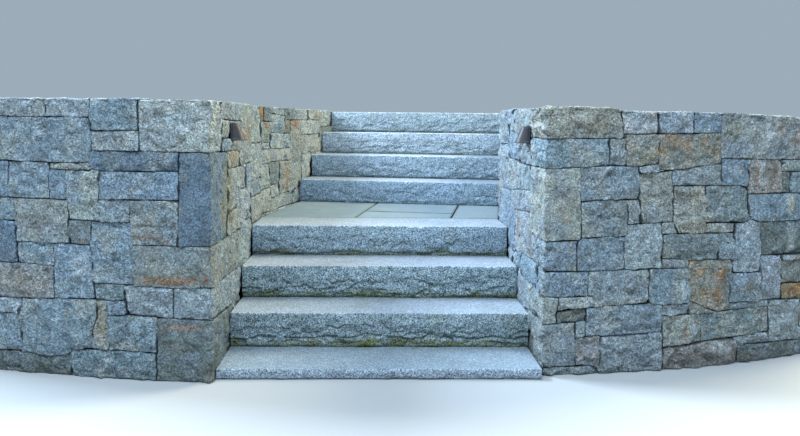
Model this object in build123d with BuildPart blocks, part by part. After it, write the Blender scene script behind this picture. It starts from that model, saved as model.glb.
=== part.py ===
from math import atan2, cos, degrees, radians, sin, sqrt, tan
import os

from build123d import *

os.makedirs("parts", exist_ok=True)

# Outdoor stone steps between dry-laid fieldstone retaining walls.
# Millimetres, +Z up, X along the lower risers (to the right as the steps are
# climbed), Y into the bank. The origin is the middle of the underside of the
# bottom slab, at ground level.

# ---- driving dimensions ----------------------------------------------------
rise = 177.8                 # riser height of every step
going = 335.3                # tread left showing by the slab above
slab_depth = 375.0           # front to back of one granite slab
slab_length = 1524.0         # slab length between the cheek walls
ground_show = 50.0           # bottom slab above the lowest ground line
end_gap = 9.0                # open joint between slab ends and walls
arris = 4.0                  # worn top front edge of a slab

turn = 10.19                 # upper flight turned to the right, degrees
landing_run = 795.6          # landing centre, rear of step 3 to riser 4
flag_thick = 50.0            # bluestone landing flags
flag_joint = 10.0
flag_fall = 9.7              # the landing drains forward by this much

wall_thick = 420.0
left_height = 1298.0
right_height = 1284.0
wall_radius = 4800.0         # the front walls curve back into the bank
wall_heading = 4.0           # heading of the curve at the corner, degrees
wall_run = 1750.0            # length of each front wall along its face
left_corner_y = -55.0        # front wall corners, from the front of the slab
right_corner_y = 46.0
rear_wall_thick = 277.0

light_width = 100.0
light_top_width = 56.0
light_height = 87.0
light_top_depth = 30.0
light_foot_depth = 67.0
light_foot_z = 1103.0
light_skin = 3.0
plate_thick = 4.0
plate_margin = 4.0

# ---- derived ----------------------------------------------------------------
front = -slab_depth / 2                      # front face of the bottom slab
half_clear = slab_length / 2 + end_gap       # lower flight, centre to wall face


def tread_z(k):
    return ground_show + rise * k


def riser_y(k):
    return front + going * k


turn_r = radians(turn)
step3_rear = riser_y(3) + slab_depth
pivot_y = step3_rear - 3.4                   # centre of the turn, on the centre line
upper_left = -(half_clear + 1.0)             # wall faces of the upper flight
upper_right = half_clear - 3.0


def up(l, a):
    """Plan point of the upper flight: l across, a along the climb."""
    return (l * cos(turn_r) + a * sin(turn_r),
            pivot_y - l * sin(turn_r) + a * cos(turn_r))


def upper_line(l, y=None, x=None):
    """Where the upper flight's line at offset l meets a plan y, or a plan x."""
    if x is None:
        a = (y - pivot_y + l * sin(turn_r)) / cos(turn_r)
    else:
        a = (x - l * cos(turn_r)) / sin(turn_r)
    return up(l, a)


def riser_a(k):
    return landing_run + going * (k - 4)


top_rear = riser_a(7) + slab_depth
upper_plane = Plane(origin=(0, pivot_y, 0), x_dir=(cos(turn_r), -sin(turn_r), 0), z_dir=(0, 0, 1))

left_bend = upper_line(upper_left, x=-half_clear)
right_bend = upper_line(upper_right, x=half_clear)
left_bend_out = upper_line(upper_left - wall_thick, x=-half_clear - wall_thick)
right_bend_out = upper_line(upper_right + wall_thick, x=half_clear + wall_thick)


def wall_curve(side, corner_y):
    """Front wall plan for side -1 or +1: front and rear arcs and the end points."""
    h0 = radians(wall_heading)
    x0, y0 = side * half_clear, front + corner_y
    cx, cy = x0 - side * wall_radius * sin(h0), y0 + wall_radius * cos(h0)

    def at(s, r):
        h = h0 + s / wall_radius
        return (cx + side * r * sin(h), cy - r * cos(h))

    inner = wall_radius - wall_thick
    rear_y = cy - sqrt(inner ** 2 - (x0 - cx) ** 2)
    rear_s = wall_radius * (atan2(side * (x0 - cx), cy - rear_y) - h0)
    return {
        "corner": (x0, y0),
        "front_mid": at(wall_run / 2, wall_radius),
        "front_end": at(wall_run, wall_radius),
        "rear_end": at(wall_run, inner),
        "rear_mid": at((wall_run + rear_s) / 2, inner),
        "rear_corner": (x0, rear_y),
    }


left_curve = wall_curve(-1, left_corner_y)
right_curve = wall_curve(1, right_corner_y)

# ---- granite slabs ------------------------------------------------------------
# The bottom slab lies flush with the ground; only the part above the lowest
# ground line is there.
with BuildPart() as ground_slab:
    with BuildSketch(Plane.XY):
        Rectangle(slab_length, slab_depth)
    extrude(amount=ground_show)
    chamfer(ground_slab.edges().group_by(Axis.Z)[-1].sort_by(Axis.Y)[0], length=arris)
ground_slab.part.label = "ground_slab"
export_step(ground_slab.part, "parts/ground_slab.step")

# Lower flight: each slab laps the one below by the slab depth less the going.
with BuildPart() as step_1:
    with BuildSketch(Plane.XY.offset(tread_z(0))):
        with Locations((0, riser_y(1) + slab_depth / 2)):
            Rectangle(slab_length, slab_depth)
    extrude(amount=rise)
    chamfer(step_1.edges().group_by(Axis.Z)[-1].sort_by(Axis.Y)[0], length=arris)
step_1.part.label = "step_1"
export_step(step_1.part, "parts/step_1.step")

with BuildPart() as step_2:
    with BuildSketch(Plane.XY.offset(tread_z(1))):
        with Locations((0, riser_y(2) + slab_depth / 2)):
            Rectangle(slab_length, slab_depth)
    extrude(amount=rise)
    chamfer(step_2.edges().group_by(Axis.Z)[-1].sort_by(Axis.Y)[0], length=arris)
step_2.part.label = "step_2"
export_step(step_2.part, "parts/step_2.step")

with BuildPart() as step_3:
    with BuildSketch(Plane.XY.offset(tread_z(2))):
        with Locations((0, riser_y(3) + slab_depth / 2)):
            Rectangle(slab_length, slab_depth)
    extrude(amount=rise)
    chamfer(step_3.edges().group_by(Axis.Z)[-1].sort_by(Axis.Y)[0], length=arris)
step_3.part.label = "step_3"
export_step(step_3.part, "parts/step_3.step")

# Upper flight: the same slabs, square to the turned climb.
upper_mid = (upper_left + upper_right) / 2
upper_slab = upper_right - upper_left - 2 * end_gap
upper_front = Axis((0, pivot_y, 0), (sin(turn_r), cos(turn_r), 0))

with BuildPart() as step_4:
    with BuildSketch(upper_plane.offset(tread_z(3))):
        with Locations((upper_mid, riser_a(4) + slab_depth / 2)):
            Rectangle(upper_slab, slab_depth)
    extrude(amount=rise)
    chamfer(step_4.edges().group_by(Axis.Z)[-1].sort_by(upper_front)[0], length=arris)
step_4.part.label = "step_4"
export_step(step_4.part, "parts/step_4.step")

with BuildPart() as step_5:
    with BuildSketch(upper_plane.offset(tread_z(4))):
        with Locations((upper_mid, riser_a(5) + slab_depth / 2)):
            Rectangle(upper_slab, slab_depth)
    extrude(amount=rise)
    chamfer(step_5.edges().group_by(Axis.Z)[-1].sort_by(upper_front)[0], length=arris)
step_5.part.label = "step_5"
export_step(step_5.part, "parts/step_5.step")

with BuildPart() as step_6:
    with BuildSketch(upper_plane.offset(tread_z(5))):
        with Locations((upper_mid, riser_a(6) + slab_depth / 2)):
            Rectangle(upper_slab, slab_depth)
    extrude(amount=rise)
    chamfer(step_6.edges().group_by(Axis.Z)[-1].sort_by(upper_front)[0], length=arris)
step_6.part.label = "step_6"
export_step(step_6.part, "parts/step_6.step")

with BuildPart() as step_7:
    with BuildSketch(upper_plane.offset(tread_z(6))):
        with Locations((upper_mid, riser_a(7) + slab_depth / 2)):
            Rectangle(upper_slab, slab_depth)
    extrude(amount=rise)
    chamfer(step_7.edges().group_by(Axis.Z)[-1].sort_by(upper_front)[0], length=arris)
step_7.part.label = "step_7"
export_step(step_7.part, "parts/step_7.step")

# ---- landing -------------------------------------------------------------------
bed_z = tread_z(3) - flag_thick
landing_outline = [
    (-half_clear, step3_rear),
    left_bend,
    up(upper_left, landing_run),
    up(upper_right, landing_run),
    upper_line(upper_right, y=step3_rear),
]
inset = end_gap
flag_outline = [
    (-half_clear + inset, step3_rear + flag_joint * 0.8),
    (left_bend[0] + inset, left_bend[1]),
    up(upper_left + inset, landing_run - 4.0),
    up(upper_right - inset, landing_run - 4.0),
    upper_line(upper_right - inset, y=step3_rear + flag_joint * 0.8),
]
left_joint = -163.0          # joint between the left flag and the middle ones
right_joint = 454.0          # joint between the middle flags and the right one
cross_joint = 309.0          # joint across the middle
flag_tilt = atan2(flag_fall, landing_run)
fall_plane = Plane(
    origin=(0, pivot_y, tread_z(3)),
    x_dir=(cos(turn_r), -sin(turn_r), 0),
    z_dir=(-sin(flag_tilt) * sin(turn_r), -sin(flag_tilt) * cos(turn_r), cos(flag_tilt)),
)


def cell(l0, l1, a0, a1):
    """Centre, angle and size of a rectangle in the upper flight's directions."""
    cx, cy = up((l0 + l1) / 2, (a0 + a1) / 2)
    return Location((cx, cy), -turn), l1 - l0, a1 - a0


gap = flag_joint / 2
c_left = cell(-1200.0, left_joint - gap, -600.0, 1200.0)
c_front = cell(left_joint + gap, right_joint - gap, -600.0, cross_joint - gap)
c_rear = cell(left_joint + gap, right_joint - gap, cross_joint + gap, 1200.0)
c_right = cell(right_joint + gap, 1200.0, -600.0, 1200.0)

with BuildPart() as landing_flag_left:
    with BuildSketch(Plane.XY.offset(bed_z)):
        with BuildLine():
            Polyline(*flag_outline, close=True)
        make_face()
        with Locations(c_left[0]):
            Rectangle(c_left[1], c_left[2], mode=Mode.INTERSECT)
    extrude(amount=flag_thick + 30.0)
    split(bisect_by=fall_plane, keep=Keep.BOTTOM)
landing_flag_left.part.label = "landing_flag_left"
export_step(landing_flag_left.part, "parts/landing_flag_left.step")

with BuildPart() as landing_flag_middle_front:
    with BuildSketch(Plane.XY.offset(bed_z)):
        with BuildLine():
            Polyline(*flag_outline, close=True)
        make_face()
        with Locations(c_front[0]):
            Rectangle(c_front[1], c_front[2], mode=Mode.INTERSECT)
    extrude(amount=flag_thick + 30.0)
    split(bisect_by=fall_plane, keep=Keep.BOTTOM)
landing_flag_middle_front.part.label = "landing_flag_middle_front"
export_step(landing_flag_middle_front.part, "parts/landing_flag_middle_front.step")

with BuildPart() as landing_flag_middle_rear:
    with BuildSketch(Plane.XY.offset(bed_z)):
        with BuildLine():
            Polyline(*flag_outline, close=True)
        make_face()
        with Locations(c_rear[0]):
            Rectangle(c_rear[1], c_rear[2], mode=Mode.INTERSECT)
    extrude(amount=flag_thick + 30.0)
    split(bisect_by=fall_plane, keep=Keep.BOTTOM)
landing_flag_middle_rear.part.label = "landing_flag_middle_rear"
export_step(landing_flag_middle_rear.part, "parts/landing_flag_middle_rear.step")

with BuildPart() as landing_flag_right:
    with BuildSketch(Plane.XY.offset(bed_z)):
        with BuildLine():
            Polyline(*flag_outline, close=True)
        make_face()
        with Locations(c_right[0]):
            Rectangle(c_right[1], c_right[2], mode=Mode.INTERSECT)
    extrude(amount=flag_thick + 30.0)
    split(bisect_by=fall_plane, keep=Keep.BOTTOM)
landing_flag_right.part.label = "landing_flag_right"
export_step(landing_flag_right.part, "parts/landing_flag_right.step")

# ---- packed stone beds under the slabs ---------------------------------------------
with BuildPart() as lower_flight_bed:
    with BuildSketch(Plane.YZ.offset(-half_clear)):
        with BuildLine():
            Polyline(
                (front + slab_depth, 0),
                (front + slab_depth, tread_z(0)),
                (riser_y(1) + slab_depth, tread_z(0)),
                (riser_y(1) + slab_depth, tread_z(1)),
                (riser_y(2) + slab_depth, tread_z(1)),
                (riser_y(2) + slab_depth, tread_z(2)),
                (step3_rear, tread_z(2)),
                (step3_rear, 0),
                close=True,
            )
        make_face()
    extrude(amount=2 * half_clear)
lower_flight_bed.part.label = "lower_flight_bed"
export_step(lower_flight_bed.part, "parts/lower_flight_bed.step")

with BuildPart() as landing_bed:
    with BuildSketch(Plane.XY):
        with BuildLine():
            Polyline(*landing_outline, close=True)
        make_face()
    extrude(amount=bed_z)
landing_bed.part.label = "landing_bed"
export_step(landing_bed.part, "parts/landing_bed.step")

bed_end = top_rear - rear_wall_thick
upper_side = Plane(
    origin=up(upper_left, 0) + (0,),
    x_dir=(sin(turn_r), cos(turn_r), 0),
    z_dir=(cos(turn_r), -sin(turn_r), 0),
)
with BuildPart() as upper_flight_bed:
    with BuildSketch(upper_side):
        with BuildLine():
            Polyline(
                (riser_a(4), 0),
                (riser_a(4), tread_z(3)),
                (riser_a(4) + slab_depth, tread_z(3)),
                (riser_a(4) + slab_depth, tread_z(4)),
                (riser_a(5) + slab_depth, tread_z(4)),
                (riser_a(5) + slab_depth, tread_z(5)),
                (riser_a(6) + slab_depth, tread_z(5)),
                (riser_a(6) + slab_depth, tread_z(6)),
                (bed_end, tread_z(6)),
                (bed_end, 0),
                close=True,
            )
        make_face()
    extrude(amount=upper_right - upper_left)
upper_flight_bed.part.label = "upper_flight_bed"
export_step(upper_flight_bed.part, "parts/upper_flight_bed.step")

# The top slab bears on this wall at the back of the upper flight.
with BuildPart() as rear_wall:
    with BuildSketch(upper_plane):
        with Locations((upper_mid, bed_end + rear_wall_thick / 2)):
            Rectangle(upper_right - upper_left, rear_wall_thick)
    extrude(amount=tread_z(6))
rear_wall.part.label = "rear_wall"
export_step(rear_wall.part, "parts/rear_wall.step")

# ---- fieldstone walls --------------------------------------------------------------
with BuildPart() as left_front_wall:
    with BuildSketch(Plane.XY):
        with BuildLine():
            Line(left_curve["rear_corner"], left_curve["corner"])
            ThreePointArc(left_curve["corner"], left_curve["front_mid"], left_curve["front_end"])
            Line(left_curve["front_end"], left_curve["rear_end"])
            ThreePointArc(left_curve["rear_end"], left_curve["rear_mid"], left_curve["rear_corner"])
        make_face()
    extrude(amount=left_height)
left_front_wall.part.label = "left_front_wall"
export_step(left_front_wall.part, "parts/left_front_wall.step")

with BuildPart() as right_front_wall:
    with BuildSketch(Plane.XY):
        with BuildLine():
            Line(right_curve["rear_corner"], right_curve["corner"])
            ThreePointArc(right_curve["corner"], right_curve["front_mid"], right_curve["front_end"])
            Line(right_curve["front_end"], right_curve["rear_end"])
            ThreePointArc(right_curve["rear_end"], right_curve["rear_mid"], right_curve["rear_corner"])
        make_face()
    extrude(amount=right_height)
right_front_wall.part.label = "right_front_wall"
export_step(right_front_wall.part, "parts/right_front_wall.step")

# The cheek walls stand behind the front walls and turn with the upper flight.
with BuildPart() as left_cheek_wall_lower:
    with BuildSketch(Plane.XY):
        with BuildLine():
            Polyline(
                (-half_clear, front + 150.0),
                left_bend,
                left_bend_out,
                (-half_clear - wall_thick, front + 150.0),
                close=True,
            )
        make_face()
    extrude(amount=left_height)
    add(left_front_wall.part, mode=Mode.SUBTRACT)
left_cheek_wall_lower.part.label = "left_cheek_wall_lower"
export_step(left_cheek_wall_lower.part, "parts/left_cheek_wall_lower.step")

with BuildPart() as left_cheek_wall_upper:
    with BuildSketch(Plane.XY):
        with BuildLine():
            Polyline(
                left_bend,
                up(upper_left, top_rear),
                up(upper_left - wall_thick, top_rear),
                left_bend_out,
                close=True,
            )
        make_face()
    extrude(amount=left_height)
left_cheek_wall_upper.part.label = "left_cheek_wall_upper"
export_step(left_cheek_wall_upper.part, "parts/left_cheek_wall_upper.step")

with BuildPart() as right_cheek_wall_lower:
    with BuildSketch(Plane.XY):
        with BuildLine():
            Polyline(
                (half_clear, front + 200.0),
                right_bend,
                right_bend_out,
                (half_clear + wall_thick, front + 200.0),
                close=True,
            )
        make_face()
    extrude(amount=right_height)
    add(right_front_wall.part, mode=Mode.SUBTRACT)
right_cheek_wall_lower.part.label = "right_cheek_wall_lower"
export_step(right_cheek_wall_lower.part, "parts/right_cheek_wall_lower.step")

with BuildPart() as right_cheek_wall_upper:
    with BuildSketch(Plane.XY):
        with BuildLine():
            Polyline(
                right_bend,
                up(upper_right, top_rear),
                up(upper_right + wall_thick, top_rear),
                right_bend_out,
                close=True,
            )
        make_face()
    extrude(amount=right_height)
right_cheek_wall_upper.part.label = "right_cheek_wall_upper"
export_step(right_cheek_wall_upper.part, "parts/right_cheek_wall_upper.step")

# ---- hooded step lights on the cheek walls -------------------------------------------
# A plate on the wall, a half-cone sheet hood open at its foot, and a lens inside it.
left_light_y = left_curve["rear_corner"][1] + 62.0
right_light_y = left_light_y + 38.0
head_z = light_foot_z + light_height
lens_gap = 0.5


def hood_size(z, cut):
    """Half length along the wall and depth of the hood at height z, measured in from the skin."""
    sizes = []
    for foot, top in ((light_width / 2, light_top_width / 2), (light_foot_depth, light_top_depth)):
        lean = (foot - top) / light_height
        sizes.append(foot - lean * (z - light_foot_z) - cut * sqrt(1 + lean ** 2))
    return sizes


lens_z0 = light_foot_z + 8.0
lens_z1 = lens_z0 + 5.0

with BuildPart() as left_light_plate:
    with BuildSketch(Plane.YZ.offset(-half_clear)):
        with Locations((left_light_y, light_foot_z + light_height / 2)):
            RectangleRounded(light_width + 2 * plate_margin, light_height + 2 * plate_margin, 3.0)
    extrude(amount=plate_thick)
left_light_plate.part.label = "left_light_plate"
export_step(left_light_plate.part, "parts/left_light_plate.step")

lx = -half_clear + plate_thick
with BuildPart() as left_light_hood:
    for z in (light_foot_z, head_z):
        with BuildSketch(Plane.XY.offset(z)):
            half, depth = hood_size(z, 0.0)
            with BuildLine():
                EllipticalCenterArc((lx, left_light_y), depth, half, start_angle=-90.0, arc_size=180.0)
                Line((lx, left_light_y - half), (lx, left_light_y + half))
            make_face()
    loft()
    for z in (light_foot_z, head_z - light_skin):
        with BuildSketch(Plane.XY.offset(z)):
            half, depth = hood_size(z, light_skin)
            with BuildLine():
                EllipticalCenterArc((lx, left_light_y), depth, half, start_angle=-90.0, arc_size=180.0)
                Line((lx, left_light_y - half), (lx, left_light_y + half))
            make_face()
    loft(mode=Mode.SUBTRACT)
left_light_hood.part.label = "left_light_hood"
export_step(left_light_hood.part, "parts/left_light_hood.step")

with BuildPart() as left_light_lens:
    for z in (lens_z0, lens_z1):
        with BuildSketch(Plane.XY.offset(z)):
            half, depth = hood_size(z, light_skin + lens_gap)
            with BuildLine():
                EllipticalCenterArc((lx, left_light_y), depth, half, start_angle=-90.0, arc_size=180.0)
                Line((lx, left_light_y - half), (lx, left_light_y + half))
            make_face()
    loft()
left_light_lens.part.label = "left_light_lens"
export_step(left_light_lens.part, "parts/left_light_lens.step")

with BuildPart() as right_light_plate:
    with BuildSketch(Plane.YZ.offset(half_clear - plate_thick)):
        with Locations((right_light_y, light_foot_z + light_height / 2)):
            RectangleRounded(light_width + 2 * plate_margin, light_height + 2 * plate_margin, 3.0)
    extrude(amount=plate_thick)
right_light_plate.part.label = "right_light_plate"
export_step(right_light_plate.part, "parts/right_light_plate.step")

rx = half_clear - plate_thick
with BuildPart() as right_light_hood:
    for z in (light_foot_z, head_z):
        with BuildSketch(Plane.XY.offset(z)):
            half, depth = hood_size(z, 0.0)
            with BuildLine():
                EllipticalCenterArc((rx, right_light_y), depth, half, start_angle=90.0, arc_size=180.0)
                Line((rx, right_light_y - half), (rx, right_light_y + half))
            make_face()
    loft()
    for z in (light_foot_z, head_z - light_skin):
        with BuildSketch(Plane.XY.offset(z)):
            half, depth = hood_size(z, light_skin)
            with BuildLine():
                EllipticalCenterArc((rx, right_light_y), depth, half, start_angle=90.0, arc_size=180.0)
                Line((rx, right_light_y - half), (rx, right_light_y + half))
            make_face()
    loft(mode=Mode.SUBTRACT)
right_light_hood.part.label = "right_light_hood"
export_step(right_light_hood.part, "parts/right_light_hood.step")

with BuildPart() as right_light_lens:
    for z in (lens_z0, lens_z1):
        with BuildSketch(Plane.XY.offset(z)):
            half, depth = hood_size(z, light_skin + lens_gap)
            with BuildLine():
                EllipticalCenterArc((rx, right_light_y), depth, half, start_angle=90.0, arc_size=180.0)
                Line((rx, right_light_y - half), (rx, right_light_y + half))
            make_face()
    loft()
right_light_lens.part.label = "right_light_lens"
export_step(right_light_lens.part, "parts/right_light_lens.step")
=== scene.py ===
import math
from math import sin, cos, radians, pi, sqrt

import bpy
import numpy as np
from mathutils import Matrix, Vector
from mathutils.geometry import delaunay_2d_cdt


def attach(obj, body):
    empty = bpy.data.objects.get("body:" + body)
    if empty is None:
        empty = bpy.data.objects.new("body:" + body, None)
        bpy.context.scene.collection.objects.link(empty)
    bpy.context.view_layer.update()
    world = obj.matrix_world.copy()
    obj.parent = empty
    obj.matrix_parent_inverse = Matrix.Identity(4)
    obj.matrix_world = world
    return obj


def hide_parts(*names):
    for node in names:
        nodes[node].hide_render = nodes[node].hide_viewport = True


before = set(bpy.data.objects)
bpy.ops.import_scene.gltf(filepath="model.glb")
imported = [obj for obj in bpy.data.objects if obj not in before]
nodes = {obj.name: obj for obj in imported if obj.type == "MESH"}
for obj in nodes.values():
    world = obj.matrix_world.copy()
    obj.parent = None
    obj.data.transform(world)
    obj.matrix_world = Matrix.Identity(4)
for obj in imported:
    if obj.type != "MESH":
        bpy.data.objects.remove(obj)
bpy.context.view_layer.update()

# ---------------------------------------------------------------- plan of the walls and flights, in metres
RISE, GOING, DEPTH, LEN = 0.1778, 0.3353, 0.375, 1.524
SHOW, GAP = 0.050, 0.009
TURN = radians(10.19)
RUN = 0.7956
HALF = LEN / 2 + GAP
FRONT = -DEPTH / 2
REAR3 = FRONT + 3 * GOING + DEPTH
PIVOT = REAR3 - 0.0034
UL, UR = -(HALF + 0.001), HALF - 0.003
THICK = 0.420
ARC = 4.8
HEAD = radians(4.0)
WALL_RUN = 1.75
CORNER = {-1: FRONT - 0.055, 1: FRONT + 0.046}
TOP = {-1: 1.298, 1: 1.284}
TOP_REAR = RUN + 3 * GOING + DEPTH
# the right front wall's top falls a little towards its far end: (distance from the corner, height)
FALL = ([0.0, 0.33, 0.37, 0.5, 0.9, 1.06, 1.22, 1.42, 1.75], [1.284, 1.283, 1.274, 1.268, 1.269, 1.263, 1.258, 1.251, 1.243])


def up(l, a):
    """Point of the upper flight, l across and a along it."""
    return (l * cos(TURN) + a * sin(TURN), PIVOT - l * sin(TURN) + a * cos(TURN))


def tread_z(k):
    return SHOW + RISE * k


def riser_y(k):
    return FRONT + GOING * k


# ---------------------------------------------------------------- noise
def _lattice(ix, iy, iz, seed):
    h = (ix * np.uint32(0x8DA6B343)) ^ (iy * np.uint32(0xD8163841)) ^ (iz * np.uint32(0xCB1AB31F)) ^ np.uint32((seed * 0x9E3779B9) & 0xFFFFFFFF)
    h ^= h >> np.uint32(13)
    h *= np.uint32(0x5BD1E995)
    h ^= h >> np.uint32(15)
    h *= np.uint32(0x27D4EB2D)
    h ^= h >> np.uint32(13)
    return h.astype(np.float64) / 2147483647.5 - 1.0


def noise(p, seed=0):
    """Smooth noise from -1 to 1 at points p (n, 3), one lump a unit."""
    p = np.asarray(p, float)
    f = np.floor(p)
    t = p - f
    t = t * t * t * (t * (t * 6 - 15) + 10)
    i = (f.astype(np.int64) & 0xFFFFFFFF).astype(np.uint32)
    out = np.zeros(len(p))
    for dx in (0, 1):
        wx = t[:, 0] if dx else 1 - t[:, 0]
        for dy in (0, 1):
            wy = t[:, 1] if dy else 1 - t[:, 1]
            for dz in (0, 1):
                wz = t[:, 2] if dz else 1 - t[:, 2]
                out += wx * wy * wz * _lattice(i[:, 0] + np.uint32(dx), i[:, 1] + np.uint32(dy), i[:, 2] + np.uint32(dz), seed)
    return out


def fbm(p, octaves=3, seed=0, gain=0.5):
    out, a, total = np.zeros(len(p)), 1.0, 0.0
    for o in range(octaves):
        out += a * noise(p * (2.03 ** o) + 17.3 * o, seed + o)
        total += a
        a *= gain
    return out / total


def ramp(x, a, b):
    t = np.clip((x - a) / (b - a), 0, 1)
    return t * t * (3 - 2 * t)


def srgb(r, g, b):
    c = np.array([r, g, b], float) / 255
    return np.where(c <= 0.04045, c / 12.92, ((c + 0.055) / 1.055) ** 2.4)


# ---------------------------------------------------------------- collecting a piece's mesh
class Piece:
    """Gathers blocks of one joined mesh with their surface attributes."""

    def __init__(self):
        self.co, self.tri, self.tint, self.edge, self.grain, self.wear, self.mat, self.n = [], [], [], [], [], [], [], 0

    def add(self, co, tri, tint, edge, grain, wear, mat=0, flip=False):
        m = len(co)
        tri = np.asarray(tri, np.int64).reshape(-1, 3)
        self.co.append(np.asarray(co, float))
        self.tri.append((tri[:, ::-1] if flip else tri) + self.n)
        self.tint.append(np.broadcast_to(tint, (m, 3)))
        self.edge.append(np.broadcast_to(edge, (m,)))
        self.grain.append(np.broadcast_to(grain, (m, 3)))
        self.wear.append(np.broadcast_to(wear, (m,)))
        self.mat.append(np.full(len(tri), mat))
        self.n += m

    def make(self, name, materials):
        co, tri = np.concatenate(self.co), np.concatenate(self.tri)
        mat = np.concatenate(self.mat)
        # no slivers of no area
        a, b, c = co[tri[:, 0]], co[tri[:, 1]], co[tri[:, 2]]
        ok = np.linalg.norm(np.cross(b - a, c - a), axis=1) > 1e-10
        tri, mat = tri[ok], mat[ok]
        used = np.unique(tri)
        new = np.full(len(co), -1)
        new[used] = np.arange(len(used))
        co, tri = co[used], new[tri]
        me = bpy.data.meshes.new(name)
        me.vertices.add(len(co))
        me.vertices.foreach_set("co", co.astype(np.float32).ravel())
        me.loops.add(len(tri) * 3)
        me.loops.foreach_set("vertex_index", tri.astype(np.int32).ravel())
        me.polygons.add(len(tri))
        me.polygons.foreach_set("loop_start", np.arange(0, len(tri) * 3, 3, dtype=np.int32))
        me.polygons.foreach_set("loop_total", np.full(len(tri), 3, np.int32))
        me.polygons.foreach_set("material_index", mat.astype(np.int32))
        me.polygons.foreach_set("use_smooth", np.ones(len(tri), bool))
        me.update(calc_edges=True)
        me.validate()
        for m in materials:
            me.materials.append(m)
        tint = np.concatenate([np.concatenate(self.tint), np.ones((self.n, 1))], 1)[used]
        me.attributes.new("tint", "FLOAT_COLOR", "POINT").data.foreach_set("color", tint.astype(np.float32).ravel())
        me.attributes.new("edge", "FLOAT", "POINT").data.foreach_set("value", np.concatenate(self.edge)[used].astype(np.float32))
        me.attributes.new("wear", "FLOAT", "POINT").data.foreach_set("value", np.concatenate(self.wear)[used].astype(np.float32))
        me.attributes.new("grain", "FLOAT_VECTOR", "POINT").data.foreach_set("vector", np.concatenate(self.grain)[used].astype(np.float32).ravel())
        o = bpy.data.objects.new(name, me)
        bpy.context.scene.collection.objects.link(o)
        print("piece", name, "vertices", len(co), "triangles", len(tri))
        return o


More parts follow.
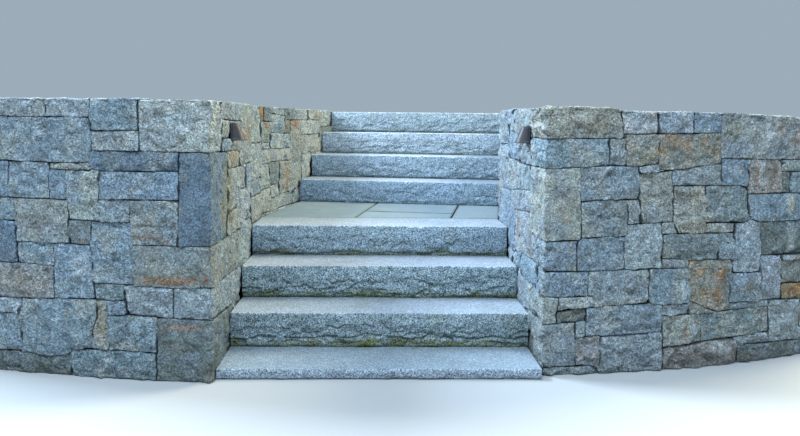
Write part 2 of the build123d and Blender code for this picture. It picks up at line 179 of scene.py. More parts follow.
# ---------------------------------------------------------------- the walls' faces, unrolled
class WallFace:
    """One side's wall faces unrolled into (s, u): s runs round the plan outline from the front corner,
    u is height, and goes on over the top of the wall as distance in from the edge."""

    def __init__(self, side):
        self.side, self.top = side, TOP[side]
        step = 0.03
        x0, y0 = side * HALF, CORNER[side]
        cx, cy = x0 - side * ARC * sin(HEAD), y0 + ARC * cos(HEAD)
        self.centre = (cx, cy)
        inner = ARC - THICK

        def at(h, r):
            return np.array([cx + side * r * sin(h), cy - r * cos(h)])

        xj = side * (HALF + THICK)
        hj = math.atan2(side * (xj - cx), sqrt(inner ** 2 - (xj - cx) ** 2))
        j = np.array([xj, cy - sqrt(inner ** 2 - (xj - cx) ** 2)])
        h1 = HEAD + WALL_RUN / ARC
        w = UL if side < 0 else UR

        def on_upper(l, x):
            return np.array(up(l, (x - l * cos(TURN)) / sin(TURN)))

        bend, bend_out = on_upper(w, x0), on_upper(w + side * THICK, xj)
        k1, k2 = np.array(up(w, TOP_REAR)), np.array(up(w + side * THICK, TOP_REAR))

        def arc(ha, hb, r):
            n = max(2, int(abs(hb - ha) * r / step))
            return [at(ha + (hb - ha) * i / n, r) for i in range(n + 1)]

        def line(a, b):
            n = max(1, int(np.linalg.norm(b - a) / step))
            return [a + (b - a) * i / n for i in range(n + 1)]

        corner = np.array([x0, y0])
        runs = [arc(hj, h1, inner), line(at(h1, inner), at(h1, ARC)), arc(h1, HEAD, ARC), line(corner, bend), line(bend, k1),
                line(k1, k2), line(k2, bend_out), line(bend_out, j)]
        pts, marks = [], []
        for r in runs:
            marks.append(len(pts) - 1 if pts else 0)
            pts += r if not pts else r[1:]
        pts = np.array(pts)
        ln = np.linalg.norm(np.diff(pts, axis=0), axis=1)
        s = np.concatenate([[0], np.cumsum(ln)])
        s -= s[marks[3]]
        self.marks = dict(zip(("J", "E2", "E1", "front", "bend", "K1", "K2", "bend_out"), (float(s[m]) for m in marks)))
        self.end = float(s[-1])
        # a fine table of place and normal
        self.S = np.arange(s[0], s[-1] + 0.002, 0.002)
        self.P = np.stack([np.interp(self.S, s, pts[:, i]) for i in (0, 1)], 1)
        t = np.diff(pts, axis=0) / ln[:, None]
        n = np.stack([t[:, 1], -t[:, 0]], 1) * (1 if side < 0 else -1)
        mid = (s[1:] + s[:-1]) / 2
        seg = np.clip(np.searchsorted(s, self.S, side="right") - 1, 0, len(t) - 1)
        N = n[seg]
        # normals run smoothly along arcs and the small bends, and turn fast at the corners
        hard = [self.marks[c] for c in ("E2", "E1", "front", "K1", "K2")]
        bounds_ = [self.S[0] - 1] + hard + [self.S[-1] + 1]
        for a, b in zip(bounds_, bounds_[1:]):
            m = (self.S >= a) & (self.S < b)
            mm = (mid > a) & (mid < b)
            if mm.any():
                N[m] = np.stack([np.interp(self.S[m], mid[mm], n[mm, i]) for i in (0, 1)], 1)
        self.raw = N / np.linalg.norm(N, axis=1)[:, None]
        B = self.raw.copy()
        for c in hard:
            m = abs(self.S - c) < 0.012
            i0, i1 = np.searchsorted(self.S, c - 0.013), np.searchsorted(self.S, c + 0.013)
            f = ((self.S[m] - c) / 0.024 + 0.5)[:, None]
            B[m] = self.raw[i0] * (1 - f) + self.raw[i1] * f
        self.soft = B / np.linalg.norm(B, axis=1)[:, None]
        self.hard = []
        for c in hard:
            i0, i1 = np.searchsorted(self.S, c - 0.02), np.searchsorted(self.S, c + 0.02)
            turn = math.acos(np.clip(self.raw[i0] @ self.raw[i1], -1, 1))
            self.hard.append((c, math.tan((pi - turn) / 2)))
        h = np.arctan2(side * (self.P[:, 0] - cx), cy - self.P[:, 1])
        far = (h - HEAD) * ARC
        self.Z = np.where(self.S <= 0, np.interp(far, *FALL), self.top) if side > 0 else np.full(len(self.S), self.top)

    def _look(self, s, table):
        return np.stack([np.interp(s, self.S, table[:, i]) for i in range(table.shape[1])], 1)

    def base(self, su):
        """Places of face points and the directions they stand proud in."""
        s, u = su[:, 0], su[:, 1]
        p, raw, soft = self._look(s, self.P), self._look(s, self.raw), self._look(s, self.soft)
        zt = np.interp(s, self.S, self.Z)
        over = np.clip(u - self.top, 0, None)
        z = np.minimum(u, self.top) * zt / self.top
        xy = p - raw * over[:, None]
        f = ramp(u, self.top - 0.008, self.top + 0.008) * pi / 2
        n = np.concatenate([soft * np.cos(f)[:, None], np.sin(f)[:, None]], 1)
        return np.concatenate([xy, z[:, None]], 1), n / np.linalg.norm(n, axis=1)[:, None]

    def deep(self, su, depth):
        """The points that far into the wall from its face or its top."""
        s, u = su[:, 0], su[:, 1]
        raw = self._look(s, self.raw)
        p, _ = self.base(su)
        face = u <= self.top
        lim = np.full(len(s), depth)
        for c, t in self.hard:
            lim = np.minimum(lim, np.abs(s - c) * t)
        lim = np.minimum(lim, np.where(face, self.top - u, 9.0))
        down = np.minimum(depth, np.where(face, 0.0, u - self.top))
        q = p.copy()
        q[:, :2] -= raw * (lim * face)[:, None]
        q[:, 2] -= down
        return q

    def arris(self, su):
        """Distance to the nearest folded edge: a corner of the plan, or the top."""
        s, u = su[:, 0], su[:, 1]
        d = np.abs(u - self.top)
        for c, _ in self.hard:
            d = np.minimum(d, np.abs(s - c) + np.clip(u - self.top, 0, None) * 5)
        return d


class PlainFace:
    """A flat face from origin along right and up, standing proud along their cross product."""

    def __init__(self, origin, right, upward=(0, 0, 1)):
        self.o, self.r, self.u = (np.array(v, float) for v in (origin, right, upward))
        self.n = np.cross(self.r, self.u)
        self.top = 99.0

    def base(self, su):
        p = self.o + su[:, :1] * self.r + su[:, 1:2] * self.u
        return p, np.broadcast_to(self.n, p.shape)

    def deep(self, su, depth):
        return self.base(su)[0] - self.n * depth

    def arris(self, su):
        return np.full(len(su), 9.0)


# ---------------------------------------------------------------- one stone
# kind: (main colour, second colour, how much of the second, rust, how rough)
KINDS = {
    "bluegrey": ((118, 135, 144), (141, 150, 149), 0.45, 0.03, 1.0),
    "darkblue": ((98, 116, 131), (118, 127, 127), 0.35, 0.00, 0.7),
    "blue": ((117, 135, 148), (135, 149, 156), 0.45, 0.01, 0.8),
    "lightblue": ((144, 156, 165), (128, 143, 152), 0.50, 0.00, 0.9),
    "light": ((139, 151, 155), (124, 137, 145), 0.50, 0.02, 1.1),
    "grey": ((116, 130, 134), (137, 143, 140), 0.50, 0.02, 1.2),
    "buffgrey": ((143, 152, 150), (126, 139, 146), 0.60, 0.06, 1.0),
    "buff": ((139, 145, 141), (128, 139, 143), 0.50, 0.10, 0.9),
    "lightbuff": ((158, 164, 162), (139, 151, 156), 0.45, 0.05, 1.1),
    "yellowbuff": ((141, 143, 131), (133, 140, 139), 0.45, 0.15, 0.9),
    "browngrey": ((103, 113, 112), (114, 127, 133), 0.45, 0.08, 1.0),
    "pink": ((137, 136, 132), (126, 134, 138), 0.50, 0.06, 1.1),
    "rustbuff": ((127, 133, 127), (123, 135, 138), 0.65, 0.30, 1.0),
    "rust": ((131, 121, 97), (120, 116, 97), 0.50, 0.45, 1.0),
    "rustbrown": ((137, 134, 122), (122, 131, 129), 0.60, 0.36, 1.0),
    "brownmottle": ((147, 148, 139), (124, 132, 131), 0.65, 0.22, 1.2),
    "buffbrown": ((144, 151, 145), (129, 141, 145), 0.60, 0.20, 1.1),
    "greenbuff": ((123, 128, 122), (117, 127, 128), 0.50, 0.05, 0.9),
    "rustlight": ((137, 148, 152), (131, 137, 137), 0.50, 0.22, 1.0),
}


# stains laid over single places of the walls, and painted shade in a few pits and slits (the dark tone): tone ->
# (colour, size of its specks in m, how broken up)
TONES = {
    "rust": ((138, 104, 76), 0.012, 1.1),
    "brown": ((112, 102, 88), 0.030, 0.6),
    "buff": ((150, 142, 118), 0.030, 0.5),
    "pale": ((182, 192, 196), 0.022, 0.6),
    "palebuff": ((184, 182, 162), 0.022, 0.5),
    "olive": ((128, 128, 106), 0.030, 0.5),
    "greenbuff": ((126, 132, 112), 0.030, 0.5),
    # painted shade in a pit or slit, not a stain
    "dark": ((40, 42, 42), 0.010, 0.4),
}


def dishes(p, rng, lo, hi, spacing, radius, depth):
    """Broken-stone relief: shallow dishes struck out of a face, meeting in sharp ridges. Zero or less."""
    out = np.zeros(len(p))
    area = max(hi[0] - lo[0], 0.02) * max(hi[1] - lo[1], 0.02)
    n = int(area / (spacing[0] * spacing[1])) + 1
    if n > 1:
        c = rng.uniform(lo - 0.3 * np.array(spacing), hi + 0.3 * np.array(spacing), (n, 2))
    else:
        c = rng.uniform(lo, hi, (1, 2))
    for q in c:
        r = rng.uniform(*radius)
        ang = rng.normal(0, 0.35)
        d = p - q
        u = (d[:, 0] * cos(ang) + d[:, 1] * sin(ang)) / (r * rng.uniform(1.1, 2.2))
        v = (-d[:, 0] * sin(ang) + d[:, 1] * cos(ang)) / r
        out = np.minimum(out, (u * u + v * v - 1) * rng.uniform(*depth))
    return out


def facets(p, rng, lo, hi, spacing, tilt, step, blend=0.005, stretch=1.0):
    """Broken planes: a patchwork of tilted facets with crisp edges and small steps between them."""
    k = np.array([1 / stretch, 1.0])
    a, b = lo * k - 0.6 * spacing, hi * k + 0.6 * spacing
    nx, ny = (max(1, int(round(v / spacing))) for v in b - a)
    X, Y = np.meshgrid((np.arange(nx) + 0.5) / nx, (np.arange(ny) + 0.5) / ny)
    c = np.stack([X.ravel(), Y.ravel()], 1) + rng.uniform(-0.42, 0.42, (nx * ny, 2)) / [nx, ny]
    c = a + c * (b - a)
    ang = rng.uniform(0, 2 * pi, len(c))
    slope = rng.uniform(*tilt, len(c))[:, None] * np.stack([np.cos(ang), np.sin(ang)], 1)
    level = rng.normal(0, 1, len(c)) * step
    out = np.empty(len(p))
    for i in range(0, len(p), 4000):
        d = p[i:i + 4000, None, :] * k - c[None]
        r = np.sqrt((d * d).sum(2))
        w = np.exp(-(r - r.min(1)[:, None]) / blend)
        h = level + (d * slope).sum(2)
        out[i:i + 4000] = (w * h).sum(1) / w.sum(1)
    return out


def flakes(p, rng, lo, hi, spacing, width, drop, reach, swing=0.5):
    """Ledges left where flakes were struck off: a short curved step inwards that runs out below it.
    Returns the depth (zero or less) and how much each point lies in the step's shade."""
    out, shade = np.zeros(len(p)), np.zeros(len(p))
    area = max(hi[0] - lo[0], 0.02) * max(hi[1] - lo[1], 0.02)
    n = int(area / (spacing[0] * spacing[1]) + rng.uniform(0.3, 1.0))
    for _ in range(n):
        c = rng.uniform(lo, hi)
        w, D, L = rng.uniform(*width), rng.uniform(*drop), rng.uniform(*reach)
        ang = rng.normal(0, swing)
        d = p - c
        x = d[:, 0] * cos(ang) + d[:, 1] * sin(ang)
        y = -d[:, 0] * sin(ang) + d[:, 1] * cos(ang)
        t = -(x / w) ** 2 * w * rng.uniform(0.1, 0.5) - y
        win = np.clip(1 - (x / w) ** 2, 0, 1) ** 0.7
        out -= D * win * np.clip(t / 0.0035, 0, 1) * np.clip(1 - t / L, 0, 1)
        shade = np.maximum(shade, win * np.clip(t / 0.002, 0, 1) * np.clip(1 - t / 0.013, 0, 1) * min(1.0, D / 0.008))
    return out, shade


def inside_of(p, poly):
    """Which points lie in a closed outline."""
    x, y = p[:, :1], p[:, 1:2]
    a, b = poly, np.roll(poly, -1, 0)
    cross = (a[:, 1] > y) != (b[:, 1] > y)
    with np.errstate(divide="ignore", invalid="ignore"):
        xs = (b[:, 0] - a[:, 0]) * (y - a[:, 1]) / (b[:, 1] - a[:, 1]) + a[:, 0]
    return (cross & (x < xs)).sum(1) % 2 == 1


def distance_to(p, a, b):
    """Least distance of each point to the segments a-b."""
    e = b - a
    l2 = np.maximum((e * e).sum(1), 1e-12)
    out = np.full(len(p), 1e9)
    for i in range(0, len(p), 2000):
        q = p[i:i + 2000, None, :] - a[None]
        t = np.clip((q * e).sum(2) / l2, 0, 1)
        out[i:i + 2000] = np.sqrt(((q - t[..., None] * e) ** 2).sum(2).min(1))
    return out


def triangulate(outline, seam, top, cell, rng, folds=()):
    """Even triangles over an outline: points, triangles, the boundary's order, and which boundary edges are seams."""
    n = len(outline)
    pts, is_seam = [], []
    for i in range(n):
        a, b = outline[i], outline[(i + 1) % n]
        L = float(np.hypot(*(b - a)))
        corner_a = seam is not None and abs(a[0] - seam) < 1e-6 and abs(a[1] - top) < 1e-6
        corner_b = seam is not None and abs(b[0] - seam) < 1e-6 and abs(b[1] - top) < 1e-6
        if corner_a or corner_b:
            k = np.arange(0, L - 0.004, 0.010)
            run = [a + (b - a) * (v / L) for v in k] if corner_a else [b + (a - b) * (v / L) for v in k][::-1]
            if corner_b:
                run = [a] + [q for q in run[:-1]]
            pts += run
            is_seam += [True] * len(run)
        else:
            m = max(1, int(math.ceil(L / max(0.010, cell * 0.95))))
            pts += [a + (b - a) * (v / m) for v in range(m)]
            is_seam += [False] * m
    pts = np.array(pts)
    is_seam = np.array(is_seam)
    nb = len(pts)
    # a slight unevenness of the outline
    t = np.roll(pts, -1, 0) - np.roll(pts, 1, 0)
    t /= np.maximum(np.linalg.norm(t, axis=1), 1e-9)[:, None]
    nrm = np.stack([t[:, 1], -t[:, 0]], 1)
    fixed = is_seam | np.roll(is_seam, 1)
    wob = noise(np.c_[pts / 0.022, np.full(nb, rng.uniform(0, 50))]) * 0.0011
    pts = np.where(fixed[:, None], pts, pts + nrm * wob[:, None])
    ring = []
    for inset in (0.0035, 0.0085):
        q = pts - nrm * inset
        d = distance_to(q, pts, np.roll(pts, -1, 0))
        ok = (d > inset * 0.86) & inside_of(q, pts)
        q = q[ok]
        if inset > 0.005:
            q = q[::1]
        ring.append(q)
    lo, hi = pts.min(0), pts.max(0)
    gx, gy = np.arange(lo[0], hi[0] + cell, cell), np.arange(lo[1], hi[1] + cell, cell * 0.866)
    X, Y = np.meshgrid(gx, gy)
    X[1::2] += cell / 2
    g = np.stack([X.ravel(), Y.ravel()], 1) + rng.uniform(-0.16, 0.16, (X.size, 2)) * cell
    g = g[inside_of(g, pts)]
    g = g[distance_to(g, pts, np.roll(pts, -1, 0)) > 0.0085 + cell * 0.45]
    # lines of points along the folds, so that no triangle cuts across an arris
    for axis, at_ in folds:
        if not lo[axis] + 0.006 < at_ < hi[axis] - 0.006:
            continue
        other = 1 - axis
        run = np.arange(lo[other] + 0.004, hi[other] - 0.003, cell * 0.7)
        line_ = np.empty((len(run), 2))
        line_[:, axis], line_[:, other] = at_, run
        if axis == 0:
            line_ = line_[line_[:, 1] < top - 0.003]
        line_ = line_[inside_of(line_, pts)]
        if len(line_):
            line_ = line_[distance_to(line_, pts, np.roll(pts, -1, 0)) > 0.003]
        ring = [q[abs(q[:, axis] - at_) > 0.0028] for q in ring]
        g = g[abs(g[:, axis] - at_) > cell * 0.42]
        ring.append(line_)
    allp = np.concatenate([pts] + ring + [g])
    loop = list(range(nb))
    co, _, tri, orig, _, _ = delaunay_2d_cdt([Vector(p) for p in allp], [], [loop], 1, 1e-6)
    co = np.array([tuple(v) for v in co])
    tris = []
    for f in tri:
        for k in range(1, len(f) - 1):
            tris.append((f[0], f[k], f[k + 1]))
    where = {}
    for k, src in enumerate(orig):
        for o_ in src:
            where[o_] = k
    border = [where.get(i) for i in range(nb)]
    return co, np.array(tris), border, is_seam


def stone(piece, face, outline, kind, seed, cell, seam=None, back=0.050, proud=0.0, rough=1.0, speckle=1.0):
    """One squared stone: a slightly rounded, broken face with its sides going into the wall."""
    rng = np.random.default_rng(seed)
    outline = np.asarray(outline, float)
    folds = [(0, c) for c, _ in getattr(face, "hard", ())] + ([(1, face.top)] if face.top < 50 else [])
    co, tri, border, is_seam = triangulate(outline, seam, face.top, cell, rng, folds)
    if len(tri) == 0 or None in border:
        return
    main, second, share, rust, lumpy = KINDS[kind]
    rough = rough * lumpy
    off = rng.uniform(0, 90, 3)
    base, nrm = face.base(co)
    bp = co[border]
    a, b = bp[~is_seam], np.roll(bp, -1, 0)[~is_seam]
    d = distance_to(co, a, b)
    c0 = outline.mean(0)
    size = np.ptp(outline, axis=0)
    on_top = ramp(co[:, 1], face.top - 0.004, face.top + 0.004)
    n1 = fbm(base / 0.15 + off, 2, 1)
    n2 = fbm(base / 0.048 + off, 2, 5)
    n3 = fbm(base / 0.019 + off, 2, 9)
    warp = np.stack([n2, noise(base / 0.04 + off + 5, 51)], 1) * 0.006
    tilt = rng.normal(0, 1, 2) * 0.0022 / np.maximum(size, 0.08) * 2
    h = proud + np.clip(rng.normal(0, 1), -1.8, 1.8) * 0.0040
    plane = (co - c0) @ tilt
    h = h + np.clip(plane, -0.005, 0.005) * (1 - on_top) + rough * (0.0034 * n1 + 0.0030 * n2 + 0.0022 * n3)
    lo_, hi_ = co.min(0), co.max(0)
    flat_ = 1 - 0.75 * on_top
    h = h + rough * flat_ * (0.5 * dishes(co + warp, rng, lo_, hi_, (0.095, 0.070), (0.032, 0.095), (0.0030, 0.0100)) + 0.003)
    h = h + rough * flat_ * facets(co + warp * 1.2, rng, lo_, hi_, rng.uniform(0.046, 0.082), (0.12, 0.52), 0.0024)
    if rough > 0.75:
        h = h + rough * flat_ * facets(co + warp * 0.5, rng, lo_, hi_, 0.022, (0.10, 0.40), 0.0008, 0.003)
    ledge, ledge_shade = flakes(co + warp * 0.8, rng, lo_, hi_, (0.080, 0.062), (0.020, 0.080), (0.0028, 0.0085), (0.018, 0.055), 0.7)
    h = h + rough * flat_ * ledge
    # a few broad broken planes near the edges of the rougher stones
    for _ in range(rng.integers(2, 6)):
        ang = rng.uniform(0, 2 * pi)
        v = np.array([cos(ang), sin(ang)])
        reach = ((co + warp * 0.8 - c0) @ v) / (0.5 * abs(size @ np.abs(v)) + 1e-6)
        start, slope = rng.uniform(0.15, 0.9), rng.uniform(0.004, 0.020) * rough ** 2
        h = h - np.clip(reach - start + 0.05 * n2, 0, 1) * slope * (1 - on_top)
    # joints stay tight: a stone's border never lies far back
    h = np.maximum(h, -0.0065 - 0.016 * ramp(d, 0.004, 0.034))
    # the arris: rounded, and chipped here and there
    chip = fbm(base / 0.030 + off + 31, 2, 21)
    r = np.clip(0.0062 + 0.0030 * chip + 0.010 * ramp(chip, 0.3, 0.8), 0.0025, 0.019)
    depth_ = 0.0030 + 0.0058 * ramp(chip, 0.2, 0.8)
    # pitched faces stand a little prouder in the middle
    h = h - rng.uniform(0.001, 0.0065) * (1 - ramp(d, 0.0, rng.uniform(0.028, 0.055))) * (1 - on_top)
    h = h - depth_ * rough ** 0.5 * (1 - np.clip(d / r, 0, 1)) ** 2
    da = face.arris(co)
    R = np.clip(0.007 + 0.004 * chip + 0.014 * ramp(chip, 0.25, 0.8), 0.003, 0.024)
    h = h - 0.38 * R * (1 - np.clip(da / R, 0, 1)) ** 2

    # colour
    c1, c2 = srgb(*main), srgb(*second)
    c1 = c1 * rng.uniform(0.93, 1.07) * (1 + rng.normal(0, 0.012, 3))
    m = ramp(fbm(base / 0.085 + off + 7, 3, 33), 0.25 - share, 0.75 - share * 0.3)[:, None]
    col = c1 * (1 - m) + c2 * m
    if rust > 0:
        rm = ramp(fbm(base / 0.060 + off + 13, 3, 41), 0.62 - rust * 1.1, 0.95 - rust * 0.5)[:, None] * min(1.0, 0.45 + rust)
        col = col * (1 - rm) + srgb(156, 124, 88) * rm
    for tone, k, s0, u0, rs, ru in getattr(face, "stains", ()):
        s0, u0, rs, ru = s0 / 1000, u0 / 1000, rs / 1000, ru / 1000
        if abs(s0 - (lo_[0] + hi_[0]) / 2) > rs + size[0] / 2 or abs(u0 - (lo_[1] + hi_[1]) / 2) > ru + size[1] / 2:
            continue
        shade_, speck, broken = TONES[tone]
        reach = 1 - np.sqrt(((co[:, 0] - s0) / rs) ** 2 + ((co[:, 1] - u0) / ru) ** 2)
        sm = ramp(reach + broken * 0.55 * fbm(base / speck + off + 71, 3, 81) + 0.12, 0.0, 0.62)[:, None] * k * 0.85
        col = col * (1 - sm) + srgb(*shade_) * sm
        # the dark tone is painted shade in a pit or slit; the face is dented there too
        if tone == "dark":
            h = h - 0.004 * sm[:, 0]
    # faint bands across some stones
    ang = rng.uniform(0, pi)
    if rng.random() < 0.4:
        across = base[:, 2] * cos(ang) + (co[:, 0]) * sin(ang)
        band = np.sin(across / rng.uniform(0.006, 0.016) + 3.0 * n1)
        col = col * (1 + 0.035 * band)[:, None]
    patch = fbm(base / [0.055, 0.055, 0.045] + off + 51, 3, 61)
    col = col * (1 + 0.26 * patch + 0.10 * n2 + 0.12 * n3)[:, None]
    # painted shade: the face is 6 % darker within 5 mm of its border, where the joint shades it
    lit = ramp(d, 0.0, 0.005)
    # bruised arrises are paler; the extra lightness along the top of a stone is a painted highlight, where light from
    # above catches the arris
    upper = ramp(co[:, 1], hi_[1] - 0.022, hi_[1] - 0.006) * 0.6 + 0.4
    bruise_and_highlight = ramp(d, 0.0015, 0.005) * (1 - ramp(d, 0.008, 0.016)) * upper * ramp(chip, -0.5, 0.3)
    col = col * ((0.94 + 0.06 * lit) * (1 - 0.30 * ledge_shade) * (1 + 0.16 * bruise_and_highlight))[:, None]
    pos = base + nrm * h[:, None]
    # soil splashed on the lowest course
    low = (1 - ramp(base[:, 2] + 0.03 * n2, 0.0, 0.11))[:, None] * 0.28
    col = col * (1 - low) + srgb(96, 92, 78) * low
    # grain coordinates turned at random for each stone
    ax = rng.normal(0, 1, (3, 3))
    qm, _ = np.linalg.qr(ax)
    grain = base @ qm.T + off * 0.13
    mirrored = getattr(face, "side", -1) > 0
    piece.add(pos, tri, np.clip(col, 0.004, 0.9), np.clip(d / 0.012, 0, 1), grain, np.full(len(pos), speckle), flip=mirrored)
    # the sides, into the joint
    nb = len(border)
    i = np.arange(nb)[~is_seam]
    j = (i + 1) % nb
    inner = face.deep(bp, back)
    side_co = np.concatenate([pos[border], inner])
    tris = np.concatenate([np.stack([i, i + nb, j], 1), np.stack([j, i + nb, j + nb], 1)])
    # painted shade: the sides in the joint are darkened, and darker still deep in the wall
    dark = col[border] * 0.55
    piece.add(side_co, tris, np.concatenate([dark, dark * 0.35]), 0.0, np.concatenate([grain[border], grain[border] + 0.03]), 0.3, flip=mirrored)


def core(piece, plan, z0, tops):
    """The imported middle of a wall: a closed prism behind the faces' joints."""
    plan = np.asarray(plan)
    n = len(plan)
    z1 = np.broadcast_to(tops, (n,))
    co, _, tri, orig, _, _ = delaunay_2d_cdt([Vector(p) for p in plan], [], [list(range(n))], 1, 1e-6)
    if len(co) != n:
        print("core outline gained points", n, len(co))
    xy = np.array([tuple(v) for v in co])
    src = [min(s) if s else 0 for s in orig]
    zt = z1[src]
    m = len(xy)
    top = np.c_[xy, zt]
    bot = np.c_[xy, np.full(m, z0)]
    flat = [(f[0], f[k], f[k + 1]) for f in tri for k in range(1, len(f) - 1)]
    flat = np.array(flat)
    sides = []
    where = {s: k for k, ss in enumerate(orig) for s in ss}
    for i in range(n):
        a, b = where[i], where[(i + 1) % n]
        if a != b:
            sides += [(a + m, b + m, b), (a + m, b, a)]
    tris = np.concatenate([flat, flat[:, ::-1] + m, np.array(sides)])
    allco = np.concatenate([top, bot])
    piece.add(allco, tris, srgb(44, 43, 40), 0.0, allco, 0.5, mat=1)


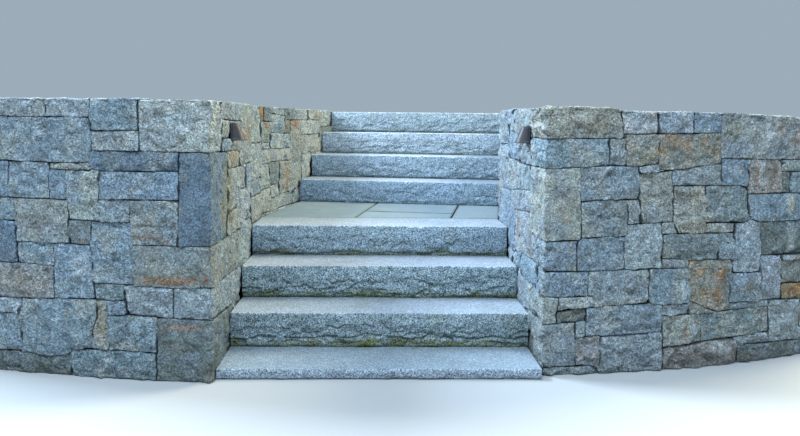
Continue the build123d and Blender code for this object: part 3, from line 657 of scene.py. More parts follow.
# ---------------------------------------------------------------- the stones' outlines on the unrolled walls
# (kind, [s, u, s, u, ...] in mm, corner that the stone turns on the wall's top, if any)
LEFT_STONES = [
    ("buffgrey", [-889, 1213, -835, 1213, -815, 1214, -811, 1217, -809, 1291, -811, 1301, -812, 1445, -814, 1499, -815, 1504, -833, 1501, -845, 1502, -883, 1510, -899, 1510, -921, 1503, -955, 1486, -969, 1482, -977, 1482, -989, 1485, -1003, 1492, -1045, 1523, -1056, 1529, -1071, 1534, -1089, 1532, -1115, 1526, -1131, 1523, -1149, 1526, -1183, 1534, -1202, 1533, -1204, 1529, -1205, 1441, -1205, 1285, -1203, 1279, -1186, 1253, -1143, 1236, -1125, 1232, -1111, 1218, -1107, 1217, -967, 1216, -957, 1214]),
    ("light", [-722, 1213, -669, 1212, -586, 1215, -582, 1217, -579, 1387, -580, 1483, -585, 1488, -613, 1489, -645, 1480, -669, 1480, -693, 1491, -717, 1511, -735, 1523, -751, 1529, -763, 1529, -777, 1524, -791, 1517, -804, 1509, -806, 1505, -809, 1319, -806, 1277, -805, 1219, -803, 1215, -801, 1215]),
    ("bluegrey", [-567, 1155, -465, 1154, -455, 1156, -353, 1156, -347, 1158, -346, 1171, -349, 1181, -349, 1197, -348, 1291, -346, 1303, -346, 1507, -347, 1515, -365, 1514, -377, 1516, -417, 1531, -427, 1533, -437, 1533, -449, 1529, -464, 1521, -505, 1488, -523, 1478, -541, 1476, -571, 1483, -575, 1483, -577, 1391, -575, 1317, -575, 1197, -577, 1187, -577, 1165, -575, 1159]),
    ("bluegrey", [-1206, 997, -1155, 998, -1143, 1008, -1137, 1009, -1017, 1011, -1003, 1008, -925, 1005, -799, 1005, -791, 1003, -781, 1005, -695, 1003, -683, 1005, -587, 1007, -583, 1008, -582, 1011, -579, 1049, -573, 1067, -571, 1093, -576, 1125, -576, 1149, -581, 1155, -582, 1159, -581, 1207, -585, 1209, -679, 1212, -805, 1208, -815, 1210, -853, 1212, -933, 1210, -957, 1210, -973, 1212, -1109, 1212, -1115, 1214, -1129, 1226, -1145, 1229, -1185, 1246, -1192, 1241, -1205, 1225, -1208, 1215, -1208, 1169, -1210, 1157, -1211, 1071, -1213, 1057, -1214, 1011, -1213, 1001]),
    ("buffgrey", [-572, 1061, -569, 1060, -495, 1062, -341, 1062, -344, 1149, -345, 1151, -349, 1153, -429, 1153, -455, 1153, -467, 1151, -569, 1149, -571, 1147, -572, 1143, -572, 1127, -569, 1099]),
    ("darkblue", [-531, 969, -525, 968, -457, 967, -371, 972, -259, 970, -245, 972, -163, 973, -159, 975, -157, 991, -157, 1029, -155, 1039, -155, 1051, -159, 1055, -163, 1056, -261, 1057, -271, 1059, -315, 1059, -325, 1061, -341, 1058, -371, 1057, -565, 1059, -573, 1055, -577, 1049, -578, 1003, -563, 980]),
    ("buff", [-739, 971, -673, 969, -601, 971, -579, 970, -572, 973, -570, 979, -581, 999, -585, 1003, -681, 1003, -695, 1000, -781, 999, -787, 997, -789, 995, -790, 977, -789, 973, -783, 972, -749, 973]),
    ("bluegrey", [-1015, 833, -967, 831, -829, 832, -799, 833, -796, 839, -795, 929, -793, 941, -795, 997, -801, 999, -859, 1000, -871, 1002, -901, 1003, -1007, 1000, -1012, 973, -1013, 925, -1015, 915, -1015, 867, -1017, 855]),
    ("blue", [-1113, 829, -1082, 829, -1071, 831, -1021, 833, -1017, 867, -1017, 915, -1015, 925, -1016, 973, -1015, 985, -1017, 1003, -1075, 1006, -1137, 1006, -1143, 1003, -1152, 993, -1153, 989, -1154, 885, -1156, 875, -1156, 851, -1159, 843, -1147, 830]),
    ("blue", [-748, 831, -741, 830, -703, 830, -697, 833, -699, 909, -701, 917, -705, 963, -709, 965, -741, 965, -753, 967, -789, 968, -791, 963, -791, 937, -793, 929, -792, 835, -791, 833, -787, 832]),
    ("buffgrey", [-577, 737, -541, 736, -537, 737, -536, 739, -537, 779, -535, 787, -533, 835, -536, 865, -534, 879, -534, 961, -535, 967, -561, 974, -565, 973, -573, 965, -579, 963, -587, 965, -665, 966, -697, 965, -700, 957, -698, 945, -699, 919, -694, 851, -692, 843, -693, 823, -687, 739, -673, 737]),
    ("blue", [-529, 839, -525, 838, -495, 837, -425, 841, -305, 840, -161, 841, -157, 845, -156, 851, -156, 965, -157, 967, -161, 968, -243, 968, -255, 966, -349, 964, -429, 966, -441, 965, -527, 964, -529, 963, -530, 959, -530, 891, -532, 861]),
    ("bluegrey", [-1184, 713, -1177, 712, -1143, 713, -1131, 722, -1127, 723, -1057, 722, -977, 727, -976, 733, -976, 769, -977, 781, -976, 827, -981, 828, -1071, 828, -1081, 827, -1147, 826, -1151, 827, -1167, 841, -1179, 840, -1182, 837, -1185, 829, -1186, 783, -1188, 771, -1189, 719, -1188, 715]),
    ("buff", [-969, 629, -961, 628, -751, 628, -693, 630, -690, 633, -689, 639, -691, 657, -690, 723, -692, 733, -692, 767, -699, 823, -703, 825, -743, 826, -755, 828, -969, 828, -972, 825, -973, 821, -971, 783, -969, 765]),
    ("light", [-529, 733, -397, 734, -392, 735, -390, 741, -391, 833, -395, 835, -457, 836, -465, 835, -523, 835, -529, 833, -531, 827, -530, 785, -531, 777, -533, 737, -533, 735]),
    ("grey", [-376, 631, -369, 630, -243, 629, -162, 631, -160, 635, -159, 699, -157, 711, -160, 783, -159, 829, -161, 835, -197, 836, -301, 836, -383, 834, -385, 829, -386, 737, -380, 687, -378, 635]),
    ("darkblue", [-1109, 525, -975, 524, -969, 527, -967, 545, -969, 555, -969, 587, -974, 627, -976, 711, -977, 717, -1037, 721, -1059, 718, -1125, 716, -1129, 715, -1137, 707, -1139, 701, -1141, 615, -1140, 581, -1141, 573, -1139, 535, -1133, 527]),
    ("browngrey", [-633, 625, -601, 624, -581, 625, -579, 657, -579, 731, -581, 733, -585, 734, -685, 734, -687, 731, -684, 659, -682, 649, -683, 629, -679, 627]),
    ("bluegrey", [-416, 445, -375, 444, -371, 446, -369, 451, -380, 513, -381, 553, -378, 627, -381, 633, -384, 685, -388, 709, -389, 729, -391, 730, -431, 729, -531, 730, -543, 732, -571, 731, -574, 725, -573, 655, -575, 643, -576, 609, -574, 597, -574, 553, -572, 543, -570, 473, -567, 449, -553, 446]),
    ("bluegrey", [-817, 521, -783, 521, -775, 519, -772, 535, -772, 565, -774, 579, -772, 599, -773, 623, -777, 625, -959, 625, -968, 623, -967, 555, -965, 531, -961, 524, -939, 522, -877, 523, -867, 521]),
    ("blue", [-733, 365, -669, 369, -659, 371, -627, 371, -619, 373, -569, 373, -565, 375, -568, 439, -572, 449, -572, 463, -574, 471, -574, 503, -576, 511, -576, 543, -578, 553, -578, 597, -581, 619, -587, 620, -631, 620, -639, 622, -683, 621, -695, 623, -727, 624, -761, 624, -767, 622, -767, 595, -769, 583, -768, 565, -768, 533, -772, 509, -771, 371, -769, 367, -767, 366]),
    ("pink", [-1252, 341, -1245, 340, -1231, 342, -1191, 342, -1173, 351, -1113, 352, -1101, 354, -1045, 354, -1035, 355, -913, 356, -901, 358, -857, 357, -849, 359, -823, 360, -813, 362, -778, 363, -776, 365, -776, 511, -781, 517, -787, 519, -865, 519, -877, 521, -907, 522, -957, 521, -965, 524, -973, 521, -993, 520, -1133, 519, -1149, 526, -1213, 528, -1247, 527, -1251, 521, -1255, 489, -1254, 403, -1256, 391, -1256, 347, -1255, 343]),
    ("grey", [-550, 371, -477, 369, -447, 370, -421, 374, -417, 377, -415, 381, -415, 439, -423, 442, -561, 442, -564, 439, -564, 429, -559, 377, -557, 373]),
    ("light", [-257, 299, -189, 297, -185, 300, -183, 431, -184, 433, -235, 433, -247, 435, -347, 437, -357, 439, -365, 437, -375, 441, -409, 439, -409, 383, -401, 363, -400, 353, -395, 331, -394, 309, -391, 307, -367, 307, -359, 305, -267, 303]),
    ("light", [-1182, 273, -1175, 271, -1163, 273, -1139, 272, -1130, 279, -1123, 281, -1089, 280, -1031, 283, -957, 281, -954, 285, -955, 311, -953, 321, -954, 351, -957, 353, -1015, 353, -1035, 353, -1045, 350, -1101, 350, -1109, 348, -1157, 349, -1175, 348, -1184, 341, -1186, 335, -1185, 279]),
    ("bluegrey", [-750, 91, -737, 91, -703, 104, -690, 113, -686, 123, -681, 128, -655, 130, -615, 136, -593, 136, -578, 139, -580, 227, -558, 285, -557, 337, -554, 359, -555, 365, -556, 367, -615, 367, -625, 365, -659, 365, -669, 363, -715, 365, -723, 363, -763, 362, -777, 357, -847, 357, -857, 355, -901, 354, -911, 352, -945, 352, -949, 349, -953, 311, -954, 287, -953, 241, -951, 227, -952, 215, -952, 151, -950, 141, -951, 99, -950, 97, -913, 94, -885, 94, -875, 92, -799, 92]),
    ("yellowbuff", [-566, 137, -553, 138, -503, 138, -499, 139, -494, 145, -499, 361, -501, 366, -543, 366, -547, 365, -549, 363, -551, 337, -551, 281, -576, 225, -571, 143, -570, 139]),
    ("blue", [-496, 301, -467, 302, -459, 304, -409, 307, -405, 309, -402, 315, -401, 327, -407, 349, -408, 361, -411, 369, -443, 366, -495, 366, -497, 363, -497, 355, -497, 307]),
    ("bluegrey", [-325, 133, -313, 132, -263, 135, -261, 165, -262, 175, -261, 217, -259, 231, -263, 295, -269, 298, -323, 297, -333, 299, -401, 302, -433, 299, -457, 300, -493, 298, -495, 291, -492, 249, -493, 163, -490, 143, -488, 139, -481, 136, -411, 136, -385, 136, -373, 134]),
    ("bluegrey", [-1131, 97, -1099, 97, -1087, 99, -1015, 98, -1005, 100, -956, 101, -954, 109, -956, 177, -955, 217, -953, 229, -955, 239, -954, 275, -956, 279, -973, 280, -1033, 277, -1107, 280, -1123, 279, -1131, 274, -1137, 267, -1138, 263, -1138, 151, -1140, 141, -1139, 105]),
    ("bluegrey", [-634, 1, -551, 3, -489, 2, -425, 4, -315, 4, -267, 2, -265, 3, -264, 7, -263, 47, -266, 123, -267, 125, -271, 127, -319, 128, -331, 131, -481, 132, -485, 133, -493, 138, -501, 135, -551, 134, -591, 129, -621, 127, -645, 128, -680, 127, -685, 123, -688, 111, -686, 101, -680, 7, -679, 5, -675, 4]),
    ("browngrey", [-1299, 3, -855, 2, -693, 5, -689, 7, -689, 11, -687, 103, -689, 107, -693, 108, -703, 102, -739, 89, -797, 87, -847, 87, -879, 88, -887, 90, -915, 90, -923, 92, -951, 92, -963, 96, -1001, 95, -1013, 93, -1085, 93, -1097, 91, -1129, 91, -1135, 92, -1146, 99, -1233, 99, -1237, 97, -1239, 93, -1240, 77, -1243, 72, -1291, 73, -1300, 71, -1302, 17, -1301, 5]),
    ("lightbuff", [206, 1490, 0, 1298, -203, 1487, -209, 1485, -219, 1485, -243, 1491, -281, 1515, -299, 1522, -317, 1523, -341, 1516, -343, 1509, -341, 1439, -342, 1313, -344, 1289, -344, 1251, -343, 1183, -340, 1147, -341, 1089, -338, 1069, -335, 1065, -315, 1061, -271, 1061, -259, 1059, -161, 1060, -151, 1058, -107, 1059, -97, 1060, 69, 1060, 81, 1058, 151, 1057, 159, 1055, 231, 1058, 243, 1057, 247, 1059, 249, 1063, 251, 1099, 244, 1109, 242, 1117, 243, 1207, 246, 1213, 253, 1223, 249, 1273, 247, 1481, 245, 1486, 227, 1483, 209, 1488], 0),
    ("darkblue", [368, 623, 375, 624, 383, 631, 387, 679, 395, 733, 397, 743, 407, 754, 409, 759, 409, 887, 411, 899, 410, 959, 413, 973, 414, 985, 410, 1039, 407, 1043, 399, 1047, 393, 1048, 325, 1048, 313, 1050, 265, 1049, 253, 1051, 241, 1049, 229, 1051, 161, 1054, 149, 1056, 81, 1054, 69, 1056, -91, 1056, -107, 1054, -145, 1054, -149, 1052, -151, 1029, -152, 991, -154, 979, -153, 967, -152, 849, -154, 837, -153, 779, -156, 709, -158, 697, -157, 635, -155, 630, 65, 629, 75, 627, 139, 627, 159, 624, 267, 626, 281, 624]),
    ("rustbuff", [626, 415, 667, 415, 679, 413, 697, 414, 702, 417, 701, 477, 699, 487, 700, 535, 699, 547, 698, 599, 689, 611, 683, 614, 553, 613, 541, 615, 401, 616, 395, 618, 385, 625, 371, 618, 361, 620, 279, 620, 267, 622, 149, 623, 139, 625, 75, 624, 65, 626, 45, 627, -367, 627, -373, 626, -377, 621, -376, 513, -368, 453, -369, 443, -365, 439, -357, 440, -347, 438, -321, 438, -245, 440, -235, 438, -185, 438, -175, 436, -159, 435, -147, 437, -99, 436, -89, 438, -43, 440, -33, 442, -3, 443, 9, 441, 45, 440, 55, 439, 93, 439, 103, 437, 143, 436, 155, 434, 193, 433, 201, 431, 291, 431, 303, 428, 343, 427, 351, 425, 441, 424, 451, 422, 489, 421, 497, 419, 531, 419, 541, 418, 577, 418, 585, 417, 619, 416]),
    ("light", [528, 183, 547, 184, 583, 216, 599, 225, 663, 224, 671, 222, 701, 222, 711, 220, 717, 221, 722, 223, 724, 229, 723, 359, 727, 363, 755, 362, 757, 363, 758, 365, 725, 399, 715, 405, 705, 407, 675, 407, 663, 409, 627, 410, 619, 411, 583, 411, 575, 413, 541, 414, 531, 417, 451, 418, 441, 420, 401, 421, 391, 423, 351, 423, 341, 425, 299, 423, 191, 431, 103, 431, 91, 433, 51, 434, 41, 435, 5, 435, -3, 436, -31, 437, -41, 436, -89, 437, -99, 436, -147, 435, -175, 432, -180, 427, -180, 299, -179, 296, -103, 296, -89, 294, -3, 294, 31, 290, 173, 281, 255, 273, 329, 269, 391, 262, 467, 258, 477, 255, 482, 251, 521, 185]),
    ("browngrey", [-250, 1, -185, 1, -87, 4, 31, 1, 223, 1, 289, 3, 355, 2, 439, 2, 449, 11, 458, 25, 476, 69, 473, 72, 423, 73, 417, 75, 427, 107, 445, 151, 454, 171, 461, 182, 513, 183, 517, 185, 517, 187, 480, 247, 475, 251, 467, 254, 307, 263, 273, 267, 179, 273, -5, 290, -93, 290, -105, 292, -185, 293, -197, 295, -255, 294, -258, 291, -258, 287, -257, 229, -259, 215, -255, 133, -259, 119, -261, 41, -260, 5, -257, 2]),
    ("buff", [390, 1211, 417, 1211, 422, 1215, 423, 1219, 424, 1527, 423, 1533, 421, 1534, 385, 1515, 367, 1510, 351, 1509, 315, 1515, 299, 1512, 275, 1502, 256, 1491, 253, 1487, 252, 1273, 254, 1265, 254, 1247, 259, 1222, 268, 1215, 275, 1212, 343, 1214, 353, 1212]),
    ("buffgrey", [758, 1205, 769, 1204, 771, 1205, 772, 1209, 772, 1291, 774, 1303, 775, 1369, 773, 1439, 775, 1505, 774, 1523, 769, 1525, 749, 1519, 737, 1511, 714, 1491, 699, 1480, 683, 1474, 669, 1472, 655, 1475, 619, 1490, 601, 1494, 587, 1495, 563, 1491, 537, 1491, 513, 1502, 479, 1530, 461, 1540, 453, 1542, 441, 1543, 429, 1538, 427, 1533, 428, 1267, 428, 1217, 426, 1209, 435, 1208, 529, 1208, 541, 1207, 637, 1205, 715, 1207]),
    ("buff", [255, 1111, 261, 1111, 277, 1121, 339, 1117, 411, 1119, 413, 1121, 414, 1125, 417, 1203, 413, 1206, 351, 1204, 339, 1206, 273, 1208, 255, 1216, 251, 1211, 249, 1203, 250, 1121]),
    ("buffgrey", [754, 1105, 763, 1105, 770, 1111, 772, 1115, 772, 1195, 771, 1199, 769, 1200, 751, 1202, 541, 1201, 527, 1203, 431, 1204, 425, 1204, 422, 1201, 421, 1123, 423, 1119, 429, 1116, 533, 1114, 543, 1112, 583, 1111, 595, 1109, 635, 1109, 645, 1107, 687, 1107, 697, 1106]),
    ("bluegrey", [407, 1049, 411, 1047, 417, 1050, 427, 1051, 429, 1053, 429, 1105, 428, 1109, 424, 1111, 419, 1113, 411, 1111, 401, 1113, 349, 1116, 279, 1113, 271, 1109, 261, 1099, 258, 1063, 259, 1059, 263, 1056, 315, 1054, 327, 1052, 397, 1052]),
    ("buff", [711, 1037, 715, 1035, 717, 1036, 729, 1046, 761, 1047, 775, 1055, 786, 1095, 783, 1101, 775, 1107, 763, 1101, 759, 1100, 749, 1102, 645, 1105, 635, 1107, 543, 1109, 533, 1111, 493, 1111, 481, 1113, 441, 1112, 435, 1109, 434, 1059, 435, 1053, 437, 1052, 491, 1052, 503, 1050, 623, 1049, 633, 1048, 695, 1047, 703, 1044]),
    ("buff", [886, 959, 891, 957, 901, 961, 977, 963, 1025, 963, 1045, 960, 1049, 961, 1051, 963, 1050, 1041, 1048, 1055, 1051, 1077, 1059, 1093, 1059, 1115, 1057, 1129, 1059, 1145, 1058, 1153, 1058, 1241, 1056, 1257, 1057, 1273, 1055, 1505, 1053, 1511, 1044, 1507, 1017, 1487, 1005, 1481, 995, 1477, 979, 1477, 969, 1479, 959, 1484, 923, 1506, 901, 1513, 881, 1512, 849, 1504, 837, 1504, 823, 1507, 783, 1522, 779, 1521, 778, 1519, 780, 1441, 777, 1375, 779, 1303, 777, 1289, 776, 1231, 777, 1119, 778, 1113, 790, 1101, 792, 1097, 782, 1055, 789, 1045, 791, 1041, 791, 967, 797, 963, 879, 961]),
    ("buffgrey", [1426, 1067, 1437, 1072, 1441, 1075, 1442, 1079, 1421, 1155, 1415, 1185, 1412, 1193, 1402, 1205, 1399, 1243, 1395, 1259, 1392, 1283, 1395, 1437, 1395, 1489, 1393, 1495, 1381, 1498, 1359, 1498, 1321, 1487, 1303, 1487, 1281, 1497, 1243, 1528, 1230, 1537, 1211, 1544, 1203, 1544, 1189, 1540, 1167, 1528, 1143, 1520, 1127, 1518, 1101, 1521, 1077, 1521, 1063, 1517, 1061, 1511, 1061, 1385, 1059, 1313, 1060, 1281, 1062, 1273, 1060, 1261, 1062, 1245, 1062, 1157, 1065, 1145, 1063, 1131, 1065, 1121, 1065, 1093, 1067, 1089, 1081, 1075, 1085, 1074, 1157, 1074, 1171, 1071, 1253, 1070, 1265, 1068, 1413, 1069]),
    ("rust", [1414, 1199, 1417, 1199, 1429, 1204, 1495, 1203, 1545, 1205, 1550, 1207, 1552, 1261, 1553, 1497, 1552, 1519, 1549, 1523, 1533, 1528, 1523, 1528, 1513, 1525, 1501, 1519, 1465, 1494, 1447, 1486, 1423, 1487, 1401, 1493, 1398, 1491, 1397, 1429, 1400, 1285, 1401, 1263, 1404, 1245, 1406, 1209, 1408, 1205]),
    ("browngrey", [1673, 1199, 1676, 1201, 1677, 1207, 1674, 1253, 1677, 1265, 1675, 1287, 1676, 1495, 1673, 1499, 1667, 1500, 1629, 1494, 1607, 1494, 1587, 1502, 1557, 1519, 1555, 1514, 1555, 1493, 1555, 1263, 1558, 1207, 1563, 1205, 1661, 1205]),
    ("buffgrey", [1983, 1245, 1991, 1245, 1996, 1249, 1998, 1253, 1996, 1265, 1998, 1447, 1995, 1533, 1991, 1536, 1977, 1537, 1933, 1525, 1915, 1521, 1897, 1522, 1867, 1527, 1847, 1527, 1823, 1515, 1781, 1481, 1769, 1475, 1759, 1472, 1739, 1473, 1725, 1478, 1699, 1492, 1687, 1496, 1681, 1496, 1680, 1491, 1679, 1455, 1680, 1311, 1681, 1289, 1684, 1273, 1689, 1262, 1695, 1260, 1769, 1256, 1779, 1254, 1811, 1253, 1821, 1251, 1853, 1251, 1863, 1249, 1897, 1250]),
    ("bluegrey", [1935, 1121, 1989, 1121, 1999, 1119, 2002, 1121, 2005, 1211, 2005, 1235, 2001, 1245, 1997, 1245, 1987, 1241, 1979, 1242, 1903, 1243, 1895, 1245, 1861, 1247, 1853, 1249, 1821, 1249, 1811, 1251, 1779, 1250, 1769, 1252, 1683, 1253, 1682, 1243, 1683, 1233, 1682, 1203, 1677, 1189, 1679, 1147, 1681, 1141, 1690, 1133, 1719, 1132, 1729, 1130, 1769, 1128, 1777, 1126, 1815, 1125, 1825, 1123, 1869, 1124, 1879, 1122, 1917, 1123]),
    ("rustbuff", [1468, 1049, 1473, 1048, 1487, 1061, 1495, 1063, 1543, 1065, 1605, 1063, 1649, 1064, 1663, 1059, 1665, 1065, 1665, 1127, 1673, 1145, 1673, 1181, 1669, 1193, 1663, 1197, 1657, 1198, 1565, 1198, 1481, 1201, 1431, 1199, 1425, 1197, 1421, 1193, 1420, 1189, 1433, 1143, 1445, 1085, 1447, 1079, 1456, 1071, 1463, 1055]),
    ("buffgrey", [1843, 1015, 1849, 1014, 1897, 1014, 1905, 1013, 1909, 1015, 1920, 1081, 1922, 1113, 1919, 1117, 1877, 1118, 1867, 1120, 1825, 1121, 1813, 1123, 1777, 1122, 1765, 1124, 1725, 1123, 1691, 1125, 1687, 1126, 1677, 1134, 1673, 1132, 1670, 1125, 1670, 1061, 1664, 1047, 1665, 1025, 1667, 1020, 1673, 1019, 1713, 1019, 1721, 1018, 1781, 1018, 1793, 1016]),
    ("light", [1635, 1019, 1655, 1018, 1659, 1019, 1662, 1023, 1662, 1033, 1660, 1051, 1655, 1057, 1647, 1060, 1605, 1062, 1545, 1059, 1493, 1061, 1485, 1057, 1474, 1045, 1472, 1041, 1480, 1029, 1489, 1022, 1549, 1023, 1559, 1022]),
    ("bluegrey", [2118, 1011, 2125, 1009, 2139, 1010, 2143, 1021, 2144, 1101, 2142, 1107, 2137, 1112, 2077, 1114, 2067, 1116, 2011, 1115, 1999, 1113, 1987, 1115, 1931, 1116, 1926, 1113, 1924, 1105, 1918, 1075, 1915, 1021, 1917, 1016, 2011, 1013, 2023, 1011, 2085, 1013]),
    ("buffgrey", [1427, 837, 1431, 836, 1433, 837, 1450, 853, 1450, 905, 1452, 909, 1459, 917, 1460, 921, 1460, 949, 1458, 959, 1458, 1023, 1468, 1041, 1468, 1045, 1461, 1053, 1455, 1066, 1451, 1071, 1445, 1073, 1433, 1063, 1427, 1061, 1415, 1063, 1263, 1064, 1251, 1066, 1167, 1065, 1157, 1067, 1083, 1067, 1078, 1069, 1065, 1081, 1063, 1082, 1060, 1081, 1057, 1073, 1056, 1053, 1057, 1041, 1056, 963, 1061, 897, 1061, 869, 1062, 865, 1079, 848, 1101, 847, 1205, 849, 1297, 848, 1385, 849, 1409, 848, 1417, 845]),
    ("buff", [1465, 917, 1477, 915, 1487, 917, 1515, 917, 1525, 919, 1605, 921, 1615, 923, 1647, 924, 1667, 928, 1755, 928, 1769, 930, 1797, 930, 1819, 927, 1861, 929, 1869, 926, 1923, 927, 1945, 924, 1997, 923, 2007, 922, 2063, 922, 2075, 920, 2143, 920, 2146, 921, 2147, 925, 2141, 979, 2142, 999, 2140, 1005, 2137, 1007, 2021, 1009, 2009, 1011, 1919, 1009, 1907, 1007, 1897, 1009, 1849, 1010, 1839, 1012, 1789, 1012, 1781, 1013, 1721, 1014, 1711, 1016, 1665, 1018, 1655, 1015, 1641, 1014, 1627, 1016, 1557, 1014, 1545, 1017, 1489, 1019, 1484, 1021, 1471, 1035, 1464, 1029, 1462, 1021, 1462, 961]),
    ("browngrey", [2150, 1217, 2155, 1216, 2219, 1216, 2225, 1217, 2227, 1220, 2228, 1321, 2227, 1449, 2225, 1499, 2221, 1500, 2209, 1498, 2157, 1509, 2141, 1507, 2095, 1487, 2079, 1484, 2057, 1492, 2015, 1524, 2005, 1529, 2001, 1529, 1999, 1443, 2000, 1263, 2003, 1251, 2007, 1239, 2008, 1221, 2013, 1218, 2019, 1217, 2141, 1218]),
    ("buffgrey", [2442, 1217, 2611, 1218, 2617, 1219, 2618, 1227, 2618, 1475, 2617, 1521, 2615, 1523, 2611, 1522, 2595, 1513, 2565, 1487, 2551, 1478, 2539, 1472, 2527, 1470, 2509, 1472, 2475, 1485, 2459, 1489, 2435, 1489, 2411, 1486, 2393, 1486, 2383, 1489, 2363, 1499, 2325, 1527, 2307, 1535, 2295, 1535, 2283, 1532, 2237, 1504, 2234, 1499, 2232, 1443, 2232, 1311, 2234, 1221, 2239, 1219]),
    ("buff", [2622, 1219, 2627, 1217, 2637, 1219, 2681, 1218, 2751, 1222, 2813, 1220, 2919, 1221, 2931, 1224, 2933, 1227, 2931, 1235, 2932, 1443, 2931, 1511, 2929, 1516, 2925, 1516, 2911, 1511, 2871, 1489, 2857, 1484, 2843, 1484, 2823, 1490, 2789, 1513, 2767, 1524, 2745, 1524, 2707, 1514, 2685, 1513, 2641, 1525, 2627, 1526, 2623, 1524, 2621, 1465, 2621, 1225]),
    ("buffgrey", [2942, 1153, 2947, 1152, 2955, 1159, 2959, 1161, 3005, 1161, 3043, 1164, 3101, 1162, 3111, 1164, 3175, 1166, 3187, 1168, 3251, 1169, 3259, 1171, 3323, 1169, 3335, 1171, 3405, 1173, 3421, 1165, 3431, 1166, 3435, 1170, 3436, 1175, 3437, 1203, 3435, 1215, 3436, 1237, 3441, 1239, 3475, 1239, 3479, 1243, 3478, 1451, 3475, 1499, 3459, 1504, 3413, 1526, 3393, 1527, 3373, 1518, 3331, 1486, 3313, 1479, 3299, 1477, 3285, 1479, 3245, 1489, 3223, 1489, 3187, 1482, 3173, 1482, 3163, 1485, 3153, 1489, 3139, 1498, 3099, 1530, 3085, 1537, 3073, 1540, 3049, 1535, 3027, 1524, 3005, 1516, 2975, 1515, 2955, 1519, 2939, 1518, 2937, 1513, 2936, 1447, 2936, 1271, 2936, 1237, 2938, 1227, 2938, 1163]),
    ("browngrey", [2145, 1117, 2147, 1116, 2149, 1118, 2150, 1123, 2151, 1203, 2149, 1211, 2141, 1213, 2009, 1215, 2007, 1209, 2008, 1189, 2010, 1127, 2011, 1123, 2071, 1120, 2081, 1119, 2137, 1120]),
    ("rustbuff", [2162, 897, 2271, 896, 2283, 898, 2331, 899, 2341, 901, 2431, 902, 2443, 896, 2447, 896, 2451, 909, 2451, 949, 2449, 961, 2448, 1051, 2446, 1063, 2445, 1207, 2443, 1214, 2437, 1215, 2277, 1213, 2233, 1214, 2223, 1212, 2163, 1212, 2157, 1210, 2156, 1203, 2157, 1117, 2151, 1103, 2151, 1085, 2145, 1045, 2143, 1013, 2147, 983, 2151, 963, 2153, 939, 2152, 909]),
    ("buffgrey", [2460, 1105, 2569, 1103, 2679, 1106, 2745, 1103, 2819, 1105, 2929, 1104, 2937, 1107, 2944, 1115, 2944, 1143, 2943, 1147, 2934, 1159, 2933, 1211, 2929, 1216, 2903, 1214, 2815, 1215, 2753, 1213, 2667, 1218, 2591, 1214, 2453, 1215, 2449, 1213, 2447, 1207, 2451, 1111, 2453, 1107]),
    ("buff", [2458, 953, 2477, 953, 2513, 958, 2583, 959, 2617, 964, 2639, 964, 2647, 966, 2683, 967, 2693, 969, 2699, 967, 2709, 957, 2715, 957, 2795, 958, 2879, 957, 2961, 960, 2967, 967, 2970, 975, 2970, 983, 2954, 1101, 2949, 1110, 2947, 1110, 2937, 1103, 2929, 1101, 2819, 1099, 2749, 1101, 2679, 1099, 2583, 1101, 2453, 1100, 2451, 1098, 2451, 1093, 2451, 1065, 2453, 1051, 2451, 961, 2453, 955]),
    ("browngrey", [3048, 951, 3053, 952, 3060, 957, 3136, 1067, 3143, 1074, 3365, 1075, 3368, 1079, 3368, 1103, 3371, 1109, 3381, 1113, 3409, 1113, 3414, 1117, 3415, 1143, 3413, 1161, 3405, 1167, 3337, 1168, 3325, 1166, 3263, 1165, 3251, 1163, 3189, 1163, 3177, 1161, 3113, 1163, 3101, 1161, 3025, 1158, 2981, 1159, 2957, 1157, 2951, 1151, 2948, 1145, 2948, 1123, 2949, 1118, 2958, 1103, 2965, 1063, 2967, 1033, 2974, 983, 2974, 973, 2968, 957, 2979, 952, 3037, 953]),
    ("yellowbuff", [699, 955, 705, 957, 711, 963, 713, 971, 712, 1031, 705, 1039, 699, 1043, 633, 1043, 619, 1046, 501, 1045, 489, 1047, 457, 1047, 435, 1047, 421, 1045, 416, 1041, 415, 1027, 420, 977, 435, 962, 561, 960, 573, 958, 649, 959, 691, 957]),
    ("buff", [720, 955, 725, 954, 733, 956, 786, 959, 786, 1039, 784, 1043, 779, 1048, 775, 1049, 761, 1042, 729, 1043, 716, 1031, 714, 967, 714, 963]),
    ("buffgrey", [628, 739, 643, 739, 669, 765, 671, 771, 669, 783, 670, 801, 673, 807, 688, 823, 695, 827, 713, 827, 718, 829, 720, 949, 720, 955, 716, 961, 711, 962, 699, 955, 691, 956, 627, 954, 571, 955, 559, 957, 437, 955, 431, 957, 421, 966, 417, 965, 415, 959, 413, 897, 411, 885, 412, 763, 414, 755, 427, 744, 525, 744, 535, 742, 619, 741]),
    ("buff", [877, 825, 887, 825, 890, 831, 889, 895, 892, 949, 889, 956, 881, 959, 871, 960, 799, 958, 787, 954, 733, 956, 721, 953, 720, 947, 720, 913, 722, 833, 723, 827, 729, 826, 787, 827]),
    ("blue", [895, 825, 899, 824, 907, 825, 929, 825, 943, 823, 965, 824, 977, 826, 1037, 826, 1047, 831, 1050, 835, 1051, 853, 1055, 869, 1053, 905, 1054, 945, 1051, 954, 1023, 957, 965, 957, 901, 959, 895, 957, 893, 949, 895, 895, 894, 831]),
    ("bluegrey", [1305, 745, 1409, 743, 1413, 745, 1426, 761, 1428, 825, 1425, 833, 1414, 841, 1405, 843, 1365, 842, 1297, 844, 1209, 843, 1083, 845, 1077, 847, 1061, 860, 1059, 859, 1055, 853, 1054, 835, 1063, 819, 1071, 753, 1073, 750, 1107, 748, 1191, 749, 1203, 747, 1297, 747]),
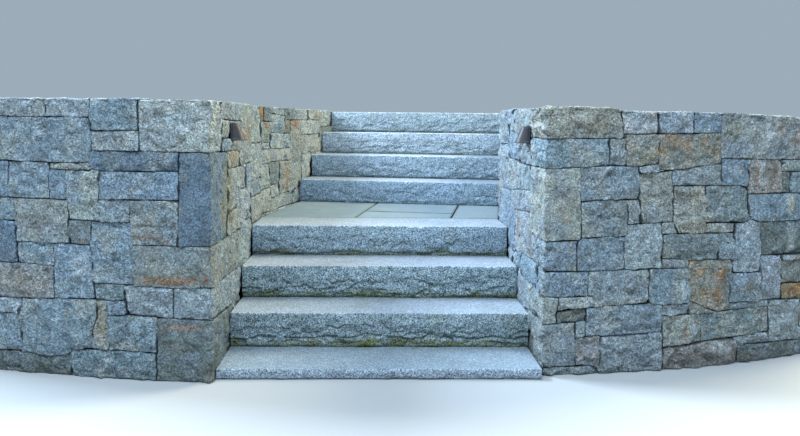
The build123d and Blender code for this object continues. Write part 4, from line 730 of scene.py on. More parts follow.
    ("light", [1059, 609, 1061, 608, 1063, 610, 1068, 627, 1068, 737, 1064, 769, 1062, 807, 1061, 819, 1055, 829, 1051, 829, 1041, 823, 1037, 822, 975, 822, 965, 820, 939, 821, 927, 823, 909, 823, 899, 821, 891, 822, 883, 820, 871, 822, 767, 821, 697, 825, 691, 822, 673, 803, 671, 797, 671, 785, 673, 769, 690, 755, 698, 743, 704, 713, 710, 657, 712, 653, 725, 641, 791, 641, 801, 639, 869, 637, 881, 635, 939, 637, 947, 635, 991, 633, 1001, 631, 1035, 630, 1041, 627]),
    ("buffgrey", [1448, 751, 1459, 753, 1495, 753, 1503, 754, 1541, 753, 1587, 756, 1597, 759, 1633, 760, 1641, 761, 1663, 761, 1667, 762, 1662, 851, 1658, 885, 1658, 903, 1655, 919, 1615, 920, 1605, 919, 1571, 918, 1561, 916, 1487, 914, 1477, 913, 1463, 913, 1459, 911, 1455, 907, 1454, 903, 1453, 851, 1435, 833, 1432, 827, 1434, 763, 1441, 754]),
    ("browngrey", [1673, 767, 1675, 765, 1687, 770, 1765, 770, 1775, 772, 1815, 772, 1823, 774, 1865, 775, 1868, 779, 1868, 789, 1865, 829, 1866, 915, 1864, 923, 1859, 925, 1807, 925, 1795, 926, 1663, 923, 1661, 921, 1660, 915, 1663, 879, 1663, 861]),
    ("rustbuff", [1909, 691, 1939, 690, 1947, 691, 2053, 693, 2063, 694, 2139, 693, 2149, 697, 2150, 701, 2150, 725, 2147, 737, 2148, 785, 2145, 823, 2145, 869, 2143, 893, 2148, 907, 2147, 914, 2141, 916, 2073, 916, 2061, 918, 2007, 918, 1993, 921, 1939, 920, 1931, 921, 1877, 922, 1871, 919, 1870, 811, 1872, 799, 1871, 773, 1872, 763, 1874, 695, 1875, 693, 1879, 692]),
    ("buffgrey", [1698, 683, 1777, 685, 1787, 687, 1865, 691, 1866, 695, 1867, 759, 1866, 767, 1861, 770, 1827, 770, 1815, 768, 1777, 768, 1767, 766, 1693, 766, 1685, 764, 1681, 761, 1681, 759, 1687, 753, 1692, 691, 1695, 685]),
    ("buff", [2159, 693, 2163, 692, 2183, 692, 2195, 693, 2205, 696, 2229, 697, 2237, 699, 2329, 701, 2371, 706, 2395, 707, 2411, 710, 2435, 725, 2447, 730, 2449, 733, 2445, 755, 2447, 765, 2448, 797, 2445, 811, 2445, 887, 2443, 893, 2438, 897, 2431, 900, 2341, 899, 2331, 897, 2283, 898, 2273, 896, 2165, 894, 2161, 895, 2153, 902, 2149, 902, 2145, 895, 2144, 879, 2146, 869, 2147, 823, 2152, 785, 2154, 701, 2155, 697]),
    ("buffgrey", [2482, 719, 2521, 717, 2581, 718, 2623, 755, 2633, 758, 2699, 759, 2705, 763, 2706, 769, 2707, 817, 2705, 829, 2706, 893, 2705, 942, 2704, 951, 2697, 958, 2693, 961, 2619, 960, 2585, 956, 2513, 953, 2479, 950, 2459, 950, 2454, 949, 2453, 907, 2448, 887, 2448, 811, 2449, 799, 2450, 755, 2451, 745, 2457, 732]),
    ("buff", [1344, 585, 1355, 583, 1437, 589, 1479, 587, 1489, 591, 1505, 591, 1515, 594, 1651, 598, 1679, 600, 1687, 609, 1688, 615, 1687, 709, 1686, 717, 1685, 737, 1683, 749, 1673, 755, 1645, 754, 1633, 752, 1597, 752, 1589, 751, 1551, 753, 1541, 751, 1505, 749, 1497, 747, 1449, 745, 1441, 747, 1431, 754, 1413, 739, 1409, 738, 1399, 740, 1307, 738, 1295, 740, 1201, 741, 1187, 743, 1077, 745, 1074, 743, 1073, 739, 1072, 625, 1065, 603, 1072, 595, 1085, 591, 1179, 591, 1207, 590, 1217, 588, 1249, 585, 1307, 587]),
    ("buffgrey", [1693, 593, 1783, 592, 1863, 595, 1873, 597, 1961, 597, 2185, 595, 2191, 599, 2195, 609, 2195, 681, 2194, 685, 2191, 688, 2161, 688, 2151, 693, 2143, 691, 2069, 690, 2045, 687, 1951, 688, 1939, 686, 1875, 685, 1865, 683, 1827, 683, 1817, 681, 1735, 679, 1725, 677, 1699, 677, 1695, 673, 1695, 611, 1688, 597]),
    ("bluegrey", [2431, 589, 2441, 590, 2445, 594, 2446, 599, 2447, 649, 2445, 661, 2443, 701, 2441, 707, 2437, 710, 2429, 710, 2413, 703, 2397, 701, 2339, 700, 2307, 698, 2265, 693, 2207, 690, 2201, 687, 2201, 607, 2197, 595, 2201, 592, 2259, 590, 2341, 591, 2423, 590]),
    ("buff", [695, 609, 697, 607, 701, 609, 704, 619, 702, 639, 706, 653, 706, 661, 693, 741, 687, 753, 675, 764, 670, 763, 645, 739, 639, 737, 621, 739, 537, 737, 523, 740, 427, 740, 423, 741, 411, 752, 401, 743, 398, 733, 394, 667, 389, 635, 390, 629, 398, 621, 447, 620, 543, 621, 555, 619, 681, 618, 689, 615]),
    ("light", [768, 361, 1053, 361, 1059, 363, 1060, 465, 1059, 523, 1057, 528, 1047, 539, 1046, 553, 1047, 585, 1058, 599, 1059, 603, 1041, 625, 1037, 629, 1031, 630, 1001, 629, 991, 631, 947, 629, 935, 631, 879, 633, 869, 635, 801, 633, 787, 635, 729, 636, 723, 638, 713, 648, 709, 648, 705, 639, 707, 619, 701, 601, 701, 557, 703, 537, 705, 491, 707, 479, 707, 435, 710, 417, 711, 415, 719, 412, 727, 407, 763, 364]),
    ("buffgrey", [-1892, 3, -1761, 1, -1687, 4, -1515, 1, -1512, 3, -1511, 9, -1515, 91, -1519, 93, -1573, 96, -1637, 93, -1687, 95, -1699, 97, -1795, 96, -1809, 98, -1869, 97, -1885, 99, -1888, 97, -1891, 89, -1891, 53, -1893, 43, -1894, 23, -1894, 7]),
    ("blue", [-1699, 99, -1685, 97, -1617, 98, -1612, 99, -1611, 101, -1610, 165, -1612, 177, -1612, 287, -1611, 297, -1611, 337, -1612, 345, -1651, 346, -1667, 344, -1807, 342, -1821, 344, -1857, 345, -1867, 347, -1897, 348, -1905, 349, -1943, 349, -1955, 351, -1979, 351, -1984, 349, -1985, 331, -1982, 287, -1982, 255, -1984, 251, -2000, 233, -1999, 191, -2000, 183, -2002, 127, -1986, 109, -1983, 107, -1963, 104, -1879, 105, -1867, 103, -1805, 102, -1795, 100]),
    ("light", [-1699, 349, -1667, 348, -1657, 350, -1619, 350, -1609, 352, -1573, 354, -1563, 356, -1515, 355, -1493, 356, -1489, 358, -1487, 407, -1485, 419, -1486, 483, -1484, 493, -1484, 537, -1482, 547, -1482, 593, -1480, 603, -1482, 607, -1571, 608, -1581, 606, -1629, 606, -1637, 604, -1677, 603, -1689, 601, -1737, 601, -1749, 599, -1861, 600, -1867, 598, -1869, 569, -1869, 533, -1871, 521, -1874, 427, -1872, 381, -1869, 355, -1855, 351, -1817, 352, -1807, 351]),
    ("buffgrey", [-1879, 605, -1753, 605, -1739, 607, -1644, 609, -1642, 613, -1644, 623, -1644, 801, -1649, 803, -1693, 801, -1753, 803, -1819, 800, -1879, 802, -1895, 800, -1979, 799, -1980, 793, -1981, 759, -1978, 745, -1978, 703, -1980, 693, -1980, 653, -1982, 643, -1982, 609, -1977, 607]),
    ("buff", [-1766, 805, -1693, 807, -1597, 804, -1509, 804, -1495, 805, -1491, 811, -1492, 841, -1493, 845, -1498, 853, -1501, 865, -1502, 925, -1505, 948, -1527, 952, -1601, 951, -1613, 953, -1695, 954, -1803, 954, -1815, 952, -1861, 952, -1863, 947, -1861, 937, -1861, 897, -1859, 887, -1858, 833, -1855, 807, -1851, 806, -1809, 807]),
    ("buffgrey", [-1959, 951, -1931, 950, -1921, 952, -1875, 953, -1865, 955, -1815, 956, -1805, 958, -1691, 958, -1647, 960, -1645, 965, -1645, 997, -1646, 1009, -1645, 1053, -1647, 1063, -1650, 1135, -1648, 1203, -1653, 1205, -1707, 1204, -1733, 1206, -1747, 1204, -1801, 1205, -1809, 1203, -1867, 1201, -1903, 1197, -1959, 1195, -1983, 1192, -1985, 1189, -1987, 1165, -1985, 1019, -1986, 957, -1983, 953]),
    ("grey", [-1519, 1529, -1750, 1298, -1886, 1434, -1886, 1315, -1887, 1265, -1889, 1255, -1890, 1203, -1877, 1201, -1835, 1205, -1811, 1205, -1801, 1207, -1749, 1208, -1739, 1210, -1717, 1210, -1707, 1209, -1635, 1207, -1625, 1205, -1581, 1207, -1569, 1205, -1507, 1203, -1500, 1205, -1497, 1210, -1497, 1225, -1498, 1229, -1507, 1241, -1507, 1285, -1509, 1295, -1510, 1401, -1508, 1495, -1509, 1527, -1512, 1529], -1750),
    ("bluegrey", [-2031, 1, -1951, 3, -1945, 5, -1943, 17, -1942, 47, -1938, 91, -1939, 97, -1941, 99, -1985, 102, -2005, 118, -2023, 101, -2027, 99, -2107, 101, -2117, 99, -2175, 97, -2187, 95, -2265, 95, -2270, 93, -2272, 9, -2271, 3, -2269, 2, -2119, 3]),
    ("buff", [-2341, 101, -2295, 100, -2187, 101, -2177, 102, -2119, 101, -2107, 103, -2029, 105, -2011, 123, -2008, 133, -2007, 183, -2005, 195, -2004, 231, -2021, 249, -2027, 251, -2063, 251, -2075, 249, -2159, 249, -2169, 248, -2207, 247, -2217, 245, -2267, 243, -2379, 244, -2391, 245, -2409, 244, -2411, 239, -2412, 181, -2410, 107, -2397, 104, -2349, 103]),
    ("lightbuff", [-2005, 239, -2003, 238, -1999, 240, -1988, 251, -1986, 257, -1986, 285, -1988, 293, -1991, 347, -1993, 350, -2091, 353, -2187, 345, -2225, 346, -2235, 344, -2297, 343, -2301, 341, -2301, 255, -2299, 249, -2217, 247, -2207, 248, -2171, 248, -2159, 250, -2127, 252, -2117, 254, -2077, 255, -2067, 257, -2031, 256, -2021, 254]),
    ("browngrey", [-2422, 349, -2237, 348, -2225, 350, -2189, 351, -2181, 353, -2103, 353, -2062, 357, -2060, 361, -2059, 397, -2061, 409, -2063, 511, -2061, 523, -2057, 603, -2063, 604, -2125, 603, -2133, 601, -2177, 602, -2247, 598, -2305, 601, -2355, 597, -2421, 597, -2424, 591, -2423, 459, -2421, 447]),
    ("lightbuff", [-2290, 605, -2287, 604, -2279, 604, -2233, 608, -2169, 606, -2137, 607, -2115, 609, -1991, 607, -1987, 619, -1986, 645, -1984, 653, -1983, 693, -1982, 705, -1982, 749, -1985, 752, -1993, 753, -2181, 752, -2193, 754, -2289, 754, -2291, 749, -2289, 677]),
    ("buff", [-2443, 757, -2437, 756, -2385, 756, -2373, 758, -2295, 757, -2225, 759, -2191, 758, -2175, 756, -2039, 756, -2036, 759, -2036, 773, -2038, 783, -2038, 833, -2041, 845, -2043, 892, -2045, 894, -2049, 895, -2199, 898, -2211, 899, -2293, 899, -2305, 901, -2385, 902, -2405, 905, -2441, 904, -2443, 899, -2442, 821, -2444, 809]),
    ("grey", [-2200, 903, -2053, 905, -1961, 903, -1941, 905, -1938, 907, -1938, 911, -1939, 945, -1943, 949, -1983, 947, -1989, 949, -1991, 955, -1992, 1037, -1992, 1041, -1995, 1042, -2031, 1043, -2043, 1041, -2109, 1041, -2147, 1042, -2159, 1045, -2227, 1043, -2239, 1045, -2281, 1046, -2284, 1043, -2284, 1031, -2283, 971, -2284, 961, -2284, 907, -2279, 905, -2209, 905]),
    ("light", [-2054, 1414, -2170, 1298, -2362, 1490, -2363, 1490, -2377, 1485, -2391, 1484, -2411, 1493, -2413, 1494, -2415, 1492, -2415, 1443, -2418, 1369, -2415, 1281, -2416, 1217, -2415, 1207, -2414, 1155, -2415, 1149, -2427, 1136, -2429, 1131, -2425, 1071, -2413, 1057, -2397, 1054, -2347, 1055, -2337, 1053, -2295, 1052, -2285, 1050, -2237, 1051, -2225, 1049, -2185, 1047, -2155, 1047, -2147, 1045, -2063, 1046, -2059, 1048, -2057, 1053, -2053, 1285, -2054, 1393], -2170),
    ("grey", [3751, 3, 3845, 2, 3863, 2, 3867, 4, 3869, 119, 3867, 129, 3866, 197, 3864, 207, 3863, 241, 3861, 245, 3781, 245, 3757, 247, 3750, 245, 3747, 127, 3749, 7]),
    ("light", [3815, 251, 3963, 251, 3976, 255, 3979, 305, 3978, 345, 3975, 359, 3976, 429, 3979, 449, 3994, 467, 3997, 479, 3981, 496, 3975, 498, 3929, 497, 3921, 499, 3825, 501, 3813, 503, 3753, 502, 3749, 500, 3749, 257, 3753, 254]),
    ("light", [3822, 503, 3877, 504, 3881, 505, 3883, 509, 3885, 555, 3884, 635, 3881, 651, 3880, 697, 3877, 699, 3829, 700, 3751, 697, 3749, 695, 3748, 691, 3748, 509, 3749, 507, 3753, 506, 3815, 505]),
    ("browngrey", [3750, 703, 3773, 703, 3785, 705, 3867, 705, 3883, 707, 3986, 707, 3988, 711, 3989, 755, 3987, 765, 3987, 807, 3985, 815, 3982, 851, 3977, 853, 3967, 852, 3935, 853, 3915, 869, 3911, 870, 3895, 853, 3889, 850, 3749, 848, 3747, 843, 3747, 803, 3748, 709]),
    ("blue", [3749, 853, 3825, 852, 3839, 854, 3887, 855, 3894, 859, 3908, 875, 3908, 881, 3891, 899, 3888, 905, 3890, 1011, 3892, 1023, 3891, 1045, 3889, 1048, 3817, 1049, 3803, 1051, 3755, 1051, 3749, 1049, 3748, 995]),
    ("blue", [3956, 1507, 3747, 1298, 3624, 1421, 3623, 1369, 3624, 1279, 3626, 1255, 3629, 1253, 3635, 1252, 3739, 1253, 3747, 1251, 3749, 1245, 3749, 1059, 3753, 1057, 3807, 1057, 3816, 1055, 3967, 1055, 3973, 1057, 3972, 1191, 3977, 1257, 3975, 1345, 3976, 1483, 3973, 1490], 3747),
    ("bluegrey", [4116, 1, 4215, 3, 4305, 1, 4427, 2, 4429, 5, 4431, 31, 4428, 125, 4429, 193, 4427, 195, 4419, 198, 4351, 203, 4189, 206, 4083, 201, 4031, 196, 4029, 189, 4029, 5, 4033, 2]),
    ("bluegrey", [3936, 199, 4071, 205, 4119, 210, 4255, 211, 4295, 209, 4297, 213, 4298, 231, 4300, 239, 4302, 305, 4309, 371, 4310, 427, 4312, 435, 4311, 442, 4307, 444, 4259, 444, 4247, 446, 4081, 445, 4069, 447, 4019, 447, 4013, 450, 4001, 462, 3997, 462, 3983, 449, 3980, 427, 3982, 251, 3979, 248, 3969, 245, 3939, 245, 3935, 243, 3934, 203]),
    ("browngrey", [4439, 445, 4467, 445, 4478, 455, 4480, 461, 4479, 478, 4467, 491, 4464, 497, 4464, 569, 4461, 589, 4460, 633, 4457, 639, 4411, 640, 4371, 644, 4301, 642, 4255, 646, 4113, 647, 4101, 649, 4037, 649, 4031, 647, 4020, 501, 4018, 495, 4004, 481, 4001, 473, 4004, 467, 4019, 454, 4071, 453, 4083, 451, 4187, 451, 4249, 450, 4261, 448, 4333, 449, 4345, 447, 4427, 447]),
    ("lightbuff", [4203, 651, 4239, 650, 4285, 651, 4297, 650, 4303, 650, 4306, 653, 4308, 703, 4306, 711, 4306, 749, 4304, 757, 4303, 789, 4301, 799, 4300, 899, 4298, 905, 4279, 908, 4221, 907, 4123, 908, 4107, 908, 4097, 906, 4049, 905, 4041, 903, 3997, 904, 3985, 902, 3937, 901, 3932, 899, 3917, 882, 3915, 879, 3916, 875, 3937, 857, 3965, 857, 3983, 859, 3987, 856, 3989, 849, 3989, 769, 3992, 755, 3992, 705, 3991, 703, 3987, 701, 3943, 700, 3941, 695, 3941, 665, 3943, 658, 3969, 655, 4103, 655, 4115, 653, 4185, 653]),
    ("light", [4435, 903, 4445, 902, 4448, 903, 4449, 907, 4447, 1025, 4450, 1047, 4450, 1091, 4449, 1097, 4409, 1099, 4401, 1101, 4289, 1104, 4277, 1106, 4141, 1108, 4121, 1107, 4111, 1105, 4067, 1103, 4059, 1102, 4027, 1102, 4022, 1101, 4021, 1061, 4023, 1049, 4026, 983, 4027, 975, 4030, 923, 4033, 911, 4035, 909, 4051, 911, 4097, 910, 4107, 912, 4249, 913, 4281, 912, 4293, 910, 4363, 910]),
    ("buffgrey", [4309, 1440, 4167, 1298, 3979, 1485, 3981, 1343, 3979, 1233, 3978, 1225, 3978, 1109, 3979, 1105, 3991, 1103, 4057, 1106, 4067, 1108, 4111, 1106, 4121, 1108, 4277, 1110, 4303, 1108, 4309, 1109, 4310, 1111, 4310, 1257, 4308, 1271, 4310, 1387], 4167),
    ("buffgrey", [-3286, 1, -3189, 2, -3045, 2, -3039, 3, -3036, 79, -3032, 123, -3033, 139, -3109, 140, -3121, 142, -3191, 141, -3203, 143, -3269, 145, -3311, 144, -3313, 141, -3313, 131, -3313, 5, -3309, 2]),
    ("blue", [-2903, 1, -2695, 1, -2669, 1, -2664, 3, -2664, 141, -2664, 161, -2662, 171, -2661, 229, -2659, 241, -2660, 247, -2665, 249, -2711, 249, -2721, 247, -2787, 247, -2801, 244, -2827, 243, -2897, 246, -2949, 243, -2959, 241, -3019, 244, -3025, 241, -3027, 155, -3028, 145, -3030, 87, -3032, 79, -3032, 49, -3034, 39, -3033, 3, -3027, 2]),
    ("rustbuff", [-2616, 1, -2411, 2, -2409, 9, -2412, 97, -2415, 99, -2449, 100, -2461, 102, -2509, 103, -2519, 105, -2657, 103, -2659, 102, -2660, 97, -2660, 5, -2659, 3, -2655, 1]),
    ("buffgrey", [-2405, 3, -2399, 2, -2277, 2, -2275, 11, -2277, 94, -2283, 96, -2339, 96, -2351, 97, -2403, 96, -2405, 91]),
    ("lightblue", [-1936, 3, -1903, 2, -1898, 5, -1896, 97, -1899, 99, -1929, 100, -1933, 97, -1936, 81, -1936, 53, -1937, 45, -1938, 15, -1939, 7]),
    ("bluegrey", [-1507, 1, -1309, 2, -1307, 3, -1306, 7, -1303, 46, -1307, 49, -1337, 48, -1347, 50, -1431, 52, -1443, 50, -1505, 48, -1508, 45, -1509, 37, -1510, 7]),
    ("light", [3873, 3, 4007, 2, 4023, 3, 4024, 47, 4023, 91, 4015, 93, 3981, 93, 3967, 92, 3933, 92, 3919, 94, 3873, 93, 3872, 9]),
    ("lightblue", [4432, 3, 4437, 1, 4511, 4, 4580, 3, 4582, 7, 4582, 55, 4584, 67, 4584, 97, 4579, 99, 4437, 100, 4435, 97, 4434, 79, 4433, 27, 4431, 17]),
    ("buffgrey", [4587, 3, 4593, 1, 4629, 1, 4665, 3, 4669, 5, 4671, 75, 4673, 87, 4671, 96, 4591, 98, 4588, 97, 4587, 63, 4585, 53]),
    ("bluegrey", [4712, 3, 4779, 3, 4785, 5, 4786, 69, 4785, 91, 4783, 95, 4685, 96, 4677, 94, 4674, 73, 4676, 5, 4681, 3]),
    ("rustbuff", [5028, 1, 5137, 3, 5143, 5, 5143, 59, 5145, 73, 5146, 143, 5145, 147, 5073, 147, 5049, 148, 5039, 150, 5011, 151, 4961, 149, 4947, 147, 4813, 147, 4792, 143, 4790, 53, 4791, 7, 4793, 3, 4903, 1, 4969, 4]),
    ("darkblue", [5149, 3, 5157, 2, 5241, 2, 5243, 7, 5243, 47, 5239, 50, 5215, 49, 5183, 48, 5175, 46, 5150, 45, 5148, 39]),
    ("buff", [5469, 1, 5479, 1, 5481, 5, 5481, 27, 5482, 35, 5481, 81, 5483, 93, 5481, 99, 5395, 101, 5311, 97, 5255, 100, 5249, 99, 5247, 97, 5246, 61, 5245, 49, 5246, 7, 5247, 3]),
    ("bluegrey", [5485, 1, 5713, 4, 5715, 8, 5715, 57, 5717, 67, 5718, 91, 5717, 99, 5675, 102, 5501, 101, 5491, 99, 5489, 96, 5487, 81, 5485, 35, 5483, 23, 5483, 5]),
    ("grey", [5725, 3, 5847, 3, 5852, 5, 5854, 65, 5856, 75, 5857, 109, 5859, 119, 5859, 143, 5857, 148, 5813, 147, 5803, 149, 5733, 149, 5727, 147, 5724, 129, 5723, 105, 5722, 97, 5723, 65, 5721, 55, 5721, 7]),
    ("bluegrey", [5895, 1, 5939, 1, 5989, 3, 6053, 1, 6095, 3, 6098, 5, 6099, 9, 6103, 91, 6075, 94, 5983, 93, 5971, 95, 5903, 97, 5891, 99, 5861, 98, 5859, 95, 5859, 73, 5858, 65, 5859, 5, 5863, 3]),
    ("browngrey", [6129, 3, 6181, 1, 6323, 4, 6325, 11, 6325, 57, 6323, 69, 6325, 123, 6321, 143, 6305, 144, 6112, 143, 6110, 139, 6104, 47, 6106, 9, 6107, 5, 6109, 4]),
    ("lightbuff", [6543, 1, 6693, 1, 6702, 3, 6703, 57, 6701, 244, 6695, 246, 6523, 247, 6511, 249, 6385, 249, 6325, 247, 6324, 243, 6325, 209, 6327, 193, 6325, 137, 6327, 127, 6328, 71, 6330, 59, 6331, 3, 6349, 2, 6463, 3]),
    ("bluegrey", [6815, 1, 6877, 1, 6945, 3, 7027, 1, 7124, 3, 7126, 9, 7127, 107, 7129, 117, 7128, 151, 7121, 153, 6803, 153, 6791, 151, 6723, 150, 6709, 147, 6706, 141, 6705, 69, 6706, 3, 6711, 2, 6765, 3]),
    ("buffgrey", [7136, 3, 7247, 2, 7319, 4, 7322, 11, 7323, 17, 7320, 99, 7315, 101, 7201, 103, 7131, 101, 7129, 89, 7131, 9, 7132, 5]),
    ("light", [7476, 1, 7511, 1, 7515, 3, 7514, 141, 7513, 147, 7339, 149, 7331, 150, 7328, 149, 7327, 57, 7329, 33, 7329, 4, 7337, 3, 7425, 3]),
    ("light", [-1473, 51, -1443, 51, -1433, 52, -1393, 55, -1392, 63, -1393, 97, -1399, 98, -1455, 99, -1505, 94, -1507, 89, -1507, 54, -1503, 52]),
    ("bluegrey", [-1341, 53, -1307, 51, -1303, 55, -1302, 141, -1300, 153, -1299, 181, -1303, 245, -1305, 248, -1309, 249, -1387, 247, -1389, 245, -1390, 241, -1390, 199, -1388, 187, -1388, 57, -1387, 55, -1383, 54, -1347, 54]),
    ("buffgrey", [5157, 51, 5183, 52, 5237, 51, 5242, 53, 5245, 63, 5245, 115, 5246, 125, 5245, 145, 5239, 147, 5153, 147, 5150, 141, 5151, 69, 5149, 57, 5151, 52]),
    ("bluegrey", [-1284, 75, -1251, 76, -1245, 78, -1243, 99, -1245, 121, -1242, 143, -1243, 147, -1245, 149, -1291, 149, -1296, 147, -1298, 97, -1300, 79, -1297, 75]),
    ("grey", [-2452, 105, -2423, 105, -2418, 107, -2416, 173, -2416, 193, -2418, 197, -2461, 197, -2473, 199, -2525, 201, -2593, 198, -2651, 200, -2657, 199, -2660, 157, -2659, 115, -2657, 109]),
    ("grey", [-1605, 99, -1521, 102, -1479, 100, -1471, 101, -1437, 101, -1394, 103, -1392, 109, -1393, 183, -1395, 197, -1395, 246, -1401, 248, -1451, 248, -1463, 247, -1523, 246, -1535, 244, -1593, 244, -1607, 242, -1609, 239, -1609, 225]),
    ("browngrey", [3930, 97, 3967, 97, 3979, 99, 4017, 99, 4022, 101, 4023, 189, 4023, 195, 4021, 197, 3871, 194, 3869, 187, 3869, 131, 3873, 99]),
    ("buffgrey", [4594, 99, 4619, 99, 4624, 103, 4625, 189, 4623, 194, 4535, 193, 4525, 195, 4467, 194, 4453, 196, 4439, 196, 4435, 194, 4435, 111, 4437, 107, 4461, 104, 4505, 103, 4513, 101, 4587, 101]),
    ("blue", [4628, 101, 4635, 100, 4688, 101, 4690, 105, 4691, 144, 4687, 146, 4673, 146, 4663, 144, 4629, 143, 4628, 137]),
    ("buffgrey", [4695, 101, 4777, 101, 4784, 103, 4786, 191, 4784, 241, 4783, 245, 4751, 245, 4739, 243, 4705, 244, 4696, 241, 4695, 221, 4696, 209, 4696, 135, 4694, 121]),
    ("bluegrey", [5249, 101, 5283, 101, 5325, 106, 5399, 103, 5466, 105, 5468, 109, 5470, 141, 5469, 250, 5465, 252, 5437, 252, 5427, 250, 5371, 249, 5359, 247, 5254, 247, 5252, 241, 5253, 191, 5251, 181, 5249, 125, 5247, 113, 5247, 104]),
    ("light", [5476, 105, 5501, 107, 5679, 106, 5691, 104, 5717, 104, 5720, 107, 5722, 139, 5722, 199, 5717, 200, 5649, 201, 5633, 203, 5509, 204, 5477, 202, 5474, 197, 5474, 139, 5472, 127, 5473, 109]),
    ("grey", [6082, 97, 6099, 96, 6104, 99, 6106, 147, 6108, 155, 6108, 187, 6110, 195, 6110, 291, 6109, 297, 6055, 299, 5875, 297, 5869, 295, 5870, 245, 5868, 235, 5866, 191, 5864, 183, 5863, 155, 5861, 145, 5861, 119, 5859, 109, 5861, 102, 5905, 99, 5975, 102, 5985, 100]),
    ("bluegrey", [7133, 105, 7320, 107, 7322, 113, 7322, 243, 7321, 251, 7315, 252, 7245, 253, 7143, 252, 7137, 251, 7134, 227, 7133, 175, 7131, 165, 7131, 117, 7129, 109]),
    ("bluegrey", [-1239, 105, -1173, 104, -1149, 104, -1145, 106, -1141, 181, -1143, 261, -1145, 267, -1177, 265, -1193, 269, -1229, 270, -1235, 270, -1239, 267, -1241, 225, -1239, 213]),
    ("bluegrey", [-3311, 149, -3289, 148, -3201, 150, -3189, 148, -3173, 149, -3170, 155, -3168, 201, -3166, 217, -3166, 243, -3169, 245, -3191, 246, -3309, 243, -3311, 241, -3312, 235, -3312, 155]),
    ("rustbuff", [-3108, 145, -3039, 145, -3033, 147, -3031, 155, -3030, 183, -3028, 195, -3027, 237, -3029, 242, -3075, 241, -3083, 243, -3157, 245, -3162, 243, -3163, 201, -3162, 149, -3155, 147, -3117, 147]),
    ("yellowbuff", [-1293, 155, -1245, 154, -1242, 157, -1241, 209, -1244, 223, -1244, 243, -1244, 263, -1243, 271, -1244, 279, -1244, 331, -1245, 335, -1261, 340, -1293, 340, -1297, 338, -1300, 333, -1300, 305, -1298, 293, -1297, 251, -1296, 163, -1295, 157]),
    ("bluegrey", [4629, 149, 4661, 148, 4669, 150, 4689, 150, 4692, 153, 4689, 283, 4687, 291, 4685, 293, 4665, 293, 4655, 291, 4633, 290, 4629, 289, 4628, 287]),
    ("bluegrey", [4794, 151, 4852, 153, 4854, 159, 4853, 197, 4849, 199, 4819, 200, 4792, 197, 4790, 191, 4791, 157, 4791, 153]),
    ("buffgrey", [4860, 153, 4947, 152, 4957, 154, 4983, 154, 4987, 155, 4990, 255, 4995, 297, 4993, 304, 4895, 303, 4887, 302, 4863, 303, 4857, 301, 4859, 235, 4858, 161]),
    ("pink", [5045, 153, 5055, 152, 5060, 155, 5060, 195, 5058, 201, 5017, 202, 4993, 201, 4991, 165, 4993, 154]),
    ("rustbuff", [5066, 153, 5159, 151, 5244, 153, 5246, 157, 5245, 185, 5247, 195, 5247, 247, 5241, 248, 5193, 248, 5181, 250, 5133, 250, 5123, 251, 5071, 251, 5067, 243, 5066, 207, 5064, 195, 5064, 159]),
    ("bluegrey", [5820, 153, 5855, 152, 5859, 152, 5860, 155, 5860, 237, 5862, 249, 5864, 301, 5863, 346, 5861, 347, 5853, 348, 5735, 346, 5733, 341, 5733, 291, 5732, 245, 5730, 235, 5731, 201, 5728, 157, 5733, 155, 5805, 156]),
    ("bluegrey", [6113, 149, 6123, 148, 6173, 149, 6175, 155, 6174, 191, 6169, 193, 6121, 194, 6115, 193, 6112, 183]),
    ("browngrey", [6182, 149, 6299, 148, 6321, 149, 6321, 195, 6319, 207, 6320, 291, 6319, 298, 6187, 298, 6181, 297, 6180, 155]),
    ("grey", [6708, 155, 6711, 153, 6721, 155, 6793, 154, 6796, 157, 6796, 161, 6793, 195, 6791, 197, 6785, 198, 6709, 197, 6707, 191]),
    ("buffgrey", [6801, 157, 6807, 156, 6933, 155, 7125, 156, 7128, 159, 7130, 175, 7129, 227, 7131, 239, 7133, 301, 7131, 303, 7125, 304, 7051, 302, 7041, 300, 6969, 301, 6957, 299, 6875, 297, 6865, 295, 6800, 295, 6798, 289, 6798, 245, 6798, 191, 6800, 181]),
    ("grey", [7450, 153, 7507, 152, 7513, 153, 7514, 231, 7513, 245, 7483, 248, 7427, 249, 7415, 251, 7361, 251, 7349, 252, 7331, 252, 7327, 250, 7327, 163, 7327, 159, 7329, 157, 7341, 155, 7427, 155, 7443, 155]),
    ("buffgrey", [567, 183, 721, 185, 724, 189, 723, 213, 721, 216, 631, 220, 621, 222, 601, 222, 585, 213, 554, 187, 554, 185, 555, 184]),
    ("rustbuff", [-2541, 203, -2471, 205, -2459, 203, -2423, 202, -2417, 205, -2416, 331, -2418, 343, -2455, 346, -2543, 345, -2557, 347, -2649, 349, -2656, 347, -2656, 239, -2658, 227, -2657, 205, -2651, 204, -2593, 206]),
    ("rustbuff", [3872, 199, 3879, 198, 3929, 199, 3930, 203, 3930, 235, 3927, 244, 3921, 246, 3871, 245, 3868, 241, 3868, 207, 3869, 202]),
    ("buffgrey", [4465, 199, 4485, 198, 4489, 201, 4491, 269, 4493, 281, 4492, 327, 4493, 335, 4492, 339, 4441, 341, 4431, 342, 4393, 342, 4385, 343, 4353, 343, 4343, 346, 4323, 347, 4313, 347, 4310, 345, 4307, 333, 4304, 237, 4302, 229, 4302, 213, 4304, 209, 4361, 203, 4421, 202]),
    ("buffgrey", [4530, 197, 4605, 196, 4621, 198, 4624, 201, 4624, 251, 4621, 271, 4620, 293, 4622, 351, 4619, 387, 4617, 391, 4585, 392, 4573, 390, 4505, 390, 4499, 389, 4499, 337, 4496, 327, 4495, 279, 4493, 267, 4494, 203, 4496, 199, 4499, 198]),
    ("buff", [4794, 203, 4847, 205, 4852, 207, 4855, 295, 4853, 302, 4835, 303, 4825, 300, 4795, 299, 4791, 297, 4791, 209, 4791, 205]),
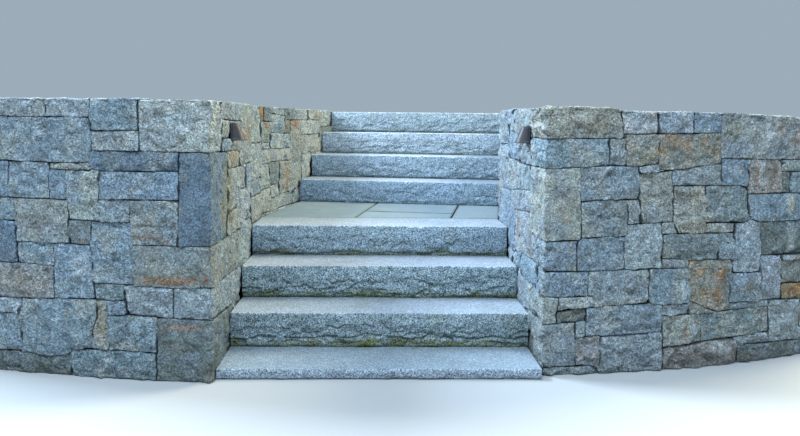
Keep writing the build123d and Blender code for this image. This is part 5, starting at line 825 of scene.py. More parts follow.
    ("lightbuff", [4995, 207, 5053, 207, 5058, 207, 5061, 209, 5060, 245, 5064, 291, 5063, 299, 5061, 301, 5013, 304, 4999, 303, 4996, 287, 4995, 223, 4993, 213]),
    ("lightblue", [5474, 207, 5479, 205, 5495, 205, 5507, 208, 5569, 209, 5639, 208, 5651, 206, 5719, 207, 5725, 209, 5728, 249, 5727, 309, 5728, 371, 5727, 381, 5727, 429, 5723, 445, 5697, 447, 5465, 446, 5463, 435, 5465, 421, 5465, 387, 5473, 305]),
    ("blue", [6115, 199, 6169, 199, 6174, 201, 6176, 291, 6175, 297, 6169, 298, 6123, 299, 6114, 297, 6114, 205]),
    ("buffgrey", [6709, 203, 6785, 202, 6793, 204, 6794, 287, 6792, 295, 6715, 295, 6708, 293, 6707, 211, 6707, 205]),
    ("buff", [-3227, 247, -3187, 246, -3183, 247, -3181, 249, -3183, 305, -3182, 383, -3185, 395, -3191, 397, -3311, 397, -3313, 393, -3313, 367, -3311, 251, -3305, 248]),
    ("light", [-3178, 247, -3093, 248, -3087, 250, -3085, 293, -3087, 303, -3088, 337, -3091, 344, -3097, 345, -3171, 346, -3177, 344, -3177, 299, -3180, 253]),
    ("grey", [-3046, 245, -3003, 245, -2949, 249, -2893, 246, -2797, 249, -2794, 253, -2792, 269, -2792, 301, -2790, 311, -2792, 343, -2797, 345, -2893, 348, -2995, 346, -3009, 344, -3083, 345, -3085, 343, -3085, 305, -3083, 293, -3082, 251, -3081, 249, -3075, 246]),
    ("buffgrey", [-2780, 249, -2723, 249, -2711, 251, -2665, 251, -2660, 253, -2658, 359, -2656, 371, -2657, 395, -2659, 398, -2715, 399, -2783, 397, -2783, 349, -2785, 339, -2790, 255, -2789, 250]),
    ("buffgrey", [-2381, 249, -2327, 249, -2311, 249, -2308, 251, -2307, 335, -2309, 342, -2403, 344, -2409, 343, -2411, 341, -2410, 255, -2407, 252]),
    ("lightbuff", [-1608, 247, -1603, 246, -1593, 248, -1535, 248, -1525, 250, -1465, 250, -1453, 252, -1353, 253, -1343, 254, -1305, 255, -1303, 259, -1302, 291, -1303, 303, -1303, 343, -1305, 346, -1309, 347, -1377, 350, -1391, 352, -1503, 352, -1513, 350, -1559, 349, -1569, 347, -1603, 347, -1605, 345, -1606, 341, -1606, 297, -1608, 283]),
    ("blue", [4696, 251, 4737, 252, 4747, 254, 4783, 254, 4785, 259, 4785, 285, 4783, 295, 4779, 297, 4747, 297, 4737, 296, 4705, 296, 4694, 293, 4693, 291]),
    ("pink", [5190, 253, 5213, 252, 5217, 255, 5218, 307, 5217, 341, 5215, 345, 5157, 349, 5099, 349, 5089, 351, 5079, 351, 5074, 349, 5072, 285, 5070, 275, 5071, 261, 5081, 258, 5125, 257, 5137, 255, 5183, 254]),
    ("bluegrey", [5223, 253, 5227, 252, 5251, 251, 5293, 253, 5294, 261, 5292, 271, 5291, 296, 5283, 298, 5223, 298, 5221, 291]),
    ("browngrey", [5299, 253, 5357, 252, 5369, 254, 5423, 254, 5435, 256, 5467, 256, 5469, 257, 5470, 261, 5468, 271, 5467, 297, 5463, 301, 5453, 299, 5383, 301, 5371, 298, 5299, 297, 5297, 293, 5296, 275]),
    ("blue", [6328, 253, 6439, 252, 6441, 253, 6442, 257, 6441, 295, 6435, 297, 6327, 298, 6325, 297, 6324, 293, 6325, 261, 6325, 255]),
    ("bluegrey", [6545, 249, 6579, 249, 6584, 251, 6584, 293, 6585, 305, 6586, 395, 6581, 397, 6511, 393, 6465, 396, 6450, 395, 6446, 383, 6448, 317, 6446, 303, 6446, 253, 6451, 251, 6513, 251, 6523, 249]),
    ("rustbuff", [6588, 251, 6595, 249, 6699, 252, 6701, 257, 6700, 291, 6699, 293, 6693, 295, 6591, 294, 6589, 289]),
    ("buff", [7137, 257, 7143, 256, 7243, 255, 7281, 257, 7282, 261, 7282, 299, 7284, 309, 7283, 351, 7279, 353, 7251, 354, 7151, 355, 7137, 352, 7135, 347, 7134, 311]),
    ("light", [7490, 251, 7511, 250, 7514, 255, 7512, 339, 7514, 421, 7513, 493, 7509, 496, 7483, 496, 7441, 501, 7313, 505, 7301, 507, 7289, 506, 7287, 499, 7289, 375, 7288, 307, 7286, 295, 7287, 257, 7291, 256, 7351, 256, 7363, 253, 7417, 253, 7427, 251]),
    ("bluegrey", [-1237, 275, -1197, 275, -1192, 277, -1190, 331, -1191, 337, -1231, 338, -1239, 335, -1240, 281]),
    ("bluegrey", [4633, 297, 4695, 298, 4707, 301, 4708, 307, 4706, 317, 4703, 394, 4701, 395, 4649, 394, 4625, 391, 4623, 361, 4625, 351, 4627, 303, 4628, 299]),
    ("buff", [4713, 301, 4731, 300, 4785, 304, 4825, 303, 4853, 305, 4855, 307, 4856, 311, 4854, 347, 4853, 349, 4849, 350, 4805, 350, 4791, 348, 4713, 346, 4711, 345, 4710, 341, 4709, 321]),
    ("buff", [4858, 307, 4863, 305, 4903, 309, 4995, 308, 5061, 310, 5063, 313, 5066, 323, 5067, 349, 5069, 361, 5068, 397, 5063, 399, 4955, 400, 4865, 398, 4862, 393, 4861, 369, 4859, 357, 4858, 327]),
    ("grey", [5224, 303, 5325, 304, 5371, 303, 5379, 304, 5451, 306, 5463, 309, 5465, 341, 5464, 349, 5462, 421, 5459, 444, 5455, 446, 5417, 446, 5405, 448, 5221, 447, 5220, 439, 5222, 427, 5224, 365, 5222, 307]),
    ("light", [5870, 303, 5949, 302, 5955, 304, 5954, 359, 5952, 369, 5953, 397, 5951, 401, 5939, 399, 5873, 400, 5867, 398, 5866, 371, 5868, 357, 5868, 309]),
    ("blue", [5962, 303, 6041, 301, 6050, 303, 6051, 323, 6049, 335, 6047, 371, 6042, 399, 5969, 402, 5961, 401, 5959, 399, 5960, 373, 5962, 361, 5960, 309]),
    ("buffgrey", [6056, 301, 6237, 302, 6357, 301, 6440, 303, 6444, 315, 6446, 383, 6448, 397, 6445, 490, 6441, 492, 6411, 492, 6311, 490, 6299, 493, 6263, 493, 6253, 495, 6227, 496, 6217, 499, 6191, 500, 6181, 502, 6155, 501, 6147, 503, 6117, 502, 6105, 503, 6047, 504, 6045, 501, 6045, 487, 6047, 477, 6049, 431, 6051, 419, 6051, 335, 6053, 327, 6053, 305]),
    ("buffgrey", [6592, 301, 6643, 300, 6767, 301, 6769, 351, 6768, 395, 6761, 397, 6591, 397, 6589, 395, 6589, 389, 6591, 305]),
    ("yellowbuff", [6773, 301, 6783, 300, 6859, 301, 6875, 303, 6957, 301, 6967, 302, 7039, 303, 7051, 305, 7125, 304, 7133, 305, 7134, 311, 7133, 345, 7131, 399, 7129, 411, 7128, 455, 7126, 465, 7125, 533, 7123, 550, 7119, 552, 7063, 553, 7053, 551, 7007, 552, 6947, 549, 6869, 551, 6780, 549, 6779, 547, 6778, 531, 6776, 523, 6775, 485, 6773, 473, 6773, 405, 6771, 393, 6771, 361, 6772, 307]),
    ("lightblue", [-1296, 345, -1265, 344, -1261, 347, -1261, 393, -1259, 405, -1258, 475, -1258, 493, -1261, 497, -1293, 497, -1297, 495, -1297, 405, -1299, 393, -1299, 351, -1298, 347]),
    ("lightbuff", [-3058, 349, -3009, 349, -2999, 350, -2959, 350, -2953, 351, -2952, 367, -2955, 431, -2953, 481, -2956, 497, -2961, 499, -2979, 499, -2991, 497, -3105, 495, -3177, 499, -3179, 497, -3179, 399, -3177, 352, -3171, 350, -3069, 351]),
    ("blue", [-2947, 351, -2941, 350, -2889, 349, -2793, 353, -2790, 357, -2789, 395, -2793, 398, -2835, 398, -2943, 395, -2947, 391]),
    ("pink", [-2448, 349, -2430, 349, -2426, 359, -2427, 445, -2429, 455, -2430, 487, -2431, 491, -2517, 494, -2529, 496, -2593, 495, -2605, 497, -2649, 498, -2655, 496, -2656, 429, -2654, 415, -2655, 369, -2657, 357, -2655, 352, -2555, 353, -2543, 351]),
    ("pink", [-1898, 353, -1879, 352, -1876, 353, -1874, 357, -1876, 379, -1874, 435, -1877, 497, -1881, 499, -1985, 503, -1995, 505, -2051, 503, -2057, 501, -2059, 409, -2057, 399, -2056, 363, -2053, 357, -1951, 357, -1941, 355]),
    ("bluegrey", [-1323, 355, -1309, 354, -1306, 357, -1305, 395, -1303, 405, -1303, 425, -1303, 545, -1305, 547, -1325, 550, -1393, 552, -1437, 559, -1465, 559, -1477, 557, -1480, 537, -1483, 417, -1484, 407, -1483, 359, -1477, 357, -1387, 357, -1375, 355]),
    ("bluegrey", [4436, 345, 4443, 344, 4487, 345, 4493, 347, 4494, 387, 4497, 399, 4497, 439, 4495, 444, 4487, 452, 4483, 454, 4481, 454, 4469, 442, 4463, 441, 4343, 442, 4329, 444, 4317, 442, 4314, 425, 4313, 401, 4311, 391, 4311, 369, 4309, 359, 4311, 350, 4385, 349, 4397, 347]),
    ("pink", [4714, 351, 4771, 354, 4773, 357, 4771, 365, 4771, 395, 4765, 397, 4755, 396, 4711, 395, 4709, 391, 4709, 363, 4711, 353]),
    ("bluegrey", [4782, 353, 4801, 355, 4849, 355, 4853, 357, 4855, 371, 4855, 419, 4854, 429, 4855, 487, 4854, 517, 4851, 533, 4851, 591, 4849, 595, 4827, 596, 4817, 594, 4779, 594, 4775, 591, 4773, 431, 4776, 419, 4777, 367, 4779, 355]),
    ("light", [5098, 355, 5135, 354, 5189, 355, 5209, 353, 5216, 355, 5219, 425, 5217, 437, 5217, 493, 5215, 498, 5101, 498, 5075, 495, 5076, 407, 5074, 393, 5075, 361, 5077, 357]),
    ("buff", [5735, 353, 5862, 353, 5864, 357, 5862, 367, 5861, 435, 5858, 447, 5855, 449, 5843, 449, 5833, 447, 5771, 448, 5761, 446, 5730, 445, 5728, 439, 5730, 429, 5730, 383, 5732, 357]),
    ("light", [7137, 357, 7141, 356, 7151, 358, 7199, 360, 7201, 365, 7201, 401, 7195, 403, 7153, 403, 7139, 400, 7137, 393]),
    ("blue", [7211, 359, 7281, 360, 7283, 365, 7282, 401, 7275, 403, 7209, 403, 7207, 399, 7207, 365, 7208, 361]),
    ("buffgrey", [-3311, 403, -3301, 401, -3191, 403, -3187, 403, -3185, 405, -3183, 641, -3185, 650, -3219, 650, -3229, 652, -3281, 652, -3293, 654, -3307, 654, -3311, 652, -3313, 535, -3312, 409]),
    ("bluegrey", [-2946, 403, -2941, 401, -2915, 401, -2901, 403, -2833, 401, -2667, 402, -2659, 403, -2658, 409, -2660, 427, -2661, 549, -2665, 550, -2701, 549, -2713, 551, -2809, 553, -2857, 552, -2869, 550, -2919, 549, -2929, 547, -2951, 547, -2953, 545, -2953, 541, -2952, 525, -2953, 491, -2951, 483, -2949, 433, -2947, 423]),
    ("light", [4501, 395, 4507, 394, 4571, 394, 4583, 397, 4691, 399, 4703, 401, 4753, 401, 4769, 403, 4771, 405, 4772, 417, 4770, 429, 4770, 493, 4765, 495, 4727, 491, 4639, 495, 4583, 492, 4501, 492, 4485, 477, 4484, 465, 4485, 459, 4498, 443]),
    ("bluegrey", [4863, 405, 4951, 403, 5069, 405, 5071, 411, 5072, 467, 5072, 483, 5070, 493, 5069, 495, 5063, 496, 4971, 494, 4859, 496, 4857, 493, 4857, 487, 4858, 431, 4861, 408]),
    ("light", [5866, 405, 5873, 403, 5937, 404, 5949, 406, 6037, 407, 6043, 409, 6044, 417, 6043, 429, 6045, 477, 6044, 487, 6041, 541, 6042, 647, 6040, 653, 5975, 655, 5949, 654, 5939, 652, 5865, 651, 5860, 649, 5859, 613, 5862, 601, 5863, 521, 5865, 507, 5865, 447]),
    ("bluegrey", [6452, 397, 6506, 399, 6525, 402, 6607, 399, 6685, 401, 6688, 407, 6687, 479, 6689, 493, 6683, 495, 6627, 493, 6609, 490, 6541, 493, 6533, 492, 6453, 490, 6451, 485, 6448, 421, 6449, 401]),
    ("bluegrey", [6694, 401, 6763, 400, 6769, 401, 6770, 475, 6772, 485, 6771, 525, 6773, 535, 6773, 546, 6771, 549, 6747, 550, 6739, 549, 6703, 549, 6696, 547, 6693, 529, 6694, 489, 6693, 477, 6692, 433, 6692, 405]),
    ("buffgrey", [7139, 409, 7275, 409, 7282, 411, 7284, 469, 7284, 529, 7281, 543, 7280, 583, 7278, 593, 7278, 629, 7277, 651, 7275, 655, 7189, 653, 7177, 651, 7131, 651, 7125, 649, 7125, 617, 7127, 607, 7127, 577, 7128, 569, 7132, 509, 7134, 499, 7135, 469, 7137, 459, 7136, 413]),
    ("bluegrey", [5413, 451, 5441, 450, 5445, 453, 5446, 543, 5445, 545, 5405, 546, 5361, 545, 5261, 549, 5227, 548, 5221, 546, 5220, 459, 5221, 453, 5283, 454]),
    ("bluegrey", [5450, 451, 5457, 449, 5599, 450, 5601, 453, 5600, 491, 5599, 493, 5595, 494, 5453, 496, 5450, 495, 5449, 491]),
    ("browngrey", [5607, 451, 5757, 450, 5769, 452, 5829, 452, 5857, 456, 5859, 461, 5859, 509, 5857, 519, 5858, 599, 5857, 609, 5856, 649, 5805, 648, 5791, 646, 5601, 645, 5600, 639, 5599, 597, 5600, 585, 5601, 513, 5603, 501, 5604, 461]),
    ("bluegrey", [-3058, 499, -2991, 499, -2983, 500, -2957, 501, -2955, 505, -2955, 523, -2958, 535, -2959, 595, -2961, 599, -2991, 599, -3003, 597, -3069, 597, -3089, 597, -3101, 599, -3157, 599, -3167, 601, -3177, 601, -3180, 599, -3181, 513, -3179, 504, -3169, 502, -3117, 502, -3103, 500]),
    ("yellowbuff", [-2543, 499, -2515, 497, -2431, 499, -2429, 505, -2428, 589, -2429, 595, -2463, 597, -2539, 597, -2553, 599, -2623, 599, -2633, 600, -2653, 600, -2657, 599, -2658, 579, -2656, 567, -2657, 509, -2655, 503, -2649, 502, -2603, 503, -2591, 500]),
    ("blue", [-1986, 505, -1915, 506, -1903, 504, -1879, 505, -1877, 509, -1877, 525, -1875, 533, -1874, 569, -1872, 581, -1873, 599, -1887, 602, -1987, 602, -2003, 604, -2051, 604, -2055, 591, -2057, 511, -2053, 509, -1995, 507]),
    ("light", [-1296, 503, -1261, 502, -1257, 504, -1256, 527, -1259, 546, -1293, 547, -1297, 545, -1298, 507]),
    ("browngrey", [3996, 487, 3999, 485, 4003, 487, 4016, 501, 4018, 515, 4021, 569, 4024, 605, 4025, 629, 4026, 637, 4025, 649, 4019, 650, 3967, 650, 3955, 652, 3889, 651, 3888, 649, 3887, 559, 3889, 506, 3923, 504, 3933, 502, 3979, 501, 3984, 499]),
    ("buffgrey", [4480, 483, 4485, 482, 4497, 494, 4503, 496, 4607, 495, 4615, 497, 4661, 497, 4739, 502, 4769, 501, 4770, 507, 4769, 607, 4771, 619, 4771, 641, 4769, 643, 4761, 644, 4749, 642, 4675, 642, 4663, 640, 4607, 641, 4523, 639, 4499, 641, 4469, 640, 4467, 635, 4466, 589, 4467, 581, 4466, 541, 4468, 499, 4469, 495]),
    ("buff", [4861, 499, 4953, 501, 4955, 505, 4956, 529, 4955, 545, 4951, 547, 4943, 547, 4859, 545, 4857, 543, 4856, 537, 4857, 503]),
    ("blue", [5018, 501, 5079, 500, 5129, 503, 5207, 502, 5215, 503, 5216, 521, 5214, 595, 5209, 597, 5141, 597, 5119, 599, 5095, 600, 4955, 598, 4954, 595, 4955, 569, 4963, 505, 4969, 502]),
    ("light", [5479, 499, 5487, 497, 5503, 497, 5593, 498, 5599, 499, 5599, 583, 5597, 595, 5595, 645, 5573, 649, 5525, 650, 5465, 648, 5457, 647, 5454, 631, 5454, 597, 5452, 587, 5451, 547, 5449, 535, 5450, 503, 5453, 500]),
    ("buffgrey", [6368, 497, 6467, 497, 6473, 499, 6471, 633, 6469, 645, 6470, 689, 6468, 693, 6437, 693, 6411, 691, 6347, 691, 6305, 692, 6293, 694, 6253, 694, 6245, 696, 6217, 696, 6207, 698, 6141, 700, 6133, 702, 6093, 702, 6081, 704, 6051, 704, 6047, 702, 6047, 557, 6046, 513, 6047, 509, 6109, 509, 6117, 507, 6147, 505, 6157, 503, 6183, 502, 6191, 501, 6217, 501, 6227, 500, 6255, 500, 6263, 499, 6303, 499, 6313, 498]),
    ("bluegrey", [6481, 497, 6529, 496, 6541, 498, 6621, 503, 6688, 501, 6690, 505, 6691, 529, 6693, 541, 6692, 581, 6694, 593, 6691, 647, 6685, 649, 6669, 647, 6609, 648, 6599, 647, 6551, 646, 6541, 644, 6491, 643, 6479, 641, 6477, 639, 6477, 635, 6476, 535, 6479, 501]),
    ("buff", [7476, 501, 7483, 500, 7507, 500, 7512, 501, 7513, 503, 7515, 563, 7514, 645, 7511, 651, 7389, 657, 7287, 655, 7283, 653, 7288, 587, 7286, 543, 7288, 513, 7289, 510, 7313, 507, 7373, 508, 7451, 501]),
    ("light", [-1246, 533, -1197, 533, -1153, 535, -1149, 537, -1143, 605, -1145, 701, -1147, 706, -1181, 708, -1193, 712, -1203, 713, -1243, 710, -1248, 707, -1251, 661, -1249, 569, -1251, 539, -1249, 534]),
    ("buff", [1056, 535, 1061, 539, 1065, 540, 1239, 541, 1241, 543, 1242, 547, 1241, 563, 1242, 583, 1239, 585, 1215, 585, 1207, 587, 1081, 586, 1061, 597, 1051, 585, 1050, 581, 1050, 543, 1051, 539]),
    ("darkblue", [1249, 541, 1333, 540, 1477, 540, 1480, 543, 1485, 581, 1483, 584, 1479, 585, 1441, 584, 1427, 581, 1369, 583, 1349, 581, 1339, 583, 1303, 582, 1247, 583, 1244, 581, 1243, 575, 1246, 545]),
    ("blue", [1486, 541, 1547, 541, 1549, 545, 1552, 587, 1547, 589, 1515, 590, 1491, 589, 1487, 588, 1484, 549, 1485, 543]),
    ("buffgrey", [1557, 541, 1651, 540, 1723, 541, 1785, 539, 1857, 543, 1860, 547, 1860, 585, 1859, 587, 1855, 589, 1781, 592, 1713, 590, 1695, 587, 1673, 593, 1655, 591, 1591, 592, 1581, 590, 1563, 589, 1560, 587, 1557, 577, 1555, 547, 1555, 543]),
    ("light", [2036, 539, 2069, 539, 2074, 541, 2073, 587, 2071, 591, 2029, 592, 1879, 591, 1870, 589, 1868, 585, 1868, 547, 1869, 543, 1871, 542, 1907, 540, 1971, 541]),
    ("browngrey", [2079, 539, 2143, 541, 2207, 539, 2241, 540, 2243, 541, 2244, 547, 2242, 583, 2239, 586, 2201, 586, 2185, 590, 2083, 589, 2079, 585, 2078, 581, 2076, 545, 2077, 541]),
    ("rustbuff", [2250, 541, 2361, 540, 2363, 541, 2364, 545, 2363, 583, 2357, 585, 2249, 586, 2246, 583, 2246, 575, 2248, 565, 2248, 545]),
    ("buff", [-2953, 553, -2935, 552, -2921, 554, -2715, 556, -2699, 554, -2663, 554, -2661, 555, -2660, 561, -2662, 577, -2662, 647, -2663, 649, -2669, 651, -2745, 649, -2757, 651, -2791, 650, -2837, 652, -2895, 650, -2907, 648, -2955, 647, -2957, 645, -2958, 637, -2957, 625, -2957, 583]),
    ("light", [-1322, 553, -1313, 552, -1263, 553, -1258, 555, -1255, 569, -1254, 599, -1253, 641, -1255, 647, -1311, 649, -1339, 648, -1347, 649, -1375, 649, -1385, 651, -1415, 651, -1425, 653, -1471, 653, -1475, 651, -1476, 603, -1478, 591, -1477, 563, -1469, 561, -1425, 560, -1399, 561, -1371, 559, -1343, 554]),
    ("light", [4866, 551, 4953, 550, 4955, 559, 4953, 589, 4950, 597, 4943, 599, 4905, 597, 4895, 595, 4859, 594, 4857, 589, 4857, 555, 4859, 552]),
    ("light", [5241, 551, 5271, 551, 5333, 554, 5393, 550, 5441, 550, 5447, 551, 5453, 695, 5447, 697, 5422, 697, 5409, 695, 5223, 696, 5221, 689, 5220, 555, 5223, 552]),
    ("blue", [6707, 551, 6775, 555, 6895, 554, 6903, 555, 6905, 557, 6907, 719, 6905, 793, 6903, 798, 6831, 800, 6693, 801, 6691, 799, 6692, 775, 6697, 739, 6700, 685, 6698, 593, 6696, 581, 6695, 557, 6697, 552]),
    ("buffgrey", [6965, 555, 7027, 553, 7053, 554, 7063, 556, 7121, 557, 7123, 560, 7123, 565, 7121, 575, 7121, 605, 7119, 613, 7119, 659, 7117, 669, 7117, 699, 7115, 701, 7067, 699, 6911, 701, 6909, 695, 6909, 599, 6911, 557, 6915, 555]),
    ("rustbuff", [-3094, 601, -3005, 599, -2995, 601, -2961, 602, -2959, 605, -2960, 621, -2962, 635, -2964, 695, -2971, 696, -2983, 694, -3013, 694, -3061, 696, -3073, 698, -3175, 699, -3177, 695, -3179, 665, -3180, 657, -3179, 605, -3157, 602]),
    ("buffgrey", [-2540, 599, -2523, 599, -2519, 603, -2519, 751, -2539, 752, -2565, 749, -2655, 751, -2658, 747, -2657, 701, -2659, 691, -2657, 605, -2621, 601, -2549, 601]),
    ("grey", [-2513, 599, -2459, 599, -2403, 602, -2333, 602, -2295, 603, -2293, 609, -2294, 671, -2293, 753, -2297, 756, -2309, 756, -2373, 754, -2383, 752, -2477, 753, -2513, 751, -2518, 649, -2517, 603]),
    ("buffgrey", [-1636, 609, -1481, 613, -1480, 725, -1482, 735, -1485, 799, -1487, 803, -1499, 800, -1577, 799, -1629, 803, -1637, 803, -1641, 801, -1640, 625, -1638, 611]),
    ("buff", [4776, 599, 4813, 598, 4825, 600, 4891, 601, 4903, 603, 4979, 601, 4993, 602, 5005, 605, 5006, 615, 5002, 657, 5003, 713, 5001, 771, 5005, 807, 5003, 812, 4989, 813, 4977, 811, 4907, 809, 4811, 799, 4797, 798, 4783, 796, 4779, 779, 4779, 685, 4777, 673, 4776, 615, 4774, 605]),
    ("buff", [5013, 605, 5123, 605, 5133, 603, 5213, 604, 5215, 609, 5214, 669, 5217, 763, 5216, 795, 5203, 799, 5119, 803, 5067, 808, 5057, 810, 5009, 812, 5008, 809, 5009, 781, 5007, 771, 5005, 729, 5005, 687, 5008, 627, 5011, 607]),
    ("light", [-3219, 655, -3189, 654, -3184, 657, -3182, 669, -3185, 746, -3189, 748, -3229, 749, -3243, 751, -3307, 748, -3309, 741, -3311, 661, -3307, 659, -3289, 659, -3281, 657, -3227, 657]),
    ("grey", [-2940, 653, -2907, 653, -2897, 655, -2829, 653, -2793, 655, -2779, 657, -2743, 657, -2741, 663, -2740, 741, -2738, 751, -2738, 781, -2736, 789, -2738, 795, -2795, 797, -2955, 796, -2957, 793, -2959, 765, -2957, 657, -2953, 653]),
    ("light", [-2733, 655, -2685, 653, -2663, 654, -2661, 659, -2660, 699, -2662, 701, -2667, 701, -2734, 699, -2736, 695, -2736, 661]),
    ("bluegrey", [-1416, 657, -1391, 656, -1387, 659, -1387, 693, -1389, 698, -1419, 700, -1431, 702, -1469, 702, -1475, 701, -1476, 665, -1473, 660]),
    ("browngrey", [-1303, 649, -1255, 649, -1253, 657, -1254, 689, -1255, 695, -1319, 696, -1331, 698, -1367, 697, -1375, 699, -1380, 697, -1381, 663, -1379, 657, -1373, 655, -1345, 654, -1337, 652, -1309, 651]),
    ("buffgrey", [3892, 657, 3931, 657, 3935, 659, 3935, 699, 3929, 701, 3889, 700, 3887, 695, 3887, 661, 3889, 658]),
    ("light", [4350, 647, 4387, 645, 4433, 648, 4497, 646, 4503, 648, 4504, 663, 4502, 671, 4499, 737, 4498, 745, 4498, 769, 4491, 845, 4492, 879, 4489, 896, 4471, 899, 4369, 901, 4323, 906, 4305, 905, 4304, 853, 4306, 843, 4307, 801, 4308, 793, 4309, 715, 4312, 703, 4313, 657, 4315, 651, 4318, 649]),
    ("grey", [4590, 643, 4663, 644, 4673, 647, 4673, 727, 4675, 739, 4675, 787, 4669, 789, 4537, 790, 4521, 792, 4501, 791, 4500, 779, 4504, 739, 4505, 713, 4507, 705, 4507, 673, 4509, 649, 4511, 647, 4521, 645]),
    ("bluegrey", [4679, 647, 4685, 646, 4733, 645, 4769, 649, 4771, 653, 4773, 691, 4771, 693, 4765, 694, 4755, 692, 4719, 693, 4681, 689, 4679, 683]),
    ("buff", [5481, 651, 5519, 650, 5525, 652, 5528, 663, 5525, 699, 5503, 700, 5493, 699, 5463, 698, 5459, 696, 5456, 677, 5457, 654, 5461, 652]),
    ("blue", [5580, 651, 5663, 651, 5670, 653, 5673, 717, 5673, 745, 5671, 750, 5623, 751, 5537, 749, 5534, 747, 5531, 731, 5528, 653, 5533, 651, 5573, 652]),
    ("bluegrey", [5681, 651, 5791, 650, 5803, 652, 5845, 651, 5857, 653, 5891, 654, 5900, 657, 5902, 663, 5902, 747, 5904, 759, 5903, 799, 5899, 800, 5875, 801, 5680, 799, 5676, 785, 5674, 723, 5677, 655]),
    ("buffgrey", [5909, 657, 6011, 658, 6037, 658, 6041, 660, 6042, 741, 6044, 753, 6044, 845, 6043, 851, 6033, 852, 5909, 851, 5907, 835, 5908, 757, 5906, 743, 5906, 663]),
    ("blue", [6476, 649, 6481, 647, 6491, 649, 6597, 650, 6615, 654, 6616, 703, 6613, 717, 6614, 749, 6612, 757, 6612, 785, 6609, 798, 6605, 799, 6525, 801, 6479, 795, 6477, 723, 6475, 713]),
    ("lightblue", [6621, 653, 6667, 653, 6691, 657, 6693, 701, 6691, 711, 6690, 765, 6688, 793, 6685, 801, 6683, 802, 6621, 802, 6617, 802, 6614, 799, 6618, 717, 6620, 709, 6620, 659]),
    ("yellowbuff", [7125, 657, 7133, 656, 7177, 656, 7187, 658, 7251, 657, 7262, 659, 7263, 697, 7261, 709, 7261, 757, 7260, 767, 7259, 799, 7257, 802, 7231, 804, 7221, 802, 7131, 799, 7126, 797, 7124, 791, 7123, 743, 7121, 729, 7122, 671]),
    ("browngrey", [7505, 657, 7511, 658, 7513, 663, 7513, 799, 7513, 803, 7511, 805, 7481, 804, 7447, 806, 7349, 801, 7337, 799, 7269, 802, 7263, 801, 7261, 767, 7263, 757, 7266, 667, 7268, 661, 7413, 660, 7425, 659, 7485, 659]),
    ("blue", [-3065, 701, -2987, 702, -2964, 705, -2961, 765, -2959, 777, -2960, 829, -2959, 841, -2959, 894, -2963, 896, -2989, 896, -2999, 899, -3085, 899, -3097, 901, -3145, 902, -3155, 904, -3175, 903, -3176, 897, -3175, 831, -3177, 821, -3176, 707, -3173, 705, -3155, 703]),
    ("buffgrey", [-2732, 705, -2667, 703, -2660, 705, -2659, 751, -2657, 761, -2658, 797, -2656, 807, -2656, 845, -2659, 847, -2687, 847, -2697, 844, -2723, 844, -2727, 842, -2732, 787, -2734, 779, -2734, 749, -2736, 741, -2735, 709]),
    ("buffgrey", [-1418, 705, -1415, 705, -1413, 709, -1412, 741, -1414, 747, -1423, 750, -1471, 750, -1477, 749, -1478, 737, -1475, 707, -1425, 706]),
    ("bluegrey", [-1322, 701, -1259, 701, -1255, 703, -1254, 709, -1257, 717, -1257, 731, -1257, 843, -1263, 846, -1353, 847, -1363, 849, -1409, 846, -1411, 843, -1411, 805, -1406, 707, -1401, 706, -1375, 705, -1363, 703]),
    ("darkblue", [4681, 695, 4705, 693, 4713, 695, 4751, 695, 4772, 699, 4774, 703, 4776, 743, 4771, 745, 4757, 745, 4749, 743, 4719, 742, 4711, 740, 4683, 739, 4679, 727, 4679, 699]),
    ("light", [5228, 701, 5305, 699, 5409, 701, 5421, 702, 5491, 701, 5525, 705, 5529, 775, 5528, 849, 5525, 851, 5513, 851, 5499, 849, 5463, 849, 5453, 847, 5419, 847, 5409, 845, 5371, 845, 5359, 843, 5331, 842, 5267, 843, 5257, 845, 5221, 845, 5220, 839, 5219, 781, 5220, 709, 5221, 704]),
    ("bluegrey", [6300, 697, 6307, 696, 6423, 697, 6433, 699, 6463, 698, 6469, 699, 6472, 727, 6471, 791, 6472, 893, 6470, 899, 6397, 900, 6381, 900, 6371, 898, 6327, 897, 6197, 900, 6149, 898, 6091, 900, 6079, 902, 6053, 902, 6049, 900, 6048, 877, 6048, 751, 6046, 739, 6047, 709, 6085, 708, 6095, 706, 6133, 706, 6143, 704, 6245, 699, 6255, 697]),
    ("bluegrey", [6912, 703, 7107, 705, 7117, 708, 7120, 745, 7120, 839, 7122, 851, 7124, 881, 7126, 891, 7127, 925, 7129, 937, 7129, 943, 7127, 946, 7065, 944, 7055, 946, 6963, 949, 6917, 947, 6912, 945, 6912, 815, 6909, 713, 6909, 705]),
    ("buffgrey", [-1230, 713, -1195, 715, -1191, 718, -1190, 829, -1187, 843, -1191, 847, -1239, 848, -1249, 846, -1252, 843, -1252, 719, -1249, 714]),
    ("buff", [2590, 719, 2599, 718, 2697, 719, 2699, 723, 2699, 750, 2697, 753, 2693, 753, 2629, 754, 2622, 751, 2603, 734, 2592, 723]),
    ("rustbuff", [-3259, 757, -3227, 755, -3185, 757, -3184, 763, -3184, 797, -3201, 801, -3243, 802, -3307, 799, -3309, 793, -3309, 765, -3307, 760]),
    ("bluegrey", [-2655, 755, -2647, 753, -2555, 756, -2545, 757, -2469, 756, -2449, 757, -2449, 811, -2446, 825, -2447, 853, -2453, 854, -2513, 854, -2525, 852, -2635, 850, -2648, 847, -2652, 839]),
    ("blue", [-2032, 757, -2025, 755, -1989, 755, -1985, 756, -1984, 759, -1984, 809, -1986, 821, -1989, 893, -1991, 896, -2027, 896, -2031, 895, -2033, 893, -2035, 845, -2034, 835, -2034, 785]),
    ("buffgrey", [-1476, 755, -1414, 755, -1415, 793, -1417, 803, -1418, 837, -1421, 845, -1481, 847, -1487, 844, -1487, 819, -1485, 811, -1480, 803, -1478, 759]),
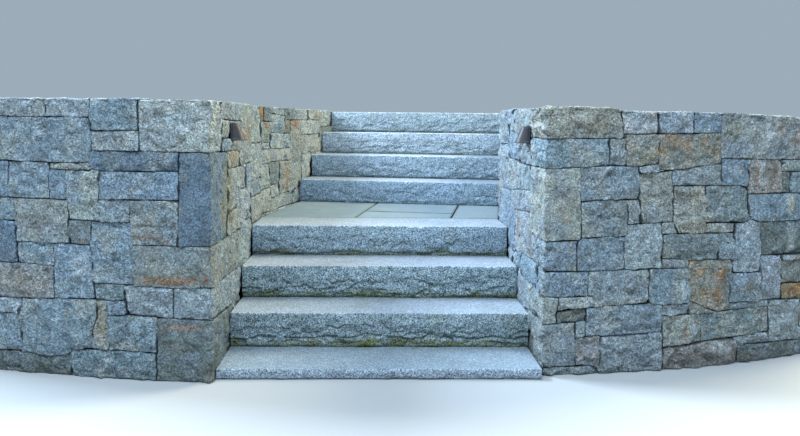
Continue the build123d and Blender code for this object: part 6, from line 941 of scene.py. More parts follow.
    ("bluegrey", [4685, 745, 4747, 746, 4775, 749, 4777, 753, 4777, 781, 4779, 789, 4778, 795, 4771, 797, 4763, 795, 4743, 795, 4733, 793, 4703, 792, 4683, 789, 4681, 785, 4681, 750, 4682, 747]),
    ("bluegrey", [5617, 753, 5665, 753, 5671, 755, 5674, 845, 5676, 857, 5676, 901, 5673, 903, 5665, 903, 5645, 900, 5557, 900, 5533, 897, 5532, 891, 5533, 757, 5537, 755]),
    ("bluegrey", [-3287, 807, -3249, 805, -3199, 807, -3189, 805, -3184, 807, -3181, 835, -3180, 919, -3184, 991, -3184, 1049, -3185, 1053, -3187, 1054, -3271, 1056, -3281, 1054, -3307, 1054, -3311, 1052, -3312, 945, -3310, 813, -3307, 808]),
    ("bluegrey", [-2956, 801, -2949, 799, -2807, 799, -2743, 801, -2739, 803, -2737, 807, -2736, 843, -2731, 891, -2735, 893, -2773, 892, -2785, 890, -2865, 891, -2875, 893, -2935, 893, -2951, 895, -2953, 889, -2953, 841, -2956, 827]),
    ("grey", [-1978, 805, -1893, 804, -1862, 807, -1860, 815, -1862, 833, -1862, 887, -1865, 901, -1869, 902, -1879, 901, -1947, 900, -1981, 896, -1983, 889, -1983, 867, -1981, 857, -1981, 821]),
    ("light", [4529, 795, 4537, 794, 4607, 795, 4613, 795, 4615, 797, 4615, 821, 4613, 833, 4614, 889, 4612, 893, 4533, 894, 4523, 896, 4501, 897, 4494, 895, 4496, 847, 4498, 839, 4498, 811, 4500, 799, 4503, 796]),
    ("lightblue", [4654, 795, 4733, 795, 4787, 799, 4793, 802, 4794, 807, 4794, 833, 4795, 843, 4796, 885, 4798, 897, 4795, 999, 4749, 1002, 4741, 1001, 4679, 1000, 4667, 998, 4623, 997, 4618, 995, 4616, 913, 4618, 901, 4621, 799, 4625, 795]),
    ("light", [4798, 803, 4809, 801, 4937, 813, 4977, 813, 4987, 815, 5031, 813, 5033, 817, 5037, 849, 5036, 905, 5035, 907, 5031, 908, 4999, 908, 4979, 910, 4969, 909, 4913, 909, 4901, 907, 4873, 907, 4835, 903, 4813, 903, 4805, 901, 4802, 897, 4799, 885, 4800, 843, 4798, 831]),
    ("blue", [5207, 801, 5215, 801, 5216, 805, 5217, 889, 5214, 895, 5209, 897, 5165, 899, 5083, 906, 5059, 906, 5047, 908, 5041, 905, 5034, 841, 5035, 819, 5037, 814, 5089, 813, 5189, 802]),
    ("buff", [5680, 805, 5871, 803, 5903, 804, 5905, 813, 5904, 871, 5905, 881, 5907, 975, 5906, 1003, 5899, 1005, 5747, 1004, 5735, 1002, 5686, 1001, 5685, 999, 5682, 981, 5680, 913, 5678, 903, 5679, 855, 5677, 843, 5678, 809]),
    ("pink", [6488, 803, 6507, 802, 6609, 805, 6617, 806, 6659, 805, 6707, 807, 6709, 809, 6709, 827, 6707, 837, 6705, 883, 6703, 900, 6699, 902, 6563, 904, 6479, 901, 6477, 895, 6478, 809, 6479, 805]),
    ("pink", [6774, 805, 6831, 804, 6899, 805, 6904, 807, 6905, 897, 6905, 945, 6901, 947, 6861, 948, 6837, 951, 6759, 949, 6715, 952, 6707, 951, 6706, 939, 6708, 927, 6708, 893, 6715, 831, 6715, 815, 6717, 809, 6721, 807, 6767, 807]),
    ("light", [7161, 805, 7221, 803, 7231, 805, 7335, 809, 7349, 813, 7352, 849, 7352, 955, 7355, 971, 7355, 1046, 7293, 1046, 7281, 1044, 7141, 1044, 7135, 1043, 7134, 1037, 7133, 987, 7131, 977, 7131, 935, 7129, 925, 7130, 847, 7128, 837, 7128, 809, 7129, 807, 7133, 806]),
    ("buffgrey", [7401, 807, 7435, 806, 7467, 810, 7513, 811, 7515, 817, 7514, 853, 7509, 855, 7447, 855, 7437, 853, 7359, 851, 7357, 849, 7356, 845, 7358, 811, 7363, 809]),
    ("bluegrey", [-2725, 853, -2703, 852, -2691, 853, -2647, 852, -2635, 854, -2593, 854, -2583, 856, -2525, 856, -2515, 858, -2449, 858, -2447, 859, -2445, 865, -2446, 953, -2451, 955, -2475, 955, -2511, 954, -2523, 951, -2575, 951, -2583, 949, -2653, 949, -2661, 947, -2691, 947, -2699, 945, -2721, 944, -2724, 941, -2726, 915, -2726, 881, -2727, 871]),
    ("light", [-1356, 849, -1319, 848, -1313, 851, -1313, 909, -1314, 943, -1316, 947, -1387, 947, -1399, 949, -1457, 950, -1493, 950, -1499, 948, -1499, 867, -1497, 855, -1493, 850, -1489, 849, -1481, 852, -1439, 853, -1363, 851]),
    ("bluegrey", [-1181, 847, -1165, 847, -1161, 849, -1160, 853, -1160, 877, -1158, 887, -1159, 993, -1163, 994, -1205, 996, -1219, 999, -1283, 997, -1301, 999, -1307, 998, -1309, 991, -1312, 885, -1311, 851, -1309, 849, -1303, 849, -1251, 850, -1239, 852, -1193, 852, -1187, 851]),
    ("light", [5263, 847, 5357, 846, 5367, 848, 5391, 848, 5395, 849, 5393, 981, 5389, 992, 5305, 990, 5293, 992, 5239, 992, 5227, 994, 5221, 993, 5219, 901, 5221, 853, 5223, 850, 5231, 848]),
    ("bluegrey", [5401, 849, 5409, 848, 5419, 849, 5499, 852, 5523, 854, 5527, 856, 5528, 967, 5526, 977, 5525, 1021, 5524, 1031, 5524, 1087, 5520, 1095, 5475, 1096, 5463, 1094, 5397, 1093, 5392, 1091, 5391, 1061, 5393, 1051, 5393, 1025, 5394, 1017, 5393, 991, 5395, 983, 5395, 955, 5397, 947, 5399, 913, 5401, 905]),
    ("buffgrey", [5910, 857, 6042, 857, 6044, 867, 6042, 949, 6037, 951, 5912, 953, 5910, 947, 5911, 883, 5908, 863]),
    ("darkblue", [7358, 857, 7435, 855, 7447, 857, 7509, 858, 7513, 860, 7515, 969, 7513, 1041, 7511, 1046, 7401, 1049, 7391, 1047, 7363, 1047, 7360, 1045, 7357, 1035, 7357, 965, 7356, 953, 7356, 863]),
    ("bluegrey", [2721, 895, 2833, 897, 2835, 901, 2834, 911, 2836, 953, 2829, 954, 2751, 954, 2713, 951, 2710, 945, 2709, 899, 2711, 896]),
    ("buff", [2965, 895, 3023, 895, 3033, 897, 3034, 901, 3034, 943, 3033, 947, 3031, 948, 2977, 949, 2955, 957, 2935, 956, 2925, 955, 2847, 955, 2841, 953, 2838, 949, 2838, 911, 2840, 899, 2843, 896]),
    ("bluegrey", [-3089, 905, -3069, 904, -3063, 905, -3061, 945, -3063, 950, -3075, 953, -3111, 952, -3119, 953, -3173, 954, -3177, 952, -3177, 913, -3175, 908, -3143, 906]),
    ("bluegrey", [-2995, 901, -2975, 900, -2970, 903, -2972, 993, -2975, 995, -2995, 997, -3021, 998, -3033, 1000, -3057, 1000, -3059, 993, -3057, 906, -3055, 905, -3035, 902]),
    ("browngrey", [-2866, 897, -2833, 896, -2787, 897, -2775, 899, -2731, 899, -2727, 927, -2729, 990, -2735, 992, -2775, 991, -2787, 989, -2843, 990, -2855, 992, -2907, 992, -2917, 994, -2964, 995, -2966, 991, -2967, 961, -2966, 901, -2937, 898, -2873, 898]),
    ("grey", [-2295, 905, -2293, 905, -2291, 909, -2291, 963, -2288, 975, -2287, 1017, -2287, 1041, -2289, 1046, -2295, 1049, -2339, 1047, -2347, 1049, -2399, 1051, -2415, 1054, -2427, 1064, -2429, 1065, -2433, 1062, -2442, 1053, -2444, 1047, -2445, 971, -2443, 959, -2443, 909, -2437, 906, -2325, 907]),
    ("buffgrey", [-1893, 903, -1877, 903, -1864, 907, -1863, 937, -1866, 951, -1921, 952, -1936, 949, -1938, 945, -1937, 929, -1934, 905, -1929, 904]),
    ("light", [3909, 887, 3915, 887, 3933, 906, 3985, 906, 3993, 908, 4023, 908, 4027, 910, 4024, 973, 4020, 1017, 4020, 1047, 4019, 1052, 3999, 1052, 3989, 1050, 3971, 1049, 3903, 1049, 3897, 1047, 3893, 1009, 3892, 907, 3894, 901]),
    ("blue", [4532, 899, 4607, 899, 4613, 901, 4610, 995, 4605, 997, 4563, 998, 4495, 997, 4483, 999, 4454, 999, 4452, 995, 4451, 961, 4452, 903, 4455, 901, 4481, 900, 4523, 900]),
    ("buffgrey", [4803, 905, 4833, 906, 4873, 909, 4901, 909, 4911, 911, 4967, 912, 4985, 914, 4999, 912, 5051, 912, 5063, 910, 5079, 910, 5083, 929, 5083, 1048, 5079, 1050, 5043, 1049, 5033, 1051, 4971, 1050, 4959, 1053, 4911, 1055, 4805, 1053, 4805, 1009, 4804, 999, 4802, 913]),
    ("bluegrey", [5213, 899, 5216, 901, 5217, 905, 5216, 989, 5215, 993, 5189, 996, 5161, 995, 5115, 999, 5095, 999, 5090, 997, 5086, 969, 5086, 927, 5084, 917, 5085, 911, 5093, 908]),
    ("bluegrey", [5532, 903, 5539, 902, 5559, 904, 5647, 904, 5675, 905, 5678, 909, 5679, 913, 5678, 981, 5679, 993, 5678, 999, 5627, 999, 5615, 997, 5575, 998, 5567, 996, 5532, 995, 5530, 991, 5530, 981, 5532, 969]),
    ("buffgrey", [6214, 901, 6321, 903, 6326, 905, 6327, 959, 6325, 969, 6326, 997, 6324, 1005, 6323, 1047, 6321, 1051, 6113, 1049, 6053, 1051, 6048, 1049, 6046, 1017, 6048, 911, 6049, 907, 6093, 904, 6171, 906, 6197, 904]),
    ("bluegrey", [6337, 903, 6465, 904, 6477, 906, 6565, 903, 6703, 906, 6705, 911, 6705, 923, 6703, 939, 6703, 1009, 6705, 1021, 6703, 1051, 6699, 1054, 6607, 1055, 6467, 1055, 6453, 1052, 6421, 1051, 6369, 1053, 6327, 1051, 6325, 1047, 6325, 1037, 6333, 963, 6333, 907]),
    ("rustbuff", [-3071, 955, -3063, 955, -3062, 959, -3061, 997, -3062, 1001, -3065, 1003, -3099, 1003, -3107, 1004, -3153, 1002, -3165, 1004, -3173, 1003, -3175, 1001, -3177, 965, -3173, 960, -3121, 959, -3107, 957]),
    ("light", [-2722, 949, -2703, 948, -2691, 949, -2663, 949, -2575, 958, -2447, 958, -2449, 1051, -2447, 1057, -2436, 1069, -2434, 1073, -2434, 1097, -2436, 1107, -2435, 1133, -2437, 1137, -2449, 1149, -2457, 1151, -2497, 1150, -2513, 1148, -2589, 1149, -2597, 1148, -2693, 1144, -2723, 1141, -2725, 1097, -2723, 1085, -2724, 955]),
    ("buffgrey", [-1520, 955, -1499, 954, -1495, 955, -1494, 957, -1490, 1013, -1490, 1047, -1492, 1053, -1513, 1054, -1559, 1052, -1641, 1055, -1643, 1049, -1642, 1011, -1640, 999, -1639, 963, -1637, 960, -1609, 958, -1599, 956]),
    ("bluegrey", [-1388, 953, -1327, 952, -1317, 952, -1315, 954, -1314, 993, -1313, 1001, -1314, 1009, -1314, 1061, -1312, 1073, -1313, 1098, -1319, 1100, -1487, 1100, -1489, 1097, -1490, 1071, -1489, 995, -1491, 983, -1489, 955, -1471, 954, -1397, 955]),
    ("bluegrey", [5922, 955, 6037, 957, 6043, 959, 6045, 1027, 6043, 1145, 6041, 1149, 5951, 1151, 5915, 1151, 5911, 1149, 5912, 1065, 5912, 1045, 5910, 1035, 5909, 963, 5911, 958]),
    ("blue", [6747, 955, 6797, 955, 6801, 999, 6797, 1001, 6775, 1001, 6767, 1003, 6707, 1002, 6705, 995, 6706, 957, 6711, 955]),
    ("buffgrey", [6934, 951, 6981, 950, 6985, 951, 6987, 953, 6985, 1087, 6984, 1093, 6977, 1096, 6939, 1097, 6931, 1099, 6901, 1098, 6891, 1100, 6859, 1099, 6849, 1101, 6810, 1101, 6808, 1097, 6805, 1041, 6802, 1031, 6803, 993, 6801, 981, 6802, 955, 6811, 953, 6853, 954]),
    ("light", [7107, 949, 7125, 948, 7129, 951, 7132, 991, 7131, 1037, 7129, 1044, 7079, 1045, 7025, 1044, 7013, 1046, 6995, 1045, 6991, 1043, 6988, 963, 6989, 953, 6991, 951, 7057, 953]),
    ("bluegrey", [-2908, 997, -2883, 997, -2881, 997, -2879, 1001, -2880, 1057, -2877, 1115, -2881, 1187, -2883, 1193, -2909, 1195, -2999, 1196, -3013, 1198, -3133, 1198, -3173, 1196, -3179, 1194, -3181, 1165, -3180, 1155, -3180, 1107, -3179, 1081, -3177, 1071, -3176, 1017, -3174, 1013, -3149, 1009, -3107, 1007, -3097, 1005, -3067, 1004, -3057, 1003, -2993, 1002, -2985, 1001, -2957, 1001, -2949, 999, -2915, 999]),
    ("light", [-2852, 997, -2839, 995, -2789, 996, -2777, 998, -2735, 997, -2731, 998, -2729, 1001, -2728, 1081, -2730, 1093, -2732, 1147, -2734, 1157, -2733, 1207, -2735, 1219, -2735, 1287, -2736, 1295, -2736, 1363, -2738, 1479, -2739, 1485, -2743, 1486, -2783, 1477, -2791, 1477, -2801, 1480, -2817, 1489, -2851, 1517, -2871, 1527, -2874, 1525, -2875, 1521, -2876, 1435, -2874, 1221, -2877, 1141, -2872, 1075, -2873, 1003, -2872, 999, -2869, 997]),
    ("pink", [4494, 1003, 4551, 1001, 4597, 1004, 4599, 1009, 4600, 1097, 4593, 1099, 4577, 1097, 4545, 1096, 4455, 1096, 4453, 1091, 4454, 1043, 4452, 1033, 4453, 1007, 4457, 1004, 4485, 1005]),
    ("buffgrey", [4645, 1003, 4667, 1002, 4691, 1004, 4694, 1005, 4694, 1093, 4692, 1099, 4647, 1100, 4637, 1099, 4609, 1099, 4604, 1097, 4603, 1073, 4606, 1005, 4611, 1003]),
    ("light", [4699, 1005, 4705, 1003, 4737, 1004, 4749, 1006, 4793, 1008, 4797, 1010, 4801, 1083, 4800, 1147, 4799, 1153, 4785, 1154, 4773, 1152, 4717, 1152, 4701, 1149, 4699, 1147]),
    ("light", [5337, 993, 5375, 993, 5388, 995, 5391, 997, 5391, 1015, 5388, 1023, 5387, 1049, 5386, 1057, 5385, 1089, 5383, 1093, 5279, 1095, 5195, 1093, 5183, 1095, 5127, 1096, 5115, 1098, 5095, 1099, 5090, 1097, 5088, 1061, 5089, 1009, 5091, 1005, 5153, 1002, 5199, 997, 5229, 997, 5241, 995, 5295, 995, 5305, 993]),
    ("bluegrey", [5532, 1001, 5563, 1000, 5575, 1002, 5613, 1003, 5623, 1005, 5667, 1005, 5677, 1007, 5903, 1008, 5906, 1013, 5907, 1097, 5905, 1100, 5901, 1101, 5753, 1103, 5687, 1101, 5675, 1099, 5615, 1099, 5603, 1097, 5547, 1097, 5530, 1095, 5528, 1093, 5528, 1035, 5530, 1025, 5530, 1005]),
    ("blue", [6775, 1003, 6797, 1003, 6801, 1005, 6803, 1041, 6803, 1073, 6804, 1081, 6803, 1102, 6799, 1104, 6747, 1104, 6735, 1105, 6713, 1104, 6711, 1099, 6706, 1007, 6711, 1005, 6767, 1005]),
    ("bluegrey", [-1231, 1001, -1218, 1001, -1215, 1005, -1215, 1059, -1213, 1071, -1215, 1097, -1257, 1100, -1306, 1099, -1308, 1095, -1308, 1069, -1310, 1059, -1309, 1007, -1305, 1005, -1287, 1003]),
    ("browngrey", [-3310, 1059, -3285, 1058, -3273, 1060, -3185, 1062, -3183, 1069, -3184, 1079, -3184, 1101, -3187, 1104, -3197, 1105, -3273, 1104, -3283, 1103, -3309, 1102, -3312, 1101, -3313, 1097, -3312, 1065]),
    ("bluegrey", [-2052, 1047, -2045, 1046, -2033, 1048, -1995, 1048, -1991, 1051, -1989, 1167, -1987, 1179, -1987, 1189, -1989, 1193, -2003, 1193, -2015, 1191, -2045, 1189, -2049, 1187, -2050, 1157, -2053, 1145]),
    ("blue", [-1537, 1055, -1497, 1054, -1493, 1054, -1491, 1057, -1492, 1121, -1490, 1135, -1492, 1149, -1492, 1201, -1497, 1204, -1505, 1201, -1571, 1199, -1583, 1202, -1627, 1203, -1635, 1205, -1643, 1204, -1645, 1199, -1642, 1139, -1644, 1061, -1635, 1057, -1573, 1059]),
    ("buffgrey", [3982, 1055, 4013, 1056, 4018, 1057, 4019, 1093, 4017, 1102, 4007, 1103, 3979, 1098, 3978, 1063]),
    ("buffgrey", [5043, 1055, 5081, 1054, 5084, 1057, 5086, 1073, 5083, 1201, 5081, 1213, 5082, 1253, 5080, 1263, 5079, 1497, 5077, 1498, 5055, 1493, 5031, 1493, 5011, 1497, 4983, 1497, 4937, 1477, 4915, 1473, 4899, 1477, 4889, 1482, 4835, 1523, 4815, 1530, 4809, 1529, 4808, 1523, 4808, 1399, 4806, 1331, 4807, 1247, 4806, 1203, 4803, 1187, 4803, 1085, 4804, 1059, 4809, 1058, 4903, 1057, 4963, 1059, 4973, 1058, 5035, 1057]),
    ("lightblue", [6317, 1053, 6359, 1053, 6369, 1055, 6405, 1057, 6409, 1061, 6407, 1087, 6407, 1115, 6406, 1125, 6406, 1205, 6408, 1215, 6410, 1277, 6412, 1287, 6413, 1461, 6413, 1499, 6412, 1505, 6395, 1514, 6377, 1518, 6361, 1518, 6325, 1512, 6309, 1514, 6293, 1520, 6255, 1539, 6247, 1541, 6231, 1541, 6213, 1534, 6163, 1496, 6143, 1487, 6119, 1486, 6089, 1491, 6079, 1491, 6053, 1485, 6051, 1482, 6050, 1475, 6051, 1387, 6049, 1321, 6052, 1249, 6050, 1185, 6048, 1173, 6049, 1055, 6055, 1054, 6109, 1055, 6183, 1054, 6273, 1055]),
    ("light", [6447, 1057, 6463, 1059, 6609, 1058, 6699, 1060, 6702, 1063, 6704, 1075, 6704, 1107, 6706, 1117, 6708, 1155, 6701, 1157, 6647, 1157, 6621, 1156, 6609, 1154, 6481, 1154, 6469, 1152, 6415, 1151, 6411, 1148, 6410, 1141, 6416, 1061, 6417, 1059, 6421, 1058]),
    ("bluegrey", [7022, 1049, 7067, 1047, 7241, 1048, 7279, 1048, 7293, 1050, 7387, 1049, 7417, 1053, 7418, 1087, 7416, 1101, 7415, 1147, 7416, 1175, 7418, 1193, 7417, 1261, 7419, 1273, 7420, 1309, 7421, 1465, 7420, 1513, 7418, 1519, 7389, 1517, 7375, 1519, 7331, 1537, 7315, 1539, 7299, 1535, 7291, 1531, 7245, 1496, 7231, 1491, 7217, 1488, 7199, 1492, 7165, 1505, 7151, 1508, 7139, 1508, 7107, 1501, 7087, 1499, 7063, 1506, 7019, 1531, 7007, 1533, 6995, 1533, 6991, 1531, 6989, 1525, 6990, 1449, 6988, 1373, 6989, 1155, 6992, 1141, 6991, 1057, 6992, 1053, 6995, 1051]),
    ("lightbuff", [7423, 1053, 7429, 1052, 7505, 1053, 7512, 1055, 7514, 1135, 7514, 1147, 7512, 1151, 7497, 1154, 7427, 1153, 7422, 1151, 7420, 1101]),
    ("bluegrey", [-3311, 1107, -3301, 1106, -3273, 1108, -3191, 1108, -3185, 1109, -3184, 1111, -3184, 1149, -3187, 1163, -3189, 1197, -3187, 1235, -3190, 1327, -3189, 1391, -3189, 1499, -3190, 1521, -3193, 1525, -3207, 1522, -3231, 1523, -3263, 1533, -3277, 1535, -3287, 1533, -3299, 1528, -3309, 1521, -3312, 1517, -3313, 1475, -3312, 1113]),
    ("buffgrey", [-1248, 1103, -1219, 1102, -1215, 1105, -1212, 1217, -1209, 1227, -1191, 1249, -1193, 1257, -1205, 1274, -1209, 1273, -1243, 1239, -1249, 1236, -1401, 1239, -1413, 1237, -1487, 1237, -1494, 1233, -1495, 1211, -1489, 1197, -1487, 1151, -1486, 1139, -1488, 1119, -1487, 1105, -1481, 1104, -1333, 1106]),
    ("buff", [4408, 1101, 4451, 1101, 4463, 1100, 4544, 1101, 4546, 1105, 4547, 1147, 4549, 1159, 4549, 1191, 4545, 1192, 4463, 1190, 4435, 1190, 4423, 1192, 4387, 1192, 4379, 1194, 4349, 1194, 4341, 1195, 4317, 1195, 4315, 1189, 4314, 1115, 4315, 1109, 4333, 1106, 4361, 1105, 4371, 1103, 4401, 1103]),
    ("bluegrey", [4552, 1101, 4575, 1100, 4587, 1101, 4635, 1101, 4647, 1103, 4689, 1104, 4694, 1107, 4696, 1205, 4699, 1215, 4700, 1253, 4702, 1265, 4700, 1343, 4701, 1517, 4700, 1531, 4697, 1534, 4687, 1536, 4667, 1530, 4651, 1521, 4615, 1493, 4601, 1487, 4577, 1486, 4559, 1492, 4555, 1491, 4553, 1447, 4555, 1377, 4553, 1249, 4551, 1225, 4551, 1157, 4549, 1145, 4550, 1105]),
    ("grey", [5123, 1101, 5185, 1101, 5209, 1099, 5214, 1101, 5215, 1105, 5215, 1205, 5213, 1215, 5212, 1281, 5210, 1295, 5209, 1321, 5210, 1489, 5207, 1493, 5167, 1519, 5155, 1525, 5145, 1528, 5131, 1527, 5120, 1523, 5087, 1503, 5084, 1497, 5084, 1267, 5086, 1253, 5087, 1213, 5088, 1203, 5088, 1133, 5090, 1105, 5093, 1102]),
    ("bluegrey", [5225, 1099, 5461, 1097, 5473, 1099, 5537, 1100, 5545, 1102, 5565, 1103, 5569, 1105, 5570, 1191, 5572, 1203, 5571, 1241, 5573, 1249, 5573, 1287, 5575, 1297, 5576, 1321, 5576, 1517, 5575, 1525, 5555, 1523, 5527, 1523, 5477, 1539, 5461, 1541, 5439, 1533, 5399, 1502, 5385, 1493, 5371, 1487, 5347, 1486, 5305, 1497, 5285, 1498, 5245, 1489, 5215, 1489, 5215, 1217, 5217, 1205, 5218, 1133, 5220, 1125, 5221, 1103]),
    ("rustbuff", [5576, 1103, 5675, 1104, 5685, 1106, 5793, 1105, 5800, 1107, 5799, 1187, 5802, 1275, 5801, 1451, 5800, 1503, 5797, 1508, 5777, 1512, 5763, 1510, 5749, 1505, 5717, 1486, 5705, 1481, 5697, 1479, 5683, 1479, 5664, 1485, 5611, 1521, 5595, 1527, 5583, 1527, 5580, 1525, 5580, 1297, 5578, 1287, 5578, 1247, 5576, 1239, 5575, 1201, 5573, 1187, 5574, 1109]),
    ("bluegrey", [5805, 1107, 5811, 1106, 5905, 1107, 5907, 1111, 5907, 1127, 5906, 1139, 5905, 1199, 5895, 1200, 5807, 1197, 5806, 1193, 5804, 1115]),
    ("grey", [6810, 1107, 6825, 1107, 6829, 1117, 6829, 1205, 6803, 1208, 6719, 1209, 6717, 1207, 6715, 1187, 6715, 1153, 6713, 1143, 6714, 1113, 6717, 1111, 6739, 1111, 6749, 1109, 6803, 1108]),
    ("light", [6935, 1101, 6943, 1099, 6981, 1100, 6985, 1103, 6983, 1191, 6981, 1193, 6959, 1195, 6836, 1205, 6834, 1199, 6833, 1109, 6837, 1107]),
    ("pink", [-2710, 1149, -2697, 1151, -2665, 1151, -2663, 1155, -2664, 1183, -2667, 1193, -2721, 1195, -2727, 1193, -2727, 1161, -2725, 1153, -2721, 1149]),
    ("buffgrey", [-2655, 1151, -2599, 1152, -2591, 1154, -2547, 1156, -2545, 1157, -2544, 1163, -2546, 1197, -2551, 1199, -2583, 1200, -2591, 1199, -2655, 1196, -2657, 1193, -2657, 1155]),
    ("light", [-2434, 1143, -2429, 1143, -2419, 1153, -2418, 1191, -2419, 1199, -2531, 1197, -2535, 1197, -2537, 1195, -2535, 1161, -2533, 1157, -2511, 1157, -2499, 1158, -2453, 1157, -2445, 1153]),
    ("bluegrey", [4700, 1155, 4773, 1155, 4797, 1158, 4800, 1161, 4801, 1195, 4802, 1203, 4800, 1263, 4802, 1287, 4805, 1299, 4806, 1327, 4804, 1399, 4804, 1521, 4804, 1527, 4801, 1529, 4769, 1523, 4745, 1522, 4731, 1525, 4709, 1532, 4705, 1531, 4704, 1529, 4705, 1337, 4702, 1263, 4700, 1253, 4701, 1215, 4700, 1205]),
    ("buffgrey", [5911, 1155, 5919, 1154, 5977, 1154, 6037, 1155, 6043, 1157, 6045, 1187, 6044, 1257, 6047, 1323, 6044, 1385, 6044, 1479, 6041, 1480, 6013, 1473, 5993, 1476, 5977, 1484, 5937, 1516, 5925, 1522, 5911, 1525, 5908, 1523, 5907, 1517, 5909, 1443, 5907, 1375, 5909, 1289, 5911, 1277, 5909, 1193, 5910, 1161]),
    ("bluegrey", [6410, 1157, 6413, 1155, 6469, 1156, 6479, 1158, 6595, 1162, 6601, 1165, 6608, 1219, 6611, 1285, 6613, 1295, 6613, 1505, 6611, 1513, 6565, 1525, 6543, 1525, 6525, 1517, 6487, 1491, 6477, 1486, 6465, 1483, 6455, 1484, 6445, 1486, 6419, 1500, 6416, 1499, 6415, 1457, 6416, 1285, 6412, 1245, 6412, 1213, 6410, 1203]),
    ("bluegrey", [6645, 1163, 6707, 1164, 6709, 1169, 6710, 1207, 6706, 1209, 6669, 1210, 6659, 1208, 6612, 1207, 6611, 1205, 6609, 1185, 6611, 1163]),
    ("bluegrey", [7508, 1157, 7513, 1157, 7514, 1161, 7513, 1215, 7515, 1329, 7515, 1439, 7513, 1477, 7510, 1481, 7496, 1491, 7477, 1507, 7459, 1518, 7447, 1522, 7427, 1522, 7425, 1521, 7423, 1517, 7423, 1491, 7424, 1271, 7422, 1259, 7420, 1161, 7425, 1158]),
    ("buffgrey", [-2894, 1199, -2883, 1199, -2881, 1203, -2879, 1437, -2881, 1527, -2883, 1528, -2891, 1527, -2925, 1508, -2943, 1502, -2961, 1503, -2997, 1511, -3015, 1509, -3061, 1484, -3069, 1482, -3079, 1481, -3089, 1484, -3099, 1489, -3130, 1517, -3142, 1525, -3157, 1531, -3175, 1531, -3181, 1529, -3183, 1525, -3183, 1499, -3184, 1389, -3183, 1323, -3184, 1263, -3179, 1205, -3173, 1204, -3129, 1202, -3009, 1201, -2997, 1199, -2907, 1201]),
    ("bluegrey", [-2723, 1201, -2669, 1202, -2657, 1204, -2595, 1202, -2585, 1205, -2584, 1215, -2586, 1223, -2587, 1259, -2589, 1269, -2588, 1527, -2589, 1532, -2591, 1533, -2607, 1524, -2641, 1494, -2661, 1481, -2669, 1479, -2687, 1478, -2721, 1487, -2727, 1487, -2730, 1485, -2732, 1417, -2733, 1317, -2732, 1297, -2730, 1285, -2729, 1219, -2727, 1203]),
    ("grey", [-2579, 1205, -2575, 1204, -2517, 1205, -2425, 1203, -2418, 1205, -2421, 1261, -2417, 1369, -2421, 1443, -2420, 1497, -2422, 1501, -2429, 1507, -2447, 1518, -2459, 1522, -2473, 1522, -2517, 1515, -2541, 1521, -2571, 1534, -2583, 1533, -2584, 1271, -2582, 1259, -2582, 1225]),
    ("buffgrey", [-2046, 1195, -2015, 1194, -2005, 1195, -1969, 1195, -1959, 1197, -1903, 1200, -1895, 1202, -1894, 1205, -1891, 1219, -1891, 1255, -1889, 1265, -1890, 1319, -1889, 1385, -1891, 1435, -1959, 1503, -1963, 1501, -1999, 1466, -2050, 1413, -2051, 1267, -2049, 1199]),
    ("lightblue", [4385, 1197, 4397, 1196, 4399, 1197, 4400, 1203, 4400, 1237, 4398, 1247, 4398, 1377, 4396, 1463, 4396, 1513, 4395, 1519, 4391, 1517, 4315, 1443, 4312, 1435, 4311, 1381, 4312, 1271, 4314, 1259, 4315, 1205, 4319, 1201]),
    ("yellowbuff", [4430, 1195, 4539, 1193, 4548, 1197, 4549, 1229, 4551, 1239, 4549, 1375, 4550, 1441, 4549, 1493, 4547, 1497, 4544, 1499, 4519, 1510, 4495, 1510, 4467, 1504, 4441, 1503, 4425, 1508, 4407, 1517, 4404, 1515, 4402, 1351, 4402, 1249, 4404, 1237, 4404, 1201, 4405, 1197, 4407, 1196]),
    ("rustbuff", [5843, 1205, 5901, 1204, 5905, 1205, 5906, 1207, 5905, 1275, 5903, 1289, 5905, 1377, 5902, 1445, 5905, 1515, 5904, 1523, 5901, 1524, 5889, 1522, 5847, 1505, 5831, 1502, 5809, 1505, 5807, 1505, 5805, 1501, 5803, 1281, 5805, 1211, 5806, 1207, 5809, 1206]),
    ("buffgrey", [6614, 1213, 6655, 1212, 6667, 1214, 6719, 1215, 6779, 1212, 6783, 1213, 6785, 1215, 6786, 1465, 6783, 1468, 6773, 1469, 6757, 1474, 6741, 1485, 6705, 1515, 6683, 1523, 6670, 1523, 6633, 1513, 6623, 1513, 6619, 1509, 6619, 1293, 6612, 1231, 6613, 1215]),
    ("rustbuff", [6871, 1207, 6875, 1208, 6876, 1215, 6876, 1231, 6874, 1241, 6872, 1373, 6874, 1487, 6871, 1492, 6861, 1493, 6847, 1493, 6823, 1485, 6803, 1474, 6791, 1470, 6789, 1467, 6789, 1217, 6790, 1213, 6793, 1212]),
    ("bluegrey", [6965, 1199, 6981, 1198, 6984, 1203, 6985, 1381, 6983, 1451, 6984, 1521, 6983, 1527, 6981, 1528, 6941, 1500, 6925, 1492, 6915, 1489, 6881, 1490, 6878, 1485, 6880, 1377, 6878, 1243, 6880, 1233, 6880, 1209, 6883, 1206, 6899, 1204]),
    ("buffgrey", [-1499, 1235, -1487, 1240, -1413, 1239, -1403, 1241, -1331, 1244, -1285, 1243, -1275, 1241, -1251, 1240, -1245, 1243, -1217, 1271, -1209, 1279, -1208, 1285, -1209, 1351, -1208, 1443, -1209, 1523, -1211, 1528, -1219, 1525, -1228, 1519, -1263, 1489, -1277, 1480, -1289, 1477, -1311, 1478, -1349, 1493, -1371, 1498, -1415, 1490, -1435, 1490, -1445, 1492, -1461, 1501, -1495, 1523, -1503, 1526, -1506, 1525, -1507, 1497, -1505, 1397, -1507, 1297, -1505, 1285, -1505, 1243, -1504, 1239]),
    ("bluegrey", [3485, 1251, 3615, 1253, 3619, 1254, 3621, 1257, 3621, 1267, 3620, 1277, 3621, 1375, 3619, 1421, 3553, 1489, 3533, 1508, 3523, 1508, 3487, 1500, 3484, 1497, 3480, 1281, 3481, 1255]),
]
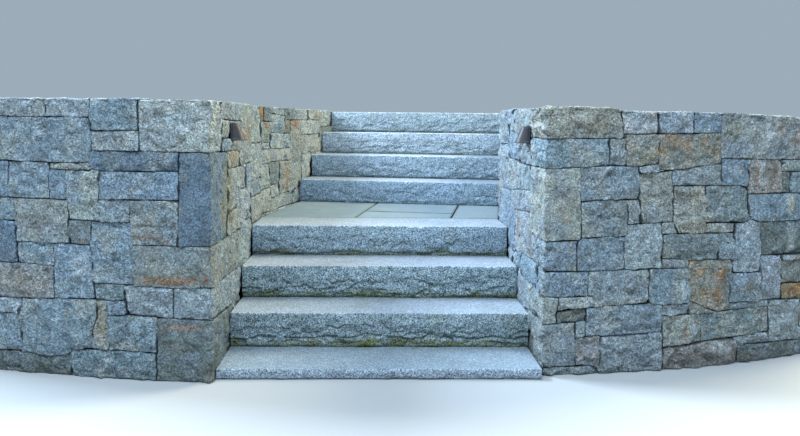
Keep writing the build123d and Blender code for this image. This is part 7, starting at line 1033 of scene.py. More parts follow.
RIGHT_STONES = [
    ("brownmottle", [231, 1500, 0, 1284, -203, 1473, -211, 1471, -223, 1471, -237, 1476, -277, 1501, -299, 1508, -315, 1508, -351, 1500, -369, 1500, -371, 1498, -373, 1453, -372, 1275, -386, 1211, -387, 1193, -391, 1167, -390, 1155, -385, 1148, -375, 1145, -321, 1140, -299, 1142, -285, 1140, -191, 1141, -105, 1139, -93, 1138, -3, 1137, 9, 1135, 157, 1135, 231, 1138, 289, 1136, 335, 1136, 346, 1133, 349, 1132, 353, 1139, 359, 1205, 364, 1233, 369, 1273, 367, 1331, 368, 1405, 368, 1517, 368, 1521, 363, 1524, 353, 1528, 337, 1527, 326, 1523, 293, 1504, 267, 1496, 251, 1496], 0),
    ("bluegrey", [160, 991, 233, 993, 313, 991, 323, 990, 333, 995, 336, 1005, 339, 1027, 347, 1121, 345, 1127, 335, 1132, 291, 1133, 225, 1131, 155, 1133, 47, 1132, 7, 1133, -5, 1135, -93, 1135, -117, 1137, -213, 1135, -287, 1136, -303, 1138, -311, 1138, -314, 1135, -311, 1105, -313, 1093, -313, 1057, -312, 1047, -314, 1029, -312, 1015, -305, 1010, -241, 1007, -231, 1005, -203, 1005, -193, 1003, -125, 1002, -115, 1000, -85, 999, -77, 997, -11, 995, 1, 993, 113, 993, 153, 993]),
    ("buffbrown", [180, 645, 187, 643, 197, 647, 237, 647, 245, 646, 299, 648, 304, 651, 307, 663, 312, 703, 322, 811, 328, 859, 333, 937, 337, 981, 335, 989, 323, 986, 313, 988, 297, 988, 217, 987, 163, 989, 151, 991, -1, 990, -11, 992, -41, 992, -49, 994, -117, 996, -125, 998, -168, 999, -172, 973, -172, 943, -174, 933, -174, 903, -176, 895, -175, 863, -177, 855, -178, 795, -180, 783, -179, 735, -181, 727, -181, 689, -183, 665, -179, 655, -171, 651, -161, 655, -97, 654, -85, 652, -31, 650, -19, 648, 87, 648, 99, 646]),
    ("bluegrey", [162, 497, 165, 497, 169, 501, 173, 511, 175, 549, 185, 621, 186, 637, 183, 641, 177, 643, 97, 642, 85, 644, -21, 644, -31, 646, -87, 644, -99, 646, -159, 648, -165, 645, -162, 629, -164, 617, -165, 533, -168, 513, -167, 503, -165, 502, -21, 503, 7, 506, 81, 506, 93, 508, 145, 509, 151, 507]),
    ("bluegrey", [-119, 383, -113, 381, -85, 381, -71, 383, -3, 384, 7, 382, 135, 382, 143, 387, 152, 395, 152, 423, 158, 471, 159, 493, 149, 503, 145, 505, 11, 502, -19, 498, -155, 498, -171, 496, -183, 498, -221, 498, -224, 495, -224, 487, -220, 459, -220, 423, -215, 388, -211, 387, -179, 387, -169, 385]),
    ("buffgrey", [313, 247, 321, 247, 325, 251, 340, 303, 361, 369, 362, 375, 357, 379, 347, 382, 317, 382, 305, 384, 215, 383, 157, 389, 135, 378, 45, 376, 7, 377, -5, 380, -51, 380, -71, 380, -74, 377, -72, 367, -71, 315, -68, 307, -66, 285, -66, 259, -65, 255, -63, 254, 49, 255, 65, 253, 117, 252, 125, 251, 201, 250, 219, 248, 303, 249]),
    ("buffgrey", [321, 1, 381, 1, 384, 5, 387, 17, 385, 67, 383, 71, 333, 73, 329, 76, 327, 95, 326, 219, 327, 229, 323, 241, 303, 244, 215, 245, 205, 246, 147, 245, 123, 246, 113, 248, 61, 247, 51, 249, -69, 251, -79, 253, -117, 252, -127, 253, -155, 254, -161, 252, -163, 183, -165, 171, -169, 105, -167, 71, -169, 51, -167, 44, -79, 41, -3, 43, 8, 37, 30, 15, 37, 6, 43, 4, 101, 2]),
    ("lightbuff", [-95, 315, -79, 313, -77, 315, -76, 367, -78, 373, -81, 378, -115, 378, -125, 380, -173, 378, -219, 382, -227, 379, -241, 379, -244, 375, -248, 351, -244, 333, -241, 330, -135, 321]),
    ("browngrey", [-76, 255, -71, 255, -69, 261, -70, 283, -73, 303, -75, 307, -195, 322, -211, 321, -214, 285, -214, 269, -212, 265, -197, 262, -183, 262, -161, 259, -127, 259, -115, 257]),
    ("light", [-187, 181, -171, 180, -169, 183, -169, 211, -166, 223, -166, 253, -169, 256, -183, 259, -211, 261, -214, 259, -215, 255, -216, 187, -215, 185, -207, 183]),
    ("pink", [-276, 35, -271, 33, -259, 42, -251, 44, -176, 45, -168, 117, -170, 167, -172, 173, -177, 175, -207, 178, -235, 183, -277, 185, -287, 185, -291, 182, -293, 175, -292, 115, -290, 99, -292, 53]),
    ("bluegrey", [-284, 3, -277, 1, -197, 3, -109, 1, 19, 4, 25, 5, 25, 7, 3, 30, -7, 37, -73, 39, -175, 37, -187, 39, -251, 41, -257, 39, -273, 27, -283, 10]),
    ("light", [-624, 3, -601, 2, -291, 3, -278, 29, -280, 33, -294, 47, -296, 51, -297, 77, -294, 101, -296, 113, -296, 153, -297, 179, -339, 180, -351, 183, -475, 184, -487, 186, -541, 186, -551, 188, -617, 190, -620, 185, -624, 171, -623, 103, -624, 79, -626, 69, -626, 39, -626, 9]),
    ("bluegrey", [-380, 185, -297, 184, -285, 188, -261, 185, -223, 185, -221, 191, -220, 221, -218, 231, -218, 287, -216, 299, -216, 319, -217, 323, -233, 326, -301, 329, -311, 331, -347, 331, -357, 332, -393, 333, -403, 335, -439, 335, -447, 336, -485, 335, -529, 337, -535, 338, -543, 343, -553, 337, -607, 333, -615, 329, -614, 293, -612, 279, -618, 261, -619, 201, -617, 194, -605, 191, -485, 190, -475, 188, -417, 188, -407, 186]),
    ("buffgrey", [-259, 331, -251, 331, -248, 333, -251, 351, -245, 379, -243, 381, -229, 382, -223, 387, -221, 390, -224, 421, -224, 457, -229, 493, -231, 497, -339, 501, -407, 509, -419, 506, -481, 504, -493, 506, -531, 507, -536, 505, -538, 483, -536, 463, -538, 449, -540, 371, -540, 351, -535, 345, -529, 343, -491, 344, -435, 338]),
    ("bluegrey", [-756, 331, -717, 331, -705, 333, -683, 334, -635, 333, -569, 338, -555, 341, -551, 343, -546, 349, -544, 355, -546, 453, -544, 465, -546, 481, -544, 497, -545, 505, -551, 509, -559, 510, -607, 510, -619, 508, -751, 509, -755, 508, -758, 503, -761, 491, -760, 381, -758, 369, -758, 335]),
    ("bluegrey", [-304, 503, -293, 501, -174, 503, -167, 627, -171, 641, -175, 646, -183, 650, -189, 658, -193, 659, -227, 659, -235, 661, -263, 661, -309, 667, -403, 669, -405, 665, -404, 657, -403, 635, -405, 625, -406, 581, -410, 537, -409, 516, -401, 512, -355, 505, -337, 503]),
    ("grey", [-227, 665, -193, 664, -189, 667, -187, 689, -186, 727, -184, 739, -183, 787, -182, 795, -184, 831, -197, 835, -219, 835, -227, 837, -315, 844, -361, 846, -393, 849, -415, 849, -417, 845, -419, 789, -424, 743, -423, 727, -409, 677, -403, 674, -381, 674, -373, 672, -345, 671, -337, 669, -307, 669, -299, 667, -271, 668, -263, 666, -233, 666]),
    ("bluegrey", [-195, 841, -187, 839, -183, 843, -178, 905, -176, 973, -174, 985, -175, 999, -203, 1003, -231, 1002, -241, 1004, -303, 1006, -315, 1010, -325, 1008, -345, 1011, -363, 1011, -387, 1015, -405, 1014, -465, 1018, -470, 1017, -472, 987, -475, 977, -473, 957, -475, 947, -473, 939, -474, 909, -472, 899, -474, 887, -471, 863, -467, 858, -429, 855, -415, 856, -391, 855, -359, 850, -279, 844]),
    ("buff", [-326, 1013, -319, 1013, -316, 1019, -318, 1029, -317, 1047, -320, 1075, -319, 1097, -317, 1109, -317, 1131, -320, 1135, -329, 1138, -377, 1143, -385, 1145, -393, 1150, -396, 1147, -399, 1127, -398, 1093, -400, 1083, -400, 1051, -402, 1041, -401, 1027, -395, 1021, -343, 1017]),
    ("yellowbuff", [-434, 1019, -411, 1018, -406, 1019, -405, 1021, -406, 1027, -406, 1043, -405, 1053, -404, 1085, -402, 1095, -402, 1127, -399, 1149, -394, 1157, -395, 1164, -401, 1169, -405, 1170, -439, 1170, -447, 1171, -479, 1172, -491, 1174, -523, 1174, -531, 1176, -567, 1175, -569, 1171, -570, 1137, -572, 1125, -572, 1069, -574, 1059, -575, 1043, -572, 1033, -547, 1028, -515, 1026, -479, 1020, -467, 1021, -457, 1019]),
    ("lightbuff", [-397, 1171, -394, 1171, -392, 1175, -390, 1213, -377, 1279, -377, 1497, -378, 1501, -381, 1503, -417, 1517, -427, 1520, -437, 1520, -457, 1511, -497, 1478, -521, 1464, -535, 1461, -561, 1465, -564, 1463, -567, 1385, -563, 1317, -566, 1235, -568, 1227, -567, 1187, -566, 1183, -561, 1181, -487, 1178, -479, 1176, -445, 1177, -437, 1175, -403, 1174]),
    ("lightblue", [-720, 1181, -659, 1179, -577, 1180, -574, 1183, -572, 1227, -570, 1247, -573, 1319, -570, 1385, -571, 1465, -574, 1469, -589, 1473, -613, 1473, -645, 1466, -669, 1467, -692, 1477, -733, 1508, -743, 1513, -755, 1515, -758, 1513, -759, 1510, -760, 1409, -760, 1287, -758, 1277, -757, 1235, -759, 1223, -758, 1187, -757, 1183, -755, 1182]),
    ("blue", [-919, 1183, -811, 1184, -797, 1183, -771, 1184, -766, 1187, -763, 1271, -765, 1285, -764, 1421, -765, 1507, -767, 1512, -777, 1510, -805, 1496, -831, 1489, -847, 1489, -889, 1496, -909, 1493, -924, 1485, -927, 1385, -926, 1261, -927, 1241, -929, 1229, -929, 1191, -927, 1184]),
    ("rustbrown", [-665, 1001, -653, 999, -641, 1000, -580, 1007, -574, 1027, -577, 1041, -577, 1061, -575, 1071, -576, 1127, -574, 1139, -574, 1169, -576, 1173, -583, 1175, -661, 1177, -759, 1175, -771, 1177, -803, 1178, -813, 1180, -857, 1182, -923, 1182, -927, 1179, -929, 1153, -929, 1115, -930, 1105, -930, 1067, -932, 1057, -929, 1032, -871, 1022, -771, 1014]),
    ("light", [-507, 987, -479, 987, -474, 1003, -474, 1011, -476, 1015, -565, 1028, -568, 1027, -571, 1024, -578, 1003, -594, 1001, -607, 997, -553, 990]),
    ("buff", [-514, 739, -493, 738, -490, 743, -488, 827, -486, 849, -484, 853, -477, 860, -476, 865, -478, 887, -476, 899, -480, 945, -479, 957, -481, 980, -485, 982, -505, 983, -513, 985, -563, 989, -607, 989, -615, 991, -633, 992, -643, 996, -649, 995, -652, 981, -654, 945, -660, 901, -661, 829, -664, 815, -666, 763, -668, 753, -666, 745, -661, 743, -631, 742, -599, 743, -563, 740]),
    ("light", [-932, 923, -907, 922, -663, 923, -661, 927, -655, 993, -657, 995, -669, 998, -749, 1006, -841, 1019, -927, 1028, -930, 1025, -932, 1013, -932, 959, -934, 949, -934, 931]),
    ("buffgrey", [-447, 733, -431, 732, -427, 735, -428, 757, -427, 765, -427, 783, -424, 825, -424, 845, -427, 848, -443, 851, -465, 851, -475, 854, -481, 849, -483, 827, -485, 741, -480, 737, -465, 736]),
    ("brownmottle", [-819, 681, -773, 680, -759, 683, -699, 684, -695, 687, -674, 727, -667, 761, -669, 819, -667, 879, -663, 911, -665, 916, -669, 918, -789, 918, -839, 917, -844, 915, -848, 859, -850, 825, -848, 815, -851, 767, -847, 741, -841, 723, -835, 685, -833, 682]),
    ("grey", [-1087, 733, -1079, 732, -1021, 737, -953, 734, -861, 735, -855, 737, -853, 743, -853, 773, -851, 787, -856, 851, -853, 895, -851, 905, -853, 915, -859, 917, -903, 918, -931, 918, -941, 915, -975, 916, -1013, 921, -1055, 921, -1087, 910, -1097, 891, -1102, 863, -1102, 837, -1104, 829, -1103, 801, -1105, 791, -1103, 779, -1111, 751, -1108, 747]),
    ("blue", [-1091, 917, -1083, 917, -1055, 923, -1035, 922, -999, 923, -941, 922, -939, 923, -936, 961, -935, 1013, -933, 1025, -933, 1047, -935, 1051, -949, 1055, -1095, 1054, -1096, 1049, -1096, 997, -1098, 989, -1097, 929, -1095, 921]),
    ("buffgrey", [-1588, 1055, -1545, 1055, -1535, 1064, -1529, 1066, -1465, 1067, -1453, 1065, -1397, 1065, -1385, 1063, -1325, 1063, -1311, 1057, -1299, 1062, -1285, 1060, -1107, 1060, -1085, 1059, -939, 1057, -937, 1058, -934, 1067, -934, 1105, -932, 1115, -931, 1153, -929, 1173, -931, 1187, -932, 1231, -930, 1241, -929, 1385, -932, 1479, -935, 1480, -961, 1469, -979, 1467, -989, 1470, -1003, 1477, -1037, 1505, -1052, 1513, -1063, 1517, -1075, 1519, -1115, 1509, -1133, 1507, -1149, 1510, -1183, 1519, -1199, 1520, -1210, 1517, -1221, 1511, -1263, 1477, -1277, 1468, -1289, 1464, -1309, 1463, -1321, 1466, -1351, 1478, -1371, 1483, -1389, 1482, -1415, 1476, -1433, 1476, -1443, 1478, -1463, 1488, -1485, 1503, -1501, 1511, -1511, 1514, -1517, 1513, -1565, 1463, -1615, 1416, -1649, 1381, -1652, 1375, -1652, 1283, -1654, 1229, -1651, 1227, -1617, 1226, -1612, 1223, -1611, 1187, -1613, 1179, -1613, 1143, -1615, 1135, -1618, 1067, -1616, 1063, -1611, 1057]),
    ("pink", [-1115, 881, -1107, 879, -1104, 881, -1102, 895, -1096, 909, -1103, 921, -1104, 927, -1103, 987, -1101, 999, -1100, 1021, -1101, 1049, -1103, 1054, -1111, 1056, -1299, 1057, -1311, 1051, -1318, 1033, -1321, 1011, -1319, 983, -1321, 973, -1322, 909, -1323, 899, -1321, 888, -1311, 885, -1253, 885, -1241, 883, -1183, 883, -1173, 881]),
    ("buffgrey", [-1379, 999, -1329, 998, -1323, 1001, -1321, 1033, -1316, 1051, -1318, 1055, -1323, 1058, -1455, 1060, -1465, 1061, -1529, 1064, -1535, 1061, -1542, 1053, -1542, 1011, -1531, 1001]),
    ("bluegrey", [-1570, 877, -1525, 878, -1509, 887, -1437, 886, -1390, 887, -1386, 905, -1385, 941, -1379, 993, -1385, 996, -1531, 995, -1535, 996, -1545, 1005, -1559, 1008, -1567, 1007, -1571, 1003, -1572, 999, -1576, 915, -1578, 899, -1583, 891, -1580, 885]),
    ("browngrey", [-1383, 887, -1335, 887, -1329, 889, -1326, 911, -1323, 973, -1321, 983, -1321, 993, -1323, 996, -1355, 997, -1373, 995, -1376, 981, -1377, 947, -1384, 895]),
    ("blue", [-1189, 733, -1124, 749, -1117, 754, -1110, 779, -1110, 795, -1105, 839, -1105, 869, -1111, 875, -1175, 876, -1187, 878, -1243, 877, -1255, 879, -1313, 879, -1325, 881, -1389, 883, -1509, 882, -1515, 879, -1521, 871, -1521, 823, -1524, 811, -1527, 757, -1526, 751, -1517, 742, -1441, 742, -1431, 740, -1361, 738, -1351, 736, -1279, 738, -1267, 735, -1195, 735]),
    ("buff", [-972, 681, -965, 680, -929, 680, -915, 682, -845, 684, -843, 685, -844, 695, -851, 727, -853, 729, -955, 730, -1017, 727, -1020, 725, -1021, 721, -1020, 689, -1018, 685]),
    ("grey", [-925, 549, -745, 548, -663, 559, -618, 563, -615, 565, -614, 569, -612, 641, -610, 651, -609, 675, -611, 677, -615, 678, -761, 681, -855, 677, -919, 677, -921, 675, -922, 657, -923, 601, -928, 557, -927, 551]),
    ("bluegrey", [-1020, 541, -1017, 539, -1005, 546, -955, 545, -937, 546, -933, 548, -931, 569, -931, 595, -924, 667, -925, 673, -927, 676, -979, 678, -1013, 677, -1019, 675, -1021, 671, -1022, 651, -1024, 643, -1024, 617, -1023, 549]),
    ("lightblue", [-1189, 475, -1097, 473, -1037, 475, -1029, 477, -1023, 483, -1021, 489, -1021, 529, -1028, 545, -1028, 643, -1026, 657, -1028, 695, -1030, 705, -1031, 721, -1033, 725, -1085, 729, -1103, 740, -1117, 746, -1155, 736, -1179, 732, -1185, 729, -1188, 717, -1192, 671, -1205, 581, -1205, 563, -1199, 553, -1196, 479, -1195, 476]),
    ("browngrey", [-1596, 557, -1573, 559, -1429, 558, -1339, 560, -1227, 558, -1211, 559, -1208, 563, -1207, 585, -1203, 637, -1192, 707, -1191, 729, -1195, 732, -1209, 733, -1269, 732, -1281, 734, -1351, 735, -1361, 737, -1431, 735, -1443, 737, -1513, 738, -1519, 740, -1527, 747, -1531, 748, -1573, 748, -1583, 750, -1590, 749, -1595, 743, -1598, 721, -1600, 621, -1606, 571, -1605, 565]),
    ("buffgrey", [-689, 683, -673, 682, -611, 684, -609, 687, -608, 705, -607, 733, -613, 737, -667, 741, -670, 737, -672, 725, -690, 689]),
    ("light", [-542, 511, -491, 513, -479, 511, -421, 510, -417, 510, -414, 513, -411, 573, -410, 581, -408, 655, -410, 671, -415, 683, -420, 705, -427, 727, -521, 736, -565, 736, -577, 738, -599, 737, -608, 641, -610, 517, -609, 515, -605, 514, -551, 514]),
    ("buff", [-762, 511, -759, 509, -753, 512, -617, 513, -615, 515, -615, 519, -615, 555, -621, 557, -661, 556, -761, 546, -764, 541]),
    ("rustbrown", [-950, 281, -933, 281, -923, 283, -853, 306, -763, 347, -762, 367, -764, 379, -764, 427, -763, 493, -761, 503, -765, 511, -765, 533, -769, 545, -921, 543, -933, 542, -999, 542, -1007, 541, -1014, 533, -1015, 527, -1015, 485, -1009, 473, -1008, 457, -1009, 363, -1006, 351, -1003, 289, -999, 285]),
    ("bluegrey", [-1199, 319, -1165, 318, -1013, 319, -1011, 323, -1010, 349, -1011, 361, -1011, 425, -1012, 455, -1017, 474, -1021, 475, -1033, 469, -1095, 470, -1192, 469, -1194, 465, -1196, 445, -1197, 405, -1199, 395, -1199, 353, -1201, 341]),
    ("lightblue", [-1343, 321, -1211, 320, -1205, 323, -1202, 355, -1201, 445, -1199, 459, -1202, 507, -1202, 551, -1204, 555, -1333, 553, -1338, 551, -1339, 529, -1343, 515, -1343, 467, -1347, 411, -1344, 397, -1347, 355, -1346, 325]),
    ("buffgrey", [-1601, 515, -1553, 514, -1541, 524, -1535, 525, -1349, 526, -1346, 527, -1345, 531, -1345, 551, -1349, 554, -1585, 554, -1595, 553, -1607, 561, -1611, 561, -1617, 555, -1619, 539, -1618, 523, -1613, 516]),
    ("greenbuff", [-1549, 401, -1517, 400, -1503, 402, -1356, 405, -1353, 409, -1351, 431, -1351, 461, -1349, 473, -1350, 519, -1355, 521, -1433, 522, -1539, 521, -1551, 511, -1552, 507, -1554, 427, -1556, 413, -1555, 407]),
    ("rust", [-1495, 297, -1491, 297, -1467, 316, -1353, 319, -1350, 323, -1349, 359, -1347, 369, -1348, 393, -1350, 399, -1353, 400, -1401, 400, -1425, 400, -1437, 397, -1543, 396, -1549, 397, -1561, 404, -1589, 404, -1594, 403, -1596, 399, -1597, 341, -1599, 331, -1599, 311, -1597, 306, -1589, 303, -1577, 305, -1529, 305, -1509, 307, -1504, 305]),
    ("light", [-625, 273, -621, 271, -619, 272, -616, 279, -618, 293, -618, 321, -622, 329, -661, 327, -703, 327, -711, 325, -755, 326, -759, 325, -762, 297, -761, 279, -759, 275, -669, 276, -631, 274]),
    ("buff", [-841, 273, -768, 275, -766, 279, -765, 301, -761, 333, -762, 341, -767, 342, -777, 338, -851, 304, -916, 279, -916, 277, -909, 276, -849, 275]),
    ("light", [-1263, 283, -1259, 283, -1253, 286, -1145, 286, -1131, 284, -1083, 285, -1071, 283, -1013, 282, -1009, 285, -1009, 307, -1011, 311, -1017, 313, -1197, 314, -1209, 316, -1261, 316, -1265, 314, -1266, 311]),
    ("buffbrown", [-635, 115, -631, 115, -629, 119, -628, 173, -621, 193, -622, 261, -623, 265, -627, 269, -831, 271, -838, 269, -842, 251, -845, 195, -844, 161, -846, 139, -844, 131, -775, 124, -733, 122, -677, 117]),
    ("grey", [-855, 131, -851, 132, -850, 135, -847, 195, -842, 233, -841, 267, -845, 273, -923, 272, -933, 276, -951, 276, -987, 280, -1001, 279, -1013, 276, -1023, 278, -1073, 278, -1085, 280, -1133, 280, -1145, 282, -1251, 283, -1255, 282, -1263, 275, -1267, 189, -1271, 159, -1269, 153, -1261, 151, -1239, 150, -1231, 148, -1209, 147, -1199, 144, -1137, 141, -1051, 138, -1043, 135, -1033, 138, -925, 134, -915, 132]),
    ("light", [-1487, 87, -1483, 86, -1465, 88, -1455, 87, -1407, 91, -1349, 89, -1339, 91, -1287, 91, -1282, 93, -1280, 97, -1277, 135, -1278, 163, -1274, 211, -1269, 235, -1268, 255, -1266, 265, -1268, 301, -1271, 315, -1339, 316, -1351, 314, -1463, 311, -1467, 310, -1488, 291, -1491, 287, -1493, 275, -1493, 265, -1488, 251, -1488, 215, -1490, 203, -1490, 163, -1493, 153, -1493, 113, -1495, 101, -1493, 93]),
    ("light", [-1276, 93, -1271, 92, -1225, 92, -1213, 94, -1147, 94, -1137, 96, -1085, 95, -1065, 97, -1059, 96, -1055, 100, -1047, 129, -1053, 133, -1139, 139, -1147, 141, -1209, 145, -1267, 145, -1271, 141, -1276, 107]),
    ("pink", [-1026, 3, -969, 1, -633, 3, -631, 4, -630, 9, -630, 103, -631, 106, -639, 108, -727, 116, -809, 124, -853, 126, -863, 127, -917, 128, -925, 130, -979, 129, -991, 130, -1035, 130, -1040, 125, -1050, 99, -1056, 89, -1062, 63, -1061, 23, -1063, 9, -1062, 5, -1059, 4]),
    ("browngrey", [-1461, 3, -1445, 1, -1345, 3, -1261, 1, -1072, 3, -1069, 7, -1066, 27, -1065, 63, -1062, 75, -1060, 89, -1065, 93, -1135, 92, -1149, 90, -1213, 90, -1223, 89, -1335, 89, -1349, 87, -1407, 85, -1415, 83, -1448, 83, -1451, 81, -1453, 69, -1462, 7]),
    ("bluegrey", [-1709, 1, -1577, 1, -1513, 3, -1469, 2, -1466, 5, -1464, 13, -1457, 79, -1459, 82, -1465, 84, -1487, 83, -1495, 90, -1499, 91, -1581, 88, -1645, 92, -1651, 87, -1653, 75, -1655, 73, -1707, 72, -1711, 70, -1715, 7, -1714, 3]),
    ("light", [1249, 1075, 1299, 1075, 1313, 1074, 1319, 1075, 1320, 1077, 1321, 1223, 1325, 1226, 1361, 1227, 1363, 1231, 1365, 1327, 1363, 1475, 1361, 1477, 1345, 1472, 1323, 1473, 1281, 1484, 1261, 1485, 1217, 1475, 1203, 1476, 1193, 1479, 1179, 1486, 1149, 1512, 1133, 1523, 1121, 1528, 1109, 1530, 1089, 1526, 1049, 1508, 1029, 1504, 1027, 1501, 1026, 1495, 1025, 1265, 1018, 1199, 1014, 1145, 1008, 1103, 1009, 1095, 1016, 1087, 1021, 1085, 1045, 1085, 1053, 1083, 1089, 1083, 1097, 1082, 1183, 1081, 1195, 1078, 1241, 1077]),
    ("lightblue", [858, 1159, 881, 1159, 889, 1160, 909, 1161, 919, 1160, 945, 1162, 1005, 1162, 1009, 1163, 1011, 1166, 1023, 1267, 1022, 1495, 1021, 1503, 1020, 1505, 997, 1508, 971, 1507, 957, 1502, 917, 1475, 895, 1465, 875, 1465, 855, 1474, 853, 1475, 851, 1473, 852, 1315, 851, 1269, 847, 1241, 842, 1165, 842, 1161, 845, 1160]),
    ("rustlight", [359, 1131, 491, 1132, 501, 1134, 557, 1135, 569, 1137, 625, 1136, 633, 1137, 675, 1138, 679, 1138, 689, 1133, 693, 1134, 701, 1144, 705, 1147, 755, 1151, 835, 1161, 837, 1165, 840, 1199, 848, 1269, 846, 1337, 848, 1477, 833, 1487, 817, 1495, 799, 1500, 781, 1498, 749, 1490, 733, 1490, 705, 1498, 681, 1507, 667, 1509, 655, 1506, 640, 1499, 607, 1473, 595, 1466, 583, 1460, 567, 1458, 543, 1465, 521, 1473, 497, 1479, 463, 1475, 439, 1476, 429, 1479, 409, 1490, 383, 1511, 375, 1516, 373, 1515, 372, 1411, 374, 1315, 372, 1273, 368, 1243, 366, 1191]),
    ("blue", [682, 1001, 787, 1003, 899, 1001, 983, 1002, 987, 1015, 989, 1031, 993, 1079, 996, 1091, 1004, 1099, 1006, 1111, 1010, 1147, 1009, 1157, 1003, 1158, 929, 1158, 919, 1157, 911, 1159, 891, 1159, 881, 1157, 833, 1156, 809, 1152, 797, 1152, 745, 1146, 723, 1142, 707, 1141, 693, 1127, 690, 1113, 680, 1011]),
    ("light", [396, 991, 553, 990, 663, 992, 675, 1003, 684, 1081, 687, 1126, 684, 1129, 675, 1134, 639, 1135, 625, 1133, 569, 1131, 561, 1130, 505, 1130, 493, 1128, 373, 1125, 355, 1122, 351, 1113, 340, 1017, 339, 999, 343, 995, 353, 991]),
    ("light", [1289, 791, 1293, 793, 1296, 807, 1301, 818, 1321, 838, 1351, 864, 1352, 867, 1343, 885, 1336, 907, 1337, 943, 1341, 977, 1342, 1027, 1339, 1033, 1321, 1053, 1319, 1069, 1297, 1073, 1251, 1073, 1241, 1075, 1191, 1073, 1183, 1075, 1141, 1075, 1129, 1078, 1097, 1078, 1087, 1080, 1019, 1083, 1015, 1084, 1007, 1091, 1005, 1092, 1001, 1091, 996, 1077, 987, 1009, 985, 953, 975, 887, 970, 831, 969, 813, 971, 810, 979, 808, 1037, 808, 1047, 807, 1089, 806, 1107, 803, 1149, 803, 1159, 801, 1205, 801, 1217, 799, 1261, 798, 1275, 796]),
    ("rustlight", [951, 809, 957, 808, 961, 809, 965, 821, 974, 897, 977, 947, 984, 993, 982, 997, 897, 998, 783, 995, 701, 997, 685, 993, 685, 975, 673, 891, 670, 851, 671, 843, 672, 841, 733, 832, 797, 825, 811, 825, 823, 821, 849, 817, 869, 817, 889, 813, 909, 813]),
    ("light", [655, 841, 663, 840, 666, 843, 671, 879, 680, 977, 680, 989, 677, 994, 665, 987, 659, 986, 347, 985, 345, 983, 341, 943, 332, 873, 332, 865, 335, 862, 385, 858, 419, 858, 475, 852, 505, 851, 535, 848, 593, 846, 623, 842]),
    ("blue", [787, 461, 955, 478, 958, 481, 959, 495, 963, 499, 1139, 538, 1272, 541, 1275, 545, 1280, 561, 1283, 583, 1283, 633, 1286, 663, 1285, 693, 1287, 701, 1288, 733, 1293, 779, 1292, 787, 1276, 795, 1259, 798, 1215, 797, 1205, 799, 1159, 799, 1147, 801, 1049, 801, 1035, 804, 975, 804, 967, 805, 957, 802, 907, 807, 887, 808, 867, 812, 847, 812, 837, 813, 823, 812, 819, 797, 816, 775, 812, 723, 804, 657, 799, 587, 792, 541, 790, 507, 785, 487, 771, 471, 777, 465]),
    ("light", [802, 715, 805, 717, 807, 725, 817, 813, 815, 817, 809, 820, 795, 820, 745, 829, 713, 831, 677, 836, 621, 838, 591, 842, 533, 845, 505, 849, 475, 849, 417, 854, 385, 855, 353, 859, 335, 859, 332, 857, 330, 853, 321, 753, 325, 748, 375, 746, 383, 744, 459, 739, 467, 738, 487, 737, 495, 736, 599, 731, 691, 721, 767, 718]),
    ("rustlight", [585, 469, 589, 469, 607, 486, 613, 488, 653, 489, 669, 488, 673, 486, 683, 478, 689, 476, 763, 476, 771, 480, 778, 487, 783, 499, 788, 531, 793, 601, 804, 687, 805, 705, 802, 709, 793, 711, 773, 712, 709, 719, 577, 725, 569, 727, 549, 728, 541, 730, 493, 733, 485, 734, 409, 738, 401, 740, 381, 740, 321, 746, 317, 733, 312, 659, 310, 649, 305, 642, 301, 640, 245, 643, 233, 645, 199, 646, 193, 645, 189, 640, 187, 633, 182, 555, 179, 527, 179, 519, 181, 517, 219, 516, 229, 514, 269, 514, 279, 512, 313, 512, 323, 510, 359, 509, 369, 507, 405, 506, 415, 504, 453, 505, 463, 504, 499, 505, 509, 503, 547, 501, 561, 495]),
    ("blue", [365, 381, 371, 380, 417, 388, 439, 387, 447, 386, 521, 380, 537, 381, 541, 387, 564, 405, 581, 423, 584, 435, 584, 467, 561, 492, 547, 498, 507, 497, 497, 498, 463, 499, 453, 502, 415, 504, 405, 506, 323, 506, 313, 508, 275, 508, 267, 510, 181, 511, 162, 485, 157, 419, 157, 401, 159, 396, 187, 394, 209, 394, 317, 385, 349, 386]),
    ("light", [537, 185, 619, 185, 621, 189, 623, 213, 629, 216, 645, 215, 650, 219, 654, 233, 664, 343, 668, 363, 668, 385, 666, 389, 661, 392, 609, 391, 587, 413, 583, 415, 547, 383, 543, 375, 541, 374, 435, 384, 413, 384, 369, 375, 328, 245, 329, 239, 333, 231, 387, 231, 397, 229, 447, 230, 481, 226, 519, 187]),
    ("bluegrey", [-1894, 1, -1719, 2, -1717, 7, -1719, 43, -1715, 74, -1709, 76, -1659, 76, -1657, 77, -1655, 87, -1651, 92, -1647, 95, -1639, 96, -1637, 99, -1633, 149, -1632, 227, -1634, 243, -1639, 245, -1651, 245, -1663, 243, -1739, 243, -1749, 245, -1843, 246, -1853, 248, -1895, 249, -1907, 251, -1977, 249, -1979, 245, -1980, 217, -1982, 201, -1983, 55, -1981, 5, -1975, 3]),
    ("bluegrey", [-1746, 247, -1737, 245, -1665, 245, -1653, 247, -1549, 248, -1539, 250, -1513, 250, -1499, 264, -1497, 289, -1505, 298, -1511, 301, -1527, 299, -1577, 299, -1587, 298, -1595, 298, -1601, 303, -1604, 309, -1604, 333, -1602, 343, -1602, 375, -1600, 385, -1600, 399, -1601, 402, -1605, 402, -1615, 397, -1713, 390, -1739, 392, -1851, 395, -1855, 393, -1855, 389, -1856, 293, -1858, 281, -1857, 253, -1843, 250]),
    ("blue", [-1731, 395, -1617, 400, -1610, 403, -1612, 507, -1613, 511, -1621, 521, -1622, 547, -1639, 548, -1653, 546, -1697, 545, -1735, 546, -1749, 548, -1849, 548, -1861, 550, -1986, 549, -1986, 539, -1978, 503, -1974, 469, -1973, 405, -1927, 405, -1917, 403, -1839, 401, -1829, 398, -1795, 398, -1785, 396]),
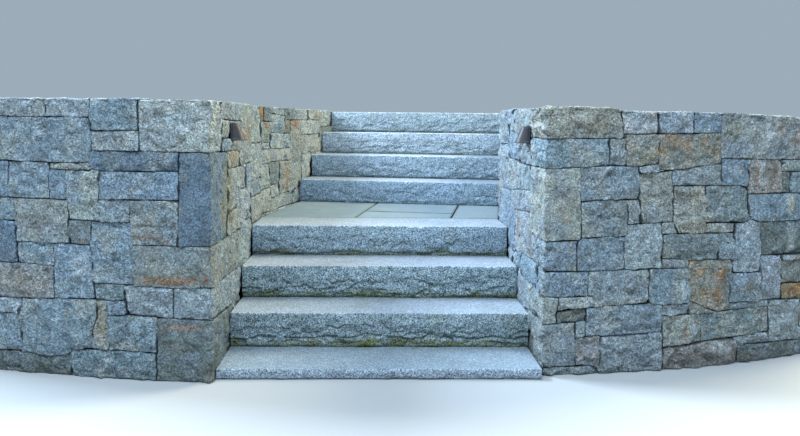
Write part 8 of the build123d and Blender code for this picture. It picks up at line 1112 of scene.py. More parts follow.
    ("bluegrey", [-1740, 551, -1653, 550, -1645, 551, -1623, 552, -1620, 553, -1610, 569, -1609, 615, -1604, 687, -1602, 695, -1600, 749, -1647, 750, -1681, 753, -1729, 762, -1765, 763, -1803, 763, -1813, 761, -1837, 761, -1845, 759, -1887, 755, -1899, 753, -1901, 750, -1903, 729, -1903, 657, -1898, 603, -1891, 557, -1885, 554, -1857, 554, -1849, 552]),
    ("blue", [-1998, 751, -1991, 749, -1889, 760, -1837, 763, -1813, 763, -1801, 765, -1727, 765, -1645, 754, -1631, 754, -1629, 755, -1628, 759, -1630, 801, -1628, 879, -1621, 891, -1626, 897, -1633, 900, -1657, 901, -1689, 905, -1779, 907, -1789, 906, -1833, 906, -1843, 904, -1901, 900, -1909, 897, -1933, 897, -1941, 895, -1969, 895, -1979, 893, -1981, 889, -1997, 779, -1999, 759]),
    ("light", [-1615, 893, -1591, 892, -1583, 899, -1580, 917, -1580, 945, -1575, 1001, -1573, 1005, -1567, 1010, -1549, 1010, -1546, 1011, -1543, 1043, -1543, 1049, -1545, 1053, -1559, 1054, -1597, 1054, -1609, 1053, -1617, 1049, -1655, 1048, -1665, 1046, -1717, 1046, -1731, 1044, -1837, 1045, -1868, 1041, -1869, 1031, -1865, 985, -1866, 909, -1864, 905, -1843, 904, -1833, 906, -1789, 906, -1777, 909, -1731, 909, -1721, 907, -1689, 907, -1655, 903, -1631, 904, -1624, 901]),
    ("buffgrey", [-1981, 1047, -1851, 1046, -1839, 1048, -1731, 1048, -1719, 1050, -1667, 1050, -1655, 1053, -1619, 1053, -1617, 1055, -1622, 1065, -1623, 1089, -1621, 1101, -1619, 1145, -1623, 1147, -1647, 1148, -1655, 1146, -1687, 1146, -1695, 1144, -1721, 1143, -1729, 1141, -1749, 1140, -1787, 1142, -1795, 1140, -1891, 1140, -1903, 1142, -1989, 1143, -1991, 1139, -1991, 1127, -1989, 1113, -1989, 1093, -2004, 1075, -2005, 1071, -2002, 1065, -1994, 1059, -1986, 1049]),
    ("pink", [-1656, 1378, -1750, 1284, -1863, 1397, -1862, 1377, -1863, 1265, -1865, 1253, -1866, 1149, -1865, 1145, -1863, 1144, -1832, 1143, -1799, 1144, -1789, 1146, -1763, 1148, -1657, 1150, -1649, 1152, -1623, 1153, -1619, 1157, -1618, 1181, -1617, 1191, -1617, 1219, -1621, 1221, -1655, 1221, -1659, 1223, -1661, 1227, -1656, 1317], -1750),
    ("buffgrey", [-2361, 1, -2239, 3, -2165, 1, -2055, 4, -2053, 9, -2051, 89, -2049, 101, -2050, 201, -2048, 215, -2049, 249, -2055, 251, -2103, 252, -2113, 250, -2157, 249, -2167, 247, -2213, 247, -2223, 245, -2289, 246, -2393, 244, -2394, 237, -2394, 211, -2391, 201, -2391, 113, -2393, 101, -2393, 53, -2395, 41, -2395, 5, -2391, 3]),
    ("bluegrey", [-2272, 247, -2225, 248, -2213, 250, -2167, 250, -2157, 252, -2113, 250, -2103, 252, -2019, 255, -2005, 258, -1991, 256, -1935, 254, -1933, 255, -1932, 259, -1931, 311, -1929, 321, -1930, 347, -1933, 349, -1971, 350, -1983, 352, -2045, 353, -2113, 352, -2125, 350, -2191, 349, -2219, 346, -2277, 348, -2279, 347, -2280, 341, -2275, 305, -2275, 251]),
    ("pink", [-2433, 351, -2419, 349, -2353, 352, -2301, 350, -2291, 352, -2205, 353, -2197, 355, -2035, 357, -2033, 365, -2034, 429, -2036, 439, -2044, 537, -2047, 550, -2051, 552, -2071, 552, -2079, 553, -2129, 553, -2137, 555, -2189, 556, -2203, 558, -2235, 559, -2333, 556, -2347, 553, -2393, 554, -2431, 552, -2433, 547, -2436, 489, -2437, 479, -2436, 407, -2435, 397, -2436, 361]),
    ("blue", [-2008, 555, -1999, 553, -1951, 555, -1945, 555, -1943, 557, -1955, 639, -1957, 663, -1957, 695, -1959, 699, -2005, 698, -2015, 696, -2101, 695, -2171, 697, -2183, 699, -2299, 698, -2305, 697, -2308, 681, -2308, 649, -2314, 593, -2315, 569, -2313, 564, -2251, 561, -2137, 561, -2125, 559, -2077, 558, -2067, 556]),
    ("buffgrey", [-2172, 699, -2061, 701, -2058, 727, -2056, 779, -2050, 829, -2051, 841, -2191, 843, -2209, 845, -2313, 842, -2431, 844, -2437, 843, -2438, 829, -2431, 767, -2432, 733, -2429, 703, -2395, 701, -2227, 702, -2181, 701]),
    ("browngrey", [-2231, 847, -2203, 847, -2191, 845, -2035, 846, -2023, 848, -1993, 849, -1991, 851, -1985, 897, -1971, 901, -1943, 901, -1937, 903, -1935, 907, -1932, 945, -1937, 947, -1949, 945, -1971, 944, -2129, 945, -2141, 947, -2187, 947, -2197, 949, -2257, 949, -2271, 951, -2305, 951, -2309, 947, -2309, 925, -2304, 885, -2303, 865, -2300, 851, -2295, 849]),
    ("bluegrey", [-2138, 949, -2129, 947, -2061, 948, -2031, 948, -2027, 950, -2027, 997, -2029, 1007, -2031, 1045, -2012, 1065, -2010, 1071, -2013, 1077, -2029, 1093, -2053, 1096, -2087, 1096, -2095, 1098, -2127, 1098, -2137, 1100, -2173, 1101, -2181, 1102, -2231, 1101, -2243, 1102, -2313, 1105, -2357, 1104, -2385, 1102, -2431, 1102, -2453, 1101, -2457, 1099, -2454, 985, -2451, 954, -2405, 952, -2377, 952, -2363, 954, -2269, 954, -2259, 952, -2199, 952, -2185, 950]),
    ("grey", [-1962, 1492, -2170, 1284, -2289, 1403, -2288, 1379, -2290, 1301, -2288, 1111, -2283, 1108, -2239, 1110, -2229, 1108, -2181, 1106, -2171, 1104, -2137, 1104, -2127, 1102, -2095, 1102, -2085, 1100, -2051, 1100, -2029, 1097, -2011, 1081, -2005, 1081, -1992, 1095, -1992, 1145, -1989, 1146, -1951, 1146, -1947, 1147, -1946, 1149, -1947, 1217, -1945, 1353, -1948, 1477], -2170),
    ("bluegrey", [3373, 3, 3606, 3, 3608, 9, 3607, 49, 3605, 59, 3603, 135, 3600, 151, 3595, 153, 3531, 152, 3519, 155, 3475, 156, 3375, 154, 3373, 149, 3374, 89, 3372, 11]),
    ("bluegrey", [3458, 159, 3485, 159, 3489, 160, 3490, 163, 3487, 253, 3419, 255, 3375, 253, 3373, 247, 3373, 162, 3377, 160]),
    ("light", [3550, 255, 3587, 255, 3597, 253, 3601, 257, 3602, 313, 3607, 363, 3606, 401, 3608, 411, 3606, 479, 3603, 493, 3579, 497, 3545, 498, 3533, 500, 3473, 499, 3445, 501, 3435, 499, 3374, 499, 3372, 493, 3373, 427, 3371, 347, 3374, 261, 3378, 259, 3403, 258, 3493, 259, 3507, 256]),
    ("buffgrey", [3373, 505, 3421, 504, 3463, 507, 3481, 505, 3486, 507, 3485, 547, 3484, 555, 3484, 583, 3483, 591, 3482, 625, 3479, 635, 3478, 701, 3476, 705, 3447, 707, 3437, 705, 3403, 706, 3377, 703, 3373, 701, 3372, 525, 3372, 509]),
    ("rustbuff", [3375, 709, 3391, 708, 3471, 714, 3539, 712, 3551, 710, 3593, 711, 3595, 715, 3598, 769, 3600, 777, 3601, 825, 3603, 845, 3601, 851, 3595, 853, 3409, 854, 3375, 853, 3372, 847, 3372, 803, 3373, 715]),
    ("light", [3375, 859, 3415, 857, 3495, 860, 3497, 863, 3497, 883, 3499, 891, 3500, 925, 3502, 937, 3501, 945, 3399, 950, 3389, 951, 3373, 950, 3371, 945, 3373, 865]),
    ("buffgrey", [3510, 949, 3605, 949, 3610, 951, 3611, 1049, 3609, 1061, 3607, 1155, 3603, 1179, 3513, 1182, 3503, 1184, 3475, 1184, 3467, 1186, 3443, 1186, 3374, 1191, 3372, 1187, 3371, 1157, 3371, 955, 3375, 953, 3399, 950, 3471, 953, 3483, 950]),
    ("buffgrey", [3490, 1403, 3371, 1284, 3191, 1464, 3189, 1464, 3149, 1477, 3139, 1477, 3135, 1475, 3137, 1371, 3134, 1261, 3135, 1253, 3137, 1251, 3367, 1253, 3371, 1251, 3373, 1247, 3372, 1203, 3374, 1197, 3389, 1194, 3409, 1195, 3472, 1189, 3489, 1188, 3491, 1189, 3492, 1193, 3492, 1231, 3490, 1245], 3371),
    ("blue", [3613, 3, 3619, 2, 3681, 2, 3763, 3, 3833, 1, 3925, 3, 3928, 7, 3931, 33, 3930, 127, 3931, 139, 3927, 141, 3887, 141, 3877, 143, 3833, 145, 3823, 147, 3743, 147, 3731, 149, 3691, 150, 3681, 152, 3609, 153, 3607, 151, 3606, 147, 3608, 137, 3608, 107, 3610, 97]),
    ("buffgrey", [3892, 147, 4005, 146, 4025, 149, 4026, 193, 4025, 205, 4025, 279, 4021, 296, 3955, 297, 3943, 295, 3885, 292, 3793, 298, 3697, 295, 3669, 296, 3664, 295, 3663, 261, 3661, 251, 3660, 213, 3661, 201, 3662, 161, 3663, 157, 3693, 154, 3733, 154, 3743, 153, 3777, 152, 3787, 150, 3823, 149, 3833, 147, 3879, 149]),
    ("buffgrey", [3826, 299, 3881, 301, 3919, 299, 3924, 301, 3924, 337, 3922, 363, 3924, 483, 3925, 493, 3925, 521, 3927, 531, 3927, 545, 3925, 548, 3883, 550, 3873, 548, 3833, 548, 3823, 546, 3775, 544, 3759, 542, 3671, 544, 3659, 546, 3579, 547, 3567, 549, 3559, 548, 3559, 517, 3562, 505, 3565, 503, 3607, 501, 3611, 497, 3614, 483, 3614, 467, 3612, 411, 3610, 401, 3609, 363, 3608, 353, 3608, 321, 3607, 311, 3609, 305, 3617, 303, 3687, 304, 3699, 302, 3757, 300]),
    ("pink", [3667, 549, 3671, 547, 3691, 548, 3761, 549, 3773, 551, 3821, 550, 3831, 551, 3871, 552, 3883, 554, 4005, 553, 4036, 555, 4038, 563, 4039, 651, 4038, 759, 4035, 793, 4021, 796, 3941, 796, 3929, 798, 3845, 799, 3833, 801, 3761, 801, 3751, 803, 3699, 802, 3679, 805, 3663, 804, 3661, 801, 3660, 783, 3661, 645, 3663, 633, 3663, 593, 3665, 583, 3665, 553]),
    ("light", [3838, 803, 3855, 801, 3911, 803, 3912, 817, 3908, 843, 3905, 893, 3903, 896, 3873, 899, 3745, 896, 3671, 899, 3659, 902, 3625, 903, 3569, 901, 3565, 900, 3563, 897, 3562, 889, 3561, 861, 3565, 859, 3599, 858, 3606, 855, 3608, 851, 3609, 837, 3607, 815, 3609, 811, 3619, 808, 3629, 808, 3751, 805, 3763, 803]),
    ("blue", [3883, 899, 4049, 899, 4051, 905, 4050, 995, 4051, 1027, 4053, 1043, 4051, 1050, 3983, 1051, 3971, 1049, 3925, 1049, 3913, 1047, 3877, 1047, 3867, 1045, 3779, 1043, 3769, 1041, 3717, 1041, 3675, 1037, 3672, 921, 3670, 909, 3671, 903, 3673, 901, 3765, 904, 3875, 901]),
    ("buffgrey", [3928, 1422, 3791, 1284, 3581, 1493, 3575, 1487, 3554, 1463, 3555, 1327, 3553, 1257, 3555, 1245, 3556, 1199, 3559, 1187, 3561, 1185, 3601, 1184, 3606, 1181, 3609, 1155, 3609, 1119, 3611, 1109, 3611, 1061, 3614, 1043, 3619, 1041, 3707, 1041, 3717, 1043, 3767, 1043, 3779, 1045, 3867, 1047, 3877, 1049, 3913, 1049, 3921, 1051, 3925, 1057, 3929, 1119, 3929, 1161, 3931, 1171, 3932, 1203, 3929, 1251, 3930, 1325], 3791),
    ("buffgrey", [-3310, 1, -3132, 3, -3130, 7, -3130, 57, -3128, 67, -3128, 97, -3133, 99, -3173, 100, -3183, 101, -3247, 99, -3311, 100, -3313, 93, -3313, 7, -3313, 3]),
    ("bluegrey", [-2874, 1, -2841, 1, -2837, 3, -2839, 65, -2837, 133, -2837, 145, -2839, 148, -3115, 147, -3121, 145, -3124, 121, -3124, 67, -3126, 55, -3125, 9, -3123, 4]),
    ("buffgrey", [-2834, 1, -2707, 2, -2649, 5, -2648, 9, -2647, 47, -2647, 91, -2653, 93, -2709, 93, -2777, 96, -2833, 94, -2836, 9, -2835, 3]),
    ("light", [-2628, 3, -2493, 1, -2407, 3, -2403, 5, -2401, 11, -2399, 103, -2397, 115, -2397, 191, -2403, 193, -2481, 193, -2535, 197, -2641, 195, -2643, 179, -2641, 9, -2639, 4]),
    ("bluegrey", [-2009, 3, -1991, 3, -1987, 7, -1986, 59, -1987, 97, -1991, 100, -2043, 102, -2046, 99, -2049, 89, -2047, 7, -2043, 3]),
    ("buffgrey", [3933, 3, 4019, 3, 4020, 9, 4021, 93, 4021, 137, 4019, 144, 3943, 142, 3937, 141, 3934, 127, 3932, 79, 3933, 31, 3931, 19]),
    ("browngrey", [4027, 3, 4067, 2, 4143, 5, 4241, 2, 4253, 2, 4254, 13, 4253, 55, 4251, 67, 4252, 119, 4250, 149, 4243, 151, 4195, 151, 4109, 145, 4071, 146, 4063, 144, 4026, 143, 4024, 137, 4024, 73, 4025, 9]),
    ("buff", [4264, 1, 4359, 3, 4437, 1, 4493, 4, 4497, 21, 4498, 185, 4497, 195, 4459, 196, 4447, 199, 4393, 198, 4385, 199, 4309, 201, 4297, 203, 4253, 202, 4251, 193, 4253, 183, 4254, 131, 4256, 119, 4257, 67, 4258, 59, 4257, 7, 4259, 2]),
    ("buffgrey", [4511, 3, 4589, 1, 4667, 3, 4793, 2, 4795, 3, 4796, 9, 4795, 90, 4791, 93, 4761, 94, 4751, 92, 4675, 93, 4663, 90, 4591, 86, 4543, 88, 4505, 87, 4502, 83, 4503, 19, 4501, 7, 4503, 4]),
    ("light", [4801, 3, 4911, 4, 4913, 9, 4914, 63, 4916, 73, 4915, 93, 4901, 94, 4803, 92, 4801, 87, 4800, 57, 4800, 9]),
    ("buff", [5081, 1, 5097, 1, 5100, 3, 5101, 7, 5100, 31, 5098, 41, 5097, 71, 5095, 79, 5096, 105, 5094, 113, 5094, 141, 5092, 151, 5092, 185, 5089, 196, 5085, 198, 5065, 198, 5053, 196, 4995, 195, 4983, 193, 4923, 193, 4921, 189, 4921, 153, 4919, 145, 4920, 73, 4919, 59, 4920, 5, 4925, 3, 4959, 1, 5029, 3]),
    ("blue", [5104, 1, 5280, 3, 5282, 9, 5280, 17, 5279, 57, 5278, 65, 5277, 137, 5274, 153, 5267, 155, 5195, 155, 5183, 153, 5141, 153, 5131, 151, 5097, 150, 5096, 147, 5097, 115, 5099, 107, 5100, 81, 5102, 71, 5102, 5]),
    ("bluegrey", [5345, 3, 5367, 3, 5371, 5, 5370, 53, 5367, 55, 5347, 56, 5291, 57, 5286, 55, 5285, 19, 5289, 4]),
    ("blue", [5376, 3, 5383, 1, 5489, 2, 5491, 7, 5490, 63, 5492, 77, 5491, 99, 5487, 100, 5457, 100, 5449, 101, 5415, 102, 5403, 104, 5379, 103, 5378, 99, 5378, 59, 5376, 47]),
    ("light", [5502, 1, 5565, 1, 5635, 4, 5781, 2, 5784, 7, 5784, 47, 5786, 59, 5786, 93, 5785, 95, 5781, 96, 5705, 95, 5637, 97, 5585, 96, 5577, 98, 5499, 99, 5497, 98, 5496, 93, 5493, 7, 5495, 2]),
    ("blue", [5789, 3, 5793, 1, 5813, 1, 5879, 2, 5880, 7, 5880, 41, 5877, 44, 5859, 44, 5851, 45, 5789, 46, 5787, 39]),
    ("browngrey", [5886, 3, 6045, 2, 6109, 4, 6113, 6, 6116, 43, 6114, 51, 6114, 91, 6111, 103, 6111, 139, 6109, 147, 6110, 205, 6109, 213, 6108, 249, 6106, 253, 6045, 253, 6035, 251, 5991, 251, 5979, 250, 5937, 250, 5927, 249, 5895, 248, 5891, 246, 5891, 153, 5888, 141, 5886, 47, 5884, 35, 5884, 7]),
    ("buffgrey", [6128, 3, 6185, 2, 6187, 7, 6187, 23, 6184, 39, 6181, 40, 6121, 39, 6120, 35, 6121, 7, 6123, 4]),
    ("grey", [6194, 1, 6331, 2, 6401, 5, 6471, 1, 6473, 9, 6472, 79, 6470, 93, 6470, 129, 6467, 145, 6445, 148, 6335, 149, 6323, 150, 6229, 150, 6219, 148, 6185, 147, 6184, 137, 6186, 127, 6186, 93, 6188, 83, 6187, 35, 6189, 27, 6189, 5, 6191, 2]),
    ("bluegrey", [6476, 3, 6483, 2, 6529, 3, 6610, 3, 6612, 7, 6613, 45, 6611, 97, 6587, 100, 6477, 99, 6475, 93, 6476, 83, 6475, 17]),
    ("grey", [5356, 61, 5371, 61, 5374, 65, 5375, 135, 5377, 147, 5375, 199, 5369, 200, 5309, 201, 5297, 203, 5277, 202, 5275, 199, 5277, 189, 5277, 147, 5279, 139, 5279, 107, 5281, 97, 5283, 65, 5287, 62, 5345, 63]),
    ("bluegrey", [5861, 49, 5879, 49, 5882, 51, 5882, 89, 5884, 101, 5884, 145, 5886, 155, 5885, 194, 5881, 195, 5805, 196, 5793, 194, 5791, 189, 5791, 137, 5790, 125, 5790, 51, 5797, 50, 5851, 51]),
    ("buff", [6120, 45, 6125, 43, 6175, 43, 6181, 44, 6184, 47, 6184, 81, 6182, 91, 6182, 125, 6180, 135, 6180, 171, 6179, 179, 6178, 199, 6175, 202, 6119, 203, 6113, 201, 6114, 151, 6116, 139, 6116, 103, 6117, 93, 6117, 55]),
    ("buffgrey", [-1516, 93, -1499, 94, -1497, 97, -1495, 111, -1494, 203, -1492, 217, -1492, 249, -1495, 257, -1499, 257, -1507, 248, -1511, 246, -1537, 246, -1547, 244, -1629, 244, -1631, 239, -1628, 227, -1627, 147, -1629, 137, -1631, 96, -1627, 94, -1577, 96]),
    ("buff", [-3181, 103, -3165, 101, -3135, 102, -3129, 103, -3126, 133, -3127, 181, -3125, 191, -3125, 197, -3127, 199, -3255, 197, -3265, 195, -3307, 195, -3312, 193, -3313, 163, -3311, 105, -3247, 106]),
    ("buffgrey", [-2832, 97, -2775, 96, -2709, 99, -2651, 98, -2647, 100, -2645, 175, -2646, 265, -2643, 299, -2644, 339, -2646, 345, -2763, 343, -2807, 344, -2829, 347, -2835, 345, -2834, 297, -2836, 123, -2835, 101]),
    ("buff", [-2009, 105, -1991, 105, -1987, 108, -1986, 207, -1984, 219, -1985, 245, -1989, 248, -2003, 250, -2015, 249, -2041, 249, -2044, 245, -2044, 211, -2046, 199, -2046, 109, -2043, 106, -2015, 106]),
    ("buff", [4505, 93, 4545, 92, 4573, 94, 4574, 99, 4574, 139, 4567, 141, 4504, 141, 4502, 137, 4502, 101, 4503, 95]),
    ("buffgrey", [4583, 95, 4587, 94, 4605, 96, 4661, 94, 4673, 95, 4727, 95, 4751, 96, 4761, 98, 4809, 99, 4913, 98, 4915, 99, 4916, 103, 4917, 145, 4920, 159, 4919, 191, 4915, 239, 4911, 242, 4831, 244, 4687, 244, 4677, 245, 4607, 245, 4581, 247, 4579, 241, 4578, 181, 4580, 165]),
    ("lightbuff", [5584, 101, 5607, 100, 5610, 103, 5610, 185, 5609, 191, 5579, 194, 5493, 193, 5483, 194, 5437, 194, 5425, 197, 5395, 197, 5385, 197, 5381, 195, 5380, 145, 5378, 133, 5378, 113, 5380, 109, 5415, 107, 5451, 107, 5459, 105, 5495, 104, 5507, 102, 5569, 103]),
    ("bluegrey", [5614, 101, 5617, 99, 5629, 99, 5711, 102, 5783, 101, 5786, 105, 5788, 143, 5786, 145, 5781, 146, 5723, 144, 5711, 142, 5617, 144, 5615, 143, 5614, 139]),
    ("bluegrey", [6594, 103, 6609, 102, 6612, 105, 6611, 183, 6609, 190, 6517, 191, 6495, 193, 6475, 193, 6471, 191, 6473, 139, 6475, 131, 6475, 109, 6477, 106]),
    ("pink", [-3118, 153, -2979, 153, -2976, 157, -2973, 201, -2977, 251, -2985, 252, -3091, 251, -3117, 248, -3119, 241, -3119, 189, -3121, 161, -3121, 155]),
    ("bluegrey", [-2877, 151, -2841, 151, -2837, 153, -2837, 241, -2839, 295, -2843, 298, -2865, 298, -2875, 300, -2933, 298, -2943, 300, -2968, 299, -2970, 295, -2974, 231, -2971, 183, -2973, 169, -2971, 153, -2965, 152]),
    ("blue", [3626, 157, 3653, 156, 3657, 159, 3658, 199, 3656, 211, 3655, 244, 3653, 248, 3597, 251, 3585, 254, 3505, 252, 3497, 253, 3493, 251, 3492, 193, 3494, 183, 3494, 165, 3496, 161, 3619, 158]),
    ("lightblue", [4031, 149, 4061, 147, 4071, 149, 4107, 151, 4117, 153, 4157, 152, 4166, 155, 4168, 163, 4167, 247, 4161, 249, 4143, 247, 4095, 249, 4087, 247, 4037, 248, 4029, 245, 4027, 241, 4027, 223, 4028, 205, 4030, 195]),
    ("buff", [4196, 153, 4245, 153, 4249, 153, 4251, 156, 4251, 181, 4249, 193, 4248, 265, 4250, 279, 4251, 327, 4253, 345, 4252, 349, 4249, 351, 4235, 350, 4223, 348, 4177, 347, 4173, 345, 4172, 157, 4175, 154]),
    ("bluegrey", [4503, 147, 4529, 146, 4574, 147, 4576, 151, 4577, 165, 4574, 193, 4571, 195, 4539, 196, 4529, 197, 4503, 196, 4501, 189]),
    ("bluegrey", [5097, 153, 5131, 153, 5141, 154, 5183, 155, 5193, 157, 5273, 158, 5275, 163, 5275, 187, 5273, 199, 5272, 247, 5265, 249, 5095, 247, 5093, 195, 5095, 185, 5095, 157]),
    ("browngrey", [5614, 149, 5619, 147, 5639, 147, 5709, 149, 5721, 151, 5783, 150, 5788, 151, 5789, 211, 5788, 337, 5787, 343, 5641, 344, 5621, 344, 5617, 341, 5617, 277, 5615, 229, 5613, 215]),
    ("browngrey", [6452, 151, 6465, 150, 6467, 152, 6468, 157, 6463, 235, 6461, 243, 6461, 275, 6459, 291, 6457, 293, 6415, 298, 6345, 302, 6337, 304, 6311, 304, 6303, 306, 6255, 306, 6243, 308, 6191, 309, 6185, 309, 6183, 307, 6181, 289, 6182, 183, 6185, 153, 6199, 152, 6217, 152, 6227, 155, 6269, 155, 6325, 154, 6339, 151]),
    ("grey", [331, 185, 335, 184, 365, 184, 499, 186, 507, 187, 501, 197, 477, 221, 395, 224, 383, 226, 339, 226, 333, 226, 330, 223]),
    ("bluegrey", [-3296, 197, -3203, 199, -3193, 201, -3143, 202, -3127, 205, -3125, 206, -3124, 245, -3122, 255, -3123, 391, -3125, 397, -3143, 395, -3205, 396, -3215, 394, -3279, 394, -3307, 391, -3311, 389, -3312, 201, -3309, 197]),
    ("browngrey", [-2596, 199, -2521, 199, -2511, 198, -2399, 199, -2397, 203, -2399, 277, -2403, 331, -2406, 345, -2409, 347, -2417, 347, -2491, 345, -2637, 345, -2640, 339, -2640, 287, -2642, 277, -2642, 203, -2641, 201, -2637, 200]),
    ("buff", [4392, 203, 4433, 201, 4443, 201, 4446, 203, 4445, 269, 4443, 277, 4442, 297, 4440, 301, 4269, 302, 4255, 299, 4252, 267, 4251, 211, 4253, 206, 4301, 205, 4309, 203, 4375, 205]),
    ("buff", [4531, 199, 4539, 197, 4567, 197, 4573, 199, 4574, 201, 4573, 257, 4571, 269, 4571, 319, 4570, 331, 4569, 451, 4567, 453, 4555, 454, 4447, 450, 4445, 449, 4444, 445, 4443, 419, 4445, 343, 4447, 331, 4446, 281, 4448, 269, 4447, 219, 4450, 205, 4453, 201, 4459, 200]),
    ("bluegrey", [4923, 199, 4929, 198, 4983, 199, 4993, 200, 5051, 200, 5061, 202, 5085, 202, 5089, 204, 5090, 293, 5092, 305, 5091, 351, 5093, 359, 5093, 411, 5095, 421, 5096, 439, 5095, 445, 5093, 446, 5085, 448, 4983, 450, 4971, 452, 4923, 452, 4917, 450, 4917, 429, 4919, 417, 4918, 365, 4920, 355, 4920, 299, 4923, 285, 4924, 255]),
    ("light", [5587, 197, 5607, 196, 5610, 199, 5611, 221, 5612, 231, 5611, 337, 5609, 343, 5453, 345, 5287, 343, 5281, 341, 5278, 265, 5276, 251, 5275, 213, 5277, 207, 5309, 204, 5429, 203, 5439, 201, 5485, 201, 5497, 199, 5567, 199]),
    ("buffgrey", [5792, 199, 5795, 198, 5819, 200, 5881, 201, 5885, 202, 5887, 289, 5885, 297, 5833, 296, 5823, 294, 5797, 293, 5793, 291]),
    ("buffgrey", [6114, 207, 6121, 206, 6169, 206, 6175, 207, 6177, 209, 6179, 289, 6181, 301, 6179, 308, 6167, 308, 6157, 306, 6121, 304, 6117, 302, 6112, 239, 6112, 215]),
    ("bluegrey", [6514, 197, 6609, 198, 6611, 203, 6612, 283, 6610, 289, 6589, 290, 6511, 289, 6467, 293, 6465, 287, 6467, 277, 6467, 247, 6469, 237, 6469, 209, 6471, 200, 6475, 198]),
    ("browngrey", [-3115, 255, -3103, 255, -3091, 257, -2987, 256, -2977, 257, -2978, 347, -2983, 349, -3075, 349, -3105, 348, -3115, 345, -3118, 263, -3117, 257]),
    ("browngrey", [-2311, 247, -2281, 247, -2277, 249, -2278, 273, -2280, 283, -2282, 329, -2285, 347, -2291, 348, -2301, 346, -2341, 345, -2397, 346, -2402, 345, -2402, 313, -2395, 250, -2389, 248]),
    ("light", [-1921, 253, -1893, 251, -1863, 253, -1861, 295, -1867, 298, -1924, 299, -1926, 295, -1929, 259, -1927, 254]),
    ("light", [3604, 255, 3609, 253, 3653, 256, 3656, 263, 3655, 295, 3649, 296, 3608, 297, 3605, 273, 3603, 265]),
    ("blue", [4030, 249, 4083, 249, 4095, 252, 4165, 256, 4167, 263, 4167, 345, 4161, 348, 4113, 350, 4028, 347, 4026, 341, 4026, 291, 4028, 283, 4027, 253]),
    ("bluegrey", [4719, 247, 4751, 247, 4755, 251, 4754, 309, 4755, 319, 4756, 419, 4758, 429, 4757, 447, 4751, 450, 4627, 451, 4617, 453, 4581, 454, 4572, 453, 4570, 447, 4571, 405, 4573, 393, 4576, 269, 4579, 255, 4581, 253, 4593, 251, 4675, 250, 4687, 248]),
    ("light", [4758, 247, 4831, 247, 4915, 250, 4917, 255, 4918, 283, 4916, 291, 4916, 347, 4911, 349, 4871, 349, 4861, 347, 4763, 344, 4761, 341, 4760, 317, 4758, 307, 4756, 253]),
    ("light", [5096, 253, 5181, 254, 5185, 277, 5184, 293, 5179, 295, 5095, 295, 5094, 291, 5094, 259]),
    ("bluegrey", [5199, 253, 5263, 252, 5271, 253, 5274, 265, 5273, 309, 5277, 367, 5277, 387, 5275, 391, 5205, 391, 5200, 389, 5197, 379, 5197, 361, 5195, 353, 5189, 263, 5191, 254]),
    ("blue", [5905, 251, 5979, 254, 5989, 256, 6033, 256, 6043, 258, 6101, 258, 6107, 261, 6110, 267, 6109, 323, 6111, 335, 6112, 369, 6114, 381, 6114, 417, 6116, 427, 6115, 491, 6113, 497, 6057, 495, 6047, 493, 5989, 495, 5929, 493, 5891, 494, 5887, 492, 5886, 383, 5888, 371, 5887, 319, 5889, 307, 5889, 257, 5890, 253, 5893, 251]),
    ("light", [-2866, 303, -2843, 303, -2839, 306, -2837, 349, -2841, 391, -2855, 394, -2913, 394, -2927, 396, -2965, 396, -2971, 393, -2972, 363, -2970, 315, -2967, 309]),
    ("pink", [-1909, 303, -1863, 302, -1861, 303, -1861, 389, -1863, 395, -1887, 397, -1915, 397, -1920, 395, -1925, 307, -1923, 305]),
    ("bluegrey", [3932, 299, 3943, 298, 3953, 300, 4017, 300, 4022, 303, 4019, 501, 4022, 543, 4021, 548, 4019, 550, 3939, 549, 3933, 547, 3930, 491, 3928, 483, 3928, 457, 3930, 353, 3931, 343, 3930, 305]),
    ("bluegrey", [4254, 305, 4257, 304, 4267, 305, 4339, 307, 4341, 355, 4343, 367, 4343, 395, 4341, 400, 4263, 400, 4257, 397, 4254, 371, 4254, 335, 4253, 327]),
    ("buffgrey", [4346, 307, 4440, 307, 4442, 313, 4441, 331, 4439, 341, 4440, 397, 4439, 402, 4409, 403, 4399, 401, 4351, 401, 4346, 399, 4346, 363, 4344, 353, 4344, 313]),
    ("buffgrey", [5096, 301, 5101, 300, 5147, 302, 5181, 301, 5185, 303, 5187, 311, 5188, 329, 5190, 337, 5193, 391, 5187, 393, 5145, 394, 5133, 395, 5100, 395, 5098, 391, 5098, 359, 5096, 347]),
    ("buff", [5795, 299, 5877, 299, 5885, 302, 5887, 307, 5885, 317, 5884, 371, 5881, 393, 5879, 395, 5797, 394, 5793, 393, 5793, 305, 5793, 301]),
    ("bluegrey", [6395, 303, 6403, 303, 6406, 307, 6404, 395, 6403, 399, 6401, 400, 6341, 403, 6331, 405, 6221, 406, 6125, 404, 6119, 401, 6116, 367, 6117, 331, 6116, 321, 6116, 315, 6119, 312, 6157, 310, 6167, 311, 6245, 312, 6257, 310, 6305, 310, 6313, 308, 6339, 308]),
    ("light", [6509, 295, 6523, 295, 6525, 299, 6525, 319, 6524, 329, 6524, 375, 6521, 393, 6499, 397, 6473, 397, 6465, 399, 6441, 398, 6431, 400, 6413, 398, 6411, 393, 6411, 304, 6425, 300, 6503, 297]),
    ("light", [6534, 295, 6605, 294, 6609, 295, 6611, 297, 6612, 541, 6611, 547, 6609, 548, 6539, 547, 6533, 545, 6528, 491, 6526, 387, 6528, 377, 6529, 331, 6531, 321, 6531, 299]),
    ("bluegrey", [-3113, 355, -2983, 355, -2978, 357, -2977, 403, -2979, 425, -2978, 533, -2980, 541, -3011, 545, -3081, 544, -3091, 545, -3113, 546, -3119, 544, -3120, 507, -3118, 495, -3118, 409, -3116, 361, -3116, 357]),
